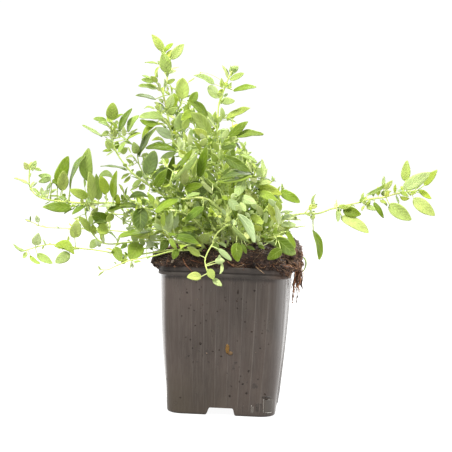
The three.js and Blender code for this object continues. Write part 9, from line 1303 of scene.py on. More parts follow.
    ("f5",(-43.7,-36.1,135.7),(-45.4,-37.6,135.2),(-53.7,-45.1,133.9),5.5,(-.13,.13,.98),14,(.1,-.5,-.3),"M"),
    ("f5",(-49.2,-41.7,138.1),(-51.4,-40.4,139),(-59.2,-38.9,142.2),4.7,(.48,.14,.86),7,(.3,-.1,.2),"Y"),
    ("f5",(-49.2,-41.7,138.1),(-48.6,-44.1,138.4),(-47.9,-51.2,139.5),3.7,(-.2,.23,.95),12,(-.1,.2,0),"M"),
    ("f5",(-49.2,-41.7,138.1),(-48.8,-41.7,139.2),(-48.7,-44.6,142.5),2,(.79,.48,.38),14,(0,0,0),"L"),
    ("f5",(-53.5,-45.4,139.5),(-53.3,-45.1,140.8),(-52.2,-43,144.5),2.1,(-.95,-.12,.3),13,(.1,-.1,-.2),"D"),
    ("f5",(-53.5,-45.4,139.5),(-54,-46.4,139.7),(-55.6,-48.9,142.2),2.1,(.84,.09,.53),11,(0,0,-.1),"P"),
    ("f5",(-53.5,-45.4,139.5),(-54.6,-44.6,138.7),(-59.3,-45.9,137),2.3,(-.38,.26,.89),14,(0,0,0),"L"),
    ("f6",(27.8,-8.9,117.4),(29.2,-11.1,117.6),(34.7,-17,121.6),5.3,(-.34,.4,.85),12,(-.1,-.6,-.4),"P"),
    ("f6",(27.8,-8.9,117.4),(29.6,-7.2,118.1),(36.7,-3,123.2),5.7,(-.42,-.44,.79),9,(-.1,0,.1),"M"),
    ("f6",(27.8,-8.9,117.4),(28.8,-9.1,115.7),(33,-10.6,115.5),2,(.36,.66,.66),14,(0,0,0),"Y"),
    ("f6",(27.8,-8.9,117.4),(27.5,-9.7,117.3),(28,-12.2,119.9),1.7,(-.15,.71,.69),14,(0,0,0),"L"),
    ("f6",(33.7,-10.8,121.1),(34.3,-8.9,123.2),(37.9,-7.4,129.9),4.2,(-.57,-.71,.41),7,(.1,-.3,-.2),"Y"),
    ("f6",(33.7,-10.8,121.1),(35.6,-11.7,119.9),(44,-14.8,117.9),4.7,(.17,.11,.98),10,(0,-.5,-.1),"P"),
    ("f6",(33.7,-10.8,121.1),(33.2,-11,121.9),(32.9,-10.8,124.9),1.4,(.99,-.12,.12),14,(0,0,0),"Y"),
    ("f6",(38.2,-12.2,123.8),(38.7,-12.7,124),(42,-16.3,128.7),3.1,(.85,.46,-.25),14,(0,0,0),"L"),
    ("f6",(38.2,-12.2,123.8),(38.5,-12.6,122.9),(43.5,-16.3,122.9),2.8,(.28,.38,.88),14,(0,0,0),"Y"),
    ("f6",(38.2,-12.2,123.8),(37.8,-11.4,124.1),(41.6,-10.4,131.6),3.9,(.76,-.58,-.3),14,(0,0,0),"L"),
    ("f7",(-34.9,-8.9,119.2),(-37.6,-7.7,120.8),(-47.5,-4.3,124.2),5.5,(.32,-.27,.91),10,(-.2,-.4,-.2),"Y"),
    ("f7",(-34.9,-8.9,119.2),(-34.7,-11.2,121.7),(-34.9,-18.6,128.3),4.7,(.06,.72,.7),5,(.2,0,.1),"M"),
    ("f7",(-34.9,-8.9,119.2),(-35.8,-8,119),(-40.7,-6.2,118.9),2.3,(-.22,-.6,.77),14,(0,0,0),"Y"),
    ("f7",(-41.3,-10.5,122.7),(-41.7,-10.3,125.6),(-46,-11.6,139.2),7.3,(.76,-.63,.17),12,(-.3,.1,-.5),"M"),
    ("f7",(-41.3,-10.5,122.7),(-44.2,-12.4,121.6),(-55.9,-19.1,116.8),6.7,(-.44,.34,.83),6,(-.1,-.5,-.2),"M"),
    ("f7",(-49.5,-12.6,126.4),(-51.6,-12,126.7),(-61.8,-8.9,127),4.9,(-.06,-.58,.81),13,(-.4,.9,-.5),"D"),
    ("f7",(-49.5,-12.6,126.4),(-49.7,-15.3,127.5),(-51.8,-25.4,130.4),5.2,(-.28,.41,.87),9,(-.1,-.2,0),"P"),
    ("f7",(-49.5,-12.6,126.4),(-49.6,-13.2,127.7),(-53.8,-11.9,131.4),2.6,(.66,.45,.6),14,(0,0,0),"L"),
    ("f7",(-49.5,-12.6,126.4),(-50.1,-10.3,125.8),(-52.8,-8.3,125.5),1.5,(-.14,0,.99),14,(0,0,0),"L"),
    ("f7",(-56.2,-14.3,128.7),(-57.9,-13.8,131.4),(-64.3,-12.7,137.4),4.4,(.31,-.85,.42),5,(-.1,0,-.2),"L"),
    ("f7",(-64.9,-16.5,130.9),(-65.5,-16.8,129.5),(-68,-19.7,122.5),3.8,(-.94,.11,.33),16,(.4,-.2,-.1),"M"),
    ("f7",(-64.9,-16.5,130.9),(-65.5,-18.2,132.1),(-69.6,-23,135.7),3.4,(.52,.29,.8),5,(.1,.2,-.3),"M"),
    ("f7",(-64.9,-16.5,130.9),(-65.7,-14.9,130),(-68.6,-14.1,127.9),1.6,(-.41,.53,.74),14,(0,0,0),"L"),
    ("f7",(-70.1,-17.9,131.8),(-71,-18,133.8),(-75.4,-18.4,138.7),3.7,(.78,-.15,.6),12,(.2,-.2,-.3),"D"),
    ("f7",(-70.1,-17.9,131.8),(-70.7,-16.9,130.8),(-73.7,-15.3,128.4),1.9,(-.49,.32,.81),14,(0,0,0),"M"),
    ("f7",(-78,-19.9,132.4),(-79.1,-18.5,132),(-84.7,-15.6,130.5),3.2,(-.4,-.54,.74),6,(.4,-.1,-.2),"Y"),
    ("f7",(-78,-19.9,132.4),(-78.2,-22.3,133.2),(-81.8,-26.8,135),3.3,(.14,.39,.91),12,(.6,0,-.1),"D"),
    ("f7",(-78,-19.9,132.4),(-78.1,-20.8,131.4),(-79.6,-24.2,128.2),2.2,(-.34,-.56,.76),14,(0,0,0),"Y"),
    ("f7",(-80.8,-20.6,132.5),(-81.4,-19.1,132.1),(-89,-17.9,128.8),3.9,(-.39,-.64,.66),14,(0,0,0),"Y"),
    ("f7",(-80.8,-20.6,132.5),(-81.1,-21.4,132.6),(-83.9,-25.2,132.1),2.2,(-.8,.56,.2),14,(0,0,0),"M"),
    ("f8",(26.8,6.8,114.9),(29.3,4.2,115.7),(37.6,-2.6,116.1),5.1,(-.53,-.33,.78),12,(0,.1,-.1),"D"),
    ("f8",(26.8,6.8,114.9),(28,10.8,115.7),(33,20.6,116.8),5.9,(-.04,-.33,.94),6,(-.2,-.2,-.3),"D"),
    ("f8",(26.8,6.8,114.9),(27.8,6.2,115.7),(31.1,5.3,115.6),1.5,(-.13,-.49,.86),14,(0,0,0),"M"),
    ("f8",(26.8,6.8,114.9),(26.6,5.4,115.7),(27.1,3,120.8),2.9,(-1,-.06,.05),14,(0,0,0),"L"),
    ("f8",(26.8,6.8,114.9),(26.4,7.6,115.7),(26.3,12.2,117.8),2.6,(.82,-.34,.47),14,(0,0,0),"M"),
    ("f8",(34.7,8.8,119.1),(36,9.3,117.7),(43.3,11.8,114.7),4.5,(.32,-.13,.94),12,(-.3,-.2,-.2),"Y"),
    ("f8",(38.1,9.7,120.8),(38.2,9.7,121),(41.3,11.9,126.7),3.1,(.89,-.11,-.44),14,(0,0,0),"L"),
    ("l1",(-10.1,39.7,116.6),(-8.6,41.1,117.3),(-2.6,50.2,120.8),6.5,(-.13,-.35,.93),7,(-.8,-.2,-.1),"M"),
    ("l1",(-10.1,39.7,116.6),(-13,40.6,117.4),(-22.8,45.2,118.6),6,(.26,.03,.97),8,(-.4,.4,0),"M"),
    ("l1",(-12,46.1,118.6),(-11.4,47.7,120.8),(-9.6,55.2,128),5.7,(.22,-.7,.68),6,(.5,-.2,-.1),"M"),
    ("l1",(-12,46.1,118.6),(-14.5,47.9,117.4),(-22.3,55.7,114.5),6.2,(.03,.21,.98),10,(-.1,-.1,.4),"D"),
    ("l1",(-12,46.1,118.6),(-12.9,46.3,118.8),(-15.3,48.2,118.9),1.5,(.04,.02,1),14,(0,0,0),"P"),
    ("l1",(-14,52.5,120),(-13.6,54.4,120.7),(-15.3,64.4,121.9),6.1,(-.13,-.21,.97),13,(.5,-1,.1),"M"),
    ("l1",(-15.9,59.1,120.6),(-15.9,59.6,119.7),(-15.8,65.3,117.2),3.6,(.27,.24,.93),10,(0,-.1,-.3),"M"),
    ("l1",(-17.4,64,120.5),(-19.2,64.1,120.5),(-24.2,65.3,119.8),2.8,(.01,.15,.99),10,(-.3,.1,0),"M"),
    ("l1",(-17.4,64,120.5),(-17.7,64.5,119.4),(-19.2,68.3,116.1),2.6,(-.52,.39,.76),14,(0,0,0),"Y"),
    ("l1",(-19.5,70.9,119.5),(-19.9,71.5,120.9),(-21,76.4,125.8),4.4,(.59,-.52,.63),6,(-.3,-.2,-.2),"M"),
    ("l1",(-19.5,70.9,119.5),(-19.3,72.1,117.7),(-19.4,77.5,112),4.4,(-.74,.4,.54),12,(.1,.1,-.2),"M"),
    ("l1",(-20.8,75.3,118.4),(-20.7,76.7,118),(-17.2,82.9,115.6),3.9,(-.9,.44,.05),14,(0,0,0),"L"),
    ("l1",(-20.8,75.3,118.4),(-21.4,72.9,118.8),(-26.5,76.1,118.5),2.9,(.58,.78,-.25),14,(0,0,0),"L"),
    ("l1",(-20.8,75.3,118.4),(-20.8,74.5,117.8),(-23.2,78.9,111.9),3.8,(-.01,.75,.66),14,(0,0,0),"Y"),
    ("l1",(-20.8,75.3,118.4),(-20.3,74.8,119.3),(-19.2,79.6,121.4),2.8,(-.59,.37,-.72),14,(0,0,0),"L"),
    ("l1",(-20.8,75.3,118.4),(-21.6,77.7,118.1),(-24.2,79.5,116.7),1.6,(.57,.8,.19),14,(0,0,0),"M"),
    ("l2",(18.2,37.9,116.4),(17.6,40.2,117.1),(17.5,47.9,121.8),4.8,(.29,-.52,.81),16,(.1,.2,.5),"L"),
    ("l2",(18.2,37.9,116.4),(18.8,38.2,117.1),(23.2,39.3,121),2.7,(-.42,-.62,.66),14,(0,0,0),"L"),
    ("l2",(18.2,37.9,116.4),(19.2,38.2,115.3),(22.7,40.8,113.7),2.1,(.33,.11,.94),14,(0,0,0),"M"),
    ("l2",(22.2,45.1,118.3),(23.4,46.6,121),(28.7,53.4,129.2),6.1,(-.66,-.35,.66),13,(-.5,.1,.1),"L"),
    ("l2",(22.2,45.1,118.3),(25,46.8,116.6),(34.4,51.8,112.7),6.1,(.28,0,.96),14,(-.4,.1,.4),"L"),
    ("l2",(22.2,45.1,118.3),(23.2,44.9,118.9),(25.7,44.9,120.9),1.4,(-.57,.36,.74),14,(0,0,0),"Y"),
    ("l2",(26.2,52.2,119.4),(25.5,53.8,119.5),(25.4,63.2,121.7),5.9,(-.31,-.28,.91),15,(.2,.3,.8),"D"),
    ("l2",(28.6,56.5,119.7),(29.3,57.1,123.4),(32.2,58.6,131.6),5,(-.71,-.62,.35),16,(-.6,-.3,0),"M"),
    ("l2",(28.6,56.5,119.7),(30.2,57.4,118.2),(37.8,63.5,112.6),5.2,(.09,.45,.89),14,(.2,-.2,.3),"L"),
    ("l2",(28.6,56.5,119.7),(29.9,56.2,119.8),(36.3,57,120.4),2.9,(-.08,-.17,.98),14,(0,0,0),"L"),
    ("l2",(31.9,62.1,119.4),(34.2,62.8,119.5),(41.4,66.8,118.9),3.8,(-.14,.16,.98),12,(0,0,0),"L"),
    ("l2",(31.9,62.1,119.4),(30.9,64.3,119.6),(29.7,70.1,121),3.9,(-.77,-.3,.56),11,(-.4,0,.3),"P"),
    ("l2",(31.9,62.1,119.4),(31.6,62.2,120.6),(31.3,65.6,124.1),2.4,(-.02,-.66,.75),14,(0,0,0),"Y"),
    ("l2",(31.9,62.1,119.4),(32.6,62.2,118.4),(35.1,64.3,116.2),1.8,(.46,.28,.84),14,(0,0,0),"M"),
    ("l2",(34.6,66.9,118.6),(34.2,66.2,120),(34.3,70.5,122.5),2.7,(.72,-.37,.59),16,(0,.2,-.1),"M"),
    ("l2",(34.6,66.9,118.6),(35.7,66.7,117),(38.9,68.7,113.1),2.6,(.43,.51,.75),13,(-.1,.2,.3),"L"),
    ("l2",(35.9,69.2,118.1),(36.6,68.1,118.5),(43,71.3,120.3),3.5,(-.32,.79,-.52),14,(0,0,0),"L"),
    ("l2",(35.9,69.2,118.1),(36.1,70.1,118.1),(35.7,77.1,118.8),3.8,(.89,.08,-.44),14,(0,0,0),"L"),
    ("l2",(35.9,69.2,118.1),(36.6,70.1,118.1),(39.7,74.3,120),2.8,(-.04,.37,-.93),14,(0,0,0),"L"),
    ("l2",(35.9,69.2,118.1),(35,68.9,118),(34.1,72.4,116.9),2,(.97,.24,.06),14,(0,0,0),"M"),
    ("l3",(-34.4,25.1,116.2),(-34.1,27.6,117.9),(-35.3,40.1,122.2),7.4,(-.71,-.34,.61),14,(-.5,.2,-.3),"L"),
    ("l3",(-34.4,25.1,116.2),(-38.2,24.7,117.3),(-50.5,25,118.8),6.7,(.21,.36,.91),6,(.1,0,-.2),"L"),
    ("l3",(-34.4,25.1,116.2),(-35,24.5,117.7),(-37.8,24.3,119.9),1.6,(.62,.1,.78),14,(0,0,0),"M"),
    ("l3",(-42.2,30.5,118.2),(-43.2,31.2,120.7),(-48.9,35.6,127.8),5.3,(.44,-.63,.64),6,(-.1,.1,.1),"M"),
    ("l3",(-42.2,30.5,118.2),(-43.6,32.1,117.2),(-52.2,41.2,112.3),6.2,(-.11,.26,.96),10,(.1,-.2,0),"D"),
    ("l3",(-46.9,33.7,119.1),(-47,36.3,120.2),(-49.2,45.2,123.3),5.2,(.32,-.31,.89),14,(.2,.2,-.3),"P"),
    ("l3",(-46.9,33.7,119.1),(-49.2,32.4,119.7),(-60.8,28.1,121.3),6,(.25,-.05,.97),11,(-.1,-.5,-.1),"M"),
    ("l3",(-53.1,38.2,119.8),(-54.8,39.1,121.6),(-61.2,43.4,124.9),5.2,(.56,.02,.83),16,(-.2,.1,-.5),"M"),
    ("l3",(-53.1,38.2,119.8),(-54.7,38.8,118.9),(-63.1,42,112.4),5.3,(-.55,-.04,.83),11,(.8,.2,-.2),"Y"),
    ("l3",(-53.1,38.2,119.8),(-53.1,36.6,121.6),(-56.5,38.5,125.7),2.6,(.38,-.68,.63),14,(0,0,0),"M"),
    ("l3",(-53.1,38.2,119.8),(-52.3,40.4,120),(-52.8,44.1,122),2.2,(-.32,-.42,.85),14,(0,0,0),"M"),
    ("l3",(-53.1,38.2,119.8),(-52.9,38.2,118.2),(-55.3,40.4,113.7),2.5,(-.58,.57,.58),14,(0,0,0),"L"),
    ("l3",(-59.4,42.3,119.7),(-59.4,44.6,119.2),(-61.6,52.6,117.4),4.4,(-.07,.08,.99),6,(.1,-.1,.9),"L"),
    ("l3",(-59.4,42.3,119.7),(-62.2,41.4,120.7),(-71.1,39.8,122.2),4.9,(.25,.09,.96),5,(.2,.3,.4),"Y"),
    ("l3",(-59.4,42.3,119.7),(-60,43.9,120.6),(-63.4,46.8,124.7),2.9,(-.25,-.84,.48),14,(0,0,0),"L"),
    ("l3",(-59.4,42.3,119.7),(-60.1,41.9,118.8),(-64.2,41.9,115.5),2.4,(-.59,.38,.71),14,(0,0,0),"L"),
    ("l3",(-66.2,46.4,118.8),(-67.1,46.5,120.3),(-71,47.6,124.1),3.1,(.66,-.31,.68),12,(.1,0,.2),"M"),
    ("l3",(-66.2,46.4,118.8),(-66.4,46.8,117.3),(-69,50.1,113),2.8,(-.24,.58,.78),8,(.2,-.3,0),"D"),
    ("l3",(-68.8,48,118.3),(-68.7,50.5,118.3),(-71.8,56.4,119.9),3.6,(-.81,-.24,-.54),14,(0,0,0),"L"),
    ("l3",(-68.8,48,118.3),(-69.2,49.3,117.5),(-72.2,52.4,113.5),2.9,(-.72,.15,.68),14,(0,0,0),"Y"),
    ("l3",(-68.8,48,118.3),(-68.9,47.1,119.2),(-73,50,122),2.8,(-.43,.22,-.88),14,(0,0,0),"L"),
    ("l3",(-68.8,48,118.3),(-69.1,45.6,118.2),(-73.8,45.8,116.1),2.4,(-.1,.94,.31),14,(0,0,0),"M"),
    ("l4",(9.5,-52.3,117),(9.7,-52.6,115.6),(11.5,-54.8,108.3),3.4,(.81,.58,.03),13,(-.2,0,-.2),"M"),
    ("l5",(-15.5,-40.9,115.7),(-14.4,-42.4,117.5),(-10.2,-53.1,125.6),6.9,(.16,.69,.7),12,(-1,.3,-.3),"Y"),
    ("l5",(-15.5,-40.9,115.7),(-16.5,-41.7,116.3),(-21,-44.6,117.7),2.5,(-.08,.51,.86),14,(0,0,0),"M"),
    ("l5",(-18.7,-49.4,117.5),(-18,-50.1,117),(-14.3,-53.9,116.4),2.8,(-.31,-.31,.9),9,(0,0,-.1),"L"),
    ("l5",(-23.9,-63.2,117.4),(-24.3,-64.8,118),(-25.6,-72.1,116.7),3.5,(.05,-.08,1),14,(-.1,.1,0),"M"),
    ("T",(-6.5,2.9,117.3),(-4.5,2.2,118.9),(-1,.6,122.6),2.7,(-.66,.2,.72),16,(.2,.4,-.1),"P"),
    ("T",(-6.5,2.9,117.3),(-7.3,1.3,118.3),(-8.6,-.8,121),2,(.78,.27,.57),18,(.1,-.2,0),"L"),
    ("T",(-8.4,2.6,123),(-8,4,123.6),(-7.1,7.4,126.1),2,(-.22,-.53,.82),14,(-.3,.2,-.1),"Y"),
    ("T",(-10.5,1.8,128.5),(-9.1,1.7,130.2),(-6,1.1,136.6),3.4,(-.7,-.65,.28),10,(0,-.1,.1),"M"),
    ("T",(-10.5,1.8,128.5),(-11.7,1.5,128.5),(-17,-.6,132.6),4.1,(.12,.8,.58),11,(-.2,.4,.2),"Y"),
    ("T",(-12.7,-.6,134.7),(-12.9,-2.8,134.6),(-13.4,-6.9,135),1.9,(-.28,.14,.95),19,(0,.1,.1),"D"),
    ("T",(-14,-3,140),(-12.8,-3.4,141.3),(-10.5,-5.2,146.5),2.9,(-.77,.42,.48),16,(.5,.2,.3),"L"),
    ("T",(-15.8,-4.4,147.6),(-17.6,-3.1,148.3),(-22.6,.4,150.6),3.3,(.62,.45,.64),11,(.3,-.2,-.3),"L"),
    ("T",(-15.8,-4.4,147.6),(-15.2,-3.1,149.1),(-14,.2,154.7),3,(.55,-.76,.33),11,(0,.1,.3),"Y"),
    ("T",(-17.5,-5.6,153.3),(-18.7,-6.5,153.5),(-23.7,-10.5,156.6),4.3,(.32,.29,.9),10,(-.2,-.3,-.6),"Y"),
    ("T",(-21.9,-9,163.9),(-22.2,-7.6,166.7),(-23.2,-5.8,171.7),2.6,(-.28,-.92,.28),14,(-.3,.1,-.4),"L"),
    ("T",(-21.9,-9,163.9),(-21.3,-10.2,164.3),(-19.5,-15.9,168.3),3.9,(-.04,.56,.83),7,(0,-.1,-.9),"M"),
    ("T",(-25.8,-12.2,170.1),(-25.7,-11.2,171.4),(-25.9,-7.9,177.1),4.1,(-.55,-.73,.4),10,(-.1,-.3,.2),"P"),
    ("T",(-25.8,-12.2,170.1),(-24.7,-14.7,170.8),(-23.4,-18.7,172.3),2.2,(-.73,.02,.69),11,(-.1,-.2,-.2),"L"),
    ("T",(-25.8,-12.2,170.1),(-27.6,-11.9,170.1),(-33.9,-11.7,171.5),3.6,(.22,.16,.96),11,(.2,.1,0),"L"),
    ("T",(-29.4,-14.4,174.3),(-28.5,-14.3,176.3),(-26.9,-14.3,181.1),2.8,(-.94,.09,.32),8,(-.1,.4,.2),"P"),
    ("T",(-29.4,-14.4,174.3),(-31.9,-15.1,173.7),(-37.9,-16.8,172.5),2.8,(-.27,.36,.89),11,(.1,-.1,-.3),"L"),
    ("T",(-35.1,-15.4,178),(-35.6,-16.3,178.3),(-39.5,-19,180.8),2.7,(.25,.46,.85),15,(-.1,0,-.2),"Y"),
    ("T",(-35.1,-15.4,178),(-37.6,-14.8,177.7),(-43.1,-13.4,177.6),2.5,(-.04,-.1,.99),14,(.3,-.2,.2),"M"),
    ("T",(-35.1,-15.4,178),(-35.7,-13.9,179.2),(-38.6,-10.5,183.5),2.8,(-.13,-.82,.56),12,(-.5,.2,.1),"P"),
    ("T",(-40.6,-13.4,188.2),(-40.4,-11.1,190.2),(-40.4,-7.7,193.5),2.8,(-.04,-.71,.71),9,(-.1,0,.3),"D"),
    ("T",(-40.6,-13.4,188.2),(-39.5,-13.7,189.4),(-37.5,-14.2,193.5),2.2,(-.89,.01,.45),15,(.3,0,.2),"Y"),
    ("T",(-42.1,-12.4,193.9),(-43.9,-11,194.6),(-48.5,-7.1,197.4),3.9,(.39,-.2,.9),16,(.2,-.4,.1),"L"),
    ("T",(-42.1,-12.4,193.9),(-41,-12.1,194.6),(-38.6,-11.4,197),1.8,(-.12,-.92,.37),15,(0,-.1,-.1),"L"),
    ("T",(-43.9,-11.1,201.6),(-45.8,-11.7,202.1),(-50.7,-13.3,204),2.6,(.19,.46,.87),19,(.1,0,-.4),"M"),
    ("T",(-43.9,-11.1,201.6),(-43.7,-9.4,202.9),(-43.7,-7,205.8),2,(-.4,-.7,.6),18,(0,0,-.1),"Y"),
    ("T",(-47.1,-8.7,214.9),(-49.4,-8.7,216.4),(-52.3,-8.6,219.2),1.9,(.68,-.12,.72),14,(-.1,.2,.1),"M"),
    ("T",(-45.9,-5.3,233.1),(-46.9,-6.2,234.4),(-49.9,-8.6,239.2),3.3,(.55,.56,.62),18,(-.3,-.2,.4),"Y"),
    ("T",(-45.9,-5.3,233.1),(-44.8,-2.9,235.1),(-43.6,-.2,237.6),2,(-.6,-.37,.7),12,(-.1,-.3,-.2),"L"),
    ("TS",(-48.7,-16.9,218.4),(-51,-16.7,219.1),(-57.6,-16.4,221.3),3.7,(.31,-.17,.94),19,(0,-.1,-.1),"P"),
    ("TB",(-45.5,-21.1,197.8),(-46.5,-20.2,200.4),(-48.1,-19,204.6),2.4,(.66,.75,.05),14,(.2,.1,0),"P"),
    ("G",(.7,10.9,118.5),(.4,9.7,118.7),(-.9,5.3,122.6),3.7,(-.35,.68,.64),11,(.2,-.2,-.6),"Y"),
    ("G",(.7,10.9,118.5),(1.2,13.3,120.9),(2.2,17.8,126),3.3,(.46,-.71,.54),9,(.1,-.1,-.1),"M"),
    ("G",(-.2,9.8,124.3),(0,7.3,126.1),(.2,3.3,129.8),2.6,(-.62,.53,.59),6,(0,-.2,.1),"L"),
    ("G",(-.2,9.8,124.3),(-2.7,11,125.4),(-7.8,13.4,128),2.9,(.38,-.19,.9),14,(0,.1,-.2),"M"),
    ("G",(-1.3,9.8,130.2),(-.2,9,131.1),(1.7,7.7,133.4),2.1,(-.54,.47,.7),7,(0,-.2,0),"P"),
    ("G",(-3,9.3,141.1),(-.8,6.9,142.7),(2.5,3,145.3),2.7,(-.21,.43,.88),17,(.2,-.1,0),"D"),
    ("G",(-3.8,8.9,147),(-3.3,10.5,148.2),(-2.3,14.1,151.7),3.3,(.2,-.72,.67),19,(-.1,0,.1),"L"),
    ("G",(-3.8,8.9,147),(-2.8,8.4,147.7),(0,6.8,152.9),3.1,(-.82,.23,.52),17,(0,0,-.3),"L"),
    ("G",(-3.8,8.9,147),(-6.3,9.5,149.4),(-9.8,10.2,154.6),2.8,(.65,-.56,.51),16,(0,.1,.1),"Y"),
    ("G",(-4.6,8.4,151.9),(-2.5,6.5,153.9),(.7,3.3,157.6),2.9,(-.23,.62,.75),9,(0,.4,.2),"L"),
    ("G",(-5.4,8,156.8),(-4.3,7.5,158.2),(-2.3,6.4,162.7),2.8,(-.77,.45,.45),10,(.2,-.2,.1),"Y"),
    ("G",(-6.6,7.4,163.7),(-8.9,9.4,165.5),(-12.7,12.5,169.8),3.6,(.74,-.02,.67),15,(-.3,0,0),"Y"),
    ("G",(-6.6,7.4,163.7),(-5.7,7.4,164.7),(-3.8,7.3,169.6),2.4,(-.9,.27,.35),16,(.3,.1,.1),"Y"),
    ("G",(-6.6,7.4,163.7),(-4.8,5.2,165.3),(-2.5,2.4,168),2.3,(-.47,.38,.8),19,(-.4,.3,0),"Y"),
    ("G",(-7.6,7,168.6),(-6.5,6,170.6),(-4.6,4,176.2),3.1,(-.79,-.61,.04),15,(.3,-.5,.2),"M"),
    ("G",(-7.6,7,168.6),(-9.7,6.2,169.4),(-13.2,4.8,171.7),2.5,(.43,.3,.85),14,(-.2,-.3,-.2),"L"),
    ("G",(-8.9,6.5,174.4),(-11.1,7.1,175.5),(-16.8,8.6,178.7),3.8,(.52,.28,.81),16,(.3,-.4,.5),"M"),
    ("G",(-9.8,6,180.3),(-8.9,6.2,181.3),(-6.5,6.7,186.6),3.5,(-.65,-.67,.36),16,(-.3,.2,.2),"M"),
    ("G",(-9.8,6,180.3),(-11.4,5.5,180.9),(-16.5,3.7,183.8),3.5,(.41,.29,.87),7,(.3,.2,.4),"D"),
    ("G",(-9.8,6,180.3),(-7.8,6.5,182.6),(-4.9,7.3,186.8),2.7,(-.71,-.44,.55),6,(-.1,.3,-.2),"M"),
    ("G",(-10.5,5.5,186.3),(-12.9,5.3,188.8),(-16.2,5,192.8),3.1,(.76,-.24,.61),11,(-.1,.1,-.4),"D"),
    ("G",(-10.5,5.5,186.3),(-8.6,5.4,187.6),(-3.3,5.1,191.5),4,(-.44,.65,.62),19,(0,.3,.1),"M"),
    ("G",(-10.5,5.5,186.3),(-10.3,4.2,186.7),(-9.6,-1.5,190.6),3.7,(.12,.57,.81),7,(-.3,-.3,.5),"P"),
    ("G",(-11,5.1,193.2),(-9.8,3.6,195.7),(-7.9,1.1,200.5),3.8,(-.35,.77,.54),14,(-.3,-.1,.1),"P"),
    ("G",(-11,5.1,193.2),(-12.3,5.1,193.7),(-19,5.2,197.3),4.2,(.42,.49,.76),17,(.7,1.1,.4),"D"),
    ("G",(-9.3,4.4,211),(-9.2,6,212.9),(-8.4,9.6,219),3.6,(.36,-.82,.44),13,(-.5,-.4,.2),"L"),
    ("S2",(-11,13.4,118),(-13.5,15.1,119.5),(-16.7,17.1,122.3),2.7,(.4,-.47,.79),19,(.1,-.3,-.1),"M"),
    ("S2",(-11,13.4,118),(-10.2,14.5,118.8),(-8.6,17.2,121.8),2.4,(-.81,-.14,.57),15,(.1,.1,-.2),"M"),
    ("S2",(-11,13.4,118),(-12.8,11.4,120.3),(-15.4,9,125),3,(.27,.78,.56),14,(-.3,-.3,.1),"D"),
    ("S2",(-11,13.4,118),(-12.4,15.5,120.2),(-15.4,18.7,125.1),3.3,(.34,-.68,.65),15,(-.5,.1,.3),"Y"),
    ("S2",(-12.6,13.3,122.7),(-14.5,12.8,123.2),(-20.8,11.1,126.2),3.5,(.39,.17,.91),12,(.5,-.3,.7),"Y"),
    ("S2",(-12.6,13.3,122.7),(-11.7,13.7,123.6),(-9.7,14.6,128.8),3.1,(-.92,-.1,.37),12,(.1,0,.2),"L"),
    ("S2",(-17.5,12.7,136.9),(-19.5,13.4,138.3),(-23.4,14.3,142.8),3,(.58,-.54,.61),6,(-.1,-.8,-.3),"M"),
    ("S2",(-17.5,12.7,136.9),(-16.4,13.2,137.8),(-12.6,14.9,142.6),3.3,(-.8,.05,.6),9,(-.1,-.1,0),"D"),
    ("S2",(-20.2,11.8,144.3),(-21.5,10.1,144.8),(-24.1,6.8,146),2.1,(.45,-.02,.89),6,(-.1,0,0),"D"),
    ("S2",(-22.2,10.9,149.9),(-23.1,7.7,151.1),(-25,1.9,154.4),3.5,(.26,.41,.87),12,(.1,.1,.2),"Y"),
    ("S2",(-24.2,9.8,155.5),(-27.1,10.2,156.2),(-31.7,10.8,158.5),2.8,(.4,-.23,.89),8,(.2,-.4,.4),"L"),
    ("S2",(-24.2,9.8,155.5),(-24.7,11.3,158.5),(-25.3,12.4,161.5),1.8,(.97,.18,.13),7,(-.3,.2,0),"L"),
    ("S2",(-25.5,9,159.2),(-27.4,6.7,160.4),(-30.5,3.1,163.1),3.1,(-.04,.62,.79),6,(-.1,-.2,-.2),"D"),
    ("S2",(-27.9,7.9,165.6),(-27.6,9.4,168.2),(-27.4,11.5,173.1),3,(.58,-.76,.3),6,(.1,0,.1),"L"),
    ("S2",(-29.7,7.2,170.3),(-30.7,8.4,171),(-33.5,11.1,174.2),2.1,(.69,-.13,.71),17,(.3,-.2,-.1),"L"),
    ("S2",(-32.2,6.3,176.8),(-32.4,8.1,178.1),(-33.4,12.8,181.9),3.5,(.15,-.6,.79),9,(.1,-.1,-.6),"L"),
    ("S2",(-34.8,5.2,184.2),(-34.4,6.2,186.2),(-34,7.6,190.3),2.4,(.37,-.89,.26),9,(.1,-.2,-.1),"D"),
    ("S2",(-34.8,5.2,184.2),(-33.9,3.9,186.2),(-32.8,1.7,190),2.3,(-.78,.4,.48),10,(-.2,0,-.3),"D"),
    ("S2",(-34.8,5.2,184.2),(-35.9,3.9,184.7),(-40.1,-.9,187.6),4.2,(.36,.24,.9),16,(.3,-.2,.2),"M"),
    ("S2",(-37.1,3.8,191.8),(-36.6,4.2,192.4),(-35.5,5.3,198.2),3.8,(-.67,-.7,.27),6,(-.5,-.1,.3),"L"),
    ("S2",(-37.1,3.8,191.8),(-37.3,1.8,193),(-38.2,-3.3,196.3),3.9,(-.18,.56,.81),11,(0,-.4,.1),"Y"),
    ("S2",(-37.1,3.8,191.8),(-37.9,4.3,192.3),(-41.3,5.9,195.7),2.5,(.67,-.14,.73),15,(.2,-.3,-.4),"Y"),
    ("S2",(-38.4,2.6,198.5),(-40.1,1,200.8),(-41.7,-.5,203.3),1.9,(.85,-.03,.53),16,(0,0,.2),"M"),
    ("S2",(-38.4,2.6,198.5),(-37.1,3.6,199.7),(-35.3,5,201.7),1.8,(-.66,-.17,.73),9,(-.1,.2,-.1),"L"),
    ("S2",(-37.6,1.6,204.2),(-37.9,-.9,205.1),(-38.5,-6,207.4),2.9,(.56,.29,.78),18,(.3,.3,-.1),"L"),
    ("A",(-16,-5,114.7),(-18.8,-4.3,115.9),(-22,-4,118.2),1.7,(.54,-.25,.81),10,(.2,-.3,-.1),"P"),
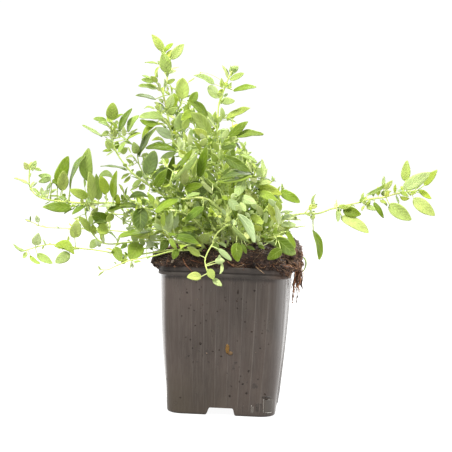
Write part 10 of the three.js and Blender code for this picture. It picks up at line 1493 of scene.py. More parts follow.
    ("A",(-16,-5,114.7),(-15.2,-5.1,116.5),(-14.9,-5.7,119.6),1.7,(.54,.83,.12),7,(-.2,0,.1),"P"),
    ("A",(-18.7,-7.8,119.2),(-18,-6.6,122.2),(-17.1,-5.3,127.2),2.5,(-.64,-.71,.31),14,(-.6,-.1,-.2),"L"),
    ("A",(-18.7,-7.8,119.2),(-20.7,-10.3,119.5),(-23.1,-13.4,121),2.3,(-.01,.43,.9),17,(0,-.3,-.1),"D"),
    ("A",(-18.7,-7.8,119.2),(-18.6,-7.4,122.7),(-18.8,-7.5,125.7),1.8,(.69,-.72,.02),10,(0,.1,-.1),"Y"),
    ("A",(-22.2,-11.2,125.5),(-21.5,-11.4,126.5),(-20.8,-13.5,132.7),3.6,(-.69,.66,.3),6,(0,.4,-.1),"L"),
    ("A",(-22.2,-11.2,125.5),(-20.2,-13,127.6),(-18.6,-14.7,129.4),1.8,(-.75,-.01,.67),8,(-.1,0,0),"Y"),
    ("A",(-24.8,-12.8,129.5),(-25.3,-11.9,130.5),(-27.1,-11.1,133.5),2.2,(.59,-.61,.52),16,(.1,.1,.1),"P"),
    ("A",(-29.2,-15,134.5),(-30.7,-15.4,134.2),(-36.3,-17.2,135.3),3,(.25,-.18,.95),6,(-.1,.4,-.2),"P"),
    ("A",(-29.2,-15,134.5),(-30.3,-13.9,135.6),(-34.1,-12,140.4),2.9,(.47,-.63,.62),17,(.2,0,.3),"M"),
    ("A",(-32.5,-16.8,137.8),(-32.1,-16.4,139.5),(-31.8,-15.9,144.3),2.4,(.63,-.77,.04),10,(-.1,.1,-.2),"Y"),
    ("A",(-32.5,-16.8,137.8),(-32.7,-19.4,139.6),(-33.8,-23.6,142.9),2.8,(-.11,.63,.77),18,(.1,-.1,0),"M"),
    ("A",(-38,-19.8,142.7),(-39,-22.6,143.1),(-41.7,-27.8,144.5),2.9,(.1,.23,.97),17,(.5,-.2,-.2),"D"),
    ("A",(-38,-19.8,142.7),(-40.1,-19.4,141.8),(-45.8,-18.7,140.5),2.8,(-.16,.4,.9),17,(.1,-.5,0),"M"),
    ("A",(-38,-19.8,142.7),(-39.5,-22,142),(-44.1,-27.9,141.7),3.6,(.1,-.14,.98),14,(-.1,.5,.2),"M"),
    ("A",(-41.7,-22,145.3),(-43.9,-23.7,145),(-48.3,-26.8,145.2),3.2,(-.03,.1,.99),16,(-.2,-.1,.1),"Y"),
    ("A",(-41.7,-22,145.3),(-41.6,-24.8,147.6),(-42.3,-28.8,151.5),3,(.99,0,.17),17,(-.1,.4,-.5),"D"),
    ("A",(-46.9,-25,148.9),(-47.7,-23.9,151.3),(-49.7,-22.4,156.4),3.2,(.62,-.66,.43),8,(-.1,-.3,-.3),"M"),
    ("A",(-46.9,-25,148.9),(-48.1,-26.8,148.7),(-51.5,-30.9,149.4),3.1,(-.1,.23,.97),9,(-.1,.1,-.1),"L"),
    ("A",(-50.7,-26.7,151.6),(-50.5,-26.3,155.2),(-50.5,-26.1,158.7),1.7,(-.67,-.74,.03),11,(.1,0,-.1),"M"),
    ("A",(-50.7,-26.7,151.6),(-50.9,-28.3,152.6),(-52,-30.7,154.6),1.5,(.14,.61,.78),12,(-.1,0,.2),"M"),
    ("A",(-66.9,-35.6,165.1),(-67.4,-37.9,166),(-68.7,-41.7,168.2),2.7,(-.33,.55,.76),8,(0,-.1,.2),"Y"),
    ("A",(-75,-38.8,177.3),(-76.1,-38.6,177.8),(-79,-38.4,180.2),2.1,(.39,-.76,.51),9,(.4,0,-.2),"D"),
    ("A",(-77.5,-40.9,190.7),(-78.6,-39.9,191.7),(-82.6,-36.3,197.3),3.5,(.85,.17,.5),15,(.2,-.6,-.9),"M"),
    ("B",(-20.4,-22.8,117.9),(-19.5,-24.9,119.6),(-18.6,-29.1,123.1),2.9,(-.33,.56,.76),6,(0,-.3,.5),"L"),
    ("B",(-43.7,-37.3,133.6),(-44.6,-36.8,137.2),(-47.3,-36.4,144.8),4,(-.15,-.99,.01),6,(-.1,.2,.1),"L"),
    ("B",(-63.6,-42.4,141),(-65.4,-43.1,139.9),(-68.5,-44.1,138.9),1.6,(-.41,.73,.55),15,(-.2,-.1,0),"L"),
    ("B",(-70.5,-43.7,141.7),(-71,-43.3,142.8),(-75.3,-42.1,147.6),4.1,(-.05,-.98,.2),10,(.4,-.1,.1),"D"),
    ("B",(-77.3,-45.3,141.9),(-78.5,-43.8,143.5),(-80.8,-41.5,146.3),2.4,(.44,-.49,.75),10,(-.1,0,-.3),"D"),
    ("B",(-84.2,-46.5,141.9),(-85.2,-46.6,140.5),(-89,-46.9,137.3),2.3,(-.63,-.12,.77),7,(.2,.2,.2),"L"),
    ("B",(-84.2,-46.5,141.9),(-85.3,-45,142.2),(-90.8,-39.8,143.9),4.2,(.17,-.14,.98),19,(-.6,0,.1),"L"),
    ("B",(-91.2,-47.1,141.6),(-93.5,-46.1,140.1),(-99.7,-44.4,137.9),3.2,(-.35,-.03,.94),16,(0,-.1,.1),"L"),
    ("B",(-116.1,-46.1,142.5),(-117.2,-46.3,141.5),(-120.4,-46.6,139.6),2,(-.51,.28,.81),10,(.2,-.2,.1),"M"),
    ("C",(-37.2,23.6,114.3),(-39,21.8,114.1),(-41.9,19.8,114.4),1.8,(.01,.13,.99),16,(0,.3,.2),"M"),
    ("C",(-47,24.1,116),(-47.5,24.5,115.2),(-53.7,26.8,110.6),3.7,(-.6,-.03,.8),9,(.2,-.4,-.3),"L"),
    ("C",(-47,24.1,116),(-47.4,23,115.8),(-49.9,19.9,115.9),1.9,(-.27,.23,.94),9,(.1,.1,-.1),"L"),
    ("C",(-87.9,22.4,116.4),(-89.5,23.3,115.1),(-93,24.7,112.6),2.4,(-.48,.27,.83),16,(-.1,-.1,.2),"P"),
    ("C",(-94.8,21.5,116.7),(-95.7,22.4,117.7),(-99.2,24.6,121),2.3,(.71,.07,.7),8,(-.1,-.2,-.2),"D"),
    ("C",(-106.7,19.8,117),(-107.1,18.5,118.8),(-107.9,16.7,121.6),1.6,(.83,.32,.45),14,(0,-.2,.2),"M"),
    ("D",(-95.2,-51.3,111.7),(-96,-50.7,111.2),(-102.7,-47.4,108.5),4,(-.39,-.05,.92),8,(-.5,-.1,.1),"Y"),
    ("D",(-102.2,-51.8,112.6),(-103.5,-53.2,112.2),(-108.7,-57,111.5),3.3,(-.03,-.14,.99),13,(0,-.3,.3),"Y"),
    ("F",(-26.4,-19.9,113.1),(-28.2,-18.8,113.6),(-32.8,-17.6,115.6),2.3,(.45,.32,.83),9,(.1,0,-.1),"D"),
    ("F",(-26.4,-19.9,113.1),(-26.4,-21.3,113.5),(-28.5,-27.2,116.2),3.8,(.01,.41,.91),14,(-.1,.5,-.2),"Y"),
    ("F",(-34.4,-23.6,115),(-34.6,-25.7,118.1),(-35.1,-27.5,120.5),1.8,(-.67,.65,.36),19,(0,.1,.1),"L"),
    ("F",(-40,-25.7,115.8),(-40.7,-28.2,116.5),(-43.2,-33.4,118.2),2.7,(-.16,.38,.91),6,(0,0,-.2),"Y"),
    ("F",(-40,-25.7,115.8),(-42.1,-24.6,116.1),(-48.9,-22.8,117.6),3.5,(.3,.43,.85),15,(0,.5,-.3),"P"),
    ("F",(-47.5,-28.4,116.2),(-47.6,-29.5,118),(-48.2,-31.8,121.4),2,(.98,-.18,.05),7,(.2,0,.1),"Y"),
    ("F",(-55,-31,115.8),(-55.5,-31.6,116.8),(-57.9,-33.4,119),2,(.15,.68,.72),14,(-.1,.1,.1),"L"),
    ("F",(-55,-31,115.8),(-56.6,-30.1,116.7),(-62.1,-28.5,118.8),3.4,(.25,-.34,.91),7,(.1,-.3,.2),"Y"),
    ("F",(-81.1,-37.2,114),(-82,-36.4,114),(-87.7,-33.7,114.8),3.5,(.03,-.23,.97),9,(.1,0,-.3),"Y"),
    ("F",(-81.1,-37.2,114),(-81.6,-38,116.9),(-83.4,-39.7,123.3),3.5,(-.7,.72,0),9,(-.1,.5,.4),"L"),
    ("F",(-89.4,-37.8,120.9),(-92.4,-37.6,122.2),(-95.6,-37.5,124.2),1.7,(.47,.45,.76),8,(-.3,-.1,-.1),"P"),
    ("F",(-91.7,-37.9,125.3),(-93.2,-38.3,126),(-98.2,-39.3,129.3),2.9,(.45,.4,.8),14,(.2,0,-.3),"L"),
    ("F",(-91.7,-37.9,125.3),(-91.1,-35.5,127.7),(-90.7,-33.3,129.9),1.7,(.01,-.71,.7),8,(.1,-.2,-.2),"P"),
    ("F",(-91.7,-37.9,125.3),(-91.1,-37.7,126.8),(-90.5,-37.3,130.7),1.8,(-.7,.71,.04),9,(.1,.1,0),"L"),
    ("F",(-93.9,-38.1,133),(-93,-39.3,135.3),(-91.8,-40.9,139.2),2.7,(-.23,.87,.44),6,(.2,.3,-.1),"D"),
    ("FB",(-55.8,-33,119.9),(-56.5,-31.9,122.6),(-57.7,-30.2,127.5),2.4,(.97,.09,.22),11,(.4,.3,-.5),"M"),
    ("FB",(-55.8,-33,119.9),(-55.8,-35.3,121.2),(-56.2,-40.8,124.6),2.9,(-.05,.54,.84),9,(-.1,0,0),"M"),
    ("FB",(-66.1,-39.5,128.3),(-66.8,-38.7,131.1),(-68.2,-37.5,135.9),2.7,(.73,-.58,.35),9,(0,.1,-.2),"M"),
    ("R",(44.3,-8.1,134.8),(44.6,-6.7,134.1),(46.2,-3.5,133.2),2,(.33,.08,.94),19,(-.2,-.3,.1),"M"),
    ("R",(95.3,18.9,145.3),(95.5,20,145),(98.3,25.5,144.4),3.5,(-.16,.2,.97),13,(-.4,-.1,-.3),"Y"),
    ("R",(101.5,21.9,146.2),(101.3,23,148.1),(101.1,26.2,153.8),3.3,(-.09,-.87,.48),19,(.1,-.2,-.3),"L"),
    ("R",(106,24.1,146.9),(106.4,26.5,149.1),(107.7,31,152.3),3.4,(.15,-.61,.78),9,(.4,-.3,.2),"P"),
    ("RP",(21.6,-2.2,118),(24.4,-2.8,118.9),(29.6,-3.3,120.6),2.6,(-.32,-.1,.94),8,(.1,-.2,-.1),"Y"),
    ("H",(-1.5,-25.3,119.1),(-.8,-25.7,121.8),(-.5,-26.6,125.5),1.8,(-.91,.37,.17),12,(.1,0,0),"L"),
    ("H",(-1.5,-25.3,119.1),(-3.8,-27.5,119.7),(-5.9,-29.5,120.5),1.5,(.32,.07,.95),10,(0,.1,-.1),"P"),
    ("H",(-8.2,-36.3,126.3),(-9.1,-37.6,129.1),(-10.3,-39.4,132.2),2.2,(.95,-.14,.28),18,(-.1,-.3,.2),"L"),
    ("H",(-8.2,-36.3,126.3),(-8.5,-37.7,124.9),(-9.5,-42.5,122),2.6,(-.35,-.43,.83),11,(-.2,-.2,-.1),"L"),
    ("H",(-8.2,-42.1,123.2),(-9.2,-43.9,122.8),(-10.4,-46.8,121.9),1.5,(.4,-.4,.82),17,(.1,0,-.2),"P"),
    ("H",(-7.2,-46.4,119.1),(-8.8,-46.4,118.6),(-12.4,-46.5,117.1),1.9,(-.38,.14,.92),6,(-.1,.3,-.1),"P"),
    ("J",(-13.2,-11.4,115.1),(-16.2,-10.8,115.4),(-21.5,-10.1,115.8),2.8,(.1,.1,.99),15,(0,.1,-.1),"M"),
    ("J",(-16.1,-14.1,118.2),(-18.3,-15.6,117.6),(-22.8,-18.6,117),2.5,(-.29,.22,.93),15,(.1,.3,-.1),"P"),
    ("J",(-20.9,-18.3,123),(-22.8,-17.3,125.7),(-25.4,-16.7,128.8),2.4,(.77,.27,.58),14,(.5,-.1,-.1),"L"),
    ("J",(-20.9,-18.3,123),(-20.5,-19.3,125.7),(-20.6,-20.9,129.8),2.1,(1,-.05,.01),12,(-.4,-.1,-.1),"M"),
    ("J",(-20.9,-18.3,123),(-20.8,-19.5,123),(-21.5,-23.2,124),1.9,(.13,.24,.96),19,(.3,.1,-.1),"L"),
    ("J",(-24.4,-21.3,126.8),(-24.6,-23.6,126.8),(-25.5,-29.1,128.2),2.5,(-.01,.24,.97),12,(.3,-.3,0),"P"),
    ("J",(-28.4,-24.6,131.5),(-28.1,-27.2,133.8),(-28.3,-31.6,138.7),3.7,(-.57,.62,.54),14,(-.1,.1,.3),"M"),
    ("J",(-28.4,-24.6,131.5),(-30.6,-23.2,132.3),(-33.6,-21.6,133.7),2.1,(-.05,-.7,.71),6,(.1,0,.1),"M"),
    ("J",(-28.4,-24.6,131.5),(-29.3,-24.3,131.9),(-34.6,-24.4,135.8),3.2,(.5,-.55,.67),11,(.2,-.2,-.4),"L"),
    ("J",(-31,-26.9,135.1),(-30.7,-26.9,136.9),(-30.9,-27.5,140.8),2.1,(-.67,.74,.08),10,(.1,-.1,.1),"M"),
    ("J",(-34.4,-29.8,140.5),(-34.6,-30.6,140.5),(-35.8,-33.6,141.3),1.6,(-.06,.29,.95),13,(.2,.1,.1),"L"),
    ("J",(-34.4,-29.8,140.5),(-34.3,-28.4,142.1),(-34.3,-24.7,147),3.4,(.08,-.79,.6),11,(-.6,.2,-.3),"P"),
    ("J",(-37,-32.9,147.4),(-37.1,-31.9,149.8),(-37.6,-30.6,155.3),2.5,(-.82,-.57,.07),10,(-.3,-.1,-.1),"L"),
    ("J",(-37,-32.9,147.4),(-37.9,-35.8,148.8),(-39.7,-41.1,151.4),3,(.31,.34,.89),17,(.1,0,-.3),"L"),
    ("J",(-37,-32.9,147.4),(-38.1,-33,147.7),(-41.4,-33.6,149.9),1.9,(.53,-.52,.67),6,(.1,0,-.1),"L"),
    ("J",(-37.8,-34.6,152),(-37.8,-35.4,152.1),(-37.7,-40.7,153.8),3.1,(.34,.3,.89),17,(.5,.2,.1),"L"),
    ("J",(-37.8,-34.6,152),(-38.9,-34.7,152.5),(-44.7,-36.1,156.3),3.9,(.56,-.09,.83),16,(0,-.2,.6),"P"),
    ("J",(-37.5,-36,156.8),(-36.8,-35.9,157.2),(-31.9,-36.3,163.7),3.7,(-.8,-.09,.59),12,(-.5,-.1,0),"L"),
    ("J2",(-6.7,-7.5,118),(-5.5,-8.5,118.9),(-3.9,-10.2,120.8),1.8,(-.7,.13,.7),17,(.2,0,0),"M"),
    ("J2",(-6.7,-7.5,118),(-7.8,-9.9,117.7),(-10.4,-15.3,117.2),3.4,(-.19,0,.98),14,(.2,-.4,.4),"Y"),
    ("J2",(-6.7,-7.5,118),(-6.7,-6.8,119),(-7.2,-6.2,122.9),2.2,(.99,.11,.11),13,(.2,.3,-.1),"Y"),
    ("J2",(-8.6,-10.1,123),(-7.5,-12.6,124.4),(-6.3,-16,126.8),2.4,(-.77,.17,.61),13,(.2,.3,0),"L"),
    ("J2",(-8.6,-10.1,123),(-10.3,-11.5,122.9),(-15.7,-16,123.9),4,(-.06,.28,.96),7,(-.4,.1,-.2),"L"),
    ("J2",(-9.8,-11.8,126.4),(-8.9,-11.5,128.2),(-7.2,-11.4,133.4),3.4,(-.91,.3,.29),19,(-.1,-.4,0),"P"),
    ("J2",(-13.6,-18,137.2),(-12.5,-19.3,138.4),(-11,-21.8,141.1),1.9,(-.5,.48,.72),8,(.2,.1,.3),"P"),
    ("J2",(-13.6,-18,137.2),(-14.8,-17.7,137.7),(-19.5,-17.7,141.9),3.1,(.03,-1,.03),15,(.4,.1,-.1),"M"),
    ("J2",(-13.6,-18,137.2),(-11.9,-19.4,138.4),(-9.6,-21.6,140.4),2.1,(-.33,.41,.85),19,(0,-.1,0),"P"),
    ("J2",(-15.6,-20.9,142.1),(-15.1,-21.8,142.4),(-14.1,-25.1,144.4),1.8,(-.15,.5,.85),18,(0,-.1,-.1),"P"),
    ("J2",(-15.6,-20.9,142.1),(-16.9,-20.8,142.1),(-24.2,-21.2,143.9),3.3,(.18,.5,.84),11,(-.6,0,-.2),"L"),
    ("J2",(-17.9,-23.3,147.1),(-19.1,-23.9,147.4),(-21.6,-25.3,149.1),1.6,(.58,-.02,.82),18,(-.3,-.3,.1),"Y"),
    ("J2",(-20.4,-25.2,152.2),(-22.6,-24.8,153.2),(-28.8,-24.1,156.9),4.2,(.08,-.95,.3),18,(-.2,-.2,-.2),"D"),
    ("J2",(-22.5,-26.6,156.5),(-22.9,-27.9,156.6),(-24.9,-33.1,158.4),2.6,(.01,.32,.95),7,(-.2,-.2,.3),"L"),
    ("J2",(-24.4,-27.8,160.9),(-25.8,-27,162.3),(-27.9,-26.1,164.5),1.5,(.53,-.49,.7),16,(0,0,-.2),"P"),
    ("J2",(-24.4,-27.8,160.9),(-25.7,-29.3,161.5),(-29.9,-33.8,163.9),3.6,(.4,.1,.91),11,(.1,.2,-.1),"M"),
    ("J2",(-26.3,-28.7,165.5),(-24.1,-29.7,167.7),(-21.2,-31.1,171.4),2.4,(-.7,-.65,.31),12,(.2,.1,0),"P"),
    ("J2",(-26.3,-28.7,165.5),(-27.1,-31.1,166.2),(-28.8,-35.3,167.5),2.1,(-.58,.44,.69),14,(.3,.1,-.4),"P"),
    ("J2",(-28.2,-29.4,172.2),(-29.5,-28.5,172.8),(-33.8,-25.7,176.4),3.7,(.24,-.59,.77),7,(-.1,.1,-.5),"P"),
    ("J2",(-29.4,-29.1,179),(-28.6,-27.4,181.3),(-27.7,-25.1,184.7),2.3,(-.44,-.68,.59),8,(-.1,-.2,-.2),"P"),
    ("J3",(-16.7,-36.9,164.7),(-16.7,-36.3,165.9),(-15.8,-33.6,172.4),4,(-.71,-.61,.34),15,(-.2,0,-.1),"L"),
    ("J3",(-16.7,-36.9,164.7),(-15.6,-37.5,164.7),(-10.1,-40.7,166.5),3.4,(-.35,-.08,.93),16,(.1,-.1,-.2),"L"),
    ("I1",(5,-19.3,119.6),(3.3,-18.9,121.7),(1.5,-19.2,124.2),1.5,(.81,.1,.58),12,(0,-.1,0),"L"),
    ("I1",(5,-19.3,119.6),(7,-20.4,121.4),(9,-21.9,124.1),1.9,(-.82,-.01,.58),7,(0,.2,-.2),"M"),
    ("I1",(3.3,-23.9,124.6),(3.2,-25.4,124.3),(2.6,-29.8,125.3),2.6,(-.3,.25,.92),17,(-.2,.1,-.1),"Y"),
    ("I1",(1.9,-26.9,128.3),(-.6,-26.4,130.5),(-3.7,-26.3,133.8),2,(.2,-.96,.22),17,(-.2,.1,-.2),"P"),
    ("I1",(1.9,-26.9,128.3),(2.3,-26.7,129.8),(2.5,-27.6,135.1),2.5,(-.99,-.15,.02),11,(.2,.4,-.2),"L"),
    ("I1",(1.9,-26.9,128.3),(.2,-30.1,128.7),(-2.2,-34.4,130.4),2.8,(.58,.02,.82),12,(.3,.2,0),"Y"),
    ("I1",(-1.9,-32.7,136.8),(-4.3,-34.8,137),(-8.2,-38.3,138.2),3,(-.06,.39,.92),15,(-.1,-.3,.2),"P"),
    ("I1",(-5.9,-36.5,141.2),(-4.9,-38.9,143),(-3.5,-44.7,147.5),3.8,(-.11,.59,.8),8,(-.3,0,.1),"L"),
    ("I1",(-5.9,-36.5,141.2),(-7.9,-37,140.8),(-12.6,-38.4,140.5),2.8,(.06,-.35,.94),7,(.5,-.1,-.1),"M"),
    ("I1",(-5.9,-36.5,141.2),(-6.1,-35.9,144.8),(-6.7,-35.6,149.1),2.3,(.73,.68,.05),10,(-.1,.1,.2),"Y"),
    ("I1",(-18.2,-43.5,147.4),(-19.5,-42.9,148),(-22.6,-42.4,149.2),2,(.4,.26,.88),15,(0,-.2,-.1),"L"),
    ("I1",(-18.2,-43.5,147.4),(-18.4,-45.4,147.1),(-19.5,-48.4,146.9),1.7,(-.39,.06,.92),19,(.2,-.2,.2),"M"),
    ("I1",(-22.7,-45.6,147.2),(-23.3,-45.7,145.8),(-27.2,-46.9,139.8),3.3,(-.32,-.87,.38),16,(0,0,-.3),"D"),
    ("I2",(4.2,-12.8,122.7),(5.4,-15.8,123.4),(6.7,-19.8,125.1),2.3,(-.18,.35,.92),11,(-.1,.1,-.2),"P"),
    ("I2",(3.5,-16.1,126.4),(4.5,-18.4,127.3),(5.7,-21.8,129),2.4,(-.37,.31,.87),16,(.4,-.1,.3),"P"),
    ("I2",(1,-23.2,135.8),(-2,-24.5,136.3),(-5.8,-26.3,137.2),2.5,(.18,.09,.98),12,(.4,-.3,0),"P"),
    ("I2",(1,-23.2,135.8),(.1,-22.8,136.2),(-5.4,-21.8,140.4),3.3,(.38,-.65,.65),9,(-.1,-.3,-.1),"P"),
    ("I2",(1,-23.2,135.8),(-1.4,-22.8,137.7),(-4.4,-22.7,140.9),1.9,(.71,.22,.67),19,(.3,-.1,.1),"L"),
    ("I2",(-.8,-27.1,141.4),(-2.7,-29.2,142.1),(-6.1,-33,144),2.9,(-.11,.52,.85),15,(-.2,.2,.2),"M"),
    ("I2",(-2.3,-30.3,146.2),(-4,-30,148.8),(-6.9,-30.2,153.4),3,(.28,.93,.22),12,(.1,.4,.4),"M"),
    ("I2",(-2.3,-30.3,146.2),(-4.2,-32.2,145.8),(-7.2,-35.5,145.3),2.4,(-.28,.12,.95),18,(.2,-.2,-.1),"Y"),
    ("I2",(-3.1,-32.4,149.5),(-2.9,-33.5,149.6),(-2.6,-37.6,150.9),2.2,(.21,.31,.93),9,(-.1,0,-.1),"P"),
    ("I2",(-3.1,-32.4,149.5),(-4.2,-31.8,152.4),(-5.2,-31.5,155.1),1.7,(.93,.13,.33),6,(-.3,-.1,0),"D"),
    ("N1",(1.6,-.7,119.1),(3.9,-.1,121.2),(6.1,.4,123.8),1.5,(-.75,.33,.57),15,(.2,0,-.2),"L"),
    ("N1",(1.6,-.7,119.1),(2.8,-3.3,119.3),(5.4,-9.2,121.1),3.2,(.07,.32,.94),7,(-.1,0,.1),"M"),
    ("N1",(1.6,-.7,119.1),(2.6,-.4,119.9),(4.6,-.4,123.2),1.7,(-.87,.03,.5),14,(-.1,0,-.2),"L"),
    ("N1",(1.6,-.7,119.1),(-.6,-2.1,120.2),(-5.2,-5.3,123.4),3.7,(.54,.08,.84),14,(-.3,-.1,0),"M"),
    ("N1",(1.2,-3.2,125.6),(.6,-1.9,128),(-.5,-.2,133.3),2.6,(.84,-.44,.31),12,(.1,0,0),"Y"),
    ("N1",(.7,-5.6,132.2),(2.4,-7.6,133.8),(4.6,-10.3,136.2),2.1,(-.68,.12,.73),11,(.3,-.1,-.1),"P"),
    ("N1",(-.1,-7.9,138.8),(1.5,-8,140.5),(3.2,-8.3,143.1),1.8,(-.73,.43,.53),11,(-.1,0,-.1),"P"),
    ("N1",(-.1,-7.9,138.8),(-2.2,-8.6,140.2),(-4.6,-9.7,142.6),1.7,(.44,.57,.7),6,(.1,-.1,-.2),"D"),
    ("N1",(-2.2,-12,153),(-3.6,-11.7,153.5),(-9.3,-11,157),3.4,(.51,-.08,.86),15,(0,-.7,.1),"D"),
    ("N1",(-2.2,-12,153),(-.9,-11.1,155.4),(.2,-10.4,158.4),1.7,(-.45,-.82,.35),7,(.2,.1,0),"L"),
    ("N1",(-2.2,-12,153),(-2.4,-14.7,153.9),(-2.8,-19.4,156),2.9,(-.45,.4,.8),12,(0,-.2,-.2),"Y"),
    ("N1",(-2.2,-12,153),(-3.7,-10.9,154.1),(-8.4,-7.7,158.4),4,(.69,.02,.73),13,(-.4,.1,-.3),"Y"),
    ("N1",(-2.8,-12.6,156.9),(-1.7,-13.3,157.6),(2.3,-15.6,160.6),2.9,(-.24,.58,.78),13,(0,0,-.1),"M"),
    ("N1",(-2.8,-12.6,156.9),(-4,-12.1,157.8),(-6.6,-11.3,160.7),2.3,(.71,-.2,.68),12,(0,0,-.3),"L"),
    ("N1",(-3.7,-12.8,161.8),(-2.8,-14.9,164.4),(-1.5,-18.1,168.9),3.5,(-.18,.78,.6),16,(0,-.2,-.2),"L"),
    ("N1",(-3.7,-12.8,161.8),(-4.8,-12.7,162.2),(-8.4,-12.3,164.8),2.4,(.49,-.46,.74),12,(-.1,-.2,0),"M"),
    ("N1",(-5.5,-12.4,170.7),(-5.3,-13.3,171.2),(-4.9,-17,175.6),3.4,(-.29,.72,.63),14,(.2,.3,-.5),"D"),
    ("N1",(-5.5,-12.4,170.7),(-6.9,-11.7,171.1),(-11.3,-9.6,172.5),2.6,(.32,.01,.95),18,(-.3,.2,.3),"D"),
    ("N1",(-5.5,-12.4,170.7),(-3.9,-11.6,172.2),(-1.7,-10.2,175),2,(-.37,-.68,.64),14,(0,-.1,0),"D"),
    ("N1",(-5.5,-12.4,170.7),(-5.9,-11.3,171.6),(-7.6,-7.2,177.3),3.4,(-.37,-.8,.46),16,(0,0,.3),"P"),
    ("N1",(-6.2,-11.7,175.6),(-4.7,-10.4,176.6),(-.4,-6.5,180.5),3.2,(0,-.7,.71),13,(0,-.4,-.3),"M"),
    ("N1",(-6.2,-11.7,175.6),(-5.5,-12.6,177.8),(-4.2,-14.2,183.3),3.1,(-.82,.48,.32),14,(.1,.3,.4),"M"),
    ("U",(7.3,-5.7,119.3),(9.4,-4.3,121.7),(13.1,-2.1,126.4),3.5,(-.09,-.87,.48),6,(.1,0,0),"L"),
    ("U",(7.3,-5.7,119.3),(8.7,-8.1,120.6),(10.3,-11.9,123.7),3.1,(.14,.66,.73),19,(-.2,-.2,-.1),"P"),
    ("U",(6.9,-8.3,123.6),(7.3,-7.3,125),(8.2,-5.5,129.7),2.2,(-.31,-.87,.39),7,(.3,0,-.1),"Y"),
    ("U",(6.4,-12.7,130.2),(7.8,-13.1,131.4),(11.4,-15.7,136.9),4.2,(-.31,.77,.56),10,(-.2,.2,-.1),"M"),
    ("U",(5.6,-19.1,141.5),(3.1,-20.6,142.5),(-1.8,-23.8,145.6),3.8,(.47,.15,.87),8,(-.4,0,-.2),"M"),
    ("U",(5.6,-19.1,141.5),(6.4,-19,142.3),(8.8,-19.7,147.7),2.5,(.12,.99,.08),14,(.9,.2,.1),"M"),
    ("U",(5.5,-21.6,146.9),(4.2,-23.3,148.6),(2.9,-25.4,151.1),1.7,(.06,.76,.65),10,(0,.1,0),"Y"),
    ("U",(7.2,-24.6,154.1),(8.1,-25,154),(13.1,-27.8,156.4),3.4,(-.28,.26,.92),13,(-.2,.2,-.2),"P"),
    ("U",(7.2,-24.6,154.1),(6.9,-25.6,154.3),(5.7,-32.1,158.1),3.7,(-.08,.51,.85),10,(.2,-.5,-.1),"L"),
    ("U",(11.4,-26.5,159.2),(11.8,-26.3,161.2),(14.5,-26.3,167.8),3.8,(-.31,.94,.12),11,(-.3,.6,.2),"M"),
    ("U",(18.7,-26.1,161.8),(20.3,-24.7,160.3),(23.8,-21.8,158.2),2.9,(.16,.45,.88),13,(.3,-.1,.1),"Y"),
    ("V",(10.1,2.3,117.1),(8.9,2.2,118.3),(7.4,1.3,121.5),2.2,(.63,.62,.47),17,(.1,0,.1),"P"),
    ("V",(10.7,-.2,122.5),(12.4,.3,123.4),(16.3,1.1,126.4),3,(-.49,-.43,.76),18,(-.3,.1,.2),"L"),
    ("V",(10.7,-.2,122.5),(11.6,-2.3,123.4),(13,-5.7,126.2),2.8,(-.1,.61,.78),6,(.2,.5,0),"M"),
    ("V",(11.4,-2.9,127.8),(10.5,-3.3,128.2),(7.8,-6.6,133.8),4.2,(.65,.47,.6),14,(.3,-.1,-.5),"P"),
    ("V",(12.2,-6.9,134.7),(11.4,-6.9,135.3),(9.2,-8.6,140.9),3.4,(-.16,.96,.23),14,(.3,-.1,0),"D"),
    ("V",(13.1,-11.3,141.3),(15.2,-10.6,143.6),(19.5,-9.7,149),3.5,(-.62,-.52,.58),12,(.4,-.1,-.2),"P"),
    ("V",(13.1,-11.3,141.3),(11.5,-12.9,141.6),(9.4,-15.2,142.3),1.5,(.74,-.64,.17),7,(0,-.1,-.1),"Y"),
    ("V",(13.8,-13.6,144.5),(14,-16.9,144),(14.4,-22.9,143.7),2.8,(.64,.01,.77),8,(0,.2,.1),"P"),
    ("V",(13.8,-13.6,144.5),(13.8,-13,145.3),(14.4,-11.3,151.4),3.1,(-.25,-.93,.27),6,(.2,.3,-.1),"Y"),
    ("W",(6.5,-29,120),(8.2,-30,122.2),(9.6,-31.3,124.3),1.4,(-.83,.09,.56),17,(.1,0,.1),"Y"),
    ("W",(6.5,-29,120),(4.5,-30.2,120.7),(1.2,-32.7,122.7),2.8,(.27,.36,.89),18,(-.2,.1,-.1),"L"),
    ("W2",(10.2,-27.1,118.2),(11.3,-27.2,119.7),(14.9,-28.6,126.3),4,(-.86,-.3,.42),11,(-.3,-.1,-.4),"M"),
    ("W2",(10.2,-27.1,118.2),(8.7,-27.5,120.1),(6.3,-28.8,123.6),2.2,(.77,.23,.6),10,(-.1,.2,-.2),"L"),
    ("W2",(9.6,-32,121.6),(10.2,-34.5,121.6),(11.2,-39.5,122.5),2.7,(.52,.25,.82),17,(.3,.5,.3),"P"),
    ("W2",(9.4,-36.6,125.5),(10.4,-36.9,126.2),(13.9,-39.3,129.5),2.9,(-.76,-.46,.46),6,(.1,0,.1),"M"),
    ("W2",(9.3,-39.6,128.2),(9.5,-40.5,128.1),(10.3,-45.5,129.3),3.1,(-.19,.22,.96),18,(-.1,.3,0),"P"),
    ("P1",(-21.8,-30.7,112.5),(-21,-31.7,113.7),(-19.4,-35.4,117.2),2.9,(-.47,.5,.73),8,(0,.1,0),"M"),
    ("P1",(-24.5,-34.5,114.2),(-26.8,-34.7,114.4),(-32.1,-36.1,115.8),2.5,(.16,.35,.92),12,(0,-.3,-.1),"L"),
    ("P1",(-27.7,-39.2,116.2),(-27.9,-41.8,115.6),(-28.6,-45.5,115.5),2,(.24,-.07,.97),13,(0,.2,.1),"Y"),
    ("P1",(-34.7,-48,120.2),(-37.6,-47.7,120.1),(-42.9,-47.3,119.8),2.9,(-.08,-.3,.95),14,(-.1,0,.1),"M"),
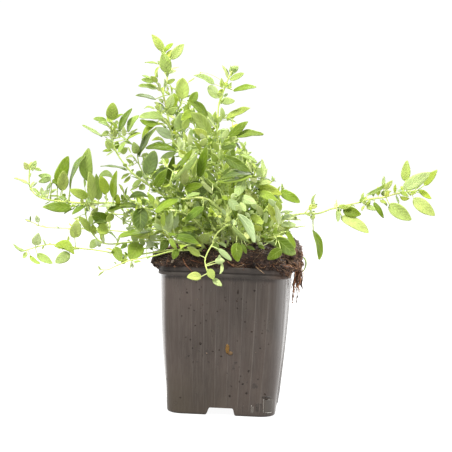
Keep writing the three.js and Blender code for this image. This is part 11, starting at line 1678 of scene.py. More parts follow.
    ("P1",(-36.5,-50.7,122.4),(-38.6,-50.9,122.9),(-42.6,-51.6,124.2),2.3,(.31,-.02,.95),9,(-.2,.1,-.3),"P"),
    ("P1",(-39.9,-53,126.2),(-42.2,-51.4,126.7),(-48.3,-48.1,128.7),3.9,(.33,.04,.94),16,(.8,-.3,-.3),"L"),
    ("X",(25.1,-21.4,119.2),(26.5,-22.3,119.1),(32.6,-26.5,120.6),4.2,(-.54,-.54,.64),15,(.2,0,-.4),"Y"),
    ("X",(28,-23.9,122.4),(27.9,-24.9,122.2),(28.2,-32.4,122.5),3.4,(-.23,.03,.97),8,(.1,-.2,.1),"P"),
    ("X",(31.4,-29,124.1),(34.1,-30.1,123),(40.2,-33.3,121.1),4.2,(.15,-.29,.95),15,(0,0,-.3),"L"),
    ("Q",(17.7,-17.9,122.9),(18.6,-18.4,122.6),(21.3,-20.6,122.5),1.6,(-.22,-.31,.92),14,(.1,0,.1),"M"),
    ("Q",(17.7,-17.9,122.9),(17.4,-19.4,122.9),(17.1,-23.4,124.1),1.9,(.56,.19,.81),8,(.4,.2,0),"L"),
    ("Q",(19.7,-22.8,127.5),(20,-23.7,127),(21.1,-27.5,126.6),2.2,(.14,-.06,.99),18,(.2,-.1,.1),"L"),
    ("Q",(19.7,-22.8,127.5),(18.7,-23.3,129.2),(17,-25.1,133.4),2.4,(.42,.76,.5),13,(-.1,.2,-.1),"Y"),
    ("Q",(21,-26.2,130.9),(20.7,-29.7,130.6),(20.2,-37.3,130.7),3.8,(.27,-.01,.96),19,(-.2,.3,.4),"L"),
    ("Q",(26.7,-33.3,141.3),(27.9,-34,141.3),(30.6,-35.6,141.5),1.9,(.21,.49,.85),17,(-.1,.2,0),"M"),
    ("Q",(26.7,-33.3,141.3),(26.4,-36.1,143.2),(26.2,-38.6,145),1.7,(.11,.58,.8),7,(0,-.2,-.1),"M"),
    ("b1",(9.1,18.9,119.1),(8.5,21.6,120.4),(8.3,26.2,123.8),3.3,(-.01,-.58,.81),15,(.6,0,-.2),"M"),
    ("b1",(9.1,18.9,119.1),(10.2,19.5,118.8),(13.5,21.7,119.6),2.3,(-.38,.27,.89),15,(.1,-.1,0),"M"),
    ("b1",(12.2,25.4,128.7),(12.9,28.4,128.2),(13.7,32,127.8),2,(-.27,.15,.95),7,(0,.2,.2),"L"),
    ("b1",(14.5,30.2,134.6),(15.1,33.1,134.9),(16.1,37.3,136.4),2.6,(-.37,-.22,.9),8,(-.5,0,-.2),"M"),
    ("b1",(14.5,30.2,134.6),(14.7,29.6,136.1),(15.8,28.3,141.6),3,(.17,.97,.18),6,(-.3,.1,.2),"L"),
    ("b1",(16.4,34.1,138.7),(17.5,35.5,138.7),(20,38.8,139.9),2.1,(-.16,-.23,.96),16,(.1,-.2,.1),"P"),
    ("b1",(16.4,34.1,138.7),(17.6,33.8,139.6),(23,34,145.4),3.5,(-.57,.65,.5),17,(-.1,-.1,-.4),"D"),
    ("b1",(18.8,38.9,143.2),(18.4,38.9,146.2),(17.9,39.3,152.3),2.8,(-.53,-.85,.02),6,(-.2,-.6,.3),"P"),
    ("b1",(18.8,38.9,143.2),(17.1,41.4,145),(14.3,46.9,149.6),3.9,(.58,-.32,.75),7,(0,.3,.1),"L"),
    ("b1",(21.8,44.5,148.2),(21.9,46.9,147.9),(22.6,54.5,147.6),4.1,(.32,.01,.95),13,(.2,-.1,-.2),"L"),
    ("b2",(.6,21.1,120.7),(2.2,20,122.5),(4.5,18.7,126.1),2.3,(-.74,.31,.59),11,(.1,0,-.1),"P"),
    ("b2",(.6,21.1,120.7),(-.9,23.8,122.4),(-2.9,27.9,126.4),3.3,(.85,-.1,.51),7,(.2,.1,-.3),"M"),
    ("b2",(.8,24.7,126.7),(0,27.7,127.5),(-1.3,33.4,130.6),3.5,(-.03,-.48,.87),14,(-.2,-.3,-.2),"Y"),
    ("b2",(.8,26.9,130.1),(.4,26.2,131.6),(-.3,25.7,134.8),1.7,(-.04,.99,.14),9,(.1,.2,-.5),"Y"),
    ("b2",(.8,26.9,130.1),(1.3,28.1,130),(3,34.2,132.5),3.6,(-.13,-.35,.93),8,(.2,0,0),"L"),
    ("b2",(.9,32.1,137.4),(3.4,32.6,139.5),(6.8,33.7,142.8),2.7,(-.31,-.77,.56),12,(.5,.3,.2),"M"),
    ("b2",(1,34.6,140.5),(3.4,36.7,141.8),(7.9,41.2,144.6),4,(-.24,-.33,.91),9,(-.5,-.1,.2),"M"),
    ("b2",(1,34.6,140.5),(-1,34.8,142.7),(-3.6,35.6,146.1),2.2,(.78,-.03,.62),8,(.1,-.3,-.1),"L"),
    ("b2",(1.1,39.2,145.8),(2.1,41.5,145.7),(4.4,47.9,145.7),4.1,(-.29,.1,.95),8,(.3,.2,-.3),"M"),
    ("b2",(1.3,43.2,150.3),(.4,42.8,151.1),(-3.7,41.8,155.9),3.8,(.45,.72,.54),17,(.2,0,-.2),"Y"),
    ("b2",(1.5,47.3,154.7),(-1,49.3,155.1),(-4.4,52.6,156.4),2.7,(.11,-.26,.96),11,(.4,-.2,-.4),"M"),
    ("b2",(1.7,53.2,160.1),(3.3,52.5,163.2),(6.7,51.4,170.3),4.3,(-.89,.14,.44),12,(-.4,.4,-.2),"P"),
    ("b2",(1.7,53.2,160.1),(.7,53.5,161.4),(-1,55.5,164.7),2.5,(.9,.11,.42),17,(0,.1,.1),"Y"),
    ("b2",(1.8,57.9,163.8),(-.5,58.5,164.6),(-6.6,60.4,167.2),3.4,(.45,.3,.84),10,(-.4,.4,-.1),"D"),
    ("b2",(2,62.8,167.2),(2.9,63.2,167.5),(6.6,66.2,169.5),2.8,(-.69,.47,.54),14,(0,-.1,.2),"M"),
    ("b3",(-8.4,20.4,119.7),(-7.3,20.6,122.7),(-6.3,21.4,126.4),2.4,(-.94,-.2,.27),12,(-.1,-.2,.2),"Y"),
    ("b3",(-8.4,20.4,119.7),(-10.1,21.7,119.7),(-14.8,26.1,121.2),3.5,(.35,.08,.93),6,(.2,-.3,.4),"P"),
    ("b3",(-8.4,20.4,119.7),(-7.7,22.3,120.4),(-7.1,25,122.4),1.6,(-.04,-.59,.81),9,(.2,.2,.1),"L"),
    ("b3",(-9.8,23.8,124.4),(-11.7,23.7,125.9),(-14.7,24.3,128.9),2.6,(.72,.05,.69),8,(.3,.5,0),"Y"),
    ("b3",(-9.8,23.8,124.4),(-9.7,26.5,124.9),(-9.9,31.4,126.4),2.7,(-.38,-.27,.88),7,(.2,0,.2),"Y"),
    ("b3",(-11.8,28.6,130.5),(-13.7,28.5,132.2),(-18,29.3,136.2),3.9,(.57,-.46,.68),18,(-.2,.5,.1),"D"),
    ("b3",(-11.8,28.6,130.5),(-13.7,31.1,129.8),(-15.7,33.9,129.2),1.5,(-.01,.19,.98),17,(-.1,-.2,.1),"Y"),
    ("b3",(-13.3,32.5,134.8),(-14.5,31.8,137.1),(-17,31.1,142.6),2.9,(.22,.95,.21),13,(0,0,-.3),"M"),
    ("b3",(-14.7,35.9,138.2),(-13.9,36.6,138.9),(-12.6,39.6,142.1),2.3,(-.32,-.62,.71),18,(-.2,0,-.4),"P"),
    ("b3",(-16.5,40.2,142),(-18.2,38.7,144.5),(-21.8,35.9,149.8),3.4,(.42,.65,.63),12,(-.1,0,.2),"Y"),
    ("b3",(-16.5,40.2,142),(-15.3,41,144.8),(-13.8,43,149.6),2.7,(-.84,.54,.04),13,(0,-.3,0),"P"),
    ("b3",(-18.9,45.2,146.3),(-18.3,46,149.3),(-17.8,47.6,153.3),2.8,(.94,-.34,.02),16,(0,-.1,.1),"L"),
    ("b3",(-18.9,45.2,146.3),(-21,44.2,148.3),(-23.2,43.4,150.5),1.8,(.39,.69,.61),15,(0,.2,.3),"M"),
    ("b3",(-18.9,45.2,146.3),(-18.5,46.3,146.3),(-18.1,52.8,148.8),3.9,(-.1,-.35,.93),18,(.1,0,.1),"L"),
    ("b3",(-21,49.6,149.7),(-21.4,49.4,151.3),(-22.9,49.6,156.9),3.2,(.71,-.67,.23),14,(0,.3,.2),"L"),
    ("b3",(-23.7,55.1,153),(-22.5,56.6,153.2),(-20.2,60.3,153.8),2.5,(-.25,.01,.97),14,(-.3,-.1,.4),"D"),
    ("b3",(-29.1,66,157.6),(-30.6,66.2,159.1),(-33.8,67.3,161.7),2.2,(.63,-.02,.78),14,(0,0,-.3),"P"),
    ("b3",(-32.1,72.2,158.9),(-32.1,73,160.5),(-32.6,76.5,166.7),3.1,(-.28,-.84,.46),10,(-.5,.1,.7),"P"),
    ("b3",(-32.1,72.2,158.9),(-33.7,72.2,161.5),(-36.9,72.5,166.2),3.4,(.72,.52,.46),19,(0,.2,-.1),"Y"),
    ("b4",(-13.9,13.3,116.2),(-14.9,15.7,116.7),(-17,20.2,119.2),2.7,(.02,-.47,.88),13,(.2,0,0),"Y"),
    ("b4",(-13.9,13.3,116.2),(-12.3,14.6,118.3),(-9.4,17.5,123.5),3.9,(-.75,-.33,.58),7,(-.1,-.4,-.1),"M"),
    ("b4",(-13.9,13.3,116.2),(-13.5,11.3,118.3),(-12.9,7.9,122.8),2.6,(-.72,.51,.48),7,(0,.2,.2),"D"),
    ("b4",(-16.1,15.4,121.4),(-16.3,13.8,123.8),(-16.8,12.3,126.8),1.6,(.94,.24,.26),12,(0,.1,-.1),"Y"),
    ("b4",(-16.1,15.4,121.4),(-17.9,16.6,122),(-21.3,18.9,124.2),2.3,(.63,.2,.75),12,(-.1,-.1,.2),"L"),
    ("b4",(-16.1,15.4,121.4),(-14.9,17,123.9),(-13.5,20.1,129),4,(-.91,-.19,.36),15,(-.1,0,-.3),"D"),
    ("b4",(-18,17.3,125.6),(-19.2,17.4,125.3),(-23.6,18,125.6),2.6,(.04,-.16,.99),18,(-.1,0,0),"D"),
    ("b4",(-18,17.3,125.6),(-18.9,18.5,125.6),(-22.5,23.1,127.8),3.9,(-.28,-.58,.76),7,(-.1,-.4,-.1),"M"),
    ("b4",(-20.2,19.3,129.7),(-19,20.8,132.5),(-17.9,23.3,137.7),3,(.72,-.67,.17),12,(.2,.2,.2),"P"),
    ("b4",(-20.2,19.3,129.7),(-21.3,19.1,129.7),(-25.5,19.1,131.3),2.7,(.33,-.32,.89),16,(-.1,.3,.1),"D"),
    ("b4",(-27.2,26,141),(-28.9,24.6,142.1),(-33.3,21.3,145.7),3.5,(-.18,.83,.53),13,(-.5,-.5,.1),"P"),
    ("b4",(-27.2,26,141),(-28.2,29,141.2),(-29.8,33.2,142.2),2.4,(.51,-.02,.86),17,(.1,.2,-.3),"Y"),
    ("b4",(-30.4,29,145.2),(-32.8,31,144.2),(-36,33.7,143.7),2.3,(.29,.51,.81),15,(.2,-.4,.1),"P"),
    ("b4",(-33.7,32.2,149),(-34.2,31.4,151),(-35.6,30.5,155.5),2.4,(.71,-.7,.07),13,(.2,-.1,0),"P"),
    ("b4",(-33.7,32.2,149),(-34.2,33.7,148.4),(-35.4,36.5,147.6),1.5,(.09,.3,.95),17,(-.1,0,.1),"M"),
    ("b4",(-38.4,36.7,153.6),(-40.1,38,153.3),(-46.2,42.8,153.6),4.3,(.26,.27,.92),18,(-.4,.3,.2),"L"),
    ("b4",(-46.9,44,160.2),(-46.2,45.2,162.2),(-45.1,47.6,166),2.8,(-.97,.2,.14),6,(.1,-.3,-.3),"L"),
    ("b4",(-46.9,44,160.2),(-47.9,43.2,160.6),(-50.7,41.1,162),1.8,(.6,-.32,.73),9,(.2,0,-.2),"Y"),
    ("b4",(-50.5,47,162),(-50.8,49,162.4),(-53.1,55.8,164.7),4.5,(.32,-.21,.92),15,(.1,-.2,.2),"L"),
    ("b4",(-50.5,47,162),(-51.4,47.1,164),(-53.5,47.8,167),2,(.81,.35,.48),17,(.1,0,.1),"L"),
    ("b5",(-5.2,28.7,116.1),(-4.4,31.6,115.9),(-3.7,35.3,116.3),2.1,(.08,-.11,.99),9,(0,.2,.1),"D"),
    ("b5",(-5.2,28.7,116.1),(-2.8,30.8,117.4),(.6,34.6,120.4),2.8,(-.81,.52,.26),12,(-.1,-.3,-.3),"L"),
    ("b5",(-6,32.8,118.8),(-6.7,32.6,122.2),(-7.9,32.9,128),2.6,(.94,.31,.17),15,(-.4,.2,-.1),"P"),
    ("b5",(-6,32.8,118.8),(-7.4,34.6,118.4),(-9.5,37.7,118.7),2.2,(.01,-.11,.99),10,(-.3,-.1,-.2),"Y"),
    ("b5",(-7.3,39.7,122.7),(-8.6,40.5,122.7),(-11.2,43.3,123.8),1.7,(-.16,-.51,.85),18,(-.1,-.1,-.1),"L"),
    ("b5",(-11.1,57.8,130),(-13.3,60.3,129.5),(-17.4,65.7,129.3),3.3,(-.25,-.14,.96),7,(-.1,-.1,-.1),"D"),
    ("b5",(-11.1,57.8,130),(-10,59,129.1),(-6.8,63.1,126.8),3.4,(0,.48,.88),17,(-.2,-.2,-.5),"D"),
    ("b5",(-12.3,63.6,131),(-11.7,66.4,129.9),(-10.8,73.7,128.6),3.9,(-.04,.18,.98),6,(-.2,-.5,.6),"P"),
    ("b5",(-12.3,63.6,131),(-14.4,65.9,130),(-16.3,68.4,129.6),1.7,(.2,.3,.93),15,(-.2,.1,-.2),"Y"),
    ("b5",(-14,71.4,131.2),(-14.8,72,132),(-17.5,75.6,134.1),2.5,(-.36,-.66,.66),13,(.2,0,-.2),"L"),
    ("b5",(-15.7,79.1,130),(-14.7,81.3,131.8),(-12.9,86.6,134.8),3.9,(-.32,-.39,.86),17,(-.7,.1,.1),"P"),
    ("b6",(7,28.8,116.2),(7.4,29.8,115.6),(8.5,33.6,115.3),1.7,(-.11,.1,.99),10,(.2,.1,-.1),"D"),
    ("b6",(7,28.8,116.2),(6.8,28.7,119.3),(6.5,29.4,125.6),3.5,(-.26,-.96,.1),7,(-.4,-.1,.1),"P"),
    ("b6",(7,28.8,116.2),(5.7,29.6,116.8),(3.2,32.7,119.3),2.6,(.8,.21,.56),19,(-.4,.2,.4),"P"),
    ("b6",(7,28.8,116.2),(6.9,29,118),(7.3,31.8,124.1),4.1,(-1,-.04,.08),6,(-.4,-.3,.1),"P"),
    ("b6",(9.3,38.3,121.3),(11.2,38,122.4),(13.9,38.1,124.4),1.5,(-.55,.38,.74),6,(0,.1,-.2),"Y"),
    ("b6",(10.8,43.5,123.9),(11.2,45.2,122.6),(12.9,51.9,118.8),3.5,(-.09,.52,.85),12,(.2,0,-.2),"P"),
    ("b6",(12.6,49.7,126.6),(12.2,49.8,127.5),(11.5,51.8,132.4),3,(-.33,-.89,.33),11,(-.1,-.2,0),"M"),
    ("b6",(12.6,49.7,126.6),(10.4,51.7,126.5),(7.7,54.6,126.8),2.2,(.13,0,.99),10,(.1,-.2,0),"L"),
    ("b6",(13.9,54.2,128.1),(12.5,56.7,129.6),(10.8,61.3,132.5),3.3,(.6,-.26,.76),10,(0,.1,-.4),"M"),
    ("b6",(13.9,54.2,128.1),(15,55,127),(19.7,58.6,123.6),4.1,(.28,.44,.85),13,(.3,-.1,-.2),"Y"),
    ("b6",(15.2,58.9,129.4),(18.1,59.1,129.3),(23.3,59.8,129.2),3.1,(-.02,.28,.96),15,(.3,.1,.1),"P"),
    ("b6",(17.4,66.5,130.5),(16.8,69.6,129.4),(16.2,74.2,127.8),2.4,(.07,.33,.94),10,(.1,-.1,.2),"P"),
    ("b6",(17.4,66.5,130.5),(19.4,68.2,132.7),(22.6,71.7,136.1),2.9,(-.18,-.6,.78),14,(.1,.5,-.1),"M"),
    ("b6",(19,72.3,130.6),(16.6,74.1,132.4),(14.4,75.9,134.1),1.8,(.09,-.59,.8),16,(-.1,.2,.1),"M"),
    ("b7",(-16.4,24.1,115.4),(-17.7,23.4,116.5),(-23,21.7,122.1),4.1,(.65,.29,.7),12,(-.5,.1,0),"Y"),
    ("b7",(-16.4,24.1,115.4),(-15.4,26.2,115.6),(-13.1,32.2,117),3.2,(-.16,-.16,.97),19,(0,.3,0),"Y"),
    ("b7",(-19.3,28.3,118.6),(-19.9,30,118),(-22.3,35.6,117.3),3.6,(.08,.16,.98),10,(-.3,0,-.1),"P"),
    ("b7",(-19.3,28.3,118.6),(-18.2,30.3,120.3),(-16.7,34.7,123.4),3.1,(-.85,-.08,.52),13,(0,.1,-.1),"P"),
    ("b7",(-19.3,28.3,118.6),(-20,28.2,121.7),(-21.8,28.7,128.3),4,(.96,.11,.25),11,(-.1,0,.2),"L"),
    ("b7",(-21.3,31.2,120.6),(-21.5,32.6,120.2),(-23.8,39.2,120.6),3.3,(.16,-.02,.99),11,(.2,.3,.1),"P"),
    ("b7",(-21.3,31.2,120.6),(-20.2,33,122.5),(-18.4,38.1,128.5),4.6,(-.9,-.16,.41),10,(-.2,.1,-.3),"D"),
    ("b7",(-25.9,37.9,124.3),(-25.4,40.7,123.9),(-24.9,44.4,123.3),2,(-.47,.19,.86),13,(0,.2,.1),"M"),
    ("b7",(-33.5,47.7,128.4),(-36.6,48.8,127.3),(-39.8,50.3,126.8),1.9,(.18,.67,.72),9,(-.1,-.1,-.1),"L"),
    ("b7",(-33.5,47.7,128.4),(-33,50.3,129.2),(-32.8,53.7,130.4),2,(-.67,-.2,.72),7,(0,-.1,0),"L"),
    ("b7",(-33.5,47.7,128.4),(-34.9,49.1,127.4),(-37.8,52.1,126),2.1,(-.3,.15,.94),12,(-.2,.4,.3),"M"),
    ("b7",(-41.6,57.7,130),(-41,59.5,131.8),(-39.9,64.6,135.9),3.6,(-.81,-.25,.53),9,(.2,.1,.1),"L"),
    ("b7",(-41.6,57.7,130),(-43.8,57.3,128.9),(-46.8,56.9,127.5),1.5,(-.42,.29,.86),8,(-.1,.1,-.1),"P"),
    ("b7",(-45.3,62.4,129.6),(-44.7,64.6,132.1),(-44.1,67.7,135.6),2.2,(-.56,-.57,.61),8,(.2,.1,-.4),"L"),
    ("b7",(-45.3,62.4,129.6),(-45.4,63.6,128.8),(-46.6,68.7,126.2),2.9,(-.32,.36,.88),17,(.2,-.1,-.4),"L"),
    ("b8",(-19.4,9.4,115.6),(-20.8,9,115.6),(-26.4,7.9,116.2),2.9,(.15,-.2,.97),9,(.2,.2,-.1),"L"),
    ("b8",(-19.4,9.4,115.6),(-18.4,10.1,117.4),(-17.2,11.5,121.7),2.5,(-.41,-.83,.38),15,(-.3,-.4,-.2),"Y"),
    ("b8",(-29.1,14,130.1),(-31.9,14.7,129.6),(-36.1,15.8,129),2.2,(.02,.52,.85),17,(-.1,.3,.1),"D"),
    ("b8",(-29.1,14,130.1),(-30.8,12.8,132.1),(-34.7,11.1,137.2),3.3,(.8,-.14,.58),12,(-.1,-.6,-.6),"M"),
    ("b8",(-34.8,16.7,136.5),(-34.5,16.6,137.8),(-35,16.8,142.8),2.3,(.95,.3,.08),16,(.3,.1,0),"Y"),
    ("b8",(-38.8,18.7,140.4),(-38.3,19.6,141.4),(-36.9,23.6,146.9),3.7,(-.3,-.73,.61),18,(.1,.3,.2),"L"),
    ("b8",(-49.2,23.7,148.4),(-50.2,23.1,148.2),(-53.5,21.7,148.2),1.7,(.04,-.05,1),16,(0,.2,.2),"M"),
    ("b8",(-49.2,23.7,148.4),(-49.3,25.3,150.2),(-49.9,27.5,153),2.2,(-.11,-.78,.62),6,(0,.1,-.2),"D"),
    ("b8",(-54.8,26.4,151.6),(-56.8,27,150.6),(-59.8,27.9,149.8),1.8,(.11,.83,.55),16,(-.1,.1,0),"M"),
    ("b8",(-54.8,26.4,151.6),(-55.2,26.9,153.7),(-57.5,28.8,160.2),3.9,(.05,-.95,.3),15,(.1,0,-.1),"L"),
    ("b8",(-58.9,28.4,153.6),(-60.5,27.4,153.8),(-63.9,25.8,154.3),2,(.21,-.15,.97),11,(.1,.2,0),"Y"),
    ("b9",(14.9,11.9,115.9),(15.1,11.7,117.2),(17.2,12.9,122.8),3.1,(-.68,.72,.1),12,(-.3,-.2,.3),"P"),
    ("b9",(17.9,15.2,119.8),(19.2,16.2,119.7),(22.5,18.7,120.9),2,(-.18,-.2,.96),7,(.2,.1,.1),"L"),
    ("b9",(17.9,15.2,119.8),(16.7,14.4,122.9),(14.9,13.3,128.8),3.4,(.95,-.19,.25),16,(.3,-.2,-.5),"M"),
    ("b9",(20.7,17.6,124.5),(22.8,20.2,124.7),(26.2,24.2,125.3),2.5,(-.38,.19,.91),13,(-.1,-.4,.1),"L"),
    ("b9",(20.7,17.6,124.5),(20.5,17.1,125.4),(20.4,16.3,128.8),2,(-.15,.96,.23),15,(.1,0,-.1),"M"),
    ("b10",(-1.8,12.6,119.2),(-1.5,11.4,121),(-1,9.7,126.1),2.7,(.27,.92,.28),6,(0,-.4,.3),"M"),
    ("b10",(-1.8,12.6,119.2),(-2.9,12.7,119.8),(-4.8,13.6,123.3),2.1,(.82,.46,.34),9,(.2,-.5,.1),"P"),
    ("b10",(-1.5,14.6,125.9),(-.1,16.9,127.2),(1.7,20.1,130.4),2.8,(-.4,-.52,.75),9,(-.1,.2,.4),"L"),
    ("b10",(-1.5,14.6,125.9),(-4.1,16,128.1),(-7.4,17.9,131.7),2.5,(.7,-.15,.7),8,(.4,0,0),"L"),
    ("b10",(-1.5,14.6,125.9),(.7,16,127.4),(3.6,18.1,130.7),2.4,(-.79,.18,.58),10,(0,-.1,.1),"Y"),
    ("b10",(-1.3,15.6,130.8),(-.6,14.1,132.1),(.7,11.3,136.1),2.6,(-.26,.74,.61),7,(-.1,.5,-.1),"P"),
    ("b10",(-1.3,15.6,130.8),(-2.1,17.6,131.3),(-3.5,21.5,133.1),2.2,(.58,-.16,.8),14,(.1,-.2,0),"L"),
    ("b10",(-1.3,16.8,135.6),(-1.1,17.9,136),(-.6,21.6,140.1),3.2,(.21,-.74,.64),7,(-.1,.2,-.1),"D"),
    ("b10",(-1.4,18.9,142.3),(-1.4,20.1,142.3),(-1.4,23.2,143.2),1.6,(-.36,-.27,.89),19,(.1,-.1,0),"P"),
    ("b10",(-1.6,21.3,148.9),(1.5,22.6,150.1),(4.7,23.9,151.5),1.7,(-.41,.01,.91),19,(.4,-.1,-.2),"L"),
    ("b10",(-1.8,23.6,154.4),(-2.2,22.7,157),(-3.3,21.6,164.7),4.5,(.88,-.46,.05),13,(.2,.4,-.5),"P"),
    ("b10",(-2.2,29.1,166.2),(-1.8,30.5,166.1),(-.2,36.7,167.7),3.6,(.37,-.31,.88),17,(-.2,0,.1),"P"),
    ("b10",(-2.4,31.3,170.7),(-3.8,30.4,173),(-5.3,29.6,176),1.7,(.87,-.35,.34),6,(0,0,-.3),"Y"),
    ("b10",(-3.1,41.5,187.9),(-3.6,43,188.4),(-4.7,47.4,191.3),2.7,(-.04,-.56,.83),15,(.2,.2,.1),"M"),
    ("b10",(-3.1,41.5,187.9),(-1.5,42.6,188.9),(2.1,45.6,191.7),2.6,(-.47,-.22,.85),8,(0,-.2,.5),"Y"),
    ("b10",(-3.5,45.5,194.7),(-5,45.2,195.8),(-8.9,44.5,198.4),2.3,(.55,.07,.83),12,(-.2,-.3,-.2),"D"),
    ("b11",(4.2,11.8,131.1),(4.1,9.5,133.5),(3.9,6.9,137.2),2.6,(-.04,.81,.58),12,(0,0,-.3),"M"),
    ("b11",(4.2,11.8,131.1),(4.7,15,132.5),(5.1,18.3,134.2),2,(.08,-.47,.88),14,(-.2,.2,-.4),"Y"),
    ("b11",(4.2,11.8,131.1),(6.8,12,133.2),(10.9,12.4,137.7),3.1,(-.53,.74,.41),18,(.2,-.3,-.2),"L"),
    ("b11",(5,13.9,138.8),(6.6,14.8,140),(10.2,17.3,144.2),2.9,(-.11,-.81,.57),16,(0,.2,.1),"P"),
    ("b11",(5.7,15.9,145.5),(4.9,14.6,147.1),(2.9,11.7,152.1),3.1,(.22,.8,.55),7,(.1,-.2,-.1),"M"),
    ("b11",(6.5,18.1,152.1),(7.6,20.6,153.3),(8.6,23.2,155),1.8,(.22,-.6,.77),10,(.1,.2,0),"M"),
    ("b11",(7.1,19.8,156.7),(8,20.2,156.8),(14.1,23.5,158.5),3.3,(-.35,.16,.92),11,(.1,-.1,.1),"D"),
    ("b11",(7.1,19.8,156.7),(6.2,19.5,157.4),(1.7,18.4,162.4),3.4,(.64,.4,.66),19,(.4,.6,.3),"M"),
    ("b11",(8,22.4,163.2),(9,25.1,164.5),(10,27.7,166.1),1.7,(-.35,-.39,.85),6,(-.1,0,.1),"M"),
    ("b12",(-5.1,8.1,118.5),(-6.3,7.7,119.1),(-10.3,6.8,124.2),3.1,(.52,.68,.52),11,(-.1,-.1,.6),"Y"),
    ("b12",(-7.3,11.6,134.9),(-7.8,13.2,135.2),(-9.5,18.2,137.8),2.6,(-.1,-.48,.87),18,(0,-.1,0),"L"),
    ("b12",(-7.3,11.6,134.9),(-6.2,9.3,137.6),(-5.1,7,140.9),2.4,(-.58,.57,.58),16,(-.4,-.1,0),"P"),
    ("b12",(-8.6,13.6,142.6),(-9.8,12.8,143.7),(-13.5,11,149),3.2,(.83,-.07,.56),18,(-.2,-.5,0),"P"),
    ("b12",(-8.6,13.6,142.6),(-10.4,15.6,143.4),(-12.3,17.6,144.6),1.5,(.53,-.02,.85),14,(-.1,-.1,0),"D"),
    ("b12",(-9.8,15.5,149.2),(-10.7,14.1,150.2),(-13.7,10,154.7),2.9,(-.55,.77,.33),6,(.1,0,.2),"M"),
    ("b12",(-11.8,18.7,158.5),(-11,19,159.1),(-7.4,21.4,164.4),3.8,(-.63,-.46,.63),19,(.1,.3,-.1),"L"),
    ("b12",(-13.3,21.2,164.8),(-16,21.6,167),(-18.9,22.3,170.1),2,(.75,.04,.66),6,(.1,0,.3),"D"),
    ("b12",(-13.3,21.2,164.8),(-13.2,20,167.9),(-13.2,18.2,175.1),3.4,(-.45,.87,.21),7,(-.3,.1,0),"M"),
    ("b12",(-15,23.7,171.1),(-14.4,23.6,171.8),(-13.1,23.7,174.7),1.6,(-.88,.24,.4),8,(0,-.1,0),"Y"),
    ("b12",(-15,23.7,171.1),(-17.7,23.2,172.9),(-23,22.3,176.9),4,(.46,.52,.72),14,(0,-.3,.3),"L"),
    ("b12",(-17.7,27.9,179.8),(-15.9,28.5,181.8),(-12.9,29.8,185.7),2.9,(-.75,-.18,.64),11,(0,0,0),"D"),
    ("b12",(-17.7,27.9,179.8),(-18.4,27.5,180.5),(-21.8,26.9,185.7),3,(.81,-.32,.49),12,(0,-.2,-.2),"Y"),
    ("b13",(16.7,7.3,114.9),(18.2,10.3,114.5),(21.3,14.8,114),2.8,(.19,-.01,.98),18,(.3,-.1,0),"D"),
    ("b13",(20.1,9,115.9),(20.9,8.5,115.9),(24.7,7.7,117.1),1.9,(-.24,.27,.93),8,(-.2,.4,0),"M"),
    ("b13",(20.1,9,115.9),(20.4,8.6,117.8),(22.3,7.7,124.9),3.5,(-.93,-.29,.22),17,(-.2,.3,-.4),"L"),
    ("b13",(28,12.6,122.6),(29.7,12.2,122.6),(33,11.7,123.2),1.7,(-.16,.1,.98),16,(0,.1,-.3),"Y"),
    ("b13",(33,14.8,127),(36,16.4,126.9),(39.5,18.1,127.2),2,(.22,-.58,.78),19,(.4,.1,-.1),"M"),
    ("b14",(-24.4,6.8,115.3),(-24.9,5.8,115.8),(-27.2,3.2,118.3),2.3,(.52,.3,.8),19,(.2,-.1,0),"Y"),
    ("b14",(-24.4,6.8,115.3),(-24.3,7.9,115.6),(-24.8,13.5,118.4),3.8,(-.24,-.46,.86),15,(.2,.4,-.4),"L"),
    ("b14",(-29.3,8.2,120.2),(-30,7.4,120.1),(-35.1,3.6,121.2),3.7,(-.18,.49,.85),10,(-.3,-.5,.7),"P"),
    ("b14",(-35.3,10,125),(-36.3,12.3,126.1),(-38.5,15.8,128.1),2.2,(.88,.47,.11),19,(.1,.1,-.1),"Y"),
    ("b14",(-35.3,10,125),(-36,9.1,125.7),(-41,6.9,129.9),4.3,(.05,.86,.51),17,(-.6,0,-.3),"M"),
    ("b14",(-35.3,10,125),(-36.2,8.4,126),(-39.5,4.1,129.5),3.1,(.33,.42,.85),11,(.1,.2,.1),"P"),
    ("b14",(-39.3,11.1,127.8),(-42.1,11,127.7),(-46.9,11.2,128.3),2.2,(.12,.4,.91),8,(-.1,0,.3),"P"),
    ("b14",(-39.3,11.1,127.8),(-39.4,12.6,128.9),(-40.3,15.4,131.5),2.3,(0,-.68,.74),9,(0,-.1,0),"L"),
    ("b14",(-39.3,11.1,127.8),(-40.1,8.7,130.5),(-41.1,6.4,133.2),2,(.23,.71,.67),7,(-.1,.3,-.2),"M"),
    ("b14",(-43.5,12.2,130.3),(-43.9,13.7,133.2),(-45,16,137.5),2.8,(-.86,-.51,.04),7,(0,0,.1),"Y"),
    ("b14",(-47.9,13.5,132.4),(-47.9,13.7,133.4),(-49.6,14.7,136.4),1.8,(.63,-.56,.53),8,(0,.2,.1),"Y"),
    ("b14",(-47.9,13.5,132.4),(-49.4,12.7,132.6),(-53.3,11.9,133.9),2.4,(.16,.49,.86),18,(-.2,-.2,.1),"P"),
    ("b14",(-47.9,13.5,132.4),(-50,13.6,131.8),(-53.9,14.1,131.5),1.9,(-.07,.12,.99),8,(.1,-.1,-.1),"P"),
    ("b14",(-55.1,15.4,135.3),(-56.2,18.5,135.1),(-58,22.5,134.9),2.5,(-.42,-.15,.89),19,(-.1,-.1,.2),"Y"),
    ("b14",(-61.6,17.3,137),(-62.4,17.3,136.3),(-66,17.7,134.6),1.7,(-.42,.17,.89),6,(.2,.2,-.1),"L"),
    ("b14",(-61.6,17.3,137),(-62.2,17.8,138.4),(-66.2,19.7,143.9),3.1,(.11,-.91,.4),19,(.1,-.6,.2),"L"),
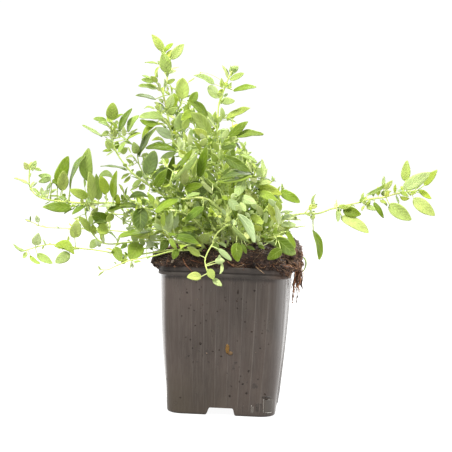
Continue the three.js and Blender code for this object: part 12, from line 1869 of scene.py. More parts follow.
    ("b14",(-61.6,17.3,137),(-62.4,16.5,137.9),(-65.3,14.7,140.5),2.4,(.27,.63,.73),14,(-.2,.2,0),"M"),
    ("b14",(-67.3,18.9,138),(-68.3,18.2,137.8),(-72.5,16.2,137.1),2.5,(-.43,.72,.55),15,(-.2,.2,-.2),"P"),
    ("u1",(7.4,.6,122.2),(9.1,-.3,123.7),(10.8,-1.2,125.9),1.9,(-.4,.7,.6),11,(.1,.2,.3),"L"),
    ("u1",(7.4,.6,122.2),(8.2,2.2,123.4),(9.2,4.3,126),1.6,(-.33,-.66,.67),18,(.1,-.1,-.1),"M"),
    ("u1",(8.5,.7,129.2),(7.1,1.5,131),(5.8,2.4,133.7),1.6,(.17,-.91,.38),17,(0,0,-.2),"Y"),
    ("u1",(9.6,.7,135.1),(10.9,.5,135.8),(13.3,.1,138.8),1.7,(-.68,.42,.6),13,(-.2,-.2,-.1),"L"),
    ("u1",(9.6,.7,135.1),(9.8,2,136.2),(10.5,4.2,139.7),2.2,(-.9,-.26,.34),17,(.3,.1,-.3),"L"),
    ("u1",(10.6,.8,140),(8.7,.9,142.3),(7.2,1,145),1.5,(.8,.41,.43),18,(0,.1,-.1),"D"),
    ("u1",(10.6,.8,140),(12.5,2.8,140.7),(15.3,5.8,142.3),2.2,(-.24,-.27,.93),16,(.1,-.4,.1),"L"),
    ("u1",(11.9,.9,145.8),(13.8,2.7,146.9),(18,6.5,149.7),2.8,(-.42,-.2,.89),10,(.1,.4,-.2),"L"),
    ("u1",(11.9,.9,145.8),(12.1,-.1,146.4),(13,-3.1,149.7),2.5,(-.29,.66,.69),13,(.3,-.1,0),"L"),
    ("u1",(13.3,1,151.7),(14.5,-.2,152.9),(17.7,-2.9,157.1),3.3,(.54,.83,.13),11,(-.4,.2,0),"Y"),
    ("u1",(14.8,1.1,157.4),(13.9,0,158.5),(12.1,-2.2,160.7),1.8,(.4,.46,.79),13,(-.3,-.1,.1),"L"),
    ("u1",(14.8,1.1,157.4),(14.1,2.3,159.7),(13.5,3.6,162.6),2.1,(.87,-.35,.34),17,(0,.3,-.3),"P"),
    ("u1",(16.8,1.2,164.2),(15.5,1.1,165.9),(12,.7,172.6),3.9,(.83,.34,.45),13,(.6,0,.2),"L"),
    ("u2",(-9.2,-1.3,121.2),(-11.5,-2.1,122.1),(-16.7,-4,125.6),3.1,(.54,.06,.84),6,(-.4,-.1,-.2),"M"),
    ("u2",(-9.2,-1.3,121.2),(-9.7,-.1,122.1),(-10.4,1.5,124.6),1.8,(.25,-.78,.57),6,(.1,0,.1),"D"),
    ("u2",(-9.2,-1.3,121.2),(-7.2,-.9,123.8),(-4.5,-.4,129.7),3.3,(-.91,.1,.41),12,(.1,0,.1),"Y"),
    ("u2",(-10.1,-1.8,132.1),(-11.1,.5,134.2),(-13.1,5.1,140.2),3.6,(.57,-.55,.61),18,(.4,-.5,.3),"Y"),
    ("u2",(-10.1,-1.8,132.1),(-9.5,-3.5,135.1),(-8.7,-5.7,141.8),3.7,(-.96,.23,.18),18,(-.1,-.2,.1),"M"),
    ("u2",(-12.1,-.3,142.7),(-10.5,1.2,144.5),(-8.2,3.4,147.2),2.7,(-.53,-.38,.76),12,(.1,-.1,-.2),"P"),
    ("u2",(-12.1,-.3,142.7),(-14.1,-1.7,144.2),(-17,-3.4,147.1),2.2,(.63,.19,.75),18,(0,0,-.2),"L"),
    ("u2",(-13.4,-.6,147.6),(-12.7,-1.2,148.3),(-11.4,-2.8,152.1),2.3,(-.58,.66,.48),11,(-.3,-.2,-.1),"Y"),
    ("u2",(-13.4,-.6,147.6),(-14.5,-.1,148),(-19.8,2,152.8),3.7,(.66,.59,.47),18,(0,0,.1),"M"),
    ("u2",(-15,-1.1,154.4),(-15.1,-2.5,155.8),(-15.7,-4.9,159.9),2.7,(-.04,.87,.5),10,(0,-.3,.3),"D"),
    ("u2",(-15,-1.1,154.4),(-17.8,-1.3,156.1),(-21.8,-1.8,159.5),2.6,(.62,-.4,.67),8,(-.4,-.2,.4),"P"),
    ("u2",(-16.7,-1.2,162.2),(-16,-.1,163.8),(-15.1,1.7,168.1),2.7,(-.97,.2,.13),9,(.1,0,.1),"Y"),
    ("u2",(-18.2,-1.4,168),(-17.3,-3.5,170),(-15.5,-8.4,176.2),4.3,(-.16,.75,.64),15,(-.1,.9,.4),"M"),
    ("u2",(-18.2,-1.4,168),(-18.6,-2.2,168.5),(-19.9,-3.9,171.3),2,(.93,-.05,.37),18,(.1,.2,.1),"Y"),
    ("u2",(-19.5,-1.5,172.8),(-21.1,.2,174.6),(-25.1,3.8,179.7),4.1,(.07,-.78,.62),18,(.1,-.3,.5),"P"),
    ("u2",(-21.5,-1.6,179.5),(-20.3,-.1,181.7),(-18.7,2.4,185.9),2.5,(-.74,-.4,.54),8,(.2,0,-.1),"M"),
    ("u2",(-23.2,-1.7,185.3),(-24.7,-.9,186.3),(-27.3,.3,189.1),2.1,(.69,-.16,.7),9,(-.2,-.1,-.3),"P"),
    ("u2",(-23.2,-1.7,185.3),(-22.2,-1.3,188.1),(-21.4,-.9,191.2),1.8,(-.97,.12,.22),6,(.1,-.2,0),"L"),
    ("u2",(-25.1,-1.8,191),(-24.1,-2.2,191.8),(-20.6,-3.6,196),3.1,(-.56,.53,.64),11,(-.2,-.3,.2),"L"),
    ("u2",(-27.1,-2,196.6),(-25.9,-.4,198.5),(-23.6,2.9,202.5),3.5,(-.15,-.71,.69),8,(.2,0,-.3),"M"),
    ("u3",(-3.2,-11.2,118.6),(-1.9,-11.8,119.6),(-.1,-13.1,122.9),1.9,(-.51,.68,.53),9,(.1,0,0),"L"),
    ("u3",(-3.5,-12.4,123.5),(-1.8,-11.6,126),(-.1,-11.1,129.9),2.4,(-.88,-.24,.41),12,(.1,-.2,.2),"P"),
    ("u3",(-3.5,-12.4,123.5),(-4.8,-13.5,124.4),(-8.5,-17.1,129),4.3,(.79,-.05,.61),7,(-.1,-.4,0),"Y"),
    ("u3",(-4.2,-14.7,132.1),(-6.1,-16.3,133.8),(-8.2,-18.1,136.4),2.1,(.71,.17,.68),7,(0,.4,.1),"L"),
    ("u3",(-4.7,-16.9,138.8),(-2.8,-17.4,141.3),(-.9,-18.3,144.5),2.5,(-.85,.08,.52),12,(.1,.4,-.1),"Y"),
    ("u3",(-5.3,-19,144.4),(-5.8,-20.1,144.4),(-8,-25.6,147.3),3.8,(.43,.28,.86),10,(-.4,.2,.2),"Y"),
    ("u3",(-5.3,-19,144.4),(-4.8,-17.9,146.1),(-3.7,-16,151.9),3.2,(.1,-.95,.29),12,(.4,-.1,.4),"P"),
    ("u3",(-6.1,-21.6,150.8),(-5.5,-22.8,151.3),(-4,-27.5,155.2),3.9,(-.23,.58,.78),18,(.1,-.2,-.2),"L"),
    ("u3",(-6.1,-21.6,150.8),(-4.8,-23.6,151.3),(-2.8,-27.3,152.8),2.4,(.01,.38,.93),14,(.2,.2,.2),"M"),
    ("u3",(-6.8,-24.2,156.2),(-6.1,-27.3,157),(-4.7,-34.1,160.2),3.8,(-.23,.37,.9),13,(-.1,-.5,-.5),"P"),
    ("u3",(-6.8,-24.2,156.2),(-8,-24.7,156.7),(-12,-27.4,160.2),3.1,(.74,-.37,.55),14,(0,0,0),"P"),
    ("u3",(-7.6,-26.9,161.5),(-7.7,-26.3,163.6),(-8,-25.8,168.7),2.9,(.61,-.78,.12),17,(-.1,-.2,0),"P"),
    ("u3",(-7.6,-26.9,161.5),(-9.5,-27.5,162.5),(-14.9,-30,167.5),3.8,(.69,-.52,.5),17,(-.1,-.5,.4),"M"),
    ("u3",(-8.4,-29.9,166.6),(-10.4,-32.4,167.2),(-13.6,-36.6,168.3),2.9,(-.41,.5,.76),7,(-.2,-.1,-.1),"L"),
    ("u3",(-9.6,-34.2,173.2),(-11.1,-35,173.9),(-13.4,-36.7,176),1.8,(.42,.42,.81),11,(.1,-.1,.3),"Y"),
    ("u4",(7.6,-11.6,121.4),(8.4,-10.7,122.2),(10.7,-8.9,126.1),2.9,(-.88,.19,.43),6,(.2,.1,-.2),"P"),
    ("u4",(7.6,-11.6,121.4),(8.1,-13.5,122.1),(9.2,-17.1,124.8),2.7,(.35,.63,.7),18,(.2,0,0),"P"),
    ("u4",(8.5,-12.7,127.3),(9.7,-12.1,128.1),(13.1,-10.9,133.5),3.2,(-.59,-.62,.51),12,(.2,-.3,.1),"Y"),
    ("u4",(9.3,-13.7,132.1),(7.7,-13.1,134.4),(5.3,-12.2,139.6),2.8,(.84,.45,.31),9,(.2,.2,.3),"M"),
    ("u4",(9.3,-13.7,132.1),(10.5,-13.4,132.7),(14.6,-13,136.7),3.1,(-.69,-.15,.71),10,(-.2,.2,.2),"Y"),
    ("u4",(9.3,-13.7,132.1),(8.9,-15.8,133.3),(8.3,-19.7,136.5),3.1,(-.22,.64,.74),15,(-.1,-.1,.4),"Y"),
    ("u4",(11.7,-17.1,143.3),(11.7,-19.1,143.9),(11.9,-25.2,148),4,(-.5,.46,.73),15,(-.5,.1,-.1),"M"),
    ("u4",(11.7,-17.1,143.3),(10.7,-17.3,143.8),(5.8,-18.6,148.3),3.7,(.68,-.03,.73),14,(.2,-.4,.7),"D"),
    ("u4",(14.4,-21,153.3),(16.1,-22.4,153.3),(18.6,-24.8,153.6),1.8,(-.23,-.14,.96),7,(.1,0,-.1),"M"),
    ("u4",(17.7,-25.1,162.9),(17.5,-24.8,164),(17.3,-24.3,169.5),3.5,(.98,-.2,.05),6,(-.4,-.1,.3),"M"),
    ("u5",(1.5,-21,122.7),(.8,-20.2,125),(-.5,-19.4,130.2),3.4,(.55,-.79,.26),6,(-.7,-.3,-.2),"M"),
    ("u5",(1.5,-21,122.7),(4.5,-21.8,123.6),(10.3,-23.7,126.1),3.2,(-.37,.04,.93),7,(.2,-.5,.1),"Y"),
    ("u5",(1.8,-24.4,128.8),(2.6,-25.9,128.8),(4.5,-29.9,130.1),2.2,(-.4,.11,.91),14,(-.1,-.3,0),"M"),
    ("u5",(1.8,-24.4,128.8),(1.4,-23.9,129.6),(-.5,-22.8,136),3.5,(.95,-.08,.29),10,(-.2,.2,-.1),"Y"),
    ("u5",(2.8,-36.4,142.1),(4.5,-37.4,143.9),(8,-40.4,148),3.9,(-.59,.34,.73),13,(0,-.1,-.4),"D"),
    ("u6",(-10.7,-12.6,121.9),(-12.4,-13.5,122.4),(-17.2,-16.1,126.2),3.4,(.64,-.03,.77),6,(.1,.5,0),"M"),
    ("u6",(-14.7,-16.7,133.6),(-13.1,-17.1,134.9),(-10.1,-17.9,137.9),2.5,(-.33,.77,.55),15,(0,-.1,0),"M"),
    ("u6",(-16.4,-18.4,138),(-16.9,-16.7,140.6),(-18.2,-13.9,146.4),3.5,(.23,-.85,.46),12,(-.3,.1,0),"M"),
    ("u6",(-16.4,-18.4,138),(-18.5,-19,139),(-23.9,-21.2,143.1),3.4,(.57,.12,.81),9,(.5,.7,.1),"M"),
    ("u6",(-21.9,-24.9,150.2),(-21.1,-28.4,150.8),(-19.9,-34.1,151.5),3,(.17,.16,.97),16,(0,.1,.2),"D"),
    ("u6",(-21.9,-24.9,150.2),(-23.3,-24.3,152.4),(-25.9,-24,156.8),2.5,(.8,-.36,.48),7,(-.1,0,.1),"Y"),
    ("u6",(-23.9,-27.5,154),(-25.1,-30.4,154.2),(-27.7,-36.1,155.7),3.2,(-.27,.36,.89),8,(.1,-.1,0),"L"),
    ("u6",(-23.9,-27.5,154),(-26.2,-26.9,154.6),(-30,-26.2,155.9),1.8,(.32,-.08,.94),11,(0,-.1,-.2),"Y"),
    ("u6",(-29.2,-34,162.6),(-29.9,-33.5,163.8),(-33,-32.6,169.3),3.6,(.62,-.64,.45),19,(.2,.1,.1),"Y"),
    ("u6",(-29.2,-34,162.6),(-29.2,-32.8,165.4),(-29.3,-31.8,167.9),1.5,(.17,-.91,.37),14,(-.1,.2,0),"L"),
    ("u7",(16.9,-8,122.2),(17.7,-9.1,122.4),(21.1,-12.9,126),3.3,(.41,.8,.45),16,(-.3,-.3,.6),"P"),
    ("u7",(19.4,-9.3,127.5),(20.6,-10.7,128),(23.2,-13.3,129.6),1.9,(-.49,.06,.87),10,(-.2,-.1,-.1),"P"),
    ("u7",(23,-11.1,134.4),(24.6,-11.5,134.3),(28.5,-12.4,135.5),1.9,(-.28,.03,.96),7,(.2,.1,0),"L"),
    ("u7",(23,-11.1,134.4),(21.9,-11.1,136.7),(20.7,-11.2,140.1),2.2,(.9,-.31,.31),16,(-.2,0,0),"D"),
    ("u7",(25.5,-12.3,138.6),(27.8,-12,139.1),(32.3,-11.6,140.7),2.7,(-.34,.05,.94),11,(.1,-.3,.3),"M"),
    ("u7",(34,-16.4,150.2),(36.1,-17.1,150.5),(41.9,-19.1,152),3.9,(-.29,-.11,.95),10,(.2,-.4,-.3),"Y"),
    ("u8",(-16.9,-8.2,121.1),(-17.6,-10.7,122.1),(-19.8,-16.2,125.3),3.8,(.71,.12,.69),15,(0,.1,.2),"Y"),
    ("u8",(-16.9,-8.2,121.1),(-16.1,-8.7,122.1),(-14,-10.6,128.5),3.6,(-.95,-.08,.3),9,(.3,.2,.4),"P"),
    ("u8",(-19.3,-8.6,125.5),(-22.4,-9.7,126),(-28.6,-11.9,128.3),3.5,(.33,.09,.94),19,(-.1,.4,-.4),"M"),
    ("u8",(-19.3,-8.6,125.5),(-21.1,-7.1,127.5),(-24.1,-5.3,131.4),2.5,(.55,-.52,.66),11,(.2,-.1,0),"Y"),
    ("u8",(-19.3,-8.6,125.5),(-18.7,-10.5,126.5),(-18,-13,128.3),1.5,(-.69,.28,.67),19,(0,0,-.2),"P"),
    ("u8",(-21.9,-9.6,129.6),(-24,-9.7,129.7),(-28.8,-10.1,131),2.8,(.26,-.13,.96),7,(-.1,.4,0),"L"),
    ("u8",(-25.5,-11.4,135.4),(-27.1,-10.4,135.8),(-32.5,-7.4,138.9),3.6,(.25,-.46,.85),6,(-.1,0,-.3),"L"),
    ("u8",(-25.5,-11.4,135.4),(-23.9,-11.5,138.6),(-22.2,-11.8,143.1),2.4,(-.81,.49,.33),12,(-.2,.3,-.2),"Y"),
    ("u8",(-25.5,-11.4,135.4),(-24.9,-12.2,136),(-23.6,-16.1,141),3.3,(-.23,.74,.63),17,(0,-.3,-.4),"Y"),
    ("u8",(-29.8,-13.5,141.8),(-30,-12.7,142.5),(-31.7,-11.6,146.3),2.5,(.07,-.94,.32),16,(0,-.1,-.2),"M"),
    ("u8",(-33.3,-15,146.4),(-32.7,-15.9,149.6),(-32.4,-17.8,156.4),4.1,(-.65,.72,.23),12,(.2,-.1,0),"P"),
    ("u8",(-33.3,-15,146.4),(-36.1,-14.9,146.3),(-41.5,-14.9,146.4),3.2,(.01,-.22,.97),6,(.2,-.1,-.1),"Y"),
    ("u8",(-36.3,-16.4,150.1),(-39.3,-16.5,149.4),(-45.1,-16.9,148.5),3.4,(-.15,-.17,.97),17,(.1,0,-.1),"P"),
    ("u8",(-40.1,-18.1,154.4),(-41.9,-20.2,155.1),(-46.6,-24.9,157.8),3.2,(.03,.47,.88),10,(-.3,-.3,-.1),"P"),
    ("u8",(-45.5,-20.6,159.8),(-48.5,-21.8,159.9),(-55.5,-24.9,160),3.5,(-.01,.07,1),12,(.1,.4,-.1),"P"),
    ("u8",(-49.8,-22.5,163.6),(-50.4,-21.9,164.6),(-52.9,-21.1,167.9),1.9,(.67,-.43,.61),16,(-.2,0,.2),"Y"),
    ("f1",(-1.7,-26.6,116.9),(-3.1,-27.4,116.9),(-5.4,-29.3,118),1.8,(.45,-.08,.89),16,(.1,-.1,0),"Y"),
    ("f1",(-1.7,-26.6,116.9),(-1.4,-26.3,118.8),(-.9,-26.5,123.4),2.6,(-.99,-.1,.11),10,(0,-.1,-.1),"P"),
    ("f1",(-1.9,-30.2,120.4),(-.5,-31.1,120.7),(4,-35,123.5),3.2,(-.28,.32,.9),18,(-.5,-.2,.1),"M"),
    ("f1",(-2.3,-36.1,125.7),(.1,-37.9,127.3),(3.9,-41.6,129.9),3.3,(-.38,.24,.89),12,(-.1,.4,.1),"M"),
    ("f1",(-2.6,-41,129.2),(.2,-41.7,131.3),(3,-42.6,133.3),2.3,(-.6,-.12,.79),18,(.2,.2,-.1),"Y"),
    ("f1",(-4.8,-74.7,140.5),(-5.4,-75,141.2),(-9.2,-79.2,144.9),4,(.7,.02,.72),9,(-.5,-.1,-.4),"P"),
    ("f2",(8.6,-23,117.7),(8.3,-25.1,117.6),(8.3,-28.5,118.4),2.1,(-.31,.22,.92),12,(.2,0,0),"D"),
    ("f2",(8.6,-23,117.7),(10.6,-23.5,117.9),(13.4,-24.5,118.6),1.5,(-.29,-.2,.94),9,(.1,0,0),"M"),
    ("f2",(10.8,-29.5,121.9),(10.2,-29.8,124.2),(9.8,-30.6,127),1.9,(.31,.9,.31),16,(.1,.2,0),"P"),
    ("f2",(10.8,-29.5,121.9),(12.6,-30.3,122.2),(15.7,-32.6,123.2),1.9,(-.16,.21,.97),10,(0,.1,.2),"L"),
    ("f2",(14.5,-41.4,128.2),(15,-43.4,127.7),(15.9,-47,127.4),2.1,(-.33,-.16,.93),7,(.1,-.1,.3),"L"),
    ("f3",(-14.3,-29.7,122.7),(-16.3,-29.7,125.7),(-19.6,-30.5,131.1),3.1,(.84,.13,.53),17,(.4,-.4,.2),"P"),
    ("f3",(-16.7,-34.8,126.9),(-15.6,-35.9,127.3),(-13.8,-38.2,128.7),1.7,(-.65,-.05,.76),16,(0,.2,.4),"Y"),
    ("f3",(-18.6,-38.6,129.6),(-19.1,-38.3,130.5),(-20.9,-39.1,133.4),2,(.82,-.42,.38),19,(0,-.1,0),"P"),
    ("f3",(-18.6,-38.6,129.6),(-18.4,-40.7,129.6),(-18.5,-44.6,130.5),2,(.2,.2,.96),19,(.1,-.2,-.1),"P"),
    ("f3",(-21.9,-45.7,133.9),(-22.3,-46.8,133.4),(-24,-51.5,133.7),2.7,(.04,.04,1),8,(.2,0,.3),"L"),
    ("f3",(-26.8,-55.7,138.3),(-25.5,-57.1,139.7),(-23.6,-60,142.6),2.6,(-.71,.19,.67),14,(-.2,-.1,-.1),"P"),
    ("f3",(-26.8,-55.7,138.3),(-27.8,-55.8,141),(-28.9,-56.1,143.7),1.9,(.3,.92,.25),7,(-.1,-.3,.3),"P"),
    ("f3",(-33.2,-68.9,141.3),(-32.2,-71.7,141.2),(-30.5,-78.8,141.5),3.9,(.15,.07,.99),7,(-.2,.2,.1),"P"),
    ("f4",(21.9,-22.5,120.7),(22.1,-23.6,120.2),(23.4,-28.7,119.1),2.9,(.75,.05,.66),15,(-.4,.1,-.6),"L"),
    ("f4",(25.4,-26,124.1),(25.1,-28.4,124.8),(25.2,-32.6,126.2),2.5,(.96,.1,.26),12,(.3,0,-.4),"P"),
    ("f5",(-18.5,-15.4,113.9),(-18.2,-16.9,114.4),(-18.7,-21.5,117.1),2.8,(.58,.36,.73),9,(0,.1,-.1),"L"),
    ("f5",(-18.5,-15.4,113.9),(-20.7,-14.8,115.9),(-23,-14.7,118.2),1.6,(.65,-.35,.67),9,(0,-.1,.3),"M"),
    ("f5",(-23.1,-19.5,119.1),(-22.2,-19.5,120.8),(-20.1,-20,126.6),3.2,(-.63,-.76,.16),6,(-.1,-.3,.3),"L"),
    ("f5",(-23.1,-19.5,119.1),(-25.9,-19,120.1),(-30.3,-18.8,121.7),2.7,(.35,.02,.94),14,(-.2,-.3,0),"Y"),
    ("f5",(-31.1,-26.2,126.7),(-31.6,-28.6,127.7),(-33.9,-35,130.5),4.1,(.75,.01,.66),11,(0,-.6,.6),"Y"),
    ("f5",(-31.1,-26.2,126.7),(-32.7,-26.8,126.2),(-38.3,-29.4,125.6),2.7,(.02,-.27,.96),8,(.1,.2,-.5),"L"),
    ("f5",(-40.8,-33.2,134),(-40.6,-33.1,135),(-40.8,-33.7,140.9),3.4,(.29,.95,.1),8,(-.2,-.3,.1),"L"),
    ("f5",(-40.8,-33.2,134),(-42.7,-34.7,132.6),(-46.6,-37.8,130.1),2.5,(-.31,-.32,.89),6,(.1,.3,.1),"L"),
    ("f5",(-40.8,-33.2,134),(-42.3,-32.8,134.4),(-46.6,-32.6,136.3),2.3,(.4,.02,.92),10,(0,.1,.2),"Y"),
    ("f5",(-40.8,-33.2,134),(-40.8,-34.5,136.5),(-41.3,-36.6,139.8),2.1,(-.58,.72,.37),18,(.2,-.2,.1),"P"),
    ("f5",(-45.4,-37.9,136.5),(-46.2,-38.4,139.6),(-47.3,-39.2,142.5),1.4,(.06,.96,.28),17,(.1,-.1,0),"L"),
    ("f5",(-45.4,-37.9,136.5),(-47.2,-38,136.8),(-50.9,-38.9,137.5),1.8,(.21,-.08,.97),8,(0,0,.1),"L"),
    ("f5",(-52.4,-44.4,139.1),(-53.7,-45.3,138.1),(-58.3,-48.8,135.3),3.2,(-.68,.41,.61),11,(-.2,-.5,.2),"P"),
    ("f6",(25.5,-8.2,115.8),(27,-5.9,116.8),(29,-3.7,118.4),1.8,(.74,-.67,.01),15,(0,.2,.1),"M"),
    ("f6",(25.5,-8.2,115.8),(26.6,-7,115.8),(29.6,-4.7,116.7),1.9,(-.33,.06,.94),16,(0,0,-.3),"P"),
    ("f6",(31.1,-10,119.5),(32.8,-9,120.1),(39.4,-6.6,122.5),3.6,(-.1,-.56,.82),18,(0,-.5,0),"M"),
    ("f7",(-26.6,-6.8,113.6),(-28.1,-5.5,114.5),(-32.3,-3.5,117.8),2.9,(.35,-.53,.77),8,(.3,.4,.4),"P"),
    ("f7",(-26.6,-6.8,113.6),(-26.5,-7.4,114.9),(-28.4,-9.8,120.5),3.1,(-.38,.89,.26),15,(-.3,-.2,0),"D"),
    ("f7",(-31.4,-8,117),(-32.6,-6.7,117.8),(-36.5,-4.2,120.9),3.1,(.16,-.65,.74),19,(-.1,-.3,-.3),"P"),
    ("f7",(-31.4,-8,117),(-30.9,-8,119.6),(-30.6,-8.1,122.7),1.9,(-.99,.14,.1),8,(-.1,0,.2),"P"),
    ("f7",(-31.4,-8,117),(-31.3,-9.7,117.3),(-31.5,-13.6,118.3),2.1,(-.07,.25,.97),10,(0,0,0),"Y"),
    ("f7",(-36.4,-9.3,120),(-36.4,-10.7,120.4),(-37.8,-17.1,122.8),4,(-.49,.4,.77),10,(0,.1,.2),"L"),
    ("f7",(-36.4,-9.3,120),(-36.3,-9.1,121.1),(-37.6,-9.2,124.8),1.9,(.94,-.1,.32),19,(.1,-.1,-.1),"P"),
    ("f7",(-45.1,-11.5,124.4),(-45,-11.3,125.6),(-45.8,-10.9,130.3),2.6,(.95,-.26,.18),11,(.2,-.2,0),"L"),
    ("f7",(-51.4,-13.1,127.1),(-51.7,-14.2,127.4),(-55.5,-18.9,130.2),3,(.06,.46,.89),9,(.1,-.2,.2),"L"),
    ("f7",(-51.4,-13.1,127.1),(-52.6,-14.9,126.3),(-55.9,-18.8,124.8),2.8,(-.56,.16,.81),11,(.3,.2,.1),"Y"),
    ("f7",(-64.4,-16.4,130.8),(-65,-15.9,131.5),(-69.8,-14.1,135.7),2.9,(.37,-.64,.68),13,(.2,-.1,-.3),"M"),
    ("f7",(-64.4,-16.4,130.8),(-64.9,-16.4,132.6),(-66.6,-16.7,136.3),2.3,(.12,.99,.12),13,(.2,-.2,-.1),"P"),
    ("f7",(-76.9,-19.6,132.3),(-78.7,-18.5,133.1),(-82.8,-16.6,134.8),2.6,(.34,-.12,.93),12,(.3,-.2,.2),"P"),
    ("f8",(21.5,5.8,114.6),(22.6,4.5,114.3),(28.4,-.3,114.2),4.3,(.27,.3,.92),13,(.1,-.3,.8),"M"),
    ("f8",(33.4,8.5,118.5),(34.8,10.7,118.8),(36.9,13.4,119.4),1.8,(-.42,.12,.9),14,(.2,-.1,.2),"D"),
    ("f8",(33.4,8.5,118.5),(34.9,6.5,120.7),(36.7,4.6,122.8),2,(-.46,.44,.77),13,(.1,.1,.2),"M"),
    ("l1",(-7.6,30.8,113.4),(-8.2,31.5,115.6),(-9.6,33.8,119.9),2.4,(.8,-.39,.47),8,(-.1,0,0),"P"),
    ("l1",(-9,35.4,114.9),(-8.6,35.6,116.5),(-8,36.9,119.8),1.6,(-.15,-.92,.37),15,(.3,-.1,.1),"P"),
    ("l1",(-9,35.4,114.9),(-8,38,115),(-6.9,43.2,115.4),2.7,(-.16,-.03,.99),12,(-.3,.3,-.2),"Y"),
    ("l1",(-9,35.4,114.9),(-7.5,36.9,114.9),(-3.5,42.3,115.5),4,(-.54,.32,.78),14,(-.2,-.3,-.2),"Y"),
    ("l1",(-11,42.7,117.5),(-9.5,45.8,117.7),(-7,52.6,117.9),4.2,(-.49,.15,.86),10,(-.2,0,.1),"P"),
    ("l1",(-11,42.7,117.5),(-12.8,43.5,119),(-17.2,46.8,123),4,(.48,-.35,.8),12,(-.4,-.1,-.7),"Y"),
    ("l1",(-11,42.7,117.5),(-11.9,43.3,116.6),(-15.6,46.8,114.2),3,(.05,.6,.8),6,(.2,0,-.2),"M"),
    ("l1",(-12.7,48.2,119.1),(-13.5,49,121),(-14.8,50.8,123.9),1.8,(.81,-.25,.53),17,(0,.1,0),"M"),
    ("l1",(-14.6,54.8,120.2),(-14,55.2,122.2),(-12.4,56.8,128.3),3.7,(-.7,-.62,.35),15,(-.4,0,.2),"L"),
    ("l1",(-19.2,70.1,119.7),(-21,71,120.1),(-26.3,75.2,120.6),4,(.12,.04,.99),14,(.3,.1,.7),"M"),
    ("l1",(-19.2,70.1,119.7),(-18.2,71,117.3),(-15.6,73.9,111.5),3.8,(.27,.81,.52),17,(-.1,.1,.2),"L"),
    ("l2",(16.7,34.7,115.4),(14.9,36.2,118.3),(13.4,37.8,121.1),2,(.9,.08,.43),16,(0,-.3,.2),"Y"),
    ("l2",(20.2,41.6,117.4),(21.3,41.7,117.3),(26.3,44.2,118.1),3.4,(-.17,.02,.98),11,(-.2,-.6,-.4),"M"),
    ("l2",(23.1,46.7,118.6),(22.3,49.3,118.7),(21.3,54.6,119.5),2.4,(.59,-.03,.81),7,(-.1,.2,0),"P"),
    ("l2",(23.1,46.7,118.6),(25,47.5,118.3),(27.8,49.2,118),1.5,(-.11,.36,.93),9,(-.1,-.1,.1),"L"),
    ("l2",(25.5,51,119.3),(25.1,51.6,120.6),(23.6,54.9,126.4),3.2,(.89,-.26,.37),15,(-.1,.1,-.2),"M"),
    ("l2",(25.5,51,119.3),(24.3,53.9,118.4),(22.8,58.1,117.6),2,(.31,.29,.9),11,(.3,0,.4),"D"),
    ("l2",(34.4,66.6,118.6),(34.1,68.7,116.9),(33.8,74.9,112.5),3.4,(0,.59,.81),11,(.1,-.1,-.3),"Y"),
    ("l3",(-46.4,33.4,119),(-47.6,33.8,116.9),(-51.1,35.2,111.8),3.6,(-.72,.36,.59),6,(.1,.3,-.2),"P"),
    ("l3",(-52.9,38,119.7),(-54.5,37.6,118.9),(-60.1,37.2,116.6),2.8,(-.37,-.03,.93),8,(.4,0,.1),"L"),
    ("l3",(-63.9,45,119.2),(-64.1,44.9,118.2),(-65.4,44.7,113.8),2.4,(-.95,-.09,.29),10,(.2,0,-.1),"L"),
    ("l4",(7.1,-36,114.2),(9.1,-37.1,114.7),(13.4,-40.2,115.7),2.9,(-.44,-.35,.83),15,(.2,-.2,0),"M"),
    ("T",(-6.5,2.9,117.3),(-4.3,3.2,119.5),(.1,3.6,125.7),3.9,(-.82,-.07,.57),14,(-.1,.1,-.3),"L"),
    ("T",(-25.2,-11.8,169.4),(-27.8,-11.6,170.5),(-33.2,-12,173.4),3.5,(.32,.65,.68),19,(.1,-.3,.2),"P"),
    ("T",(-28.8,-14.1,173.6),(-28.4,-13.7,176.9),(-28.5,-13.6,182.4),2.9,(-.84,-.54,.01),15,(.2,.1,0),"Y"),
    ("T",(-32.7,-15.3,176.4),(-35.4,-16.1,175.6),(-39.5,-17.2,175.3),2.5,(-.05,-.13,.99),17,(-.1,0,0),"D"),
    ("T",(-36.5,-15.1,179.4),(-37.2,-12.2,181.4),(-38.1,-9.7,183.7),1.7,(.22,-.62,.75),18,(0,.1,.2),"L"),
    ("T",(-36.5,-15.1,179.4),(-37.1,-16.1,179.8),(-39.5,-18.7,182.2),2.3,(.28,.49,.82),17,(.1,-.4,-.6),"L"),
    ("T",(-39,-14.2,183.5),(-38.3,-15.1,184.4),(-36.6,-17.3,187.6),2.6,(-.1,.78,.61),7,(-.4,-.1,0),"D"),
    ("T",(-39,-14.2,183.5),(-40.2,-13,183.9),(-43,-10.4,185.9),2.1,(.16,-.48,.86),19,(.1,-.1,-.2),"P"),
    ("T",(-40.8,-13.3,189.2),(-41.9,-13.3,189.4),(-46.1,-12.8,193),2.9,(.62,-.2,.76),10,(0,-.3,-.2),"M"),
    ("T",(-42.4,-12.2,194.9),(-43.1,-13,195.5),(-45.1,-14.2,198.6),2.3,(.67,.43,.61),7,(0,-.1,0),"Y"),
    ("T",(-42.4,-12.2,194.9),(-41.2,-10.5,195.8),(-39.1,-7.1,198.3),2.1,(-.83,.11,.54),15,(.3,-.1,-.2),"P"),
    ("T",(-43.5,-11.4,199.7),(-44.5,-13,202.5),(-45.6,-14.3,205.8),2.3,(-.05,.93,.35),19,(-.1,-.2,-.5),"D"),
    ("T",(-43.5,-11.4,199.7),(-46.1,-10.6,201.1),(-49.6,-9.5,203.4),2.5,(.47,-.27,.84),10,(.1,0,0),"M"),
    ("T",(-43.5,-11.4,199.7),(-41.6,-11.4,200.9),(-36.9,-11.3,205.1),3.3,(-.61,-.37,.7),7,(.2,-.2,.4),"M"),
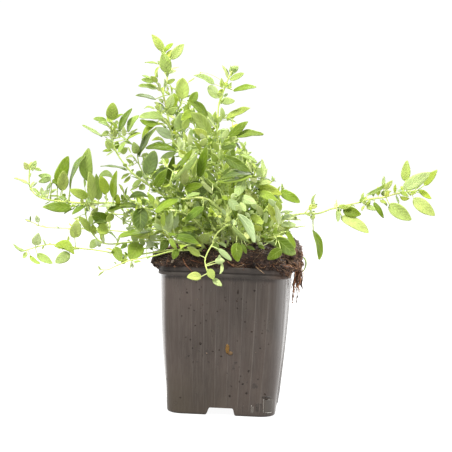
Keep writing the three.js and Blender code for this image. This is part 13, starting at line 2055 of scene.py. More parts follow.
    ("T",(-45.3,-9.8,207.3),(-47.5,-7.6,208.1),(-50.6,-4.4,209.6),2.2,(-.02,-.43,.9),11,(.4,-.4,.5),"D"),
    ("T",(-47.2,-8.7,213.9),(-47.7,-6.9,215.2),(-49,-3.1,219),2.9,(-.72,-.59,.36),6,(-.4,.2,.3),"M"),
    ("T",(-45.1,-7.2,225.4),(-45.4,-4.8,227.3),(-46.1,.7,232.4),4.4,(-.06,-.68,.73),12,(.3,-.3,0),"P"),
    ("T",(-45.1,-7.2,225.4),(-45,-7.9,226.2),(-44.7,-9.2,230.3),2.3,(-.4,.87,.3),12,(.1,-.3,0),"Y"),
    ("T",(-46.5,-4.4,237),(-45.3,-3.4,239.4),(-43.1,-1.4,244.5),3.8,(-.31,-.83,.46),7,(-.3,.4,0),"Y"),
    ("TS",(-49.6,-18.8,220.5),(-50.2,-18.6,221),(-54.5,-19.3,226.3),3.5,(.77,.1,.63),8,(-.3,.3,-.4),"M"),
    ("TB",(-43.5,-17.7,194.7),(-45.6,-19.7,194.2),(-49.2,-23.3,194),2.9,(-.04,-.04,1),17,(0,-.2,.1),"P"),
    ("TB",(-43.5,-17.7,194.7),(-45.5,-18.4,195.5),(-49.9,-20.5,198.1),3,(.53,-.04,.85),14,(0,-.2,.2),"M"),
    ("TB",(-45.5,-21.1,197.8),(-47.2,-20.9,200.2),(-49,-21,203.2),1.6,(.82,-.32,.47),19,(0,0,.1),"Y"),
    ("TB",(-47.5,-24.7,203.3),(-48.8,-24.8,204.3),(-50.8,-25.2,206.8),1.7,(.73,-.43,.53),13,(-.3,.3,.1),"M"),
    ("TB",(-47.5,-24.7,203.3),(-47.5,-23.8,205),(-47.6,-22.6,208),1.7,(.07,-.92,.38),8,(.3,-.1,.1),"M"),
    ("G",(-1.6,9.8,132.2),(.9,9.1,134.1),(4,8.3,136.9),2.4,(-.68,-.09,.73),9,(0,-.1,.3),"Y"),
    ("G",(-3.8,8.9,147),(-3.8,6.7,147.9),(-3.9,2.3,150.2),3.1,(-.06,.47,.88),13,(-.1,.4,.3),"P"),
    ("G",(-3.8,8.9,147),(-5.8,7.2,149),(-8.3,5.1,152.7),2.7,(.59,.47,.66),12,(.1,.1,-.2),"P"),
    ("G",(-6.4,7.5,162.7),(-5.2,9.5,164.3),(-3.5,12.6,166.9),2.5,(-.35,-.5,.8),14,(-.3,-.1,-.3),"D"),
    ("G",(-6.4,7.5,162.7),(-5.1,6.2,164.9),(-3.2,4.3,169.8),3,(-.5,.72,.48),14,(.3,.3,-.4),"L"),
    ("G",(-6.4,7.5,162.7),(-9.6,8.6,163.9),(-14.2,10.3,166.3),3.2,(.38,-.26,.89),14,(.2,0,0),"Y"),
    ("G",(-6.4,7.5,162.7),(-4.5,8.6,165),(-2.8,9.5,167.5),1.8,(-.73,-.32,.61),18,(.2,-.2,.1),"M"),
    ("G",(-7.6,7,168.6),(-6,8.5,170.5),(-3.7,10.7,173.8),2.8,(-.76,-.16,.63),15,(.1,.4,.1),"D"),
    ("G",(-7.6,7,168.6),(-9,5.8,168.9),(-11.2,4,169.8),1.5,(.59,-.36,.73),15,(.3,.2,.2),"D"),
    ("G",(-10.2,5.7,183.3),(-11,6.2,183.7),(-15.3,8.5,188.9),3.3,(.59,-.43,.68),8,(.2,.4,.1),"M"),
    ("G",(-10.8,5.2,190.3),(-10.7,6.4,191.3),(-10.6,9.5,196.5),3.1,(.79,-.53,.3),12,(-.1,-.1,.4),"M"),
    ("G",(-10.9,5.2,196.2),(-9.3,5.8,197.2),(-4.3,7.7,202),3.7,(-.68,-.04,.73),7,(-.2,.1,.2),"M"),
    ("G",(-10.9,5.2,196.2),(-11.4,6,196.7),(-14.4,11.1,201),4.3,(-.21,-.71,.68),14,(.2,0,.5),"P"),
    ("G",(-10.2,4.5,208.2),(-8.5,3.8,208.8),(-2.3,1,212.3),4.3,(-.4,.23,.89),13,(-.2,.1,-.1),"M"),
    ("G",(-10.2,4.5,208.2),(-9.8,5.6,208.8),(-8.5,9,211.7),2.2,(-.56,-.41,.72),16,(.1,.4,0),"M"),
    ("G",(-7.8,4,215.8),(-7.9,1.7,216.8),(-8,-2.1,218.9),2.2,(.22,.47,.86),9,(-.2,-.3,.1),"L"),
    ("S2",(-17.8,12.6,137.8),(-17.1,14.1,140.3),(-16.7,15.4,143.2),1.9,(.59,-.77,.25),15,(0,.1,.2),"P"),
    ("S2",(-25.9,8.9,160.1),(-28.7,10.1,161.3),(-33.7,12.1,163.3),2.8,(.41,.11,.91),6,(0,.3,0),"Y"),
    ("S2",(-28.6,7.6,167.5),(-28.2,8.6,168.4),(-26.8,12.3,173.6),3.3,(-.46,-.66,.59),6,(.1,.1,-.2),"L"),
    ("S2",(-33.2,5.9,179.5),(-33.4,3.9,180.3),(-33.9,.7,181.7),1.9,(.81,.14,.57),17,(.1,0,.2),"D"),
    ("S2",(-35.1,5.1,185.2),(-33.9,4,187.8),(-33,2.9,190.6),1.9,(-.29,.86,.43),19,(0,.2,.2),"L"),
    ("S2",(-35.1,5.1,185.2),(-36.2,4.5,185.4),(-42.1,1.1,188.3),3.8,(.27,.31,.91),12,(-.4,0,.4),"M"),
    ("S2",(-37.1,3.8,191.8),(-36,2.2,193.8),(-35,.6,196.4),1.9,(-.67,.48,.57),15,(0,-.2,0),"P"),
    ("S2",(-37.1,3.8,191.8),(-36.3,5,194.5),(-34.8,7.2,201.5),3.8,(0,-.95,.31),17,(-.5,.3,.1),"L"),
    ("S2",(-38.2,2.9,196.6),(-40,2.5,197.8),(-45.2,1.1,202),3.9,(.64,-.34,.69),12,(-.2,.1,-.4),"L"),
    ("S2",(-37.9,1.7,203.3),(-38.8,.4,205.4),(-40.1,-2.2,210.3),3.3,(.57,.65,.5),8,(-.5,-.2,.1),"M"),
    ("S2",(-37.9,1.7,203.3),(-37.2,3.1,205.5),(-35.7,5.1,209.4),2.2,(-.7,-.48,.52),6,(.3,-.3,0),"L"),
    ("S2",(-37.9,1.7,203.3),(-39.2,1.2,205.6),(-40.5,.6,208.9),1.8,(.78,.46,.42),17,(-.1,-.2,0),"L"),
    ("S2",(-36.3,.8,207.9),(-37,.3,209.2),(-38.3,-1.4,213.5),2.7,(.67,.61,.43),11,(0,-.3,-.1),"L"),
    ("S2",(-36.3,.8,207.9),(-37.8,1.7,209.8),(-41.5,3.8,215),3.8,(.44,-.68,.59),13,(-.3,-.1,-.4),"M"),
    ("A",(-17,-5.8,116.2),(-18.7,-8,116.6),(-22.8,-12.9,119.2),3.5,(.27,.27,.92),12,(0,-.2,-.4),"Y"),
    ("A",(-19.6,-8.8,120.7),(-21,-10.2,120.7),(-24.5,-13.9,122.6),2.7,(.22,.29,.93),18,(.2,-.3,.1),"L"),
    ("A",(-42.4,-22.5,145.8),(-44.2,-24.4,145.2),(-47.5,-27.7,144.8),2.6,(-.42,.34,.84),10,(-.1,.2,-.1),"M"),
    ("A",(-42.4,-22.5,145.8),(-44.8,-21.7,146.4),(-48.1,-21.2,147.2),2,(.19,-.23,.95),17,(0,.1,.2),"L"),
    ("A",(-42.4,-22.5,145.8),(-42.1,-24.9,148.3),(-42.3,-27.8,151.7),2,(-.76,.51,.39),13,(-.1,.2,.1),"Y"),
    ("A",(-47.7,-25.3,149.4),(-49.1,-27.5,149.3),(-52.9,-32.1,150.1),3.1,(-.12,.27,.96),9,(0,-.3,.5),"D"),
    ("A",(-47.7,-25.3,149.4),(-47.9,-24,151.4),(-48.4,-21.9,155),2.2,(-.37,-.83,.41),8,(.1,-.1,.4),"P"),
    ("A",(-52.2,-27.4,152.7),(-55.2,-26,153.7),(-60.8,-24.1,156.4),3.5,(.41,-.05,.91),9,(-.2,.6,.3),"P"),
    ("A",(-76.8,-39.9,181.9),(-75.8,-38.5,184.6),(-74.8,-37,188.2),2,(-.36,-.82,.45),15,(.1,-.3,.2),"L"),
    ("A",(-76.8,-39.9,181.9),(-78.7,-40.8,183.3),(-81.7,-42.3,186),2.2,(.62,.18,.76),7,(.3,.2,-.1),"M"),
    ("A",(-77.6,-40.9,186.7),(-76.7,-40.1,188.1),(-74.9,-38.4,193.4),2.7,(-.47,-.78,.41),19,(0,0,-.3),"Y"),
    ("A",(-77.6,-40.9,186.7),(-76.2,-42.1,188.9),(-74.8,-43.5,192),1.6,(-.34,.8,.49),9,(-.1,-.1,-.2),"M"),
    ("A",(-77.4,-40.9,193.7),(-78,-39.9,194.8),(-80,-36.2,201.7),3.8,(-.02,-.88,.47),9,(-.4,-.2,-.4),"M"),
    ("B",(-42.8,-36.9,133.3),(-43.4,-37.7,132.5),(-48.7,-42.1,130.7),3.6,(.09,-.46,.88),9,(0,-.6,.3),"M"),
    ("B",(-57.9,-41.3,139.6),(-58.2,-39.9,143.1),(-58.9,-37.7,149.3),3.3,(-.42,-.87,.25),11,(0,.3,-.1),"M"),
    ("B",(-62.7,-42.3,140.9),(-64.2,-41.6,143.2),(-67.9,-41,147.5),2.4,(.66,.59,.46),15,(.2,-.2,0),"M"),
    ("B",(-90.2,-47,141.7),(-92.1,-44.9,140.3),(-97,-40.8,137.1),3.2,(-.26,.38,.89),8,(-.3,-.2,-.4),"L"),
    ("B",(-96.1,-47.3,141.5),(-98.2,-46.4,139.6),(-101.8,-45.3,137.2),2,(-.6,-.24,.76),13,(-.2,.1,-.2),"M"),
    ("B",(-102.1,-47.3,141.6),(-102.9,-46.7,140.8),(-105.4,-45.5,139.2),1.7,(-.46,.2,.87),8,(-.1,.1,.1),"L"),
    ("B",(-108.1,-47,142),(-109.8,-45.2,142),(-115.5,-41.1,142.6),3.9,(-.47,-.72,.51),18,(-.1,.3,-.4),"M"),
    ("B",(-120.9,-45.4,143.3),(-121.1,-44.1,144),(-122.3,-39.9,147.2),3,(-.06,-.61,.79),19,(-.3,-.1,-.2),"M"),
    ("C",(-44,24,115.7),(-46.8,23.2,114.2),(-53,22,112.6),3.9,(-.31,.45,.84),6,(-.4,-.4,0),"P"),
    ("C",(-51,24.2,116.3),(-53.5,26.5,117.3),(-56.4,28.5,118.6),1.7,(.02,-.5,.87),17,(0,.1,0),"M"),
    ("C",(-59,24.3,116.3),(-59.7,25.7,117.1),(-61.5,28,118.8),1.7,(.34,-.37,.87),18,(0,0,.1),"L"),
    ("C",(-97.8,21.1,116.7),(-98.3,19.3,116.1),(-99.7,16.3,114.9),1.9,(-.07,-.34,.94),13,(-.1,.1,.2),"M"),
    ("C",(-104.7,20.1,117),(-106.3,18.4,119.4),(-108.3,16.7,122.1),1.7,(.46,.56,.69),17,(0,-.3,0),"Y"),
    ("C",(-111.6,19,117.1),(-112.2,18.1,116.7),(-115.3,15.1,116.2),2.2,(-.01,-.18,.98),12,(.3,-.1,.3),"L"),
    ("C",(-111.6,19,117.1),(-112.1,19.6,117.7),(-115.4,21.5,120.5),2.4,(.52,-.27,.81),19,(0,.2,-.1),"Y"),
    ("D",(-42.6,-38.6,110.2),(-45.5,-37.8,111.4),(-49,-37.4,112.6),1.9,(.3,-.28,.91),6,(.2,.2,.2),"L"),
    ("D",(-66.9,-46.7,107.9),(-68.4,-45.1,109.2),(-71.8,-42.4,111.3),2.5,(-.48,-.83,.3),13,(-.2,-.1,-.1),"P"),
    ("D",(-100.2,-51.6,112.3),(-102.1,-50.8,111.4),(-107.8,-48.9,110),3.4,(-.18,.16,.97),12,(-.1,-.6,.2),"D"),
    ("D",(-107.1,-52.2,113.2),(-107.7,-51.8,112.7),(-110.8,-51.1,111.5),2,(-.37,-.15,.92),7,(-.1,0,-.1),"Y"),
    ("F",(-35.3,-24,115.1),(-36.1,-26,117.6),(-37.4,-28,119.6),1.6,(.16,.66,.74),19,(-.2,-.2,.1),"M"),
    ("F",(-35.3,-24,115.1),(-37.8,-22.9,117),(-43.7,-21.6,121.5),3.2,(.27,-.76,.58),16,(-.4,.1,.5),"Y"),
    ("F",(-42.8,-26.7,116.1),(-44,-26.2,117.4),(-47.2,-25.7,119.9),2.2,(.49,-.49,.72),11,(0,.3,.3),"M"),
    ("F",(-42.8,-26.7,116.1),(-44.8,-29.3,114.6),(-49.9,-34.6,112.1),3.9,(0,-.43,.9),17,(-.1,.1,0),"P"),
    ("F",(-49.4,-29.1,116.1),(-50.5,-28.9,118.8),(-53.2,-28.9,124),3.2,(.84,.32,.43),18,(0,-.2,.3),"L"),
    ("F",(-55,-31,115.8),(-57.3,-28.2,116.5),(-60,-25.3,116.9),2.3,(.36,.21,.91),15,(.3,.4,-.2),"Y"),
    ("F",(-61.7,-33.2,115.3),(-62.5,-32.7,114.4),(-65.6,-32,112.3),1.6,(-.57,-.48,.67),7,(-.2,.3,-.2),"M"),
    ("F",(-90.9,-37.9,123.5),(-90.3,-38.8,126.6),(-89.9,-40.2,133.1),3.5,(-.16,.96,.23),9,(0,0,.4),"P"),
    ("R",(44.3,-8.1,134.8),(44.5,-7,134.1),(46.5,-3.4,133.2),2.2,(.46,-.04,.89),14,(0,-.2,-.2),"Y"),
    ("R",(55,-2.9,136.1),(55,-1.9,137.8),(55.9,.8,142.1),2.8,(.29,-.84,.47),14,(0,.1,.1),"Y"),
    ("R",(71.3,5.8,139.5),(72.2,9.1,140.1),(74.8,14.9,141.3),3.7,(-.04,-.18,.98),12,(-.4,0,.2),"P"),
    ("R",(112,27.1,148.7),(112.1,27.9,149.4),(114.6,31.5,152.8),3,(-.88,.22,.42),12,(-.1,.3,0),"M"),
    ("R",(126.7,32.9,151.3),(128.6,35.4,150.2),(132.3,39.6,148.8),2.7,(.41,-.06,.91),13,(0,-.2,-.4),"M"),
    ("RP",(25.6,-.5,120.5),(27.2,.5,120.1),(31.9,3.2,120.4),2.7,(-.12,.1,.99),12,(-.2,-.1,0),"Y"),
    ("H",(.4,-22.6,115.3),(-.1,-21.2,117.7),(-.7,-20,120.9),1.8,(.27,-.88,.4),10,(0,-.1,.1),"M"),
    ("J",(-16.7,-14.7,118.8),(-17.3,-16.2,118.2),(-20.7,-23,117.9),3.4,(.04,-.07,1),8,(.3,-.4,.3),"L"),
    ("J",(-19.7,-17.3,121.8),(-21.2,-17.2,121.3),(-28,-17.5,120.6),4,(-.1,-.1,.99),15,(.2,.1,-.1),"M"),
    ("J",(-30.5,-26.4,134.4),(-32.1,-26.5,134.6),(-38.1,-27.6,137.5),3.4,(.39,.16,.91),13,(-.3,-.3,-.5),"Y"),
    ("J",(-33,-28.5,138.2),(-36,-27.2,139.1),(-41.8,-24.7,141.7),3.3,(.38,-.08,.92),6,(-.1,0,.3),"Y"),
    ("J",(-33,-28.5,138.2),(-32.5,-28.8,140.2),(-32.2,-29.6,143.5),1.9,(-.96,-.29,0),13,(-.1,0,.2),"M"),
    ("J",(-35.5,-31,143),(-36.8,-32.1,143.3),(-42.1,-36.8,146.4),3.8,(.02,.53,.85),6,(.1,0,.1),"M"),
    ("J",(-35.5,-31,143),(-35.7,-30.3,144),(-37.1,-28.4,148.9),2.7,(.11,-.92,.38),19,(-.3,-.1,.4),"M"),
    ("J",(-35.5,-31,143),(-34.8,-30.7,145.8),(-34.2,-30.6,149.2),2.3,(-.87,-.47,.16),9,(0,-.1,-.3),"M"),
    ("J",(-37.6,-33.9,150.1),(-38.6,-34.8,150.7),(-42.6,-38.8,155),3.9,(-.14,.79,.6),9,(-.2,0,-.2),"L"),
    ("J",(-37.6,-33.9,150.1),(-39.1,-33.1,153),(-40.7,-32.6,156.5),2.2,(.77,-.48,.41),12,(-.3,0,.1),"M"),
    ("J2",(-12.4,-16,134),(-14.4,-17,134),(-17.6,-18.8,134.6),2,(.26,-.17,.95),10,(-.2,0,-.2),"L"),
    ("J2",(-17.9,-23.3,147.1),(-17.6,-22.5,149.8),(-17.5,-21.9,153.1),1.8,(.83,-.55,.08),9,(-.1,.1,-.1),"Y"),
    ("J2",(-27.8,-29.4,170.2),(-29.3,-29.1,170.9),(-32.7,-28.4,172.8),2.4,(.43,-.26,.87),9,(0,0,.3),"P"),
    ("J2",(-27.8,-29.4,170.2),(-25.8,-30.2,172.7),(-22.3,-31.7,178.4),3.9,(-.58,-.8,.15),14,(0,.2,.4),"P"),
    ("J3",(-16.7,-36.9,164.7),(-14.2,-36.6,165.1),(-8.1,-36.1,166.6),3.7,(-.25,.13,.96),11,(.6,.1,0),"L"),
    ("I1",(5.5,-18,118.1),(4.1,-19.3,118.2),(0,-24.2,119.9),3,(.14,.23,.96),18,(-.1,.1,-.1),"M"),
    ("I1",(1.3,-28.1,129.8),(.1,-29.6,129.3),(-2,-32.5,128.9),1.7,(.01,-.13,.99),15,(-.2,-.1,0),"Y"),
    ("I1",(-9.8,-39.2,144.7),(-8.8,-40.4,147.3),(-7.8,-42.1,150.7),2.4,(-.53,.69,.49),12,(0,-.2,0),"M"),
    ("I2",(5.3,-8.3,117.5),(7.1,-9.6,118.6),(10.8,-13.1,122.3),3.5,(-.81,-.45,.38),17,(-.1,.2,.1),"L"),
    ("I2",(4.1,-13.5,123.5),(1.8,-15.4,123.8),(-3.2,-20,125.4),3.5,(.22,.1,.97),13,(-.1,-.1,.1),"L"),
    ("I2",(-.2,-25.9,139.8),(-2.6,-27.8,140.8),(-5,-29.9,142.3),1.7,(.52,.04,.85),15,(-.1,-.1,-.1),"Y"),
    ("I2",(-3.6,-33.5,151.1),(-3,-33.6,152.2),(-2.2,-34.6,156.5),2.5,(-.64,.71,.29),17,(.2,.2,.1),"Y"),
    ("I2",(-7.4,-37.4,155.4),(-7.1,-38.3,155.6),(-7,-44.5,157.8),3.5,(-.65,.25,.72),8,(.3,0,0),"Y"),
    ("N1",(1.8,.7,115.4),(3.5,1.3,117.7),(6.5,1.9,123.4),3.9,(-.78,-.44,.45),13,(.2,.4,-.6),"P"),
    ("N1",(1.5,-1.5,121),(1.8,-.1,122.4),(2.6,2.6,126.8),2.7,(-.37,-.76,.53),16,(-.2,0,0),"L"),
    ("N1",(1.2,-2.9,124.7),(-.7,-1.6,127.3),(-2.4,-.6,129.7),1.6,(.79,-.17,.59),14,(-.1,-.1,0),"Y"),
    ("N1",(.1,-7.2,136.9),(.7,-9.8,138.4),(1.5,-14.1,141.4),2.7,(.94,.29,.17),19,(0,.3,0),"M"),
    ("N1",(-.7,-9.4,143.5),(-2.2,-8.5,144.7),(-5.7,-6.6,148.6),2.7,(.65,-.26,.72),19,(0,.1,-.4),"M"),
    ("N1",(-1.9,-11.6,151.1),(-.9,-14.2,153.2),(-.1,-16.6,155.4),1.7,(-.83,.21,.52),12,(0,0,-.1),"P"),
    ("N1",(-1.9,-11.6,151.1),(-.8,-10.8,152.5),(2,-8.7,157.8),3.4,(-.45,-.72,.53),16,(-.3,-.6,-.2),"Y"),
    ("N1",(-2.7,-12.5,156),(-3,-13.9,157),(-3.9,-16.6,160.1),2.3,(.45,.61,.65),16,(-.2,-.1,0),"M"),
    ("N1",(-2.7,-12.5,156),(-.1,-13.1,158.1),(3.4,-14,161.1),2.9,(-.67,-.06,.74),11,(-.1,.2,-.1),"P"),
    ("N1",(-3.7,-12.8,161.8),(-6,-12.8,163.4),(-10.5,-12.7,166.8),2.9,(.61,-.04,.79),13,(-.3,.4,-.1),"P"),
    ("N1",(-3.7,-12.8,161.8),(-2.2,-12.9,164.9),(-.8,-12.9,168.4),2.1,(-.64,-.73,.23),13,(0,-.2,-.3),"L"),
    ("N1",(-4.9,-12.6,167.7),(-4,-13.2,169.1),(-1.7,-14.6,175.6),3.6,(-.89,-.4,.23),16,(.1,.2,.2),"M"),
    ("N1",(-4.9,-12.6,167.7),(-7.1,-11.6,170),(-11.4,-9.6,175.8),3.5,(.51,-.63,.59),18,(-.5,.1,-.3),"P"),
    ("N1",(-6.1,-11.9,174.6),(-4.5,-12.3,176.9),(-1.5,-13.1,182.3),3.9,(-.86,-.28,.43),16,(-.3,-.1,-.4),"Y"),
    ("U",(6.8,-8.8,124.4),(4.7,-10.8,124.7),(2.2,-13.3,125.9),2,(.48,-.05,.87),13,(.1,-.1,-.1),"M"),
    ("U",(6.1,-16.4,136.1),(7.7,-17.7,137.3),(11.7,-21.7,142),3.8,(-.57,.32,.76),14,(-.1,.2,-.4),"P"),
    ("U",(5.5,-21.2,146),(3.6,-21.7,146.7),(-2.8,-23.5,150.5),4.1,(.56,-.36,.75),18,(-.1,.4,.1),"M"),
    ("U",(5.5,-21.2,146),(5.3,-20.2,148.2),(4.9,-18.6,153.8),2.9,(.22,-.94,.27),16,(-.2,.1,.2),"M"),
    ("V",(11.8,-4.8,131.3),(10.3,-5.4,132.6),(6.3,-7.9,139),4.4,(.31,.8,.51),13,(-.1,-.9,.3),"L"),
    ("W",(7.2,-25.6,116.3),(9.3,-28.4,117),(12.3,-32.9,117.9),3.2,(-.1,.14,.99),12,(.2,-.3,0),"D"),
    ("P1",(-22.3,-31.4,112.8),(-21.8,-33.2,114),(-21.6,-38,117),3,(-.4,.48,.78),13,(.4,0,0),"D"),
    ("P1",(-33.7,-46.5,119.3),(-34.7,-47,119),(-40.2,-50.5,119.5),3.8,(.05,.06,1),12,(-.3,.3,-.2),"P"),
    ("P1",(-40.9,-53.1,126.5),(-42,-51.9,126.3),(-45.8,-48.2,126),3.1,(.05,.12,.99),11,(0,-.5,0),"M"),
    ("X",(28,-23.9,122.4),(28.7,-22.4,125.3),(30.3,-20,130.7),3,(.64,-.75,.15),9,(0,-.2,-.1),"M"),
    ("X",(28,-23.9,122.4),(29.8,-25.1,122),(32.4,-26.8,121.7),1.9,(.13,.04,.99),12,(-.2,0,0),"L"),
    ("Q",(13.7,-10.6,115.8),(14.1,-13.3,116.2),(15.7,-19.7,119.1),3.7,(.39,.45,.8),12,(-.1,-.5,.2),"M"),
    ("Q",(24.2,-31.4,137.5),(23.9,-31.1,138.5),(23.8,-31.1,142.3),1.6,(1,-.07,.04),8,(.2,-.1,-.2),"Y"),
    ("Q",(24.2,-31.4,137.5),(24.9,-31,137.9),(28.4,-30,140.8),2.2,(-.61,-.14,.78),6,(.2,-.1,.1),"M"),
    ("b1",(16.1,33.5,138.1),(18.8,34,139.7),(21.6,34.8,141.9),1.8,(-.65,.31,.69),7,(0,-.2,0),"M"),
    ("b1",(16.1,33.5,138.1),(16.3,34.7,137.8),(17.9,40.7,139.1),3.4,(.39,-.29,.87),7,(.7,.5,-.1),"Y"),
    ("b2",(.6,20.6,119.9),(3.6,21.9,120.7),(6.7,23.4,121.8),1.8,(-.19,-.29,.94),10,(0,-.3,-.3),"Y"),
    ("b2",(.8,26.3,129.3),(.5,25,132.4),(-.1,23.1,138.9),3.3,(-.74,.66,.12),15,(.1,0,.2),"M"),
    ("b2",(.8,26.3,129.3),(1.1,28.2,129.6),(1.4,31.6,131.5),1.8,(.06,-.5,.86),6,(0,-.2,.2),"M"),
    ("b2",(.9,31.5,136.6),(-1.1,33.4,138.3),(-2.9,35.7,140.6),1.8,(.47,-.41,.79),16,(.2,-.3,.1),"L"),
    ("b2",(1.1,39.2,145.8),(1.8,40.6,145.8),(3.4,44.3,147.5),2.4,(.28,-.48,.83),10,(.3,.1,.1),"P"),
    ("b2",(1.4,44.5,151.8),(.6,44.1,152.9),(-1.8,43.5,157.1),2.4,(.69,.55,.48),7,(-.4,-.4,-.2),"L"),
    ("b2",(2.1,65.4,168.7),(1,66.3,171),(-.4,68,174.1),2,(.46,-.68,.57),12,(0,.5,.2),"L"),
    ("b2",(2.2,69.8,171),(2.4,70,173.8),(2.5,70.4,176.9),1.7,(.61,-.79,.08),6,(0,-.2,0),"L"),
    ("b2",(2.2,69.8,171),(1.3,70.9,170.9),(-2.2,76.2,171),3.1,(.55,.35,.76),16,(.5,.4,-.6),"L"),
    ("b3",(-7.8,18.8,117.2),(-9.5,19,117.9),(-13.9,20.5,121.1),2.9,(.57,-.08,.82),6,(0,0,0),"P"),
    ("b3",(-10,24.4,125.2),(-8.7,25.1,127.8),(-7.8,26.4,131.2),1.7,(-.92,.37,.12),12,(.1,-.1,0),"M"),
    ("b3",(-11,26.8,128.3),(-12.3,27.9,127.9),(-17.3,32.8,127.8),4,(.24,.26,.94),16,(.3,.1,-.1),"M"),
    ("b3",(-17.2,41.6,143.2),(-17.2,41.3,144.3),(-17.7,42.1,148.2),2.2,(.65,-.72,.23),6,(.1,.1,.1),"L"),
    ("b3",(-32.9,74,159.1),(-34.8,75.2,158.2),(-37.8,77.6,157.2),2.1,(-.41,-.16,.9),10,(-.1,.3,-.1),"Y"),
    ("b4",(-13.6,13,115.3),(-13.9,11.5,117.5),(-14.7,9.8,121.7),2.3,(-.13,.92,.36),15,(-.2,-.1,.4),"Y"),
    ("b4",(-16.4,15.8,122.3),(-17.8,16,122.4),(-23.7,18,126.4),4.1,(.34,-.53,.78),7,(.1,-.3,-.2),"P"),
    ("b4",(-18.9,18.1,127.2),(-17.9,17.6,128.8),(-16.7,17,132),1.6,(-.89,.23,.39),6,(0,.2,-.1),"Y"),
    ("b4",(-25.2,24.1,138.1),(-24.9,23.9,140.4),(-25,24,143.8),1.7,(-.25,-.97,.04),16,(.1,.1,.1),"L"),
    ("b4",(-27.7,26.5,141.8),(-27.1,27.6,144.7),(-27,29.3,149.1),2,(.06,-.93,.36),18,(-.2,.2,.1),"M"),
    ("b4",(-27.7,26.5,141.8),(-29.7,25.8,142.8),(-33.9,25,145.5),2.3,(.31,.66,.68),15,(.4,-.3,-.1),"L"),
    ("b4",(-33.7,32.2,149),(-35.3,33.8,148.2),(-37.9,36.5,147.2),1.9,(-.22,.14,.96),13,(.3,0,-.3),"Y"),
    ("b4",(-33.7,32.2,149),(-34.5,31.7,149.5),(-39.9,31,154.2),3.6,(.48,.6,.64),12,(.1,.2,-.5),"Y"),
    ("b4",(-37.2,35.6,152.6),(-38.8,35.4,152.2),(-45.8,35.3,151.4),3.4,(-.09,.64,.76),13,(-.1,.2,.1),"L"),
    ("b4",(-45.6,42.9,159.2),(-45.3,43.6,161.7),(-45.3,45,166.3),2.2,(-.52,-.82,.24),14,(0,-.3,-.2),"P"),
    ("b4",(-45.6,42.9,159.2),(-48.2,44.2,159.1),(-51.8,46.1,159.6),2.3,(-.07,-.37,.93),18,(-.1,0,-.1),"L"),
    ("b4",(-50.5,47,162),(-51.5,47.3,161.6),(-56,49.4,160.6),2.6,(-.13,.16,.98),11,(.2,.2,.2),"M"),
    ("b4",(-50.5,47,162),(-50.6,48,164.5),(-51.1,49.4,167.6),1.8,(.42,-.8,.43),10,(-.2,.1,0),"P"),
    ("b5",(-4.8,26.3,114.3),(-3.5,25.8,117.3),(-2,25.4,121.5),2.5,(-.92,.17,.34),17,(-.1,0,0),"L"),
    ("b5",(-9.1,48.5,127.1),(-9,50.5,126.5),(-9.4,57.3,125.9),3.6,(.06,.09,.99),8,(.5,.2,-.2),"L"),
    ("b5",(-10.3,54,129),(-11.9,54.9,127.5),(-16.4,57.8,123.9),3.5,(-.23,.6,.77),6,(.2,-.1,.1),"L"),
    ("b5",(-14.5,73.3,130.9),(-16.5,74.6,131.6),(-20.2,77.6,132.7),2.8,(.01,-.35,.94),18,(.3,-.5,.1),"L"),
    ("b6",(10.5,42.6,123.4),(11.1,44.8,122.4),(11.9,47.9,121.9),1.8,(-.25,.22,.94),6,(.1,.1,.1),"Y"),
    ("b6",(17.4,66.5,130.5),(20.5,66.5,131.9),(25.8,66.8,133.9),3.2,(-.37,-.03,.93),6,(-.1,-.3,.1),"M"),
    ("b6",(17.4,66.5,130.5),(16.4,69.1,132.4),(14.9,74.4,136.1),3.7,(.19,-.52,.83),7,(-.1,.2,.1),"Y"),
    ("b7",(-16,23.5,114.8),(-16.1,22.9,116),(-17.4,21.9,121.8),3.6,(.02,.98,.19),17,(-.3,-.2,.2),"Y"),
    ("b7",(-19.8,29,119.1),(-19.2,32.4,118),(-18.5,37.1,116.7),2.8,(-.21,.29,.94),13,(0,-.1,-.4),"Y"),
    ("b7",(-23.3,34.2,122.3),(-22.7,35.3,123.1),(-22,38.4,125.3),2.2,(-.05,-.58,.81),12,(0,0,-.1),"M"),
    ("b7",(-26.4,38.7,124.7),(-27.2,40.8,123.8),(-28.5,43.6,123.2),1.6,(.05,.21,.98),15,(0,.2,.2),"M"),
    ("b7",(-26.4,38.7,124.7),(-25.9,39,125.8),(-23.8,41.6,131.9),3.4,(.21,-.93,.31),6,(.2,-.4,0),"L"),
    ("b7",(-39.1,54.6,129.7),(-39.4,56.2,127.6),(-40.6,60.6,122.2),3.8,(.05,.78,.63),11,(.5,-.3,.5),"M"),
    ("b7",(-44.1,60.8,129.8),(-44.8,61.5,131),(-48.1,64.8,135.5),3.1,(.81,.03,.59),13,(.2,.2,0),"L"),
    ("b8",(-30.9,14.9,132.2),(-32.5,16.6,132.7),(-36.3,20.3,134.7),3,(.12,-.37,.92),6,(-.3,-.1,.4),"Y"),
    ("b8",(-40.2,19.4,141.7),(-43.3,20.4,141.8),(-47.7,21.9,142.2),2.3,(-.1,-.5,.86),8,(.1,-.2,.1),"L"),
    ("b8",(-40.2,19.4,141.7),(-40,19.4,142.9),(-40.7,20.2,147.3),2.2,(.25,-.95,.2),13,(-.3,-.1,-.1),"M"),
    ("b8",(-43.8,21.1,144.6),(-46.8,22.6,144.8),(-52.8,25.6,145.8),3.6,(.34,.39,.86),13,(.2,0,.2),"M"),
    ("b8",(-51.5,24.8,149.8),(-52.9,25.4,149.3),(-59.4,28.4,148.9),3.9,(-.31,-.57,.76),19,(.3,0,.6),"L"),
    ("b8",(-54.8,26.4,151.6),(-55.5,28.1,150.7),(-58.3,34,147.7),3.1,(-.59,.12,.8),11,(.2,-.3,0),"P"),
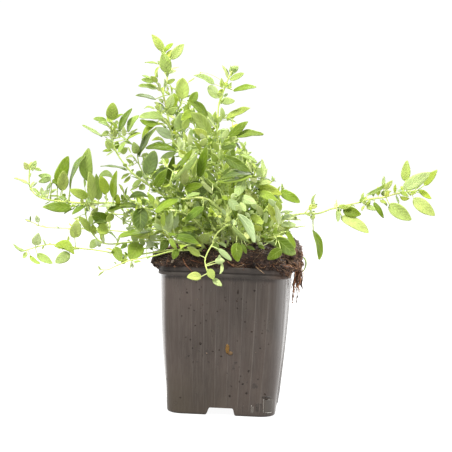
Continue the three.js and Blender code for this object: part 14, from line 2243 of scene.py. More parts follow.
    ("b8",(-54.8,26.4,151.6),(-54.7,27.5,152.8),(-55.4,30.9,156.8),2.6,(.45,-.65,.61),17,(0,.1,.2),"L"),
    ("b9",(14.4,11.1,115.6),(14.5,12.2,114.8),(15.5,15.9,114),2.1,(.54,.02,.84),16,(.1,.1,.2),"P"),
    ("b9",(17.4,14.8,119),(16.6,14.7,121),(15.5,15,125.5),3.1,(.92,.33,.2),11,(.2,.1,.2),"M"),
    ("b10",(-1.8,11.8,117.4),(-1.7,13.4,117.5),(-1.6,18.1,120.3),3,(-.11,-.51,.85),8,(-.3,0,.1),"M"),
    ("b10",(-1.6,13.9,123),(1,16.2,124.3),(3.4,18.4,125.9),2.1,(.07,-.63,.77),18,(-.1,.3,-.3),"L"),
    ("b10",(-1.6,13.9,123),(-3.3,15.6,123.8),(-5.6,18.1,125.4),2.3,(.14,-.43,.89),6,(-.1,.2,-.2),"M"),
    ("b10",(-1.4,15,127.8),(-.1,17,128.6),(2.4,21.2,131.3),3.1,(-.54,-.2,.82),11,(-.4,-.3,.1),"L"),
    ("b10",(-1.9,25.6,159),(-2.9,26.6,159.5),(-5.3,29.9,163.4),2.9,(.47,-.51,.72),6,(-.3,-.1,.1),"M"),
    ("b10",(-2.3,30.9,169.8),(-.5,30.7,171.8),(3.5,30.9,177),3.7,(-.72,-.4,.57),18,(.3,.5,.4),"P"),
    ("b10",(-2.3,30.9,169.8),(-3.9,31,171.9),(-7.6,31.9,178.2),3.9,(.82,-.27,.51),14,(-.6,.4,-.7),"D"),
    ("b10",(-3,40.9,187),(-3.1,39.7,188.6),(-3.2,37.5,192),1.7,(.09,.84,.53),19,(-.1,-.1,0),"P"),
    ("b11",(3.5,9.8,122.4),(5.6,10.5,123.6),(10.1,12.2,127.6),2.9,(-.65,-.04,.76),10,(.3,-.1,-.2),"Y"),
    ("b11",(6.2,17.1,149.3),(7,16.4,150.1),(10.6,13.9,156.4),4.4,(-.88,-.19,.44),18,(0,.4,0),"Y"),
    ("b11",(7.8,21.6,161.3),(7.8,20.7,162.5),(7.9,18.3,167),3.2,(-.28,.84,.47),6,(-.2,0,.4),"L"),
    ("b12",(-5.4,8.6,121.4),(-7,10.5,122.7),(-9.4,13.2,126),2.8,(.64,-.31,.7),18,(0,0,0),"Y"),
    ("b12",(-6.5,10.3,129.1),(-9,10.6,130.3),(-13.6,11.3,133.8),3,(.58,.43,.69),19,(.3,.2,-.1),"L"),
    ("b12",(-8.4,13.4,141.6),(-7.2,12.2,143.1),(-4.1,9.2,149),3.7,(-.65,.48,.59),16,(-.6,-.1,-.4),"P"),
    ("b12",(-9.6,15.2,148.3),(-8.4,16.9,148.9),(-6.9,19.2,150.3),1.4,(-.39,-.27,.88),19,(0,.2,-.1),"M"),
    ("b12",(-9.6,15.2,148.3),(-8.4,17.6,150.4),(-7.6,19.6,152.6),1.8,(.31,-.76,.58),6,(.1,0,-.3),"Y"),
    ("b12",(-11.2,17.7,155.7),(-10,20,157.9),(-8.8,23,160.8),2.7,(-.15,-.66,.73),17,(.1,.2,.2),"L"),
    ("b12",(-12.7,20.1,162.1),(-13.1,21.5,162),(-14.1,24.5,162.2),1.7,(.14,-.02,.99),12,(.1,0,.1),"M"),
    ("b12",(-12.7,20.1,162.1),(-12.5,19.1,163.5),(-12.4,17.9,166.1),1.8,(-.89,.39,.22),10,(.2,0,-.1),"L"),
    ("b12",(-12.7,20.1,162.1),(-11.9,20.5,162.6),(-9.3,22.4,165.9),2.8,(-.72,.68,.17),16,(-.1,-.2,.1),"L"),
    ("b12",(-14.5,23,169.3),(-14.6,24,169.4),(-15.6,30,172.6),3.9,(.31,-.4,.86),18,(0,.2,.2),"M"),
    ("b12",(-14.5,23,169.3),(-13.2,23.4,170.4),(-9.8,24.6,174.3),2.6,(-.58,-.49,.65),18,(.2,.4,.1),"M"),
    ("b13",(35.2,15.8,128.7),(35.1,16.6,129.5),(35.9,19.3,132.6),2.1,(-.75,-.39,.53),9,(-.1,.1,-.1),"Y"),
    ("b14",(-25.7,7.2,116.8),(-24.9,7,118.3),(-22.7,6.3,124.9),3.8,(-.9,.29,.33),8,(0,.2,.5),"Y"),
    ("b14",(-25.7,7.2,116.8),(-26.1,9.9,117.7),(-27.3,14.3,119.5),2.4,(-.52,-.44,.74),14,(-.1,-.2,.1),"M"),
    ("b14",(-45.3,12.7,131.2),(-44.9,12.7,134.3),(-44.7,12.7,139.8),2.7,(-.9,.42,.04),18,(-.5,.4,0),"L"),
    ("b14",(-50.5,14.2,133.6),(-50.7,13.8,135.2),(-52.2,12.6,140.4),3.3,(.83,.44,.34),8,(-.2,0,0),"Y"),
    ("b14",(-56,15.7,135.5),(-56.5,14.6,136.1),(-59,10.7,138.6),2.4,(.39,.32,.86),8,(0,.1,.1),"Y"),
    ("b14",(-60.6,17,136.8),(-61.7,16.6,136.3),(-65.5,15.9,135.4),1.9,(-.27,.21,.94),13,(.1,-.1,.4),"L"),
    ("b14",(-60.6,17,136.8),(-62.2,19.2,136.4),(-64.4,21.6,135.9),1.7,(-.53,-.33,.78),15,(-.1,.2,0),"M"),
    ("b14",(-69.2,19.5,138.2),(-69.2,20.4,139.2),(-69.7,22.6,141.7),1.9,(.91,-.22,.36),16,(.1,.1,.2),"Y"),
    ("u1",(7.2,.6,120.3),(5.6,.8,121.5),(2.6,1.3,124.9),2.2,(.58,-.56,.59),7,(.2,.1,0),"Y"),
    ("u1",(11.4,.9,143.9),(13.4,0,145.8),(16.5,-1.2,149.9),2.3,(-.68,.38,.62),11,(-.1,.2,-.2),"L"),
    ("u1",(14.6,1.1,156.5),(16.2,-.2,157.7),(21,-3.6,162.3),3.9,(-.69,-.01,.72),11,(.1,.4,.1),"L"),
    ("u1",(16.5,1.2,163.2),(15.7,.8,164.3),(14.4,.2,167.1),1.8,(.28,.9,.34),13,(0,.1,-.2),"P"),
    ("u2",(-14.3,-.9,151.4),(-14.1,-2.4,152.5),(-14,-6.1,156.9),3.2,(-.58,.61,.54),19,(.4,-.3,.1),"Y"),
    ("u2",(-19.2,-1.4,171.8),(-21.4,0,173.2),(-24.3,1.9,175.3),1.9,(-.01,-.77,.64),6,(0,.2,0),"M"),
    ("u2",(-21.7,-1.6,180.5),(-24,-.6,181.7),(-29.3,1.6,186),3.4,(.04,-.87,.5),12,(-.4,-.1,.2),"P"),
    ("u2",(-24.1,-1.8,188.1),(-26.4,-1.9,189.3),(-30.1,-2.1,192),2.1,(.55,.28,.79),11,(0,0,.2),"M"),
    ("u2",(-26.1,-2,193.8),(-28.7,-.2,195.2),(-31.7,1.7,197.1),2.1,(.3,-.4,.86),13,(-.2,.6,0),"M"),
    ("u2",(-26.1,-2,193.8),(-27.5,-3.2,195.2),(-30.6,-5.4,198.8),3.1,(.5,.47,.73),8,(0,0,.5),"Y"),
    ("u2",(-26.1,-2,193.8),(-25.7,-1.3,194.6),(-25.1,.4,198),1.8,(-.53,-.72,.45),16,(0,.1,.1),"D"),
    ("u2",(-27.4,-2.1,197.6),(-27.1,-1.4,198.7),(-26.7,1,205.7),3.9,(-.31,-.9,.32),15,(-.5,-.3,.5),"P"),
    ("u3",(-3.3,-11.7,120.6),(-2.2,-13.2,121.2),(.2,-16.9,123.7),3.1,(-.71,.01,.7),6,(-.1,-.3,.3),"D"),
    ("u3",(-4.5,-15.9,135.9),(-4,-14.7,138.8),(-3.6,-13.9,142),1.6,(-.98,-.12,.14),10,(.1,0,-.1),"M"),
    ("u3",(-6.5,-23.3,154.4),(-4.6,-24.3,155.2),(-1.8,-25.9,156.3),1.7,(-.09,.48,.87),19,(-.1,0,-.2),"M"),
    ("u3",(-8,-28.4,164),(-8,-29.9,164.4),(-8.2,-33.7,166.3),2.1,(.32,.42,.85),10,(-.1,.2,0),"L"),
    ("u3",(-8,-28.4,164),(-8.3,-27.4,166.1),(-8.9,-26.5,169.2),1.7,(.42,-.85,.32),19,(-.2,0,-.1),"M"),
    ("u4",(8,-12.1,124.4),(9.1,-11.4,125.4),(12.2,-10.1,130.5),3.2,(-.81,-.21,.55),9,(-.1,.9,.1),"Y"),
    ("u4",(8.8,-13.1,129.2),(7,-13.8,130.4),(4.9,-14.8,132.4),1.7,(.68,-.03,.73),11,(.1,.2,.1),"L"),
    ("u4",(12.9,-18.9,147.9),(15.1,-20.1,149.1),(20.1,-23.1,152.6),3.8,(-.66,-.31,.68),16,(.1,-.2,-.3),"L"),
    ("u4",(14.7,-21.3,154.2),(15.2,-20.7,154.7),(16.9,-19.8,158),2.1,(-.64,-.58,.5),17,(.1,.3,-.1),"M"),
    ("u4",(16.5,-23.4,159.5),(16.8,-24.6,159.7),(19.1,-31.2,161.9),3.8,(-.21,.24,.95),7,(-.1,-.1,.2),"M"),
    ("u5",(2.7,-35.7,141.4),(2.2,-35.6,142.2),(.8,-37,146.1),2.6,(.89,.21,.4),18,(-.1,0,-.2),"L"),
    ("u6",(-17.8,-19.9,141.4),(-20.9,-21.9,141.4),(-26.6,-25.9,141.6),3.6,(.26,-.34,.9),6,(-.2,0,.5),"P"),
    ("u6",(-25.1,-29.1,156.3),(-27.9,-29.9,157),(-32.3,-31.3,158.3),2.7,(.26,.09,.96),8,(-.1,0,-.1),"D"),
    ("u7",(29.3,-14.1,144.1),(29.5,-16.1,145.5),(30.5,-19.7,148.7),2.5,(0,.66,.75),12,(.1,.1,-.2),"L"),
    ("u8",(-16.4,-8.2,120.3),(-16.5,-6.8,121.5),(-17.7,-2.9,127.7),3.9,(-.15,-.85,.5),16,(-.4,-.4,.3),"L"),
    ("u8",(-23.9,-10.7,132.9),(-23.3,-11,133.9),(-22.3,-12.8,140.2),3.3,(-.21,.93,.3),9,(.1,.1,.4),"L"),
    ("u8",(-26.5,-12,137),(-27.2,-11.1,137.5),(-29.8,-9.6,140),2.2,(.53,-.38,.76),15,(.2,-.1,.2),"L"),
    ("u8",(-26.5,-12,137),(-26.4,-12.9,137.4),(-27.8,-17.5,141.8),3.3,(.06,.68,.73),12,(.5,-.2,-.4),"M"),
    ("u8",(-29.8,-13.5,141.8),(-30.2,-16.3,142.1),(-30.9,-20.7,142.7),2.2,(-.13,.17,.98),7,(-.1,-.2,.1),"M"),
    ("u8",(-29.8,-13.5,141.8),(-28.9,-15.1,143.8),(-27.7,-17.8,147.4),2.3,(-.71,.44,.55),17,(-.6,.4,-.4),"M"),
    ("u8",(-33.3,-15,146.4),(-33.5,-16,146.5),(-36,-20.8,149.3),3.4,(-.36,.61,.71),14,(-.1,-.1,-.2),"L"),
    ("u8",(-33.3,-15,146.4),(-32.3,-15.4,149),(-30.7,-16.5,156),3.7,(-.97,-.13,.21),10,(.3,-.6,.4),"M"),
    ("u8",(-37.6,-17,151.6),(-37.1,-18.8,154.2),(-36.9,-22.1,159.8),2.9,(-.52,.73,.45),10,(.2,-.1,.2),"D"),
    ("u8",(-52,-23.5,165.4),(-52.2,-23.2,167.4),(-53.4,-22.9,173.1),3.1,(.07,-.99,.07),9,(.1,.2,.3),"M"),
    ("f1",(-2.2,-34.6,124.5),(-.9,-37.4,125.2),(.8,-41.9,126.6),2.7,(-.09,.28,.96),18,(-.1,.1,0),"L"),
    ("f1",(-3.3,-50.7,134.4),(-4.2,-51.7,137.1),(-5.6,-54.1,141.6),3.3,(.6,.61,.52),15,(.2,-.5,0),"L"),
    ("f1",(-4,-60.9,138.2),(-4.6,-61.7,139.7),(-5.9,-64.3,142.9),2,(.59,.5,.63),9,(0,0,.1),"P"),
    ("f2",(10.2,-27.8,120.9),(9.6,-29.1,120.8),(8.3,-35.8,121.3),3.5,(-.29,.12,.95),6,(.5,.5,-.1),"L"),
    ("f2",(14.3,-40.5,127.8),(14.9,-42.9,127.3),(16.2,-47.5,127.2),2.2,(.56,.13,.82),19,(0,-.1,-.3),"D"),
    ("f3",(-15.4,-31.9,124.5),(-14.6,-32.1,126.7),(-13.6,-33.2,130.9),2.1,(-.6,.73,.33),7,(.1,.2,.1),"D"),
    ("f3",(-17.5,-36.3,128),(-16.2,-38,130.8),(-15,-41.1,134.6),2.9,(-.93,-.36,.01),9,(.1,.3,.2),"D"),
    ("f5",(-19.6,-16.4,115.2),(-20.3,-15.7,116),(-24.9,-14.4,121.4),3.8,(.45,-.7,.56),11,(.1,-.2,.3),"M"),
    ("f5",(-23.6,-20,119.7),(-22.9,-21.9,120.5),(-22.2,-25.2,122.1),1.7,(-.52,.27,.81),17,(.1,-.1,.3),"D"),
    ("f5",(-40.8,-33.2,134),(-40.4,-34.1,135.9),(-40.3,-35.6,138.8),1.5,(.96,.27,.09),13,(0,.1,-.1),"M"),
    ("f5",(-45.4,-37.9,136.5),(-47.2,-37,138.6),(-51.8,-35.7,143.8),4.1,(.45,-.68,.58),17,(-.6,-.2,0),"L"),
    ("f5",(-45.4,-37.9,136.5),(-47.4,-38.1,138.8),(-51.3,-39.1,143.3),2.7,(.71,.22,.67),11,(-.4,-.3,-.3),"P"),
    ("f5",(-49.5,-41.8,138.2),(-50.4,-42.6,141.3),(-51.4,-43.6,143.9),1.5,(.86,.25,.43),13,(.2,-.1,0),"L"),
    ("f5",(-49.5,-41.8,138.2),(-49.4,-43.7,139.1),(-50,-49,141.7),3.1,(-.46,.44,.77),13,(.5,-.5,-.1),"D"),
    ("f5",(-55.4,-46.9,140),(-55.8,-46.6,141.3),(-57.6,-46.1,146),2.3,(-.04,-.99,.1),14,(.2,0,-.1),"L"),
    ("f5",(-55.4,-46.9,140),(-55.6,-49.5,141.6),(-56.3,-53.5,143.7),2.3,(-.79,.39,.46),18,(.3,-.1,-.1),"P"),
    ("f6",(24.3,-9.2,115.2),(25.6,-8.6,117.3),(28.7,-6.6,121),2.8,(-.45,-.57,.68),15,(-.1,-.2,0),"L"),
    ("f6",(32,-10.2,120),(34.7,-10.4,118.4),(38.7,-10.8,116.1),1.9,(.5,-.15,.85),14,(.4,.3,-.2),"D"),
    ("f7",(-31.4,-8,117),(-31,-8.2,118.5),(-31.1,-9,124.4),2.6,(.89,.46,.07),7,(-.1,.2,.4),"P"),
    ("f7",(-36.4,-9.3,120),(-37.2,-7.9,122.3),(-40,-5.1,127.4),3.5,(.21,-.8,.56),12,(-.5,-.2,-.6),"M"),
    ("f7",(-46,-11.7,124.8),(-46.6,-11.4,126.7),(-48,-11.3,129.2),1.5,(.32,.93,.15),7,(.1,-.1,-.1),"Y"),
    ("f7",(-52.3,-13.3,127.4),(-53.1,-12.8,130.2),(-55.7,-12,136.4),3.4,(-.05,-.99,.11),18,(.1,-.2,-.2),"P"),
    ("f7",(-59.7,-15.2,129.7),(-60.6,-15.1,128.6),(-65.6,-15.1,124),3,(-.63,-.35,.69),12,(-.2,.2,-.3),"M"),
    ("f7",(-59.7,-15.2,129.7),(-60.7,-14.3,130.2),(-66.2,-11.9,132.8),3.4,(.13,-.57,.81),9,(0,-.2,.1),"Y"),
    ("f7",(-59.7,-15.2,129.7),(-60.2,-16.5,130),(-62.3,-19.2,130.9),2.1,(-.16,.41,.9),7,(.2,.3,-.1),"P"),
    ("f7",(-66.3,-16.9,131.2),(-67.1,-18.3,131),(-70.3,-22.1,130.7),2.8,(-.45,.3,.84),8,(.1,.2,.4),"L"),
    ("f7",(-66.3,-16.9,131.2),(-68.5,-16.6,130.1),(-72.3,-16.4,128.2),2.3,(-.42,-.32,.85),15,(.2,.4,.1),"L"),
    ("f7",(-77.9,-19.8,132.3),(-78.7,-20,133.5),(-81.6,-20.6,136.1),2.2,(.43,.65,.63),19,(0,-.1,-.1),"P"),
    ("f8",(27.2,7,115.8),(27.3,7,117),(29,7.4,121.1),2.4,(-.53,-.8,.28),14,(0,0,0),"Y"),
    ("l1",(-7.3,29.9,113.2),(-5.7,32.4,114.1),(-2.9,38.3,116.4),4.2,(-.63,-.01,.78),14,(.1,.3,0),"L"),
    ("l1",(-9,35.4,114.9),(-8.1,36.4,116.2),(-6.8,40.4,119.7),3.2,(-.23,-.59,.77),7,(.4,-.1,-.1),"M"),
    ("l1",(-10.8,41.8,117.2),(-8.7,43.5,116.8),(-3.9,48.2,116.1),4,(-.23,.38,.9),17,(.1,0,-.2),"Y"),
    ("l1",(-12.7,48.2,119.1),(-15.6,48.4,121),(-21.1,49.1,124.9),3.5,(.57,.41,.72),17,(.2,.5,0),"Y"),
    ("l1",(-17.3,63.4,120.4),(-16.9,65.1,118.4),(-16.4,69.6,113.7),3.7,(-.92,.34,.22),10,(-.2,-.2,.4),"M"),
    ("T",(-8.8,2.5,123.9),(-8.6,1.3,124.2),(-8.9,-3.3,127.8),2.9,(-.95,.21,.21),9,(-.5,.7,.1),"L"),
    ("T",(-10.9,1.6,129.4),(-10.6,-.9,131.4),(-10.9,-4.8,136.2),2.8,(-.25,.76,.6),11,(.4,-.2,.1),"M"),
    ("T",(-14,-3,140),(-12.2,-4.2,142.9),(-10,-6.3,148.1),3.6,(-.74,.47,.49),7,(.1,.3,0),"Y"),
    ("T",(-16.1,-4.6,148.6),(-17.4,-6.6,149),(-19.8,-10.1,150.3),2.7,(.4,.06,.91),11,(-.1,-.1,-.1),"L"),
    ("T",(-23.2,-10.2,166.3),(-21.9,-11.4,168.2),(-20,-13.9,172.2),3.3,(.66,.74,.15),17,(.6,-.3,-.4),"L"),
    ("T",(-23.2,-10.2,166.3),(-23.9,-8.5,169),(-25.7,-5.9,174.7),3.7,(-.47,-.85,.25),8,(.2,-.3,0),"L"),
    ("T",(-26.3,-12.6,170.8),(-25.7,-13.6,172.9),(-25.7,-15.6,177.4),2.7,(.84,.5,.21),8,(.2,-.1,.3),"M"),
    ("T",(-32.7,-15.3,176.4),(-34.5,-13.5,178.4),(-38.4,-11.2,181.9),3.5,(.15,-.75,.65),14,(-.1,-.2,-.3),"M"),
    ("T",(-32.7,-15.3,176.4),(-34.2,-15.3,175.6),(-38.3,-15.6,174.5),1.9,(-.27,.34,.9),18,(-.1,.1,.1),"Y"),
    ("T",(-39.7,-13.8,185.4),(-38.8,-12.1,188),(-38,-10,191.7),2.3,(-.11,-.85,.51),8,(-.3,0,0),"L"),
    ("T",(-41.4,-12.9,191.1),(-40.7,-10.8,192.1),(-39.6,-6.6,194.5),3,(-.33,-.41,.85),14,(-.2,0,.1),"L"),
    ("T",(-41.4,-12.9,191.1),(-39.8,-13.5,193.4),(-37.3,-14.2,198.5),2.8,(-.53,.76,.38),7,(.1,-.2,.3),"L"),
    ("T",(-41.4,-12.9,191.1),(-44.2,-12.2,192),(-50.7,-10.6,195.4),3.9,(.43,-.16,.89),19,(-.2,-.3,.1),"P"),
    ("T",(-42.8,-11.9,196.8),(-45.1,-12.4,197.5),(-47.9,-12.8,199.1),1.4,(.37,.48,.79),19,(0,0,.2),"L"),
    ("T",(-44.4,-10.7,203.5),(-46,-10,204.5),(-50.4,-7.7,208.6),3.5,(.55,-.33,.77),6,(.1,-.2,-.1),"D"),
    ("T",(-44.4,-10.7,203.5),(-43.5,-10.8,204.5),(-42.4,-10.6,207.7),1.9,(-.9,-.26,.34),7,(.1,0,-.1),"L"),
    ("T",(-45.3,-6.3,229.3),(-47.4,-7,231.6),(-51.6,-8.2,236.8),3.6,(.54,.61,.58),12,(.1,.1,.1),"P"),
    ("T",(-46.1,-5,234.1),(-45.1,-2.6,236.1),(-43.4,2.3,240.5),3.8,(-.45,-.5,.74),7,(-.3,-.4,.1),"L"),
    ("T",(-47,-3.9,239.9),(-49.3,-4.3,242.4),(-53.7,-4.9,248.7),3.6,(.63,.59,.5),12,(-.2,.5,.5),"M"),
    ("T",(-47,-3.9,239.9),(-47.8,-2.3,241.1),(-49.5,1.2,244.2),3.1,(-.08,-.69,.72),9,(0,-.1,0),"L"),
    ("T",(-47,-3.9,239.9),(-47.8,-3.8,240.2),(-50,-3.2,242.3),1.8,(.69,.38,.62),9,(.1,.2,-.3),"M"),
    ("TB",(-43.5,-17.7,194.7),(-44.3,-18.7,194.5),(-48.5,-24.2,194.2),3.2,(.08,-.11,.99),15,(-.3,.1,-.2),"L"),
    ("TB",(-45.8,-21.7,198.5),(-47.5,-20.7,200.4),(-50.2,-19.3,203.6),2.3,(.62,-.4,.67),13,(.4,.2,-.1),"M"),
    ("G",(.4,10.4,120.4),(-1.3,9.4,120.9),(-4.8,7.1,122.7),2.2,(.31,.25,.92),19,(-.3,-.3,-.2),"P"),
    ("G",(-3.4,9.1,144),(-4.9,7.9,145.3),(-7.7,5.7,149.1),2.7,(.43,.6,.68),13,(-.1,-.3,.2),"D"),
    ("G",(-4.1,8.7,149),(-2.6,8.2,150.7),(.2,7,155.3),2.7,(-.72,.43,.55),13,(-.2,.7,.2),"D"),
    ("G",(-6.4,7.5,162.7),(-7,5.1,164),(-8.5,-.6,167.4),3.8,(.37,.41,.84),17,(0,.5,-.1),"L"),
    ("G",(-6.4,7.5,162.7),(-5.2,7.4,163.8),(-2.4,7.3,167.2),2.2,(-.79,.01,.62),10,(.1,.3,0),"P"),
    ("G",(-7.4,7.1,167.6),(-8,5.7,168.5),(-9.4,3,172.5),2.7,(.66,.49,.57),18,(-.1,.3,.3),"M"),
    ("G",(-7.4,7.1,167.6),(-6.4,7.5,168.4),(-3.2,8.9,172.2),3.3,(-.77,.02,.64),8,(.4,.4,.4),"P"),
    ("G",(-8.7,6.6,173.5),(-7.8,7.1,174.6),(-5.5,8.3,180.5),3.4,(.31,-.95,.08),19,(0,-.2,-.1),"Y"),
    ("G",(-9.7,6.1,179.3),(-10.7,6.8,180),(-14.3,8.9,185.2),3.3,(.53,-.59,.61),16,(-.2,-.1,-.2),"L"),
    ("G",(-9.7,6.1,179.3),(-8.6,7.6,181.8),(-6.5,10.5,187.7),4.2,(-.92,-.11,.38),13,(-.2,-.3,-.4),"P"),
    ("G",(-10.4,5.5,185.3),(-11.2,4.2,186.3),(-12.8,1.6,189.9),2.6,(.66,.42,.62),17,(-.2,0,-.1),"Y"),
    ("G",(-10.4,5.5,185.3),(-11.8,5.2,185.6),(-18.5,3.8,188.7),3.9,(.29,.48,.83),10,(.2,.2,.7),"M"),
    ("G",(-11,5.1,193.2),(-11.8,6.4,195),(-13,8.3,199.1),2.4,(.66,-.59,.47),11,(-.2,-.2,-.3),"L"),
    ("G",(-9.3,4.4,211),(-9.3,5.4,211.5),(-8.9,10.9,216.8),3.3,(.48,-.63,.61),17,(-.5,-.1,.1),"M"),
    ("G",(-7.1,3.8,217.6),(-6.6,6,220),(-5.6,9,223.8),3,(.37,-.77,.52),18,(0,-.1,-.2),"M"),
    ("S2",(-15.8,13.1,132.2),(-16.4,11.7,133.2),(-18.5,8.2,138.5),3.4,(-.02,.84,.54),19,(.1,-.2,.1),"M"),
    ("S2",(-17.5,12.7,136.9),(-17.9,11,138.4),(-19.4,7.4,142.9),3.4,(-.79,.58,.2),19,(.2,0,.1),"P"),
    ("S2",(-19.2,12.2,141.5),(-21,11.4,142.6),(-23.3,10.3,145),1.7,(.57,.4,.72),6,(0,0,-.1),"L"),
    ("S2",(-25.5,9,159.2),(-24.4,9.3,160.3),(-21.2,10,165.3),3.4,(-.82,.27,.5),17,(0,-.1,.1),"L"),
    ("S2",(-25.5,9,159.2),(-26.8,8.7,159.5),(-31.8,6.9,163.2),3.6,(.6,-.02,.8),19,(-.4,-.2,-.3),"P"),
    ("S2",(-30,7.1,171.2),(-31.4,7.8,172),(-35.4,9.6,175.9),2.9,(.68,-.06,.73),12,(.2,0,.1),"Y"),
    ("S2",(-35.1,5.1,185.2),(-32.9,5.6,187.8),(-30.8,6.1,190.8),1.8,(-.81,.02,.59),10,(.1,-.1,.1),"M"),
    ("S2",(-35.1,5.1,185.2),(-36.4,4.7,185.3),(-42.6,2.7,187.4),3.9,(.27,.17,.95),19,(.1,.2,-.3),"P"),
    ("S2",(-36.8,4,190.8),(-36.8,3.1,191.3),(-37.2,-1.1,195),2.7,(.33,.61,.72),14,(-.3,.2,.1),"M"),
    ("S2",(-38.3,2.7,197.5),(-38.4,1.2,198.3),(-38.7,-4.6,202.9),4,(.53,.51,.68),14,(0,-.2,.5),"D"),
    ("S2",(-38.3,2.7,197.5),(-40.7,2.4,199.7),(-43.1,1.9,202.6),1.6,(.28,.89,.37),6,(.2,-.1,.1),"M"),
    ("A",(-19.1,-8.3,120),(-22.2,-9.1,121.2),(-27.1,-11.1,124.4),3.3,(.58,-.13,.81),15,(0,0,-.4),"L"),
    ("A",(-21.7,-10.8,124.7),(-23.4,-12.5,124.9),(-25.9,-14.8,125.9),2.1,(-.09,.47,.88),16,(-.1,0,0),"L"),
    ("A",(-25.4,-13.1,130.2),(-28.6,-13.2,130.5),(-32.5,-13.5,131.6),2.3,(.28,-.07,.96),17,(-.1,-.1,-.1),"Y"),
    ("A",(-25.4,-13.1,130.2),(-26.5,-16.3,130.3),(-28.6,-21.8,130.7),3.3,(.18,.01,.98),12,(.2,0,0),"L"),
    ("A",(-28.5,-14.7,133.8),(-31.4,-16.8,133.7),(-36.3,-20.4,134.2),2.8,(.06,.07,1),8,(0,.1,.3),"Y"),
    ("A",(-35.2,-18.2,140.3),(-35.4,-20.5,141.4),(-37.3,-26.1,145.5),3.7,(.25,.51,.82),15,(.3,.3,.2),"M"),
    ("A",(-42.4,-22.5,145.8),(-45.4,-22.5,144.2),(-50.5,-22.7,141.6),3.2,(-.39,-.47,.79),6,(-.1,-.1,.3),"M"),
    ("A",(-42.4,-22.5,145.8),(-43.5,-21.7,146.9),(-48.5,-20.8,151.9),3.5,(.5,-.61,.62),13,(.1,.1,-.5),"P"),
    ("A",(-42.4,-22.5,145.8),(-41.7,-23.1,148.3),(-40.7,-24.9,154.4),3.7,(.63,.77,.12),17,(-.2,.1,-.1),"Y"),
    ("A",(-48.4,-25.7,150),(-48.5,-25.1,151.1),(-49.7,-24.5,154.4),2.1,(.79,-.49,.37),12,(-.1,0,0),"L"),
    ("A",(-48.4,-25.7,150),(-47.9,-26.9,151.2),(-47.3,-29.5,153.9),1.9,(-.83,.31,.47),11,(-.2,-.1,-.1),"P"),
    ("A",(-58,-30.9,157),(-60.5,-30.6,157.7),(-64.7,-30.7,159.1),2.3,(.31,-.13,.94),7,(-.1,-.1,.1),"D"),
    ("A",(-77.4,-40.7,185.7),(-76.7,-39.6,187.9),(-75.6,-38,193.5),2.8,(-.41,-.85,.34),16,(-.1,.1,-.5),"P"),
    ("A",(-77.4,-40.7,185.7),(-75.8,-42.2,187.9),(-74.3,-43.8,190.6),1.9,(.11,.88,.47),10,(.1,-.1,-.1),"L"),
    ("A",(-77.4,-40.7,185.7),(-75.1,-39.6,187.5),(-71,-37.8,190.7),3.4,(-.62,.01,.78),11,(.1,-.2,.1),"P"),
    ("A",(-77.4,-40.9,193.7),(-77.7,-41.6,194.3),(-78.2,-43.2,197.2),2,(.69,.57,.44),10,(0,0,0),"M"),
    ("B",(-19.8,-22.4,117.3),(-19.9,-21.4,119.1),(-20.6,-20.6,122),1.6,(.96,.21,.16),7,(.1,-.1,.5),"L"),
    ("B",(-22.9,-24.6,120.5),(-22.1,-24.7,121.7),(-19.9,-25.8,127),3.5,(-.33,.89,.32),19,(.5,.2,.2),"L"),
    ("B",(-41.9,-36.6,133),(-43.3,-39.3,132.9),(-47.4,-44.9,133.6),3.7,(-.12,.2,.97),14,(.2,.3,.6),"P"),
    ("B",(-48.3,-38.5,135),(-49.4,-38.2,137.4),(-51.9,-38.1,140.7),2.5,(.46,-.81,.36),16,(.1,-.1,.4),"Y"),
    ("B",(-58.9,-41.5,139.9),(-59.9,-40.5,139.7),(-65.7,-37.7,140.4),3.6,(-.12,-.46,.88),10,(.1,-.7,-.3),"P"),
    ("B",(-85.2,-46.6,141.8),(-86.8,-45.6,140.2),(-92.3,-43.4,137.1),3.8,(-.51,-.05,.86),13,(0,.3,.2),"L"),
    ("B",(-91.2,-47.1,141.6),(-92.7,-48.8,144),(-95.1,-50.8,146.8),2.4,(.64,.25,.72),19,(0,-.3,.2),"L"),
    ("B",(-91.2,-47.1,141.6),(-92.3,-46.3,140.7),(-96.5,-44.7,139.1),2.7,(-.39,-.09,.92),7,(-.1,-.1,-.1),"M"),
    ("B",(-97.1,-47.3,141.5),(-99.1,-47.8,140),(-104.8,-48.9,137.8),3.3,(-.27,-.4,.88),6,(-.1,.1,.1),"M"),
    ("B",(-102.1,-47.3,141.6),(-103.5,-45.7,140.7),(-106.4,-43.1,139.5),2,(-.51,-.19,.84),9,(-.1,-.1,.1),"Y"),
    ("B",(-102.1,-47.3,141.6),(-103.2,-45.8,141.6),(-108.6,-41.4,142.1),3.4,(.29,.25,.93),19,(.3,.5,.3),"L"),
    ("B",(-128.6,-44.1,147.4),(-129.2,-43.3,147.5),(-131.7,-41.2,149.1),2.2,(.65,.22,.73),16,(-.1,.2,0),"M"),
    ("C",(-45,24,115.8),(-46,23.7,114.9),(-51,22.7,112.3),2.8,(-.26,-.62,.74),7,(-.3,-.4,-.3),"P"),
    ("C",(-50,24.2,116.2),(-50.8,22.8,115.7),(-53.6,20,114.5),2,(-.29,-.11,.95),14,(-.1,0,.2),"M"),
    ("C",(-57,24.3,116.4),(-59.1,25,118.6),(-62.2,25.9,121.2),2.4,(.46,.84,.28),13,(.1,.1,0),"P"),
    ("C",(-57,24.3,116.4),(-58.2,22.1,117.7),(-61.6,17.2,120.7),4,(-.72,.65,.23),14,(.4,.2,-.4),"Y"),
    ("C",(-57,24.3,116.4),(-59.5,23.4,114.4),(-64.4,22,111.2),2.6,(-.5,-.2,.84),13,(.6,0,-.5),"L"),
    ("C",(-57,24.3,116.4),(-57.5,24.1,118.4),(-59.4,23.5,124.5),3.3,(.66,-.74,.13),9,(.4,-.4,-.5),"M"),
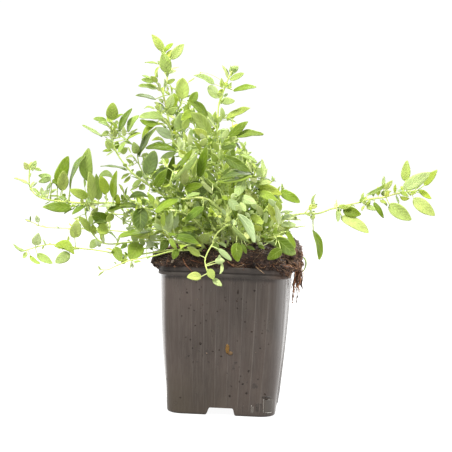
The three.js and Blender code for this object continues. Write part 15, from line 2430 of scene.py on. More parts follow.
    ("C",(-86.9,22.5,116.4),(-88.1,21.7,119),(-90.8,20.4,123.1),2.6,(.04,.94,.34),10,(-.1,-.2,.1),"P"),
    ("C",(-91.8,21.9,116.6),(-92.7,23.8,116),(-96,30.1,114),3.9,(.76,.52,.39),7,(-.7,-.1,0),"D"),
    ("C",(-121.5,17.4,117.2),(-121.9,16.6,117.5),(-124,14.2,118.4),1.7,(.14,.25,.96),14,(.1,-.1,.2),"P"),
    ("C",(-129.4,16.3,117.4),(-131.6,17.9,117.7),(-134.4,19.4,118.3),1.5,(.21,.02,.98),19,(.1,.2,-.1),"L"),
    ("C",(-134.3,15.9,118.2),(-135.9,18.3,118.1),(-138.6,21.8,118.4),2.6,(.2,.07,.98),7,(-.2,.3,-.1),"L"),
    ("D",(-42.6,-38.6,110.2),(-44.6,-38.2,112),(-50.6,-38.1,115.9),3.7,(.49,-.44,.75),19,(-.1,.2,.5),"M"),
    ("D",(-47,-40.7,109.6),(-48,-40.6,111.2),(-52.2,-40.7,116.6),3.2,(.7,-.47,.54),11,(-.2,-.2,0),"D"),
    ("D",(-61.1,-45.4,107.6),(-62.1,-45.7,109.8),(-64,-46.2,113),2,(.55,-.81,.2),18,(.3,-.1,-.2),"P"),
    ("D",(-66.9,-46.7,107.9),(-67.9,-45.8,108.8),(-73,-43.7,112.1),3.7,(.31,-.5,.81),18,(-.3,.2,.3),"P"),
    ("D",(-113.1,-52.6,113.6),(-114,-51.2,113.6),(-116.8,-48.1,113.4),2,(.23,.26,.94),13,(.3,-.3,.2),"M"),
    ("D",(-121.9,-53.3,112.3),(-123.5,-51.5,111.8),(-127,-48.3,110.6),2.6,(-.3,.03,.95),17,(-.1,-.1,0),"L"),
    ("D",(-121.9,-53.3,112.3),(-123.5,-54,113.5),(-126,-55,114.6),1.4,(.44,-.09,.9),10,(.2,-.1,0),"M"),
    ("F",(-34.4,-23.6,115),(-34.6,-23.5,116.9),(-35.1,-23.4,120.2),1.9,(.96,.2,.17),10,(.1,.1,0),"M"),
    ("F",(-41.8,-26.4,116),(-42.8,-25.3,116.2),(-47.6,-22.1,117.9),3.3,(.18,-.22,.96),16,(.4,-.4,-.2),"P"),
    ("F",(-47.5,-28.4,116.2),(-47.9,-29.7,116.8),(-51.1,-33.7,118.6),3.2,(0,.41,.91),6,(-.2,-.1,-.1),"M"),
    ("F",(-47.5,-28.4,116.2),(-48.9,-27.4,118.5),(-52.4,-25.7,123.3),3.4,(.7,-.31,.64),15,(-.1,.1,-.1),"L"),
    ("F",(-54.1,-30.7,115.9),(-55.5,-31.4,113.3),(-58.4,-32.7,109),2.6,(-.49,-.68,.55),7,(-.1,.1,-.7),"Y"),
    ("F",(-54.1,-30.7,115.9),(-55.2,-31,117.5),(-59.2,-32.1,121.6),3.2,(.65,-.59,.48),16,(.3,-.2,.1),"Y"),
    ("F",(-54.1,-30.7,115.9),(-55.2,-30.1,114.3),(-58.5,-29.1,110.5),2.1,(-.71,.22,.67),6,(.1,.2,0),"Y"),
    ("F",(-63.6,-33.7,115.1),(-64.2,-37,116.4),(-64.9,-40.1,117.3),1.8,(-.48,.35,.8),16,(-.2,0,-.1),"P"),
    ("F",(-63.6,-33.7,115.1),(-63.6,-34.3,114),(-64.5,-37.1,109.6),2.7,(-.27,-.79,.56),16,(-.2,0,.5),"M"),
    ("F",(-69.4,-35.1,114.3),(-70,-36.7,114.1),(-73.7,-42,112.7),3,(-.62,.23,.75),12,(0,.1,-.4),"L"),
    ("F",(-81.1,-37.2,114),(-81.5,-37.4,115.2),(-83.9,-37.9,118.6),1.9,(.28,-.96,.06),14,(-.1,.1,.1),"Y"),
    ("F",(-94.4,-38.2,135.9),(-93.3,-39,138.2),(-91.1,-40.9,144.7),3.8,(-.49,.78,.39),10,(-.2,.3,.3),"M"),
    ("FB",(-60.7,-36.8,125),(-60.7,-38.4,126.6),(-61.4,-42.8,131.6),3.2,(.18,.72,.67),13,(.2,.2,.3),"L"),
    ("FB",(-72.1,-41.9,133),(-74.5,-40.9,135.1),(-80.1,-39,139.3),4.6,(.41,-.49,.77),7,(0,-.2,0),"M"),
    ("R",(77.3,9,141),(80.7,8.4,140.9),(84.5,8.2,141.2),2.1,(-.08,.04,1),6,(.1,-.1,.1),"L"),
    ("R",(82.5,11.7,142),(83.1,12.8,141.3),(85.5,15.5,140.4),2,(.02,.28,.96),10,(-.2,0,-.2),"Y"),
    ("R",(97.9,20.2,145.8),(98,21.3,147.4),(98.8,23.6,150.5),2.3,(-.64,-.53,.55),8,(0,0,-.1),"M"),
    ("R",(104.2,23.2,146.6),(104.8,24.1,145.1),(108.1,28,140.3),3.5,(.52,.45,.72),13,(-.3,.5,.2),"D"),
    ("R",(104.2,23.2,146.6),(104.5,24.7,147.6),(107.1,30.1,150.8),3.7,(.14,-.56,.82),17,(-.4,-.1,.2),"D"),
    ("R",(118.4,29.7,150),(118.8,32,151),(121,38.7,154.3),4.3,(-.29,-.34,.89),9,(-.6,-.2,.7),"M"),
    ("R",(122.1,31.1,150.6),(122.6,33.3,149.6),(124.3,38.3,147.5),2.6,(.33,.27,.9),6,(-.2,.3,0),"L"),
    ("R",(126.7,32.9,151.3),(127.6,32.9,152.7),(130.7,33.4,156),2.6,(-.35,-.82,.46),6,(0,0,.4),"L"),
]

# Leaves that are parts of their own: row number and name.
OWN = {74: "leaf_front_left_inner", 336: "leaf_left_long_a", 62: "leaf_left_upper_a", 347: "leaf_left_long_b", 276: "leaf_right_long_a", 81: "leaf_front_left_outer", 61: "leaf_tall_left", 335: "leaf_left_long_c", 147: "leaf_front_leaning_high", 146: "leaf_centre_right", 255: "leaf_right_long_b", 42: "leaf_centre", 398: "leaf_left_middle", 86: "leaf_front_left_low", 65: "leaf_left_upper_b", 248: "leaf_right_long_c", 176: "leaf_front_short_b"}


# ------------------------------------------------------------------- utilities
def unit(v):
    n = float(np.linalg.norm(v))
    return v / n if n > 1e-9 else v


def smooth(e0, e1, x):
    t = np.clip((x - e0) / (e1 - e0), 0, 1)
    return t * t * (3 - 2 * t)


def srgb(h):
    """Linear colour of a hex code."""
    c = [int(h[i : i + 2], 16) / 255 for i in (0, 2, 4)]
    return [x / 12.92 if x <= 0.04045 else ((x + 0.055) / 1.055) ** 2.4 for x in c]


class Soup:
    """Collects vertices, faces and attributes of one piece."""

    def __init__(self):
        self.v, self.f, self.mat, self.flat = [], [], [], []
        self.lf, self.lc, self.side = [], [], []
        self.n = 0

    def add(self, v, f, mat, lf, lc, side, flat=None):
        v = np.asarray(v, float)
        k = len(v)
        self.v.append(v)
        self.f += [tuple(int(i) + self.n for i in q) for q in f]
        self.mat += [mat] * len(f)
        self.flat += list(flat) if flat is not None else [False] * len(f)
        self.lf.append(np.broadcast_to(np.asarray(lf, float), (k, 3)))
        self.lc.append(np.broadcast_to(np.asarray(lc, float), (k, 3)))
        self.side.append(np.broadcast_to(np.asarray(side, float), (k,)))
        self.n += k

    def build(self, name, materials):
        me = bpy.data.meshes.new(name)
        v = np.concatenate(self.v) * MM
        me.from_pydata(v.tolist(), [], self.f)
        for m in materials:
            me.materials.append(m)
        me.polygons.foreach_set("material_index", self.mat)
        me.polygons.foreach_set("use_smooth", [not x for x in self.flat])
        a = me.attributes.new("lf", "FLOAT_VECTOR", "POINT")
        a.data.foreach_set("vector", np.concatenate(self.lf).ravel())
        a = me.attributes.new("lc", "FLOAT_COLOR", "POINT")
        c = np.concatenate(self.lc)
        a.data.foreach_set("color", np.c_[c, np.ones(len(c))].ravel())
        a = me.attributes.new("side", "FLOAT", "POINT")
        a.data.foreach_set("value", np.concatenate(self.side))
        me.validate()
        me.update()
        ob = bpy.data.objects.new(name, me)
        bpy.context.scene.collection.objects.link(ob)
        return ob


def frames(P):
    """Tangents and a pair of normals carried along a path."""
    P = np.asarray(P, float)
    T = np.gradient(P, axis=0)
    T = T / np.maximum(np.linalg.norm(T, axis=1, keepdims=True), 1e-9)
    a = np.array([0.31, -0.87, 0.38])
    X = [unit(np.cross(T[0], a))]
    for i in range(1, len(P)):
        x = X[-1] - T[i] * float(X[-1] @ T[i])
        X.append(unit(x))
    X = np.array(X)
    return T, X, np.cross(T, X)


def tube(P, R, sides, cap0=True, cap1=True, squash=1.0):
    """A closed tapered tube: vertices, faces and the position along it of each vertex."""
    P = np.asarray(P, float)
    R = np.broadcast_to(np.asarray(R, float), (len(P),))
    _, X, Y = frames(P)
    a = np.arange(sides) * 2 * math.pi / sides
    v = (P[:, None] + R[:, None, None] * (np.cos(a)[None, :, None] * X[:, None] + squash * np.sin(a)[None, :, None] * Y[:, None])).reshape(-1, 3)
    f = []
    for i in range(len(P) - 1):
        for k in range(sides):
            k2 = (k + 1) % sides
            f.append((i * sides + k, i * sides + k2, (i + 1) * sides + k2, (i + 1) * sides + k))
    if cap0:
        f.append(tuple(range(sides - 1, -1, -1)))
    if cap1:
        f.append(tuple((len(P) - 1) * sides + k for k in range(sides)))
    t = np.repeat(np.linspace(0, 1, len(P)), sides)
    u = np.tile(np.arange(sides) / sides, len(P))
    return v, f, t, u


def catmull(P, step=2.5):
    P = np.asarray(P, float)
    out = []
    n = len(P)
    for i in range(n - 1):
        p0, p1, p2, p3 = P[max(i - 1, 0)], P[i], P[i + 1], P[min(i + 2, n - 1)]
        m = max(1, int(round(float(np.linalg.norm(p2 - p1)) / step)))
        for k in range(m):
            t = k / m
            out.append(0.5 * ((2 * p1) + (-p0 + p2) * t + (2 * p0 - 5 * p1 + 4 * p2 - p3) * t * t + (-p0 + 3 * p1 - 3 * p2 + p3) * t**3))
    out.append(P[-1])
    return np.array(out)


# ------------------------------------------------------------------- materials
def new_material(name):
    m = bpy.data.materials.new(name)
    m.use_nodes = True
    nt = m.node_tree
    nt.nodes.clear()
    return m, nt


class Nodes:
    def __init__(self, nt):
        self.nt = nt

    def new(self, kind, **kw):
        n = self.nt.nodes.new(kind)
        for k, v in kw.items():
            setattr(n, k, v)
        return n

    def link(self, a, b):
        self.nt.links.new(a, b)

    def put(self, sock, v):
        if isinstance(v, bpy.types.NodeSocket):
            self.link(v, sock)
        else:
            sock.default_value = v

    def math(self, op, a, b=0.0, c=0.0, clamp=False):
        n = self.new("ShaderNodeMath", operation=op, use_clamp=clamp)
        self.put(n.inputs[0], a)
        self.put(n.inputs[1], b)
        if len(n.inputs) > 2:
            self.put(n.inputs[2], c)
        return n.outputs[0]

    def ramp(self, x, e0, e1, a=0.0, b=1.0):
        n = self.new("ShaderNodeMapRange", interpolation_type="SMOOTHSTEP")
        self.put(n.inputs["Value"], x)
        n.inputs["From Min"].default_value = e0
        n.inputs["From Max"].default_value = e1
        n.inputs["To Min"].default_value = a
        n.inputs["To Max"].default_value = b
        return n.outputs["Result"]

    def mix(self, fac, a, b, kind="MIX"):
        n = self.new("ShaderNodeMix", data_type="RGBA", blend_type=kind)
        self.put(n.inputs[0], fac)
        self.put(n.inputs[6], a if isinstance(a, bpy.types.NodeSocket) else (*a, 1))
        self.put(n.inputs[7], b if isinstance(b, bpy.types.NodeSocket) else (*b, 1))
        return n.outputs[2]

    def noise(self, vec, scale, detail=3.0, rough=0.55, out="Fac"):
        n = self.new("ShaderNodeTexNoise")
        n.inputs["Scale"].default_value = scale
        n.inputs["Detail"].default_value = detail
        n.inputs["Roughness"].default_value = rough
        self.put(n.inputs["Vector"], vec)
        return n.outputs[out]

    def attr(self, name, out):
        n = self.new("ShaderNodeAttribute", attribute_name=name)
        return n.outputs[out]

    def coords(self, scale=(1, 1, 1)):
        t = self.new("ShaderNodeTexCoord")
        m = self.new("ShaderNodeMapping")
        m.inputs["Scale"].default_value = scale
        self.link(t.outputs["Object"], m.inputs["Vector"])
        return m.outputs["Vector"]


def leaf_material():
    m, nt = new_material("oregano_leaf")
    N = Nodes(nt)
    lf = N.new("ShaderNodeSeparateXYZ")
    N.link(N.attr("lf", "Vector"), lf.inputs[0])
    u, t, rnd = lf.outputs[0], lf.outputs[1], lf.outputs[2]
    au = N.math("ABSOLUTE", u)
    lc = N.attr("lc", "Color")
    side = N.attr("side", "Fac")
    vec = N.coords()
    # midrib, thinning towards the tip
    rib_w = N.math("MULTIPLY_ADD", t, -0.055, 0.085)
    rib = N.ramp(N.math("DIVIDE", au, rib_w), 0.35, 1.25, 1.0, 0.0)
    rib = N.math("MULTIPLY", rib, N.ramp(t, 0.75, 0.98, 1.0, 0.15))
    # side veins that arch towards the tip
    bow = N.math("POWER", au, 0.85)
    s = N.math("MULTIPLY_ADD", bow, -0.30, t)
    s = N.math("MULTIPLY", s, 5.6)
    s = N.math("ADD", s, N.math("MULTIPLY", rnd, 0.6))
    s = N.math("ADD", s, N.math("MULTIPLY", N.noise(vec, 160, 1.0), 0.35))
    fr = N.math("FRACT", s)
    d = N.math("ABSOLUTE", N.math("SUBTRACT", fr, 0.5))
    vein = N.ramp(d, 0.40, 0.49)
    vein = N.math("MULTIPLY", vein, N.ramp(au, 0.55, 0.97, 1.0, 0.0))
    vein = N.math("MULTIPLY", vein, N.ramp(t, 0.80, 0.93, 1.0, 0.0))
    quilt = N.ramp(d, 0.05, 0.46)  # high at the veins, low between
    veins = N.math("MAXIMUM", rib, N.math("MULTIPLY", vein, 0.62))
    # body colour: mottled, darker down the middle of each cell, paler rim
    mott = N.noise(vec, 420, 4.0)
    broad = N.noise(vec, 70, 2.0)
    val = N.math("MULTIPLY_ADD", N.ramp(mott, 0.30, 0.70), 0.14, 0.91)
    val = N.math("MULTIPLY", val, N.math("MULTIPLY_ADD", N.ramp(broad, 0.3, 0.7), 0.24, 0.88))
    val = N.math("MULTIPLY", val, N.math("MULTIPLY_ADD", quilt, 0.10, 0.95))
    g = N.new("ShaderNodeCombineColor")
    for i in range(3):
        N.link(val, g.inputs[i])
    base = N.mix(1.0, lc, g.outputs[0], "MULTIPLY")
    rim = N.ramp(au, 0.80, 1.0)
    base = N.mix(N.math("MULTIPLY", rim, 0.22), base, (0.56, 0.66, 0.14))
    tip = N.ramp(t, 0.80, 1.0)
    base = N.mix(N.math("MULTIPLY", tip, 0.18), base, (0.60, 0.70, 0.17))
    topside = N.mix(N.math("MULTIPLY", veins, 0.26), base, (0.56, 0.67, 0.17))
    # underside: paler, bluish, with raised pale veins
    under = N.mix(0.40, base, (0.55, 0.70, 0.32))
    under = N.mix(N.math("MULTIPLY", veins, 0.72), under, (0.84, 0.90, 0.64))
    col = N.mix(side, under, topside)
    # painted sheen: soft pale patches mixed into the colour stand in for light scattered by the fine down on the blade
    painted_sheen = N.math("MULTIPLY", N.ramp(N.noise(vec, 190, 2.0), 0.42, 0.72), 0.04)
    col = N.mix(painted_sheen, col, (0.68, 0.78, 0.52))
    P = N.new("ShaderNodeBsdfPrincipled")
    N.link(col, P.inputs["Base Color"])
    rough = N.math("MULTIPLY_ADD", mott, 0.20, 0.42)
    N.link(rough, P.inputs["Roughness"])
    P.inputs["Specular IOR Level"].default_value = 0.20
    P.inputs["Sheen Weight"].default_value = 0.03
    P.inputs["Sheen Roughness"].default_value = 0.45
    P.inputs["Sheen Tint"].default_value = (0.88, 1.0, 0.82, 1)
    hgt = N.math("MULTIPLY_ADD", veins, -0.8, N.math("MULTIPLY", mott, 0.25))
    hgt = N.math("SUBTRACT", hgt, N.math("MULTIPLY", quilt, 0.5))
    b = N.new("ShaderNodeBump")
    b.inputs["Strength"].default_value = 0.55
    b.inputs["Distance"].default_value = 0.00022
    N.link(hgt, b.inputs["Height"])
    N.link(b.outputs[0], P.inputs["Normal"])
    tr = N.new("ShaderNodeBsdfTranslucent")
    N.link(N.mix(0.34, col, (0.66, 0.73, 0.20)), tr.inputs["Color"])
    N.link(b.outputs[0], tr.inputs["Normal"])
    mx = N.new("ShaderNodeMixShader")
    mx.inputs[0].default_value = 0.38
    N.link(P.outputs[0], mx.inputs[1])
    N.link(tr.outputs[0], mx.inputs[2])
    out = N.new("ShaderNodeOutputMaterial")
    N.link(mx.outputs[0], out.inputs[0])
    return m


def stem_material():
    m, nt = new_material("oregano_stem")
    N = Nodes(nt)
    lf = N.new("ShaderNodeSeparateXYZ")
    N.link(N.attr("lf", "Vector"), lf.inputs[0])
    vec = N.coords()
    lc = N.attr("lc", "Color")
    mott = N.noise(vec, 500, 3.0)
    long = N.noise(N.coords((1, 1, 0.25)), 900, 2.0)
    val = N.math("MULTIPLY_ADD", mott, 0.30, 0.85)
    g = N.new("ShaderNodeCombineColor")
    for i in range(3):
        N.link(val, g.inputs[i])
    col = N.mix(1.0, lc, g.outputs[0], "MULTIPLY")
    col = N.mix(N.math("MULTIPLY", N.ramp(long, 0.52, 0.72), 0.30), col, (0.70, 0.78, 0.34))
    col = N.mix(N.math("MULTIPLY", N.ramp(N.noise(vec, 60, 2.0), 0.60, 0.78), 0.30), col, (0.42, 0.26, 0.10))
    P = N.new("ShaderNodeBsdfPrincipled")
    N.link(col, P.inputs["Base Color"])
    N.link(N.math("MULTIPLY_ADD", mott, 0.2, 0.40), P.inputs["Roughness"])
    P.inputs["Specular IOR Level"].default_value = 0.40
    P.inputs["Sheen Weight"].default_value = 0.25
    P.inputs["Sheen Roughness"].default_value = 0.5
    P.inputs["Sheen Tint"].default_value = (0.95, 1.0, 0.85, 1)
    b = N.new("ShaderNodeBump")
    b.inputs["Strength"].default_value = 0.5
    b.inputs["Distance"].default_value = 0.00015
    N.link(N.math("ADD", long, mott), b.inputs["Height"])
    N.link(b.outputs[0], P.inputs["Normal"])
    tr = N.new("ShaderNodeBsdfTranslucent")
    N.link(col, tr.inputs["Color"])
    mx = N.new("ShaderNodeMixShader")
    mx.inputs[0].default_value = 0.18
    N.link(P.outputs[0], mx.inputs[1])
    N.link(tr.outputs[0], mx.inputs[2])
    out = N.new("ShaderNodeOutputMaterial")
    N.link(mx.outputs[0], out.inputs[0])
    return m


def pot_material():
    m, nt = new_material("nursery_pot_plastic")
    N = Nodes(nt)
    vec = N.coords()
    streak = N.noise(N.coords((1, 1, 0.035)), 900, 3.0)
    broad = N.noise(vec, 22, 3.0)
    fine = N.noise(vec, 700, 3.0)
    col = N.mix(N.ramp(broad, 0.35, 0.68), srgb("3a322d"), srgb("473d38"))
    col = N.mix(N.math("MULTIPLY", N.ramp(streak, 0.40, 0.66), 0.30), col, srgb("544d47"))
    # partly painted highlight: the pale rib lines, stronger on the right, and the pale line along the lip's lower edge
    # stand in for light caught on the ridges, beside the ribs' own paler plastic
    rib = N.attr("rib", "Fac")
    col = N.mix(N.math("MULTIPLY", rib, 0.36), col, srgb("77706a"))
    # olive film of algae and dried water low down
    z = N.new("ShaderNodeSeparateXYZ")
    N.link(vec, z.inputs[0])
    low = N.math("MULTIPLY", N.ramp(z.outputs[2], 0.0, 0.045, 1.0, 0.0), N.ramp(z.outputs[0], -0.03, 0.02, 1.0, 0.15))
    low = N.math("MULTIPLY", low, N.ramp(broad, 0.25, 0.6))
    col = N.mix(N.math("MULTIPLY", low, 0.55), col, srgb("3f3829"))
    # compost dust smeared over the rim, most of all at its left and right ends, together with painted shade: the whole
    # rim band is darkened as if shaded by the foliage above
    ends = N.ramp(N.math("ABSOLUTE", N.math("ADD", z.outputs[0], -0.004)), 0.012, 0.036, 0.62, 1.0)
    dust_and_shade = N.math("MULTIPLY", N.ramp(z.outputs[2], 0.0950, 0.0953), ends)
    patch = N.ramp(N.noise(N.coords((1, 1, 0.6)), 95, 5.0, 0.62), 0.30, 0.56, 0.35, 1.0)
    dust_and_shade = N.math("MULTIPLY", dust_and_shade, patch)
    veil = N.math("MULTIPLY", N.ramp(z.outputs[2], 0.080, 0.096), N.ramp(N.noise(N.coords((1, 1, 0.3)), 160, 4.0), 0.50, 0.68))
    dust_and_shade = N.math("MAXIMUM", dust_and_shade, N.math("MULTIPLY", veil, 0.40))
    # painted shade: the groove between the rim bands is darkened as a recess
    groove_shade = N.math("MULTIPLY", N.ramp(z.outputs[2], 0.0950, 0.0953), N.ramp(z.outputs[2], 0.0981, 0.0985, 1.0, 0.0))
    dust_and_shade = N.math("MAXIMUM", dust_and_shade, N.math("MULTIPLY", groove_shade, 0.95))
    brown = N.ramp(z.outputs[0], 0.026, 0.040)
    col = N.mix(N.math("MULTIPLY", dust_and_shade, 0.90), col, N.mix(brown, srgb("2c2622"), srgb("3a2a20")))
    # specks of compost stuck to the wall
    specks = 0.0
    for scale, e0, e1, off in ((150.0, 0.10, 0.17, 0.0), (62.0, 0.085, 0.15, 0.31)):
        vo = N.new("ShaderNodeTexVoronoi", feature="F1")
        vo.inputs["Scale"].default_value = scale
        vo.inputs["Randomness"].default_value = 1.0
        mp = N.new("ShaderNodeMapping")
        mp.inputs["Location"].default_value = (off, off, off)
        mp.inputs["Scale"].default_value = (1, 1, 0.8)
        N.link(vec, mp.inputs["Vector"])
        wob = N.new("ShaderNodeVectorMath", operation="MULTIPLY_ADD")
        N.link(N.noise(vec, 330, 2.0, out="Color"), wob.inputs[0])
        wob.inputs[1].default_value = (0.0035, 0.0035, 0.0035)
        N.link(mp.outputs[0], wob.inputs[2])
        N.link(wob.outputs[0], vo.inputs["Vector"])
        dot = N.ramp(vo.outputs["Distance"], e0, e1, 1.0, 0.0)
        keep = N.new("ShaderNodeSeparateColor")
        N.link(vo.outputs["Color"], keep.inputs[0])
        dot = N.math("MULTIPLY", dot, N.ramp(keep.outputs[0], 0.52, 0.56))
        specks = N.math("MAXIMUM", specks, dot)
    specks = N.math("MULTIPLY", specks, N.ramp(N.noise(vec, 38, 2.0), 0.42, 0.62, 0.0, 1.0))
    col = N.mix(N.math("MULTIPLY", specks, 0.62), col, srgb("221b17"))
    P = N.new("ShaderNodeBsdfPrincipled")
    N.link(col, P.inputs["Base Color"])
    rough = N.math("MULTIPLY_ADD", broad, 0.06, 0.15)
    rough = N.math("ADD", rough, N.math("MULTIPLY", streak, 0.10))
    rough = N.math("ADD", rough, N.math("MULTIPLY", N.math("MAXIMUM", specks, dust_and_shade), 0.55), clamp=True)
    N.link(rough, P.inputs["Roughness"])
    P.inputs["Specular IOR Level"].default_value = 0.5
    b = N.new("ShaderNodeBump")
    b.inputs["Strength"].default_value = 0.28
    b.inputs["Distance"].default_value = 0.0003
    h = N.math("ADD", N.math("MULTIPLY", streak, 0.50), N.math("MULTIPLY", fine, 0.06))
    h = N.math("ADD", h, N.math("MULTIPLY", specks, 0.8))
    h = N.math("ADD", h, N.math("MULTIPLY", dust_and_shade, N.math("ADD", fine, 0.4)))
    N.link(h, b.inputs["Height"])
    N.link(b.outputs[0], P.inputs["Normal"])
    out = N.new("ShaderNodeOutputMaterial")
    N.link(P.outputs[0], out.inputs[0])
    return m


def soil_material():
    m, nt = new_material("compost")
    N = Nodes(nt)
    vec = N.coords()
    lc = N.attr("lc", "Color")
    crumb = N.noise(vec, 900, 5.0, 0.68)
    clod = N.noise(vec, 120, 3.0)
    col = N.mix(N.ramp(clod, 0.35, 0.70, 0.0, 0.45), lc, srgb("33271f"))
    # painted highlight on the raised crumbs and painted shade in the hollows between them: the crumb noise that drives
    # the bump lightens its tops and darkens its low parts
    col = N.mix(N.math("MULTIPLY", N.ramp(crumb, 0.52, 0.72), 0.42), col, srgb("6f5546"))
    col = N.mix(N.ramp(crumb, 0.34, 0.48, 0.85, 0.0), col, srgb("120d0a"))
    grit = N.new("ShaderNodeTexVoronoi", feature="F1")
    grit.inputs["Scale"].default_value = 420
    N.link(vec, grit.inputs["Vector"])
    pick = N.new("ShaderNodeSeparateColor")
    N.link(grit.outputs["Color"], pick.inputs[0])
    bit = N.math("MULTIPLY", N.ramp(grit.outputs["Distance"], 0.18, 0.34, 1.0, 0.0), N.ramp(pick.outputs[1], 0.90, 0.93))
    col = N.mix(N.math("MULTIPLY", bit, 0.7), col, srgb("a38a78"))
    P = N.new("ShaderNodeBsdfPrincipled")
    N.link(col, P.inputs["Base Color"])
    N.link(N.ramp(clod, 0.3, 0.7, 0.70, 0.95), P.inputs["Roughness"])
    P.inputs["Specular IOR Level"].default_value = 0.30
    b = N.new("ShaderNodeBump")
    b.inputs["Strength"].default_value = 1.0
    b.inputs["Distance"].default_value = 0.0006
    N.link(N.math("ADD", crumb, N.math("MULTIPLY", clod, 0.6)), b.inputs["Height"])
    N.link(b.outputs[0], P.inputs["Normal"])
    out = N.new("ShaderNodeOutputMaterial")
    N.link(P.outputs[0], out.inputs[0])
    return m


def root_material():
    m, nt = new_material("fine_roots")
    N = Nodes(nt)
    vec = N.coords()
    lc = N.attr("lc", "Color")
    n1 = N.noise(vec, 800, 3.0)
    col = N.mix(N.math("MULTIPLY", N.ramp(n1, 0.45, 0.7), 0.55), lc, srgb("3a241a"))
    P = N.new("ShaderNodeBsdfPrincipled")
    N.link(col, P.inputs["Base Color"])
    N.link(N.math("MULTIPLY_ADD", n1, 0.3, 0.5), P.inputs["Roughness"])
    P.inputs["Specular IOR Level"].default_value = 0.3
    out = N.new("ShaderNodeOutputMaterial")
    N.link(P.outputs[0], out.inputs[0])
    return m


def mark_material():
    m, nt = new_material("pot_foot_marks_painted_glint")
    N = Nodes(nt)
    vec = N.coords()
    fine = N.noise(vec, 600, 4.0)
    col = N.mix(N.ramp(fine, 0.40, 0.72, 0.0, 0.55), N.attr("lc", "Color"), srgb("4a433e"))
    P = N.new("ShaderNodeBsdfPrincipled")
    N.link(col, P.inputs["Base Color"])
    N.link(N.math("MULTIPLY_ADD", fine, 0.25, 0.18), P.inputs["Roughness"])
    P.inputs["Specular IOR Level"].default_value = 0.5
    b = N.new("ShaderNodeBump")
    b.inputs["Strength"].default_value = 0.2
    b.inputs["Distance"].default_value = 0.0002
    N.link(fine, b.inputs["Height"])
    N.link(b.outputs[0], P.inputs["Normal"])
    out = N.new("ShaderNodeOutputMaterial")
    N.link(P.outputs[0], out.inputs[0])
    return m


LEAF, STEM, POT, SOIL, ROOT = leaf_material(), stem_material(), pot_material(), soil_material(), root_material()
MARK = mark_material()

# --------------------------------------------------------------------- foliage
# Colour ranges of the leaf classes, dark to light, as hex codes.
CLASSES = {
    "d": ("344c08", "506a16"),
    "D": ("557212", "7b962c"),
    "M": ("819d2c", "aac250"),
    "L": ("a8c046", "d2e17c"),
    "Y": ("91a638", "b3c560"),
    "l": ("b6c874", "d4e298"),
    "g": ("a6bb6e", "bccd82"),
    "P": ("b2c87a", "d6e3a6"),
    "q": ("859f52", "a9c179"),
    "p": ("c6da9e", "e2eec4"),
}
STEM_TONES = (srgb("bccc6c"), srgb("d6e296"))


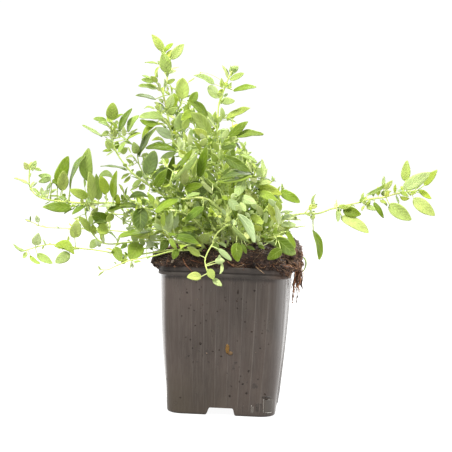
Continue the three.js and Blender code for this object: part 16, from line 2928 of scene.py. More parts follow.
def leaf(soup, A, B, E, W, Nn, fold, bv, cls, rng, r_stem):
    A, B, E, Nn, bv = (np.array(x, float) for x in (A, B, E, Nn, bv))
    L = float(np.linalg.norm(E - B))
    T = (E - B) / L
    Nn = unit(Nn - T * float(Nn @ T))
    S = np.cross(Nn, T)
    nu, nt = (9, 14) if L > 10 else ((7, 10) if L > 5.5 else (5, 7))
    us = np.linspace(-1, 1, nu)
    us = np.sign(us) * np.abs(us) ** 0.92
    k = np.linspace(0, 1, nt)
    ts = 0.35 * k + 0.65 * (0.5 - 0.5 * np.cos(math.pi * k))
    blunt = 0.50 + 0.26 * ((abs(E[0]) * 1.37 + abs(E[2]) * 0.71) % 1.0)
    w = 1.03 * W / 2 * np.sin(math.pi * ts**0.8) ** (0.60 + (blunt - 0.60) * ts)
    w = np.maximum(w, 0.12 + 0.16 * (1 - ts))
    U, Tt = np.meshgrid(us, ts)
    Wd = np.repeat(w[:, None], nu, axis=1)
    arch = rng.normal(0.035, 0.04) * L
    cup = rng.uniform(-0.10, 0.16)
    wave = rng.uniform(0.006, 0.022) * L
    ph = rng.uniform(0, 6.28)
    twist = rng.normal(0, 0.22) * (Tt - 0.25)
    hook = rng.uniform(-0.02, 0.10) * L
    tf = math.tan(math.radians(fold))
    h = Wd * (tf * (np.sqrt(U**2 + 0.02) - 0.14) - cup * U**4)
    h += wave * np.sin(2 * math.pi * 1.8 * Tt + ph + 1.3 * np.sign(U)) * np.abs(U) ** 3
    h += arch * 4 * Tt * (1 - Tt) - hook * np.clip(Tt - 0.6, 0, 1) ** 2 * 2.2
    # blades swell a little between the side veins
    s = (Tt - 0.30 * np.abs(U) ** 0.85) * 5.6
    h += 0.011 * W * np.cos(2 * math.pi * s) * np.abs(U) * (1 - U**4) * -1
    ct, st = np.cos(twist), np.sin(twist)
    C = B[None, None] + T * (L * Tt)[..., None] + bv * (4 * Tt * (1 - Tt))[..., None]
    Su = S * ct[..., None] + Nn * st[..., None]
    top = C + Su * (U * Wd)[..., None] + Nn * h[..., None]
    # local normal for the thickness
    gu = np.gradient(top, axis=1)
    gt = np.gradient(top, axis=0)
    nn = np.cross(gu, gt)
    ln = np.linalg.norm(nn, axis=2, keepdims=True)
    nn = np.where(ln > 1e-9, nn / np.maximum(ln, 1e-9), Nn)
    nn = np.where((nn @ Nn)[..., None] < 0, -nn, nn)
    th = 0.16 + 0.012 * L
    bot = top - nn * th
    v = np.concatenate([top.reshape(-1, 3), bot.reshape(-1, 3)])
    m = nt * nu
    f, flat = [], []
    for i in range(nt - 1):
        for j in range(nu - 1):
            a, b, c, d = i * nu + j, i * nu + j + 1, (i + 1) * nu + j + 1, (i + 1) * nu + j
            f.append((a, b, c, d))
            f.append((m + d, m + c, m + b, m + a))
            flat += [False, False]
    edge = [(0, j) for j in range(nu)] + [(i, nu - 1) for i in range(1, nt)] + [(nt - 1, j) for j in range(nu - 2, -1, -1)] + [(i, 0) for i in range(nt - 2, 0, -1)]
    ids = [i * nu + j for i, j in edge]
    for q in range(len(ids)):
        a, b = ids[q], ids[(q + 1) % len(ids)]
        f.append((b, a, m + a, m + b))
        flat.append(True)
    lo, hi = (np.array(srgb(x)) for x in CLASSES[cls])
    k = rng.uniform(0, 1)
    col = (lo * (1 - k) + hi * k) * rng.uniform(0.93, 1.07)
    col = col * np.array([rng.uniform(0.98, 1.08), 0.965, float(np.exp(rng.normal(-0.08, 0.34) if lo[2] < 0.12 else rng.normal(0.0, 0.14)))])
    col[2] = min(col[2], 0.80 * col[0])
    r0 = rng.uniform(0, 1)
    lf = np.c_[U.ravel(), Tt.ravel(), np.full(m, r0)]
    soup.add(v, f, 1, np.r_[lf, lf], col, np.r_[np.ones(m), np.zeros(m)], flat)
    # raised midrib on the underside, running out of the stalk
    stone = np.array(STEM_TONES[0]) * (1 - k) + np.array(STEM_TONES[1]) * k
    rb = 0.20 + 0.011 * L
    if L > 7:
        mid = bot[:, nu // 2]
        n_r = int(nt * 0.8)
        P = mid[:n_r] + nn[: n_r, nu // 2] * 0.04
        vv, ff, tt, uu = tube(P, np.linspace(rb * 0.95, 0.07, n_r), 4)
        soup.add(vv, ff, 0, np.c_[uu, tt, np.full(len(vv), r0)], stone * 0.5 + col * 0.6, 0.0)
    # stalk
    d = float(np.linalg.norm(B - A))
    if d > 0.25:
        n_p = max(3, min(9, int(d / 1.6) + 2))
        s = np.linspace(0, 1, n_p)
        D = (B - A) / d
        q = B + T * min(0.8, 0.08 * L)
        ctrl = A + D * d * 0.55 - T * d * 0.10 + np.array([0, 0, 1]) * d * 0.05
        P = (1 - s)[:, None] ** 2 * A + 2 * ((1 - s) * s)[:, None] * ctrl + (s**2)[:, None] * q
        ra = min(r_stem * 0.8, rb * 1.35)
        vv, ff, tt, uu = tube(P, ra + (rb * 0.9 - ra) * s**0.6, 5)
        soup.add(vv, ff, 0, np.c_[uu, tt, np.full(len(vv), r0)], stone * 0.8 + col * 0.25, 0.0)


PATHS = {}
for name, (node, parent, r0, r1, pts) in STEMS.items():
    P = np.array(pts, float)
    if parent is None:
        d0 = unit(P[0] - P[min(2, len(P) - 1)])
        P = np.vstack([P[0] + d0 * 2.0 + np.array([0, 0, -4.0]), P])
    P = catmull(P)
    if name[0] in "ufbl":
        own = [np.array(l[1]) for l in LEAVES if l[0] == name]
        own += [np.array(r[4][0]) for r in STEMS.values() if r[1] == name]
        if own:
            last = max(int(np.argmin(np.linalg.norm(P - q, axis=1))) for q in own)
            P = P[: max(4, last + 2)]
    PATHS[name] = P
BUDS = [n for n in STEMS if n[0] in "ufbl" or n in ("G", "F", "I1", "I2", "P1")]


def stem(soup, name, rng):
    node, parent, r0, r1, _ = STEMS[name]
    P = PATHS[name]
    n = len(P)
    t = np.linspace(0, 1, n)
    R = r0 + (r1 - r0) * t
    # a slight knuckle where leaves sit
    for l in LEAVES:
        if l[0] == name:
            d = np.linalg.norm(P - np.array(l[1]), axis=1)
            R = R + 0.10 * r0 * np.exp(-((d / 1.2) ** 2))
    R = np.minimum(R, (r0 + (r1 - r0) * t) * 1.35)
    v, f, tt, uu = tube(P, R * (1.12 if name == "I1" else 0.92), 8)
    k = rng.uniform(0, 1)
    tone = np.array(STEM_TONES[0]) * (1 - k) + np.array(STEM_TONES[1]) * k
    young = np.array(srgb("c9dc6e"))
    old = np.array(srgb("a9a85c"))
    c = tone[None] * 1.0 + (young - tone)[None] * (tt[:, None] ** 1.5) * 0.6
    w = np.clip(1 - tt * 5, 0, 1)[:, None] * (0.6 if parent is None else 0.1)
    c = c * (1 - w) + old * w
    soup.add(v, f, 0, np.c_[uu, tt, np.full(len(v), k)], c, 0.0)


by_node = {}
for name, row in STEMS.items():
    by_node.setdefault(row[0], [[], []])[0].append(name)
for i, l in enumerate(LEAVES):
    if i not in OWN:
        by_node[STEMS[l[0]][0]][1].append(i)


def leaf_row(soup, i):
    st, A, B, E, W, Nn, fold, bv, cls = LEAVES[i]
    rng = np.random.default_rng(77000 + i)
    _, _, r0, r1, _ = STEMS[st]
    P = PATHS[st]
    j = int(np.argmin(np.linalg.norm(P - np.array(A), axis=1)))
    leaf(soup, P[j] * 0.6 + np.array(A) * 0.4, B, E, W, Nn, fold, bv, cls, rng, r0 + (r1 - r0) * j / len(P))


def bud(soup, name):
    """A pair of young leaves and a smaller pair inside it at the end of a stem."""
    rng = np.random.default_rng(9100 + sum(ord(c) * (k + 3) for k, c in enumerate(name)))
    P = PATHS[name]
    T = unit(P[-1] - P[-3])
    X = unit(np.cross(T, rng.normal(size=3)))
    for q, (ln, spread) in enumerate(((3.6, 0.85), (2.2, 0.45))):
        S = X if q == 0 else np.cross(T, X)
        for sg in (1, -1):
            D = unit(T + sg * S * spread * rng.uniform(0.8, 1.2) + np.array([0, 0, 0.15]))
            L = ln * rng.uniform(0.8, 1.25)
            A = P[-1]
            leaf(soup, A, A + D * 0.45, A + D * (0.45 + L), L * 0.55, T - D * float(T @ D) + sg * S * -0.2, 22.0, (0, 0, 0), "Y" if q else "M", rng, STEMS[name][3])


for node, (names, rows) in by_node.items():
    soup = Soup()
    rng = np.random.default_rng(5000 + len(node) * 31 + len(rows))
    for n in names:
        stem(soup, n, rng)
    for i in rows:
        leaf_row(soup, i)
    for n in names:
        if n in BUDS:
            bud(soup, n)
    ob = soup.build("leafy_" + node, [STEM, LEAF])
    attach(ob, "root")
    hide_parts(node)
for i, node in OWN.items():
    soup = Soup()
    leaf_row(soup, i)
    ob = soup.build("blade_" + node, [STEM, LEAF])
    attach(ob, "root")
    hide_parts(node)

# ------------------------------------------------------------------------- pot
H_POT, BASE, TOP, BULGE, CORNER = 102.0, 36.2, 42.9, 1.2, 0.275
RIBS = (-28.6, -20.5, -12.4, -4.0, 4.6, 13.4, 22.0, 30.2)
# strength of the pale line on each rib, from left to right; partly painted highlight
RIB_HIGHLIGHT_TONE = (0.25, 0.45, 0.6, 0.75, 0.7, 0.8, 1.0, 0.9)


def half(z):
    return BASE + (TOP - BASE) * z / 95.3 + BULGE * math.sin(math.pi * min(z, 95.3) / 95.3) + 0.60 * math.exp(-z / 9.0)


def outline_unit(ribs=True):
    """Points (x, y, nx, ny, rib) of a round-cornered square of half width 1."""
    flat = 1 - CORNER
    xs = set(np.linspace(-flat, flat, 15))
    if ribs:
        for r in RIBS:
            for d in (-0.42, -0.16, 0, 0.16, 0.42):
                xs.add((r + d) / 42.0)
    xs = sorted(x for x in xs if abs(x) <= flat * 1.0)
    side = [(x, 1.0) for x in xs]
    pts = []
    for q in range(4):
        c, s = math.cos(q * math.pi / 2 - math.pi / 2), math.sin(q * math.pi / 2 - math.pi / 2)
        # the face towards -Y first, then on round anticlockwise
        for x, _ in side:
            px, py = x, -1.0
            rr = 0.0
            if ribs:
                rr = max(0.0, max(1 - abs(x * 42.0 - r) / 0.40 for r in RIBS))
            pts.append((px, py, 0.0, -1.0, min(1.0, rr * 1.6), q))
        for k in range(1, 12):
            a = -math.pi / 2 + k / 12 * math.pi / 2
            pts.append((flat + CORNER * math.cos(a), -flat + CORNER * math.sin(a), math.cos(a), math.sin(a), 0.0, q))
    out = []
    for x, y, nx, ny, r, q in pts:
        c, s = math.cos(q * math.pi / 2), math.sin(q * math.pi / 2)
        out.append((x * c - y * s, x * s + y * c, nx * c - ny * s, nx * s + ny * c, r))
    return out


def loft_mesh(name, rings, out, rib_h=0.0, rib_range=(3, 93), sag=None):
    v, f = [], []
    n = len(out)
    for z, hw in rings:
        fade = smooth(rib_range[0], rib_range[0] + 3, z) * (1 - smooth(rib_range[1] - 2, rib_range[1], z)) if rib_h else 0.0
        for x, y, nx, ny, r in out:
            p = np.array([x * hw + nx * r * rib_h * fade, y * hw + ny * r * rib_h * fade, z])
            if sag is not None:
                p = sag(p, z, hw)
            v.append(p)
    for i in range(len(rings) - 1):
        for k in range(n):
            k2 = (k + 1) % n
            f.append((i * n + k, i * n + k2, (i + 1) * n + k2, (i + 1) * n + k))
    f.append(tuple(range(n - 1, -1, -1)))
    f.append(tuple((len(rings) - 1) * n + k for k in range(n)))
    me = bpy.data.meshes.new(name)
    me.from_pydata((np.array(v) * MM).tolist(), [], f)
    me.update()
    ob = bpy.data.objects.new(name, me)
    bpy.context.scene.collection.objects.link(ob)
    return ob


def pot_sag(p, z, hw):
    """Thin thermoformed walls are never quite flat."""
    q = Vector((p[0] * 0.022, p[1] * 0.022, z * 0.014))
    k = 0.35 * noise.noise(q + Vector((3.1, 0.4, 7.7))) * float(smooth(4, 20, z))
    r = math.hypot(p[0], p[1]) or 1
    return np.array([p[0] * (1 + k / r), p[1] * (1 + k / r), p[2]])


outer_rings = [(0.0, half(0) - 1.5), (0.12, half(0) - 0.9), (0.45, half(0.5) - 0.4), (0.95, half(1) - 0.12), (1.6, half(1.6))]
outer_rings += [(z, half(z)) for z in (3, 4.5, 6, 9, 14, 20, 27, 34, 41, 48, 55, 62, 69, 76, 83, 88, 91, 93, 94.0, 94.5)]
outer_rings += [(94.65, 43.1), (94.7, 43.6), (94.75, 44.2), (94.95, 44.5), (95.1, 44.6), (95.5, 44.62), (96.5, 44.6), (96.95, 44.4), (97.2, 44.05), (97.6, 43.95), (98.0, 44.1), (98.3, 44.6), (98.8, 44.85), (100.6, 45.0), (101.5, 44.95), (101.9, 44.75), (102.0, 44.4)]
inner_rings = [(7.0, half(7) - 2.2), (8.0, half(8) - 1.2)] + [(z, half(z) - 1.0) for z in (14, 34, 55, 76, 90)] + [(95.5, 42.0), (98.0, 43.2), (101.4, 43.9), (101.8, 44.05), (104.0, 44.2)]


def prism_mesh(name, corners, along):
    L = 60.0
    v = []
    for s in (-L, L):
        for a, z in corners:
            v.append((s, a, z) if along == "x" else (a, s, z))
    n = len(corners)
    f = [(k, (k + 1) % n, n + (k + 1) % n, n + k) for k in range(n)] + [tuple(range(n - 1, -1, -1)), tuple(range(n, 2 * n))]
    me = bpy.data.meshes.new(name)
    me.from_pydata([(x * MM, y * MM, z * MM) for x, y, z in v], [], f)
    bm = bmesh.new()
    bm.from_mesh(me)
    bmesh.ops.recalc_face_normals(bm, faces=bm.faces)
    bm.to_mesh(me)
    bm.free()
    ob = bpy.data.objects.new(name, me)
    bpy.context.scene.collection.objects.link(ob)
    return ob


def drain_holes(name):
    bm = bmesh.new()
    for x, y in ((0, 0), (20, 0), (-20, 0), (0, 20), (0, -20)):
        got = bmesh.ops.create_cone(bm, segments=28, radius1=3.4 * MM, radius2=3.4 * MM, depth=12 * MM, cap_ends=True)
        bmesh.ops.translate(bm, verts=got["verts"], vec=(x * MM, y * MM, 6.5 * MM))
    me = bpy.data.meshes.new(name)
    bm.to_mesh(me)
    bm.free()
    ob = bpy.data.objects.new(name, me)
    bpy.context.scene.collection.objects.link(ob)
    return ob


t, g, h = 7.5, 9.4, 5.3
CH = [(-g - 1.7, -2), (g + 1.7, -2), (g + 0.75, 0.25), (g + 0.1, 0.9), (g - 0.35, 1.8), (t + 0.45, h - 1.1), (t + 0.1, h - 0.45), (t - 0.5, h - 0.08), (t - 1.1, h), (-t + 1.1, h), (-t + 0.5, h - 0.08), (-t - 0.1, h - 0.45), (-t - 0.45, h - 1.1), (-g + 0.35, 1.8), (-g - 0.1, 0.9), (-g - 0.75, 0.25)]
CHY = [(-11.0, -2), (11.6, -2), (10.5, 0.25), (9.95, 0.8), (9.6, 1.7), (8.95, h - 0.9), (8.7, h - 0.35), (8.2, h - 0.05), (7.7, h), (-6.6, h), (-7.1, h - 0.05), (-7.6, h - 0.35), (-7.85, h - 0.9), (-8.75, 1.7), (-9.2, 0.8), (-9.9, 0.25)]
pot = loft_mesh("nursery_pot", outer_rings, outline_unit(), 0.14, sag=pot_sag)
cutters = [loft_mesh("cut_inside", inner_rings, outline_unit(False)), prism_mesh("cut_x", CH, "x"), prism_mesh("cut_y", CHY, "y"), drain_holes("cut_holes")]
for c in cutters:
    mod = pot.modifiers.new("cut", "BOOLEAN")
    mod.operation, mod.solver, mod.object = "DIFFERENCE", "EXACT", c
dg = bpy.context.evaluated_depsgraph_get()
cut_mesh = bpy.data.meshes.new_from_object(pot.evaluated_get(dg))
pot.modifiers.clear()
pot.data = cut_mesh
cut_mesh.name = "nursery_pot"
for c in cutters:
    bpy.data.objects.remove(c)
me = pot.data
me.materials.clear()
me.materials.append(POT)
co = np.empty(len(me.vertices) * 3)
me.vertices.foreach_get("co", co)
co = co.reshape(-1, 3) / MM
rib = np.zeros(len(co))
for i, (x, y, z) in enumerate(co):
    hw = half(min(z, 95))
    out_x, out_y = abs(x) > hw - 0.6, abs(y) > hw - 0.6
    if 4 < z < 92 and (out_x != out_y):
        sgn = -y if out_y else x
        across = (x * (1 if y < 0 else -1)) if out_y else (y * (1 if x > 0 else -1))
        d, kr = min((abs(across * 42.0 / hw - r), q) for q, r in enumerate(RIBS))
        rib[i] = max(0.0, 1 - d / 0.40) * RIB_HIGHLIGHT_TONE[kr] * (0.75 + 0.5 * noise.noise(Vector((kr * 3.7, z * 0.05, sgn * 0.01))))
    # painted highlight: a pale line along the lower edge of the lip
    if 94.6 < z < 95.0:
        rib[i] = 0.9
a = me.attributes.new("rib", "FLOAT", "POINT")
a.data.foreach_set("value", rib)
bm = bmesh.new()
bm.from_mesh(me)
for fc in bm.faces:
    fc.smooth = True
for e in bm.edges:
    if len(e.link_faces) == 2 and e.calc_face_angle(0) > 0.62:
        e.smooth = False
bmesh.ops.triangulate(bm, faces=[fc for fc in bm.faces if len(fc.verts) > 4])
bm.to_mesh(me)
bm.free()
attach(pot, "root")
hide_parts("pot")

# --------------------------------------------------------------------- compost
SOIL_TOP = 112.5
PROFILE = [(6.9, 33.0), (12, 35.4), (40, 38.8), (76, 40.6), (90, 41.2), (96, 42.2), (100.8, 43.6), (102.3, 45.1), (105.2, 45.4), (108.4, 43.9), (110.4, 39.5), (111.7, 32), (112.4, 22), (112.9, 12), (113.0, 4)]


def bump(x, c, w):
    return math.exp(-(((x - c) / w) ** 2))


def mound_point(a, s):
    """s from 0 at the floor of the pot to 1 in the middle of the top."""
    k = s * (len(PROFILE) - 1)
    i = min(int(k), len(PROFILE) - 2)
    f = k - i
    z = PROFILE[i][0] * (1 - f) + PROFILE[i + 1][0] * f
    hw = PROFILE[i][1] * (1 - f) + PROFILE[i + 1][1] * f
    # round-cornered square to circle towards the middle
    c, sn = math.cos(a), math.sin(a)
    p = 5.0 if z < 108 else 5.0 - 2.6 * min(1, (z - 108) / 4)
    r = hw / (abs(c) ** p + abs(sn) ** p) ** (1 / p)
    r = min(r, hw * 1.26)
    return a, r, z


def make_compost():
    na, ns = 300, 120
    v, col = [], []
    for i in range(ns):
        # denser above the rim
        s = (i / (ns - 1)) ** 0.62
        for j in range(na):
            a = 2 * math.pi * j / na - math.pi
            _, r, z = mound_point(a, s)
            up = float(smooth(99.5, 103.5, z))
            fade = up * float(smooth(0, 12, r))
            r2 = r
            if up > 0:
                r2 += fade * (1.1 * math.sin(5 * a + z * 0.6) + 0.8 * math.sin(9 * a + z * 0.4))
                r2 += up * 3.4 * (bump(a, 0.1, 0.6) + bump(abs(a), math.pi, 0.45)) * float(1 - smooth(107, 112, z)) * (0 if z < 102.3 else 1)
            x, y = r2 * math.cos(a), r2 * math.sin(a)
            zz = z + 0.085 * x * float(smooth(102, 112, z))
            q = Vector((x, y, zz))
            n1 = noise.fractal(q * 0.11 + Vector((11, 3, 5)), 1.0, 2.1, 3)
            n2 = noise.fractal(q * 0.42 + Vector((1, 8, 2)), 0.9, 2.2, 3)
            out = up * (1.5 * n1 + 1.0 * n2)
            d = unit(np.array([math.cos(a) * (1 - float(smooth(106, 112.6, z))), math.sin(a) * (1 - float(smooth(106, 112.6, z))), 0.25 + float(smooth(104, 112, z))]))
            v.append(np.array([x, y, zz]) + d * out)
            k = 0.5 + 0.5 * n2
            col.append(np.array(srgb("2b201c")) * (1 - k) + np.array(srgb("3b2b24")) * k)
    f = []
    for i in range(ns - 1):
        for j in range(na):
            j2 = (j + 1) % na
            f.append((i * na + j, i * na + j2, (i + 1) * na + j2, (i + 1) * na + j))
    f.append(tuple(range(na - 1, -1, -1)))
    top = (ns - 1) * na
    v.append(np.mean(v[top:], axis=0))
    col.append(col[-1])
    for j in range(na):
        f.append((top + j, top + (j + 1) % na, len(v) - 1))
    return np.array(v), f, np.array(col)


ICO_V, ICO_F = None, None
bm = bmesh.new()
bmesh.ops.create_icosphere(bm, subdivisions=1, radius=1.0)
ICO1 = (np.array([x.co[:] for x in bm.verts]), [tuple(q.index for q in fc.verts) for fc in bm.faces])
bm.free()
bm = bmesh.new()
bmesh.ops.create_icosphere(bm, subdivisions=2, radius=1.0)
ICO2 = (np.array([x.co[:] for x in bm.verts]), [tuple(q.index for q in fc.verts) for fc in bm.faces])
bm.free()
bm = bmesh.new()
bmesh.ops.create_icosphere(bm, subdivisions=4, radius=1.0)
ICO4 = (np.array([x.co[:] for x in bm.verts]), [tuple(q.index for q in fc.verts) for fc in bm.faces])
bm.free()
bm = bmesh.new()
bmesh.ops.create_icosphere(bm, subdivisions=5, radius=1.0)
ICO5 = (np.array([x.co[:] for x in bm.verts]), [tuple(q.index for q in fc.verts) for fc in bm.faces])
bm.free()

soil = Soup()
mv, mf, mc = make_compost()
soil.add(mv, mf, 0, (0, 0, 0), mc, 0.0)


def lump(soup, c, r, seed, ico, rough, tone, stretch=(1, 1, 1), turn=0.0, octaves=3, freq=1.7):
    V, F = ico
    off = Vector((seed * 1.37, seed * 0.71, -seed * 0.93))
    d = np.array([1 + rough * noise.fractal(Vector(x) * freq + off, 0.9, 2.0, octaves) for x in V])
    P = V * d[:, None] * np.array(stretch) * r
    ca, sa = math.cos(turn), math.sin(turn)
    P = np.c_[P[:, 0] * ca - P[:, 1] * sa, P[:, 0] * sa + P[:, 1] * ca, P[:, 2]]
    soup.add(P + np.array(c), F, 0, (0, 0, 0), tone, 0.0)


rng = np.random.default_rng(414)
SOIL_LO, SOIL_HI = np.array(srgb("231915")), np.array(srgb("4a372d"))
# compost and roots that hang over the rim
for c, seed, rough, tone, st, ico in (
    ((-44.6, -17.0, 102.4), 3.0, 0.30, 0.75, (5.4, 21.0, 5.8), 5),
    ((-43.6, -30.0, 101.8), 31.0, 0.32, 0.70, (4.6, 9.0, 4.6), 4),
    ((42.6, -10.0, 110.2), 17.0, 0.30, 0.95, (7.6, 21.0, 8.2), 5),
    ((45.4, -15.0, 103.4), 7.0, 0.34, 1.05, (5.4, 19.0, 5.2), 5),
    ((44.6, -30.0, 103.6), 23.0, 0.36, 0.85, (5.0, 9.0, 4.2), 4),
    ((48.9, -13.0, 96.0), 29.0, 0.50, 1.7, (2.2, 4.6, 4.0), 4),
    ((50.3, -11.5, 90.2), 41.0, 0.60, 1.9, (1.2, 2.6, 2.6), 4),
    ((48.0, -16.0, 91.6), 43.0, 0.60, 1.8, (1.1, 2.4, 2.2), 4),
    ((38.5, -22.0, 108.4), 37.0, 0.34, 0.75, (8.0, 14.0, 5.0), 4),
    # the low tones of the lumps along the front edge are painted shade under the overhanging foliage
    ((39.8, -43.6, 102.6), 47.0, 0.40, 0.62, (5.6, 2.6, 2.6), 4),
    ((28.5, -43.8, 103.0), 53.0, 0.40, 0.48, (7.0, 2.2, 1.7), 4),
    ((-34.0, -43.7, 102.6), 59.0, 0.40, 0.45, (9.0, 2.4, 2.0), 4),
    ((-17.0, -43.9, 102.8), 61.0, 0.40, 0.45, (9.0, 2.2, 1.6), 4),
):
    lump(soil, c, 1.0, seed, {4: ICO4, 5: ICO5}[ico], rough, SOIL_HI * tone, st, 0.0, 6, 1.8)
lump(soil, (-46.4, -22.0, 99.9), 1.0, 9.0, ICO2, 0.5, np.array(srgb("8b7a6a")), (2.4, 5.6, 2.7), 0.1, 4, 1.4)

# crumbs sit on the mound: rays straight down and sideways find its skin
soil_tree = BVHTree.FromPolygons([tuple(x) for x in np.concatenate(soil.v)], soil.f)


def on_soil(p, d):
    hit = soil_tree.ray_cast(Vector(p), Vector(d))
    return (np.array(hit[0]), np.array(hit[1])) if hit[0] is not None else (None, None)


compost = soil.build("compost_root_mass", [SOIL])
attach(compost, "root")
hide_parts("compost_root_ball")
crumbs = Soup()
for k in range(6200):
    if k >= 5600:
        # crumbs that have rolled over the edge of the rim
        x = rng.uniform(-45, 45) if k % 3 else rng.uniform(30, 46)
        p, n = on_soil((x, -90, rng.uniform(100.6, 104)), (0, 1, 0))
    elif rng.random() < 0.62:
        x, y = rng.uniform(-46, 46), rng.uniform(-46, 46)
        p, n = on_soil((x, y, 140), (0, 0, -1))
    else:
        a = rng.uniform(0, 2 * math.pi)
        z = rng.uniform(101.5, 111)
        p, n = on_soil((90 * math.cos(a), 90 * math.sin(a), z), (-math.cos(a), -math.sin(a), -0.05))
    if p is None or p[2] < 94:
        continue
    r = float(np.exp(rng.normal(-0.72, 0.42)))
    # painted shade: crumbs along the front edge, under the overhanging foliage, are made darker
    tone = SOIL_LO + (SOIL_HI - SOIL_LO) * rng.uniform(0, 1)
    if p[1] < -36 and p[0] < 42:
        tone = tone * 0.68
    if rng.random() < 0.07:
        tone = np.array(srgb("7a5a44")) * rng.uniform(0.5, 1.0)
    if rng.random() < 0.02:
        tone = np.array(srgb("a09080"))
    st = (rng.uniform(0.7, 1.5), rng.uniform(0.6, 1.1), rng.uniform(0.5, 0.9))
    if p[1] > 4 and k % 3 == 0:
        rng.uniform(0, 6.28)
        continue
    lump(crumbs, p + n * r * 0.15, min(r, 1.9), k * 0.77, ICO1, 0.45, tone, st, rng.uniform(0, 6.28), 2, 1.3)
ob = crumbs.build("compost_crumbs", [SOIL])
for q in ob.data.polygons:
    q.use_smooth = False
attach(ob, "root")

# ----------------------------------------------------------------------- roots
roots = Soup()
TONES = [np.array(srgb(x)) for x in ("6b4430", "8a5a3c", "a3714c", "b98d66", "5a3a2a", "c9a680")]


def strand(P, r0, r1, tone, sides=4):
    P = catmull(np.array(P), 1.6)
    v, f, tt, uu = tube(P, np.linspace(r0, r1, len(P)), sides)
    roots.add(v, f, 0, np.c_[uu, tt, np.zeros(len(v))], tone, 0.0)


for k in range(640):
    # a root that wanders over the skin of the ball
    if rng.random() < 0.45:
        p, n = on_soil((rng.uniform(-45, 45), rng.uniform(-45, 45), 140), (0, 0, -1))
    else:
        a = rng.uniform(0, 2 * math.pi) if rng.random() < 0.5 else rng.normal(-0.35, 0.45)
        p, n = on_soil((90 * math.cos(a), 90 * math.sin(a), rng.uniform(101, 111)), (-math.cos(a), -math.sin(a), -0.05))
    if p is None or p[2] < 92:
        continue
    d = unit(np.cross(n, rng.normal(size=3)))
    pts = [p + n * 0.25]
    steps = int(rng.integers(3, 10))
    for _ in range(steps):
        d = unit(d + rng.normal(size=3) * 0.42)
        q = pts[-1] + d * rng.uniform(1.3, 2.3)
        got = soil_tree.find_nearest(Vector(q))
        if got[0] is None:
            break
        c, nn = np.array(got[0]), np.array(got[1])
        if c[2] < 92:
            break
        d = unit(d - nn * float(d @ nn))
        pts.append(c + nn * rng.uniform(0.1, 0.75))
    if len(pts) > 3:
        # painted shade: roots along the front edge, under the overhanging foliage, are darker
        painted_shade = 0.62 if p[1] < -38 and p[0] < 38 else 1.0
        strand(pts, float(np.exp(rng.normal(-2.25, 0.35))), 0.05, TONES[int(rng.integers(len(TONES)))] * rng.uniform(0.5, 1.0) * painted_shade)

# torn roots that hang down from the right side of the ball
for k in range(30):
    y = float(np.clip(rng.normal(-15, 6), -32, 4))
    x = 46.8 + rng.uniform(0, 4.2) - 0.02 * abs(y + 15)
    z = rng.uniform(88, 101)
    low = rng.uniform(5, 13) * (1.0 if k % 4 else 1.6)
    n = int(max(5, low / 2.2))
    pts = [np.array([x, y, z])]
    d = np.array([rng.normal(0, 0.25), rng.normal(0, 0.25), -1.0])
    for _ in range(n):
        d = unit(d + rng.normal(size=3) * np.array([0.33, 0.33, 0.12]) + np.array([(47.4 - pts[-1][0]) * 0.06, 0, -0.25]))
        q = pts[-1] + d * low / n
        q[0] = max(q[0], 45.9 if q[2] > 94 else 44.6)
        pts.append(q)
    tone = TONES[int(rng.integers(0, 4))] * rng.uniform(0.9, 1.5)
    strand(pts, rng.uniform(0.16, 0.32), 0.06, tone, 5)
    if k % 2 == 0:
        q = pts[int(rng.integers(1, max(2, len(pts) // 2)))]
        lump(roots, q, rng.uniform(0.5, 1.2), 900 + k, ICO1, 0.5, np.array(srgb("7a5644")) * rng.uniform(0.7, 1.3), (1, 0.9, 1.2), 0.0, 2, 1.4)
# three longer ones, with crumbs caught on them
for pts, tone, r in (
    ([(47.2, -19, 98), (46.5, -19, 93), (45.9, -19, 89), (46.4, -19, 85), (45.7, -19, 81), (46.0, -19, 77.5)], TONES[2], 0.42),
    ([(46.8, -20, 97), (46.9, -20, 92), (46.3, -20, 87), (46.0, -20, 83.5), (46.6, -20, 80)], TONES[1], 0.30),
    ([(48.8, -14, 90), (48.2, -14, 85), (48.6, -14, 80.5), (48.3, -14, 76.5)], np.array(srgb("8d8278")), 0.22),
    ([(51.0, -12, 97), (51.7, -12, 92.5), (51.4, -12, 88.5), (52.0, -12, 85.5)], TONES[4], 0.34),
):
    strand(pts, r * 1.15, r * 0.95, tone, 5)
    for k in range(7):
        q = np.array(pts[1 + k % (len(pts) - 1)]) + rng.normal(size=3) * np.array([0.22, 0.8, 1.2])
        lump(roots, q, float(rng.uniform(0.30, 0.60)), 950 + k, ICO1, 0.5, tone * rng.uniform(0.6, 1.0), (1, 0.9, 1.3), 0.0, 2, 1.4)
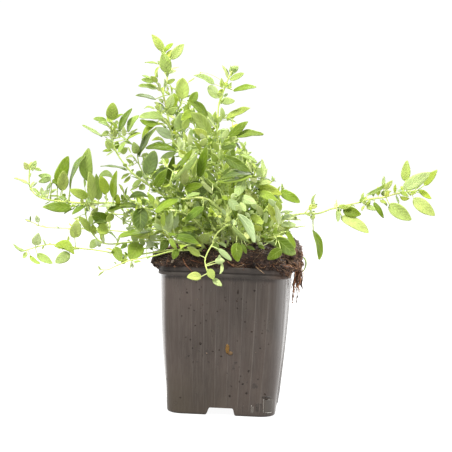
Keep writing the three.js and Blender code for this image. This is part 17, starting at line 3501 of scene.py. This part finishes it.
# crumbs and root ends that have slumped over the rim at the front right corner
slump = np.random.default_rng(777)
for k in range(170):
    a = math.radians(float(slump.uniform(-72, 6)))
    z = 102.8 - abs(float(slump.normal(0, 3.0))) * (1.0 - 0.6 * abs(math.degrees(a) + 30) / 42)
    if z < 95.4:
        continue
    r = float(np.exp(slump.normal(-0.72, 0.30)))
    reach = 12.4 + 0.2 * r - (0.35 if z < 98.3 else 0.0)
    q = np.array([32.6 + reach * math.cos(a), -32.6 + reach * math.sin(a), z])
    tone = (SOIL_LO + (SOIL_HI - SOIL_LO) * slump.uniform(0, 1)) * 0.8 if k % 3 else TONES[4] * slump.uniform(0.5, 1.1)
    lump(roots, q, r, 1200 + k * 0.77, ICO1, 0.45, tone, (slump.uniform(0.8, 1.3), 0.9, slump.uniform(0.8, 1.4)), 0.0, 2, 1.4)
for k in range(34):
    a = math.radians(float(slump.uniform(-70, 4)))
    z = float(slump.uniform(101.0, 103.6))
    pts = []
    for _ in range(int(slump.integers(3, 6))):
        reach = 12.75 if z > 98.3 else 12.45
        pts.append(np.array([32.6 + reach * math.cos(a), -32.6 + reach * math.sin(a), z]))
        a += float(slump.normal(0, 0.07))
        z -= float(slump.uniform(0.9, 1.9))
    strand(pts, slump.uniform(0.14, 0.28), 0.06, TONES[int(slump.integers(len(TONES)))] * slump.uniform(0.5, 1.0), 5)
# a ragged fringe of short fibres around the clump
for k in range(330):
    a = float(rng.uniform(-0.95, 0.35)) if k % 3 else float(rng.uniform(2.6, 3.7))
    z = float(rng.uniform(95, 117)) if k % 3 else float(rng.uniform(99, 106))
    p, n = on_soil((90 * math.cos(a), 90 * math.sin(a) * 0.8, z), (-math.cos(a), -math.sin(a) * 0.8, 0.0))
    if p is None:
        continue
    d = unit(n * 0.7 + rng.normal(size=3) * 0.55 + np.array([0, 0, -0.25]))
    pts = [p - n * 0.4]
    for _ in range(int(rng.integers(3, 6))):
        d = unit(d + rng.normal(size=3) * 0.45 + np.array([0, 0, -0.12]))
        q = pts[-1] + d * rng.uniform(0.5, 1.25)
        q[0] = min(q[0], 52.5)
        pts.append(q)
    strand(pts, float(np.exp(rng.normal(-2.2, 0.3))), 0.045, TONES[int(rng.integers(len(TONES)))] * rng.uniform(0.6, 1.1), 3)
# single roots lying over the rim at the front
strand([(-27, -43.9, 106.2), (-25.6, -45.6, 103.8), (-23.4, -46.2, 101.2), (-21.0, -45.9, 98.9), (-19.8, -45.6, 97.2)], 0.30, 0.12, TONES[1], 5)
strand([(-22, -44.6, 106.0), (-17, -45.4, 104.7), (-12, -45.2, 104.0), (-8, -44.4, 105.0)], 0.28, 0.12, TONES[0], 5)
strand([(20.5, -44.6, 104.2), (23.0, -45.6, 102.2), (25.2, -45.8, 100.6), (27.6, -45.5, 98.8)], 0.26, 0.10, TONES[5], 5)
strand([(26, -42.5, 109.8), (31, -44.6, 106.4), (34, -45.6, 103.6), (36.5, -45.9, 101.6)], 0.30, 0.12, TONES[2], 5)
strand([(1, -43.5, 107.0), (4.5, -45.3, 104.6), (7.0, -45.7, 102.9)], 0.34, 0.14, TONES[2], 5)
fine_roots = roots.build("fine_roots", [ROOT])
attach(fine_roots, "root")

# a small green seedling curls out of the clump on the right
curl = Soup()
cp = [(49.4, -11, 104.5), (51.4, -11, 106.4), (53.0, -11, 105.6), (53.8, -11, 102.8), (53.4, -11, 99.6), (52.2, -11, 97.4), (51.2, -11, 96.4)]
P = catmull(cp, 0.8)
v, f, tt, uu = tube(P, 0.30 + 0.35 * np.sin(np.linspace(0.4, math.pi, len(P))) ** 1.5, 7, squash=0.5)
cc = np.array(srgb("c8dc9a"))[None] * (1 - tt[:, None]) + np.array(srgb("8fae48"))[None] * tt[:, None]
curl.add(v, f, 0, np.c_[uu, tt, np.zeros(len(v))], cc, 0.0)
ob = curl.build("seedling_curl", [STEM])
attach(ob, "root")

# an ochre scale of dry leaf and a few soil crumbs stuck to the front of the pot
flake = Soup()
V, F = ICO2
P = V * np.array([1.45, 0.28, 3.6]) * np.array([1 + 0.25 * noise.noise(Vector(x) * 2.0 + Vector((4, 2, 1))) for x in V])[:, None]
flake.add(P + np.array([4.2, -(half(46) + 0.25), 46.8]), F, 0, (0, 0, 0), np.array(srgb("664a1c")), 0.0)
P = V * np.array([1.9, 0.25, 1.3]) * np.array([1 + 0.3 * noise.noise(Vector(x) * 2.2 + Vector((9, 2, 5))) for x in V])[:, None]
flake.add(P + np.array([6.0, -(half(43.6) + 0.2), 43.6]), F, 0, (0, 0, 0), np.array(srgb("5f4a30")), 0.0)
ob = flake.build("dry_flake", [ROOT])
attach(ob, "root")

# moulded marks on the foot at the right of the front face: two low ribs, a pad and a lip; the pale line at the pad's
# left edge and the near-white lens on the lip are painted highlights
marks = Soup()


def slab(x0, x1, z0, z1, rise, tone, round_=0.3, nz=8, lens=False):
    """A low pad on a wall, rounded at its edges and following the wall's lean."""
    xs = np.linspace(x0, x1, 7)
    zs = np.linspace(z0, z1, nz)
    v, f = [], []
    for i, zz in enumerate(zs):
        for j, xx in enumerate(xs):
            e = min(xx - x0, x1 - xx) / round_
            g = min(zz - z0, z1 - zz) / round_
            up = rise * math.sqrt(max(0.0, min(1.0, e))) * math.sqrt(max(0.0, min(1.0, g)))
            if lens:
                cx, cz = (x0 + x1) / 2, (z0 + z1) / 2
                bow = math.sqrt(max(0.02, 1 - ((xx - cx) / (x1 - cx)) ** 2))
                zz = cz + (zz - cz) * bow
                up = rise * math.sqrt(max(0.0, 1 - ((xx - cx) / (x1 - cx)) ** 2 - ((zz - cz) / (z1 - cz)) ** 2))
            hw = half(zz)
            edge = 0.725 * hw
            over = max(0.0, abs(xx) - edge)
            rr = 0.275 * hw
            y = -(hw - rr) - math.sqrt(max(0.0, rr * rr - over * over))
            v.append((xx, y - up + 0.10 * (1 if up == 0 else 0), zz))
    nx = len(xs)
    for i in range(nz - 1):
        for j in range(nx - 1):
            a = i * nx + j
            f.append((a, a + 1, a + nx + 1, a + nx))
    n = len(v)
    v += [(x, y + 0.5, zz) for x, y, zz in v]
    f += [tuple(n + q for q in reversed(face)) for face in f[: (nz - 1) * (nx - 1)]]
    ring = list(range(nx)) + [i * nx + nx - 1 for i in range(1, nz)] + [(nz - 1) * nx + j for j in range(nx - 2, -1, -1)] + [i * nx for i in range(nz - 2, 0, -1)]
    for k in range(len(ring)):
        a, b = ring[k], ring[(k + 1) % len(ring)]
        f.append((b, a, n + a, n + b))
    marks.add(v, f, 0, (0, 0, 0), np.array(srgb(tone)), 0.0)


slab(20.9, 21.5, 2.6, 8.6, 0.26, "77726c")
slab(21.9, 22.8, 2.4, 7.4, 0.20, "69645e")
slab(15.2, 15.7, 3.0, 8.2, 0.12, "2c2622")
slab(23.4, 28.9, 3.0, 10.5, 0.05, "332c27", 1.4)
slab(27.4, 34.6, 13.1, 14.8, 0.05, "2c2520", 0.8)
# painted highlight: a pale line where the pad's left edge catches the light
slab(29.2, 29.65, 3.0, 13.2, 0.30, "85817a", 0.15, 12)
slab(29.8, 36.0, 3.0, 12.8, 0.12, "4c4640", 1.8, 12)
# painted highlight: a glint on the lip, a pale lens with a near-white one inside it
slab(30.0, 36.0, 2.2, 4.6, 0.30, "77736c", 0.6, 8, True)
slab(31.4, 35.2, 2.4, 4.0, 0.46, "dcdad4", 0.6, 8, True)
ob = marks.build("foot_marks", [MARK])
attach(ob, "root")

# compost crumbs and dried splashes stuck to the walls: across, height, size, stretch
stuck = Soup()
FRONT_SPECKS = [
    (10.3, 85.8, 0.78, 1.9), (12.7, 81.1, 0.47, 1.4), (9.6, 79.3, 0.55, 1.0), (16.0, 78.9, 0.43, 1.3),
    (10.0, 74.5, 0.62, 1.0), (-15.6, 86.3, 0.62, 1.0), (-23.9, 83.7, 0.70, 1.0), (-21.1, 75.4, 0.55, 0.8),
    (-22.3, 73.1, 0.55, 0.8), (-18.8, 71.9, 0.47, 0.9), (-13.1, 75.8, 0.62, 0.9), (-10.2, 76.9, 0.39, 1.0),
    (-3.4, 71.9, 0.70, 1.0), (-1.5, 73.3, 0.47, 0.8), (-12.3, 69.3, 0.39, 1.2), (-10.4, 69.7, 0.47, 1.3),
    (-10.6, 65.5, 0.47, 1.6), (-14.1, 63.4, 0.47, 1.0), (-17.9, 61.6, 0.70, 0.8), (-24.1, 53.4, 0.55, 0.9),
    (-20.9, 51.9, 0.47, 1.2), (-14.1, 49.6, 0.78, 1.2), (13.1, 66.5, 0.47, 0.9), (15.4, 65.6, 0.62, 1.2),
    (28.5, 66.8, 0.55, 0.9), (20.1, 59.0, 1.01, 0.7), (27.1, 58.3, 0.78, 0.8), (26.1, 48.1, 0.70, 0.8),
    (31.5, 51.0, 0.47, 0.8), (13.1, 44.6, 0.47, 0.7), (-8.3, 37.0, 0.47, 0.9), (-21.9, 40.7, 0.55, 0.9),
    (-19.5, 46.1, 0.55, 0.9), (12.6, 24.4, 0.47, 1.6), (14.9, 22.8, 0.62, 1.0), (13.5, 28.1, 0.47, 0.8),
    (25.1, 26.6, 0.55, 0.7), (17.6, 16.6, 0.62, 1.2), (6.4, 14.1, 0.70, 1.1), (7.2, 21.1, 0.47, 0.9),
    (31.2, 13.2, 1.17, 0.6), (-26.9, 11.5, 0.55, 0.8), (21.2, 86.9, 0.62, 1.1), (-9.7, 42.9, 0.62, 0.6),
    (-5.6, 44.4, 0.62, 0.5), (-0.0, 41.3, 0.86, 0.5), (10.6, 52.3, 0.47, 0.8), (-24.2, 86.0, 0.39, 1.0),
    (30.2, 16.2, 0.55, 1.2), (-27.0, 67.7, 0.47, 1.0), (1.5, 81.6, 0.55, 1.0), (2.2, 79.3, 0.55, 1.0),
    (-17.9, 90.8, 0.47, 0.8), (-6.1, 54.9, 0.31, 1.0),
]


def speck(face, x, z, r, tall, seed):
    hw = half(z)
    V, F = ICO1
    d = np.array([1 + 0.42 * noise.noise(Vector(v) * 1.5 + Vector((seed * 0.37, seed * 0.73, 1.0))) for v in V])
    P = V * d[:, None] * np.array([r * 1.15, 0.14 + 0.10 * r, r * 1.15 * tall])
    P = P + np.array([x, -(hw + 0.02), z])
    c, s = math.cos(face * math.pi / 2), math.sin(face * math.pi / 2)
    P = np.c_[P[:, 0] * c - P[:, 1] * s, P[:, 0] * s + P[:, 1] * c, P[:, 2]]
    k = (math.sin(seed * 12.9898) * 43758.5453) % 1.0
    stuck.add(P, F, 0, (0, 0, 0), np.array(srgb("241d18")) * (0.8 + 0.7 * k), 0.0)


for k, (x, z, r, tall) in enumerate(FRONT_SPECKS):
    speck(0, x, z, r, tall, k + 1)
for k in range(150):
    face = int(rng.integers(0, 4))
    x = float(rng.uniform(-29, 29))
    z = float(np.clip(rng.normal(58, 24), 9, 92))
    r = float(np.exp(rng.normal(-1.25, 0.35)))
    speck(face, x, z, min(r, 0.75), float(rng.uniform(0.7, 1.6)), 200 + k)
ob = stuck.build("stuck_crumbs", [SOIL])
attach(ob, "root")

# ----------------------------------------------------------------------- stage
floor_mat, nt = new_material("studio_floor")
N = Nodes(nt)
vec = N.coords()
tone = N.mix(N.noise(vec, 3.0, 2.0), (0.90, 0.90, 0.90), (0.94, 0.94, 0.94))
dif = N.new("ShaderNodeBsdfDiffuse")
N.link(tone, dif.inputs["Color"])
em = N.new("ShaderNodeEmission")
em.inputs["Color"].default_value = (1, 1, 1, 1)
seen = N.new("ShaderNodeLightPath").outputs["Is Camera Ray"]
# painted reflection: the sweep glows more to the right and to the left behind, but only for glossy rays, a glow no lamp
# gives; it puts bright reflection strips on the pot's corners
gloss = N.new("ShaderNodeLightPath").outputs["Is Glossy Ray"]
xyz = N.new("ShaderNodeSeparateXYZ")
N.link(vec, xyz.inputs[0])
turn = N.math("ARCTAN2", xyz.outputs[0], N.math("MULTIPLY", xyz.outputs[1], -1.0))
far = N.math("POWER", N.math("ADD", N.math("POWER", xyz.outputs[0], 2.0), N.math("POWER", xyz.outputs[1], 2.0)), 0.5)
right = N.math("POWER", N.ramp(turn, -0.10, 1.78), 1.6)
right = N.math("MULTIPLY", right, N.math("MAXIMUM", N.ramp(turn, 1.78, 1.92, 1.0, 0.35), N.ramp(turn, 1.95, 2.10, 0.0, 0.55)))
right = N.math("MULTIPLY", right, N.ramp(turn, 2.3, 3.0, 1.0, 0.3))
right = N.math("MULTIPLY", right, N.math("MULTIPLY", N.ramp(far, 0.07, 0.30, 0.30, 1.0), 4.3))
left = N.math("MULTIPLY", N.ramp(turn, -2.50, -2.20, 0.25, 1.0), N.ramp(turn, -1.74, -1.54, 1.0, 0.0))
reflection_glow = N.math("ADD", right, N.math("MULTIPLY", left, 3.2))
reflection_glow = N.math("MULTIPLY", reflection_glow, gloss)
N.link(N.math("ADD", reflection_glow, N.math("MULTIPLY_ADD", seen, 0.67, 0.43)), em.inputs["Strength"])
mx = N.new("ShaderNodeMixShader")
mx.inputs[0].default_value = 0.86
N.link(dif.outputs[0], mx.inputs[1])
N.link(em.outputs[0], mx.inputs[2])
o = N.new("ShaderNodeOutputMaterial")
N.link(mx.outputs[0], o.inputs[0])
# the sweep and the surroundings are even, so chance rays find their light with less
# grain than aimed ones
floor_mat.cycles.emission_sampling = "NONE"
bm = bmesh.new()
bmesh.ops.create_grid(bm, x_segments=24, y_segments=24, size=4.0)
me = bpy.data.meshes.new("studio_floor")
bm.to_mesh(me)
bm.free()
me.materials.append(floor_mat)
floor = bpy.data.objects.new("studio_floor", me)
bpy.context.scene.collection.objects.link(floor)

scene = bpy.context.scene
world = bpy.data.worlds.new("studio")
world.use_nodes = True
bg = world.node_tree.nodes["Background"]
bg.inputs["Color"].default_value = (1.0, 1.0, 1.0, 1)
# the white sweep behind the plant is seen at full strength and lights it softly
W = Nodes(world.node_tree)
seen = W.new("ShaderNodeLightPath").outputs["Is Camera Ray"]
W.link(W.math("MULTIPLY_ADD", seen, 0.56, 0.49), bg.inputs["Strength"])
scene.world = world
world.cycles.sampling_method = "NONE"
scene.view_settings.view_transform = "Standard"
scene.view_settings.look = "None"
scene.view_settings.exposure = 0.0
scene.view_settings.gamma = 1.0


def area(name, pos, target, size, power, colour=(1, 1, 1)):
    li = bpy.data.lights.new(name, "AREA")
    li.shape = "RECTANGLE"
    li.size, li.size_y = size
    li.energy = power
    li.color = colour
    ob = bpy.data.objects.new(name, li)
    ob.location = pos
    ob.rotation_euler = (Vector(target) - Vector(pos)).to_track_quat("-Z", "Y").to_euler()
    scene.collection.objects.link(ob)
    return ob


area("key", (-0.65, -0.75, 1.15), (0, 0, 0.14), (0.5, 0.5), 40.0, (1.0, 0.985, 0.94))
area("fill", (0.95, -0.62, 0.45), (0, 0, 0.12), (0.6, 0.9), 8.0, (1.0, 1.0, 0.98))
area("back", (0.20, 0.85, 1.0), (0, 0, 0.16), (0.6, 0.5), 32.0, (1.0, 1.0, 0.97))
area("top", (-0.05, -0.10, 1.45), (0, 0, 0.14), (0.45, 0.45), 13.0, (1.0, 1.0, 0.98))
area("side_left", (-0.98, 0.66, 0.32), (0, 0, 0.06), (0.16, 1.0), 10.0)
area("side_right", (0.98, 0.62, 0.32), (0, 0, 0.06), (0.16, 1.0), 10.0)

# the camera: where the viewer stood, in the part's own frame
TURN = 0.0749
pan, pit, rol = -0.0021, 0.1032, 0.0299
Fv = Vector((math.sin(pan) * math.cos(pit), math.cos(pan) * math.cos(pit), -math.sin(pit)))
Rv = Vector((math.cos(pan), -math.sin(pan), 0.0))
Uv = Rv.cross(Fv)
R2 = Rv * math.cos(rol) + Uv * math.sin(rol)
U2 = -Rv * math.sin(rol) + Uv * math.cos(rol)
from mathutils import Matrix

spin = Matrix.Rotation(TURN, 3, "Z")
Fv, R2, U2 = spin @ Fv, spin @ R2, spin @ U2
cam_data = bpy.data.cameras.new("camera")
cam = bpy.data.objects.new("camera", cam_data)
scene.collection.objects.link(cam)
cam_data.sensor_fit = "HORIZONTAL"
cam_data.sensor_width = 36.0
cam_data.lens = 1678.73 / 452 * 36.0
cam_data.clip_end = 50
m3 = Matrix((R2, U2, -Fv)).transposed()
cam.matrix_world = Matrix.Translation(spin @ Vector((0, -1.150, 0.244))) @ m3.to_4x4()
scene.camera = cam
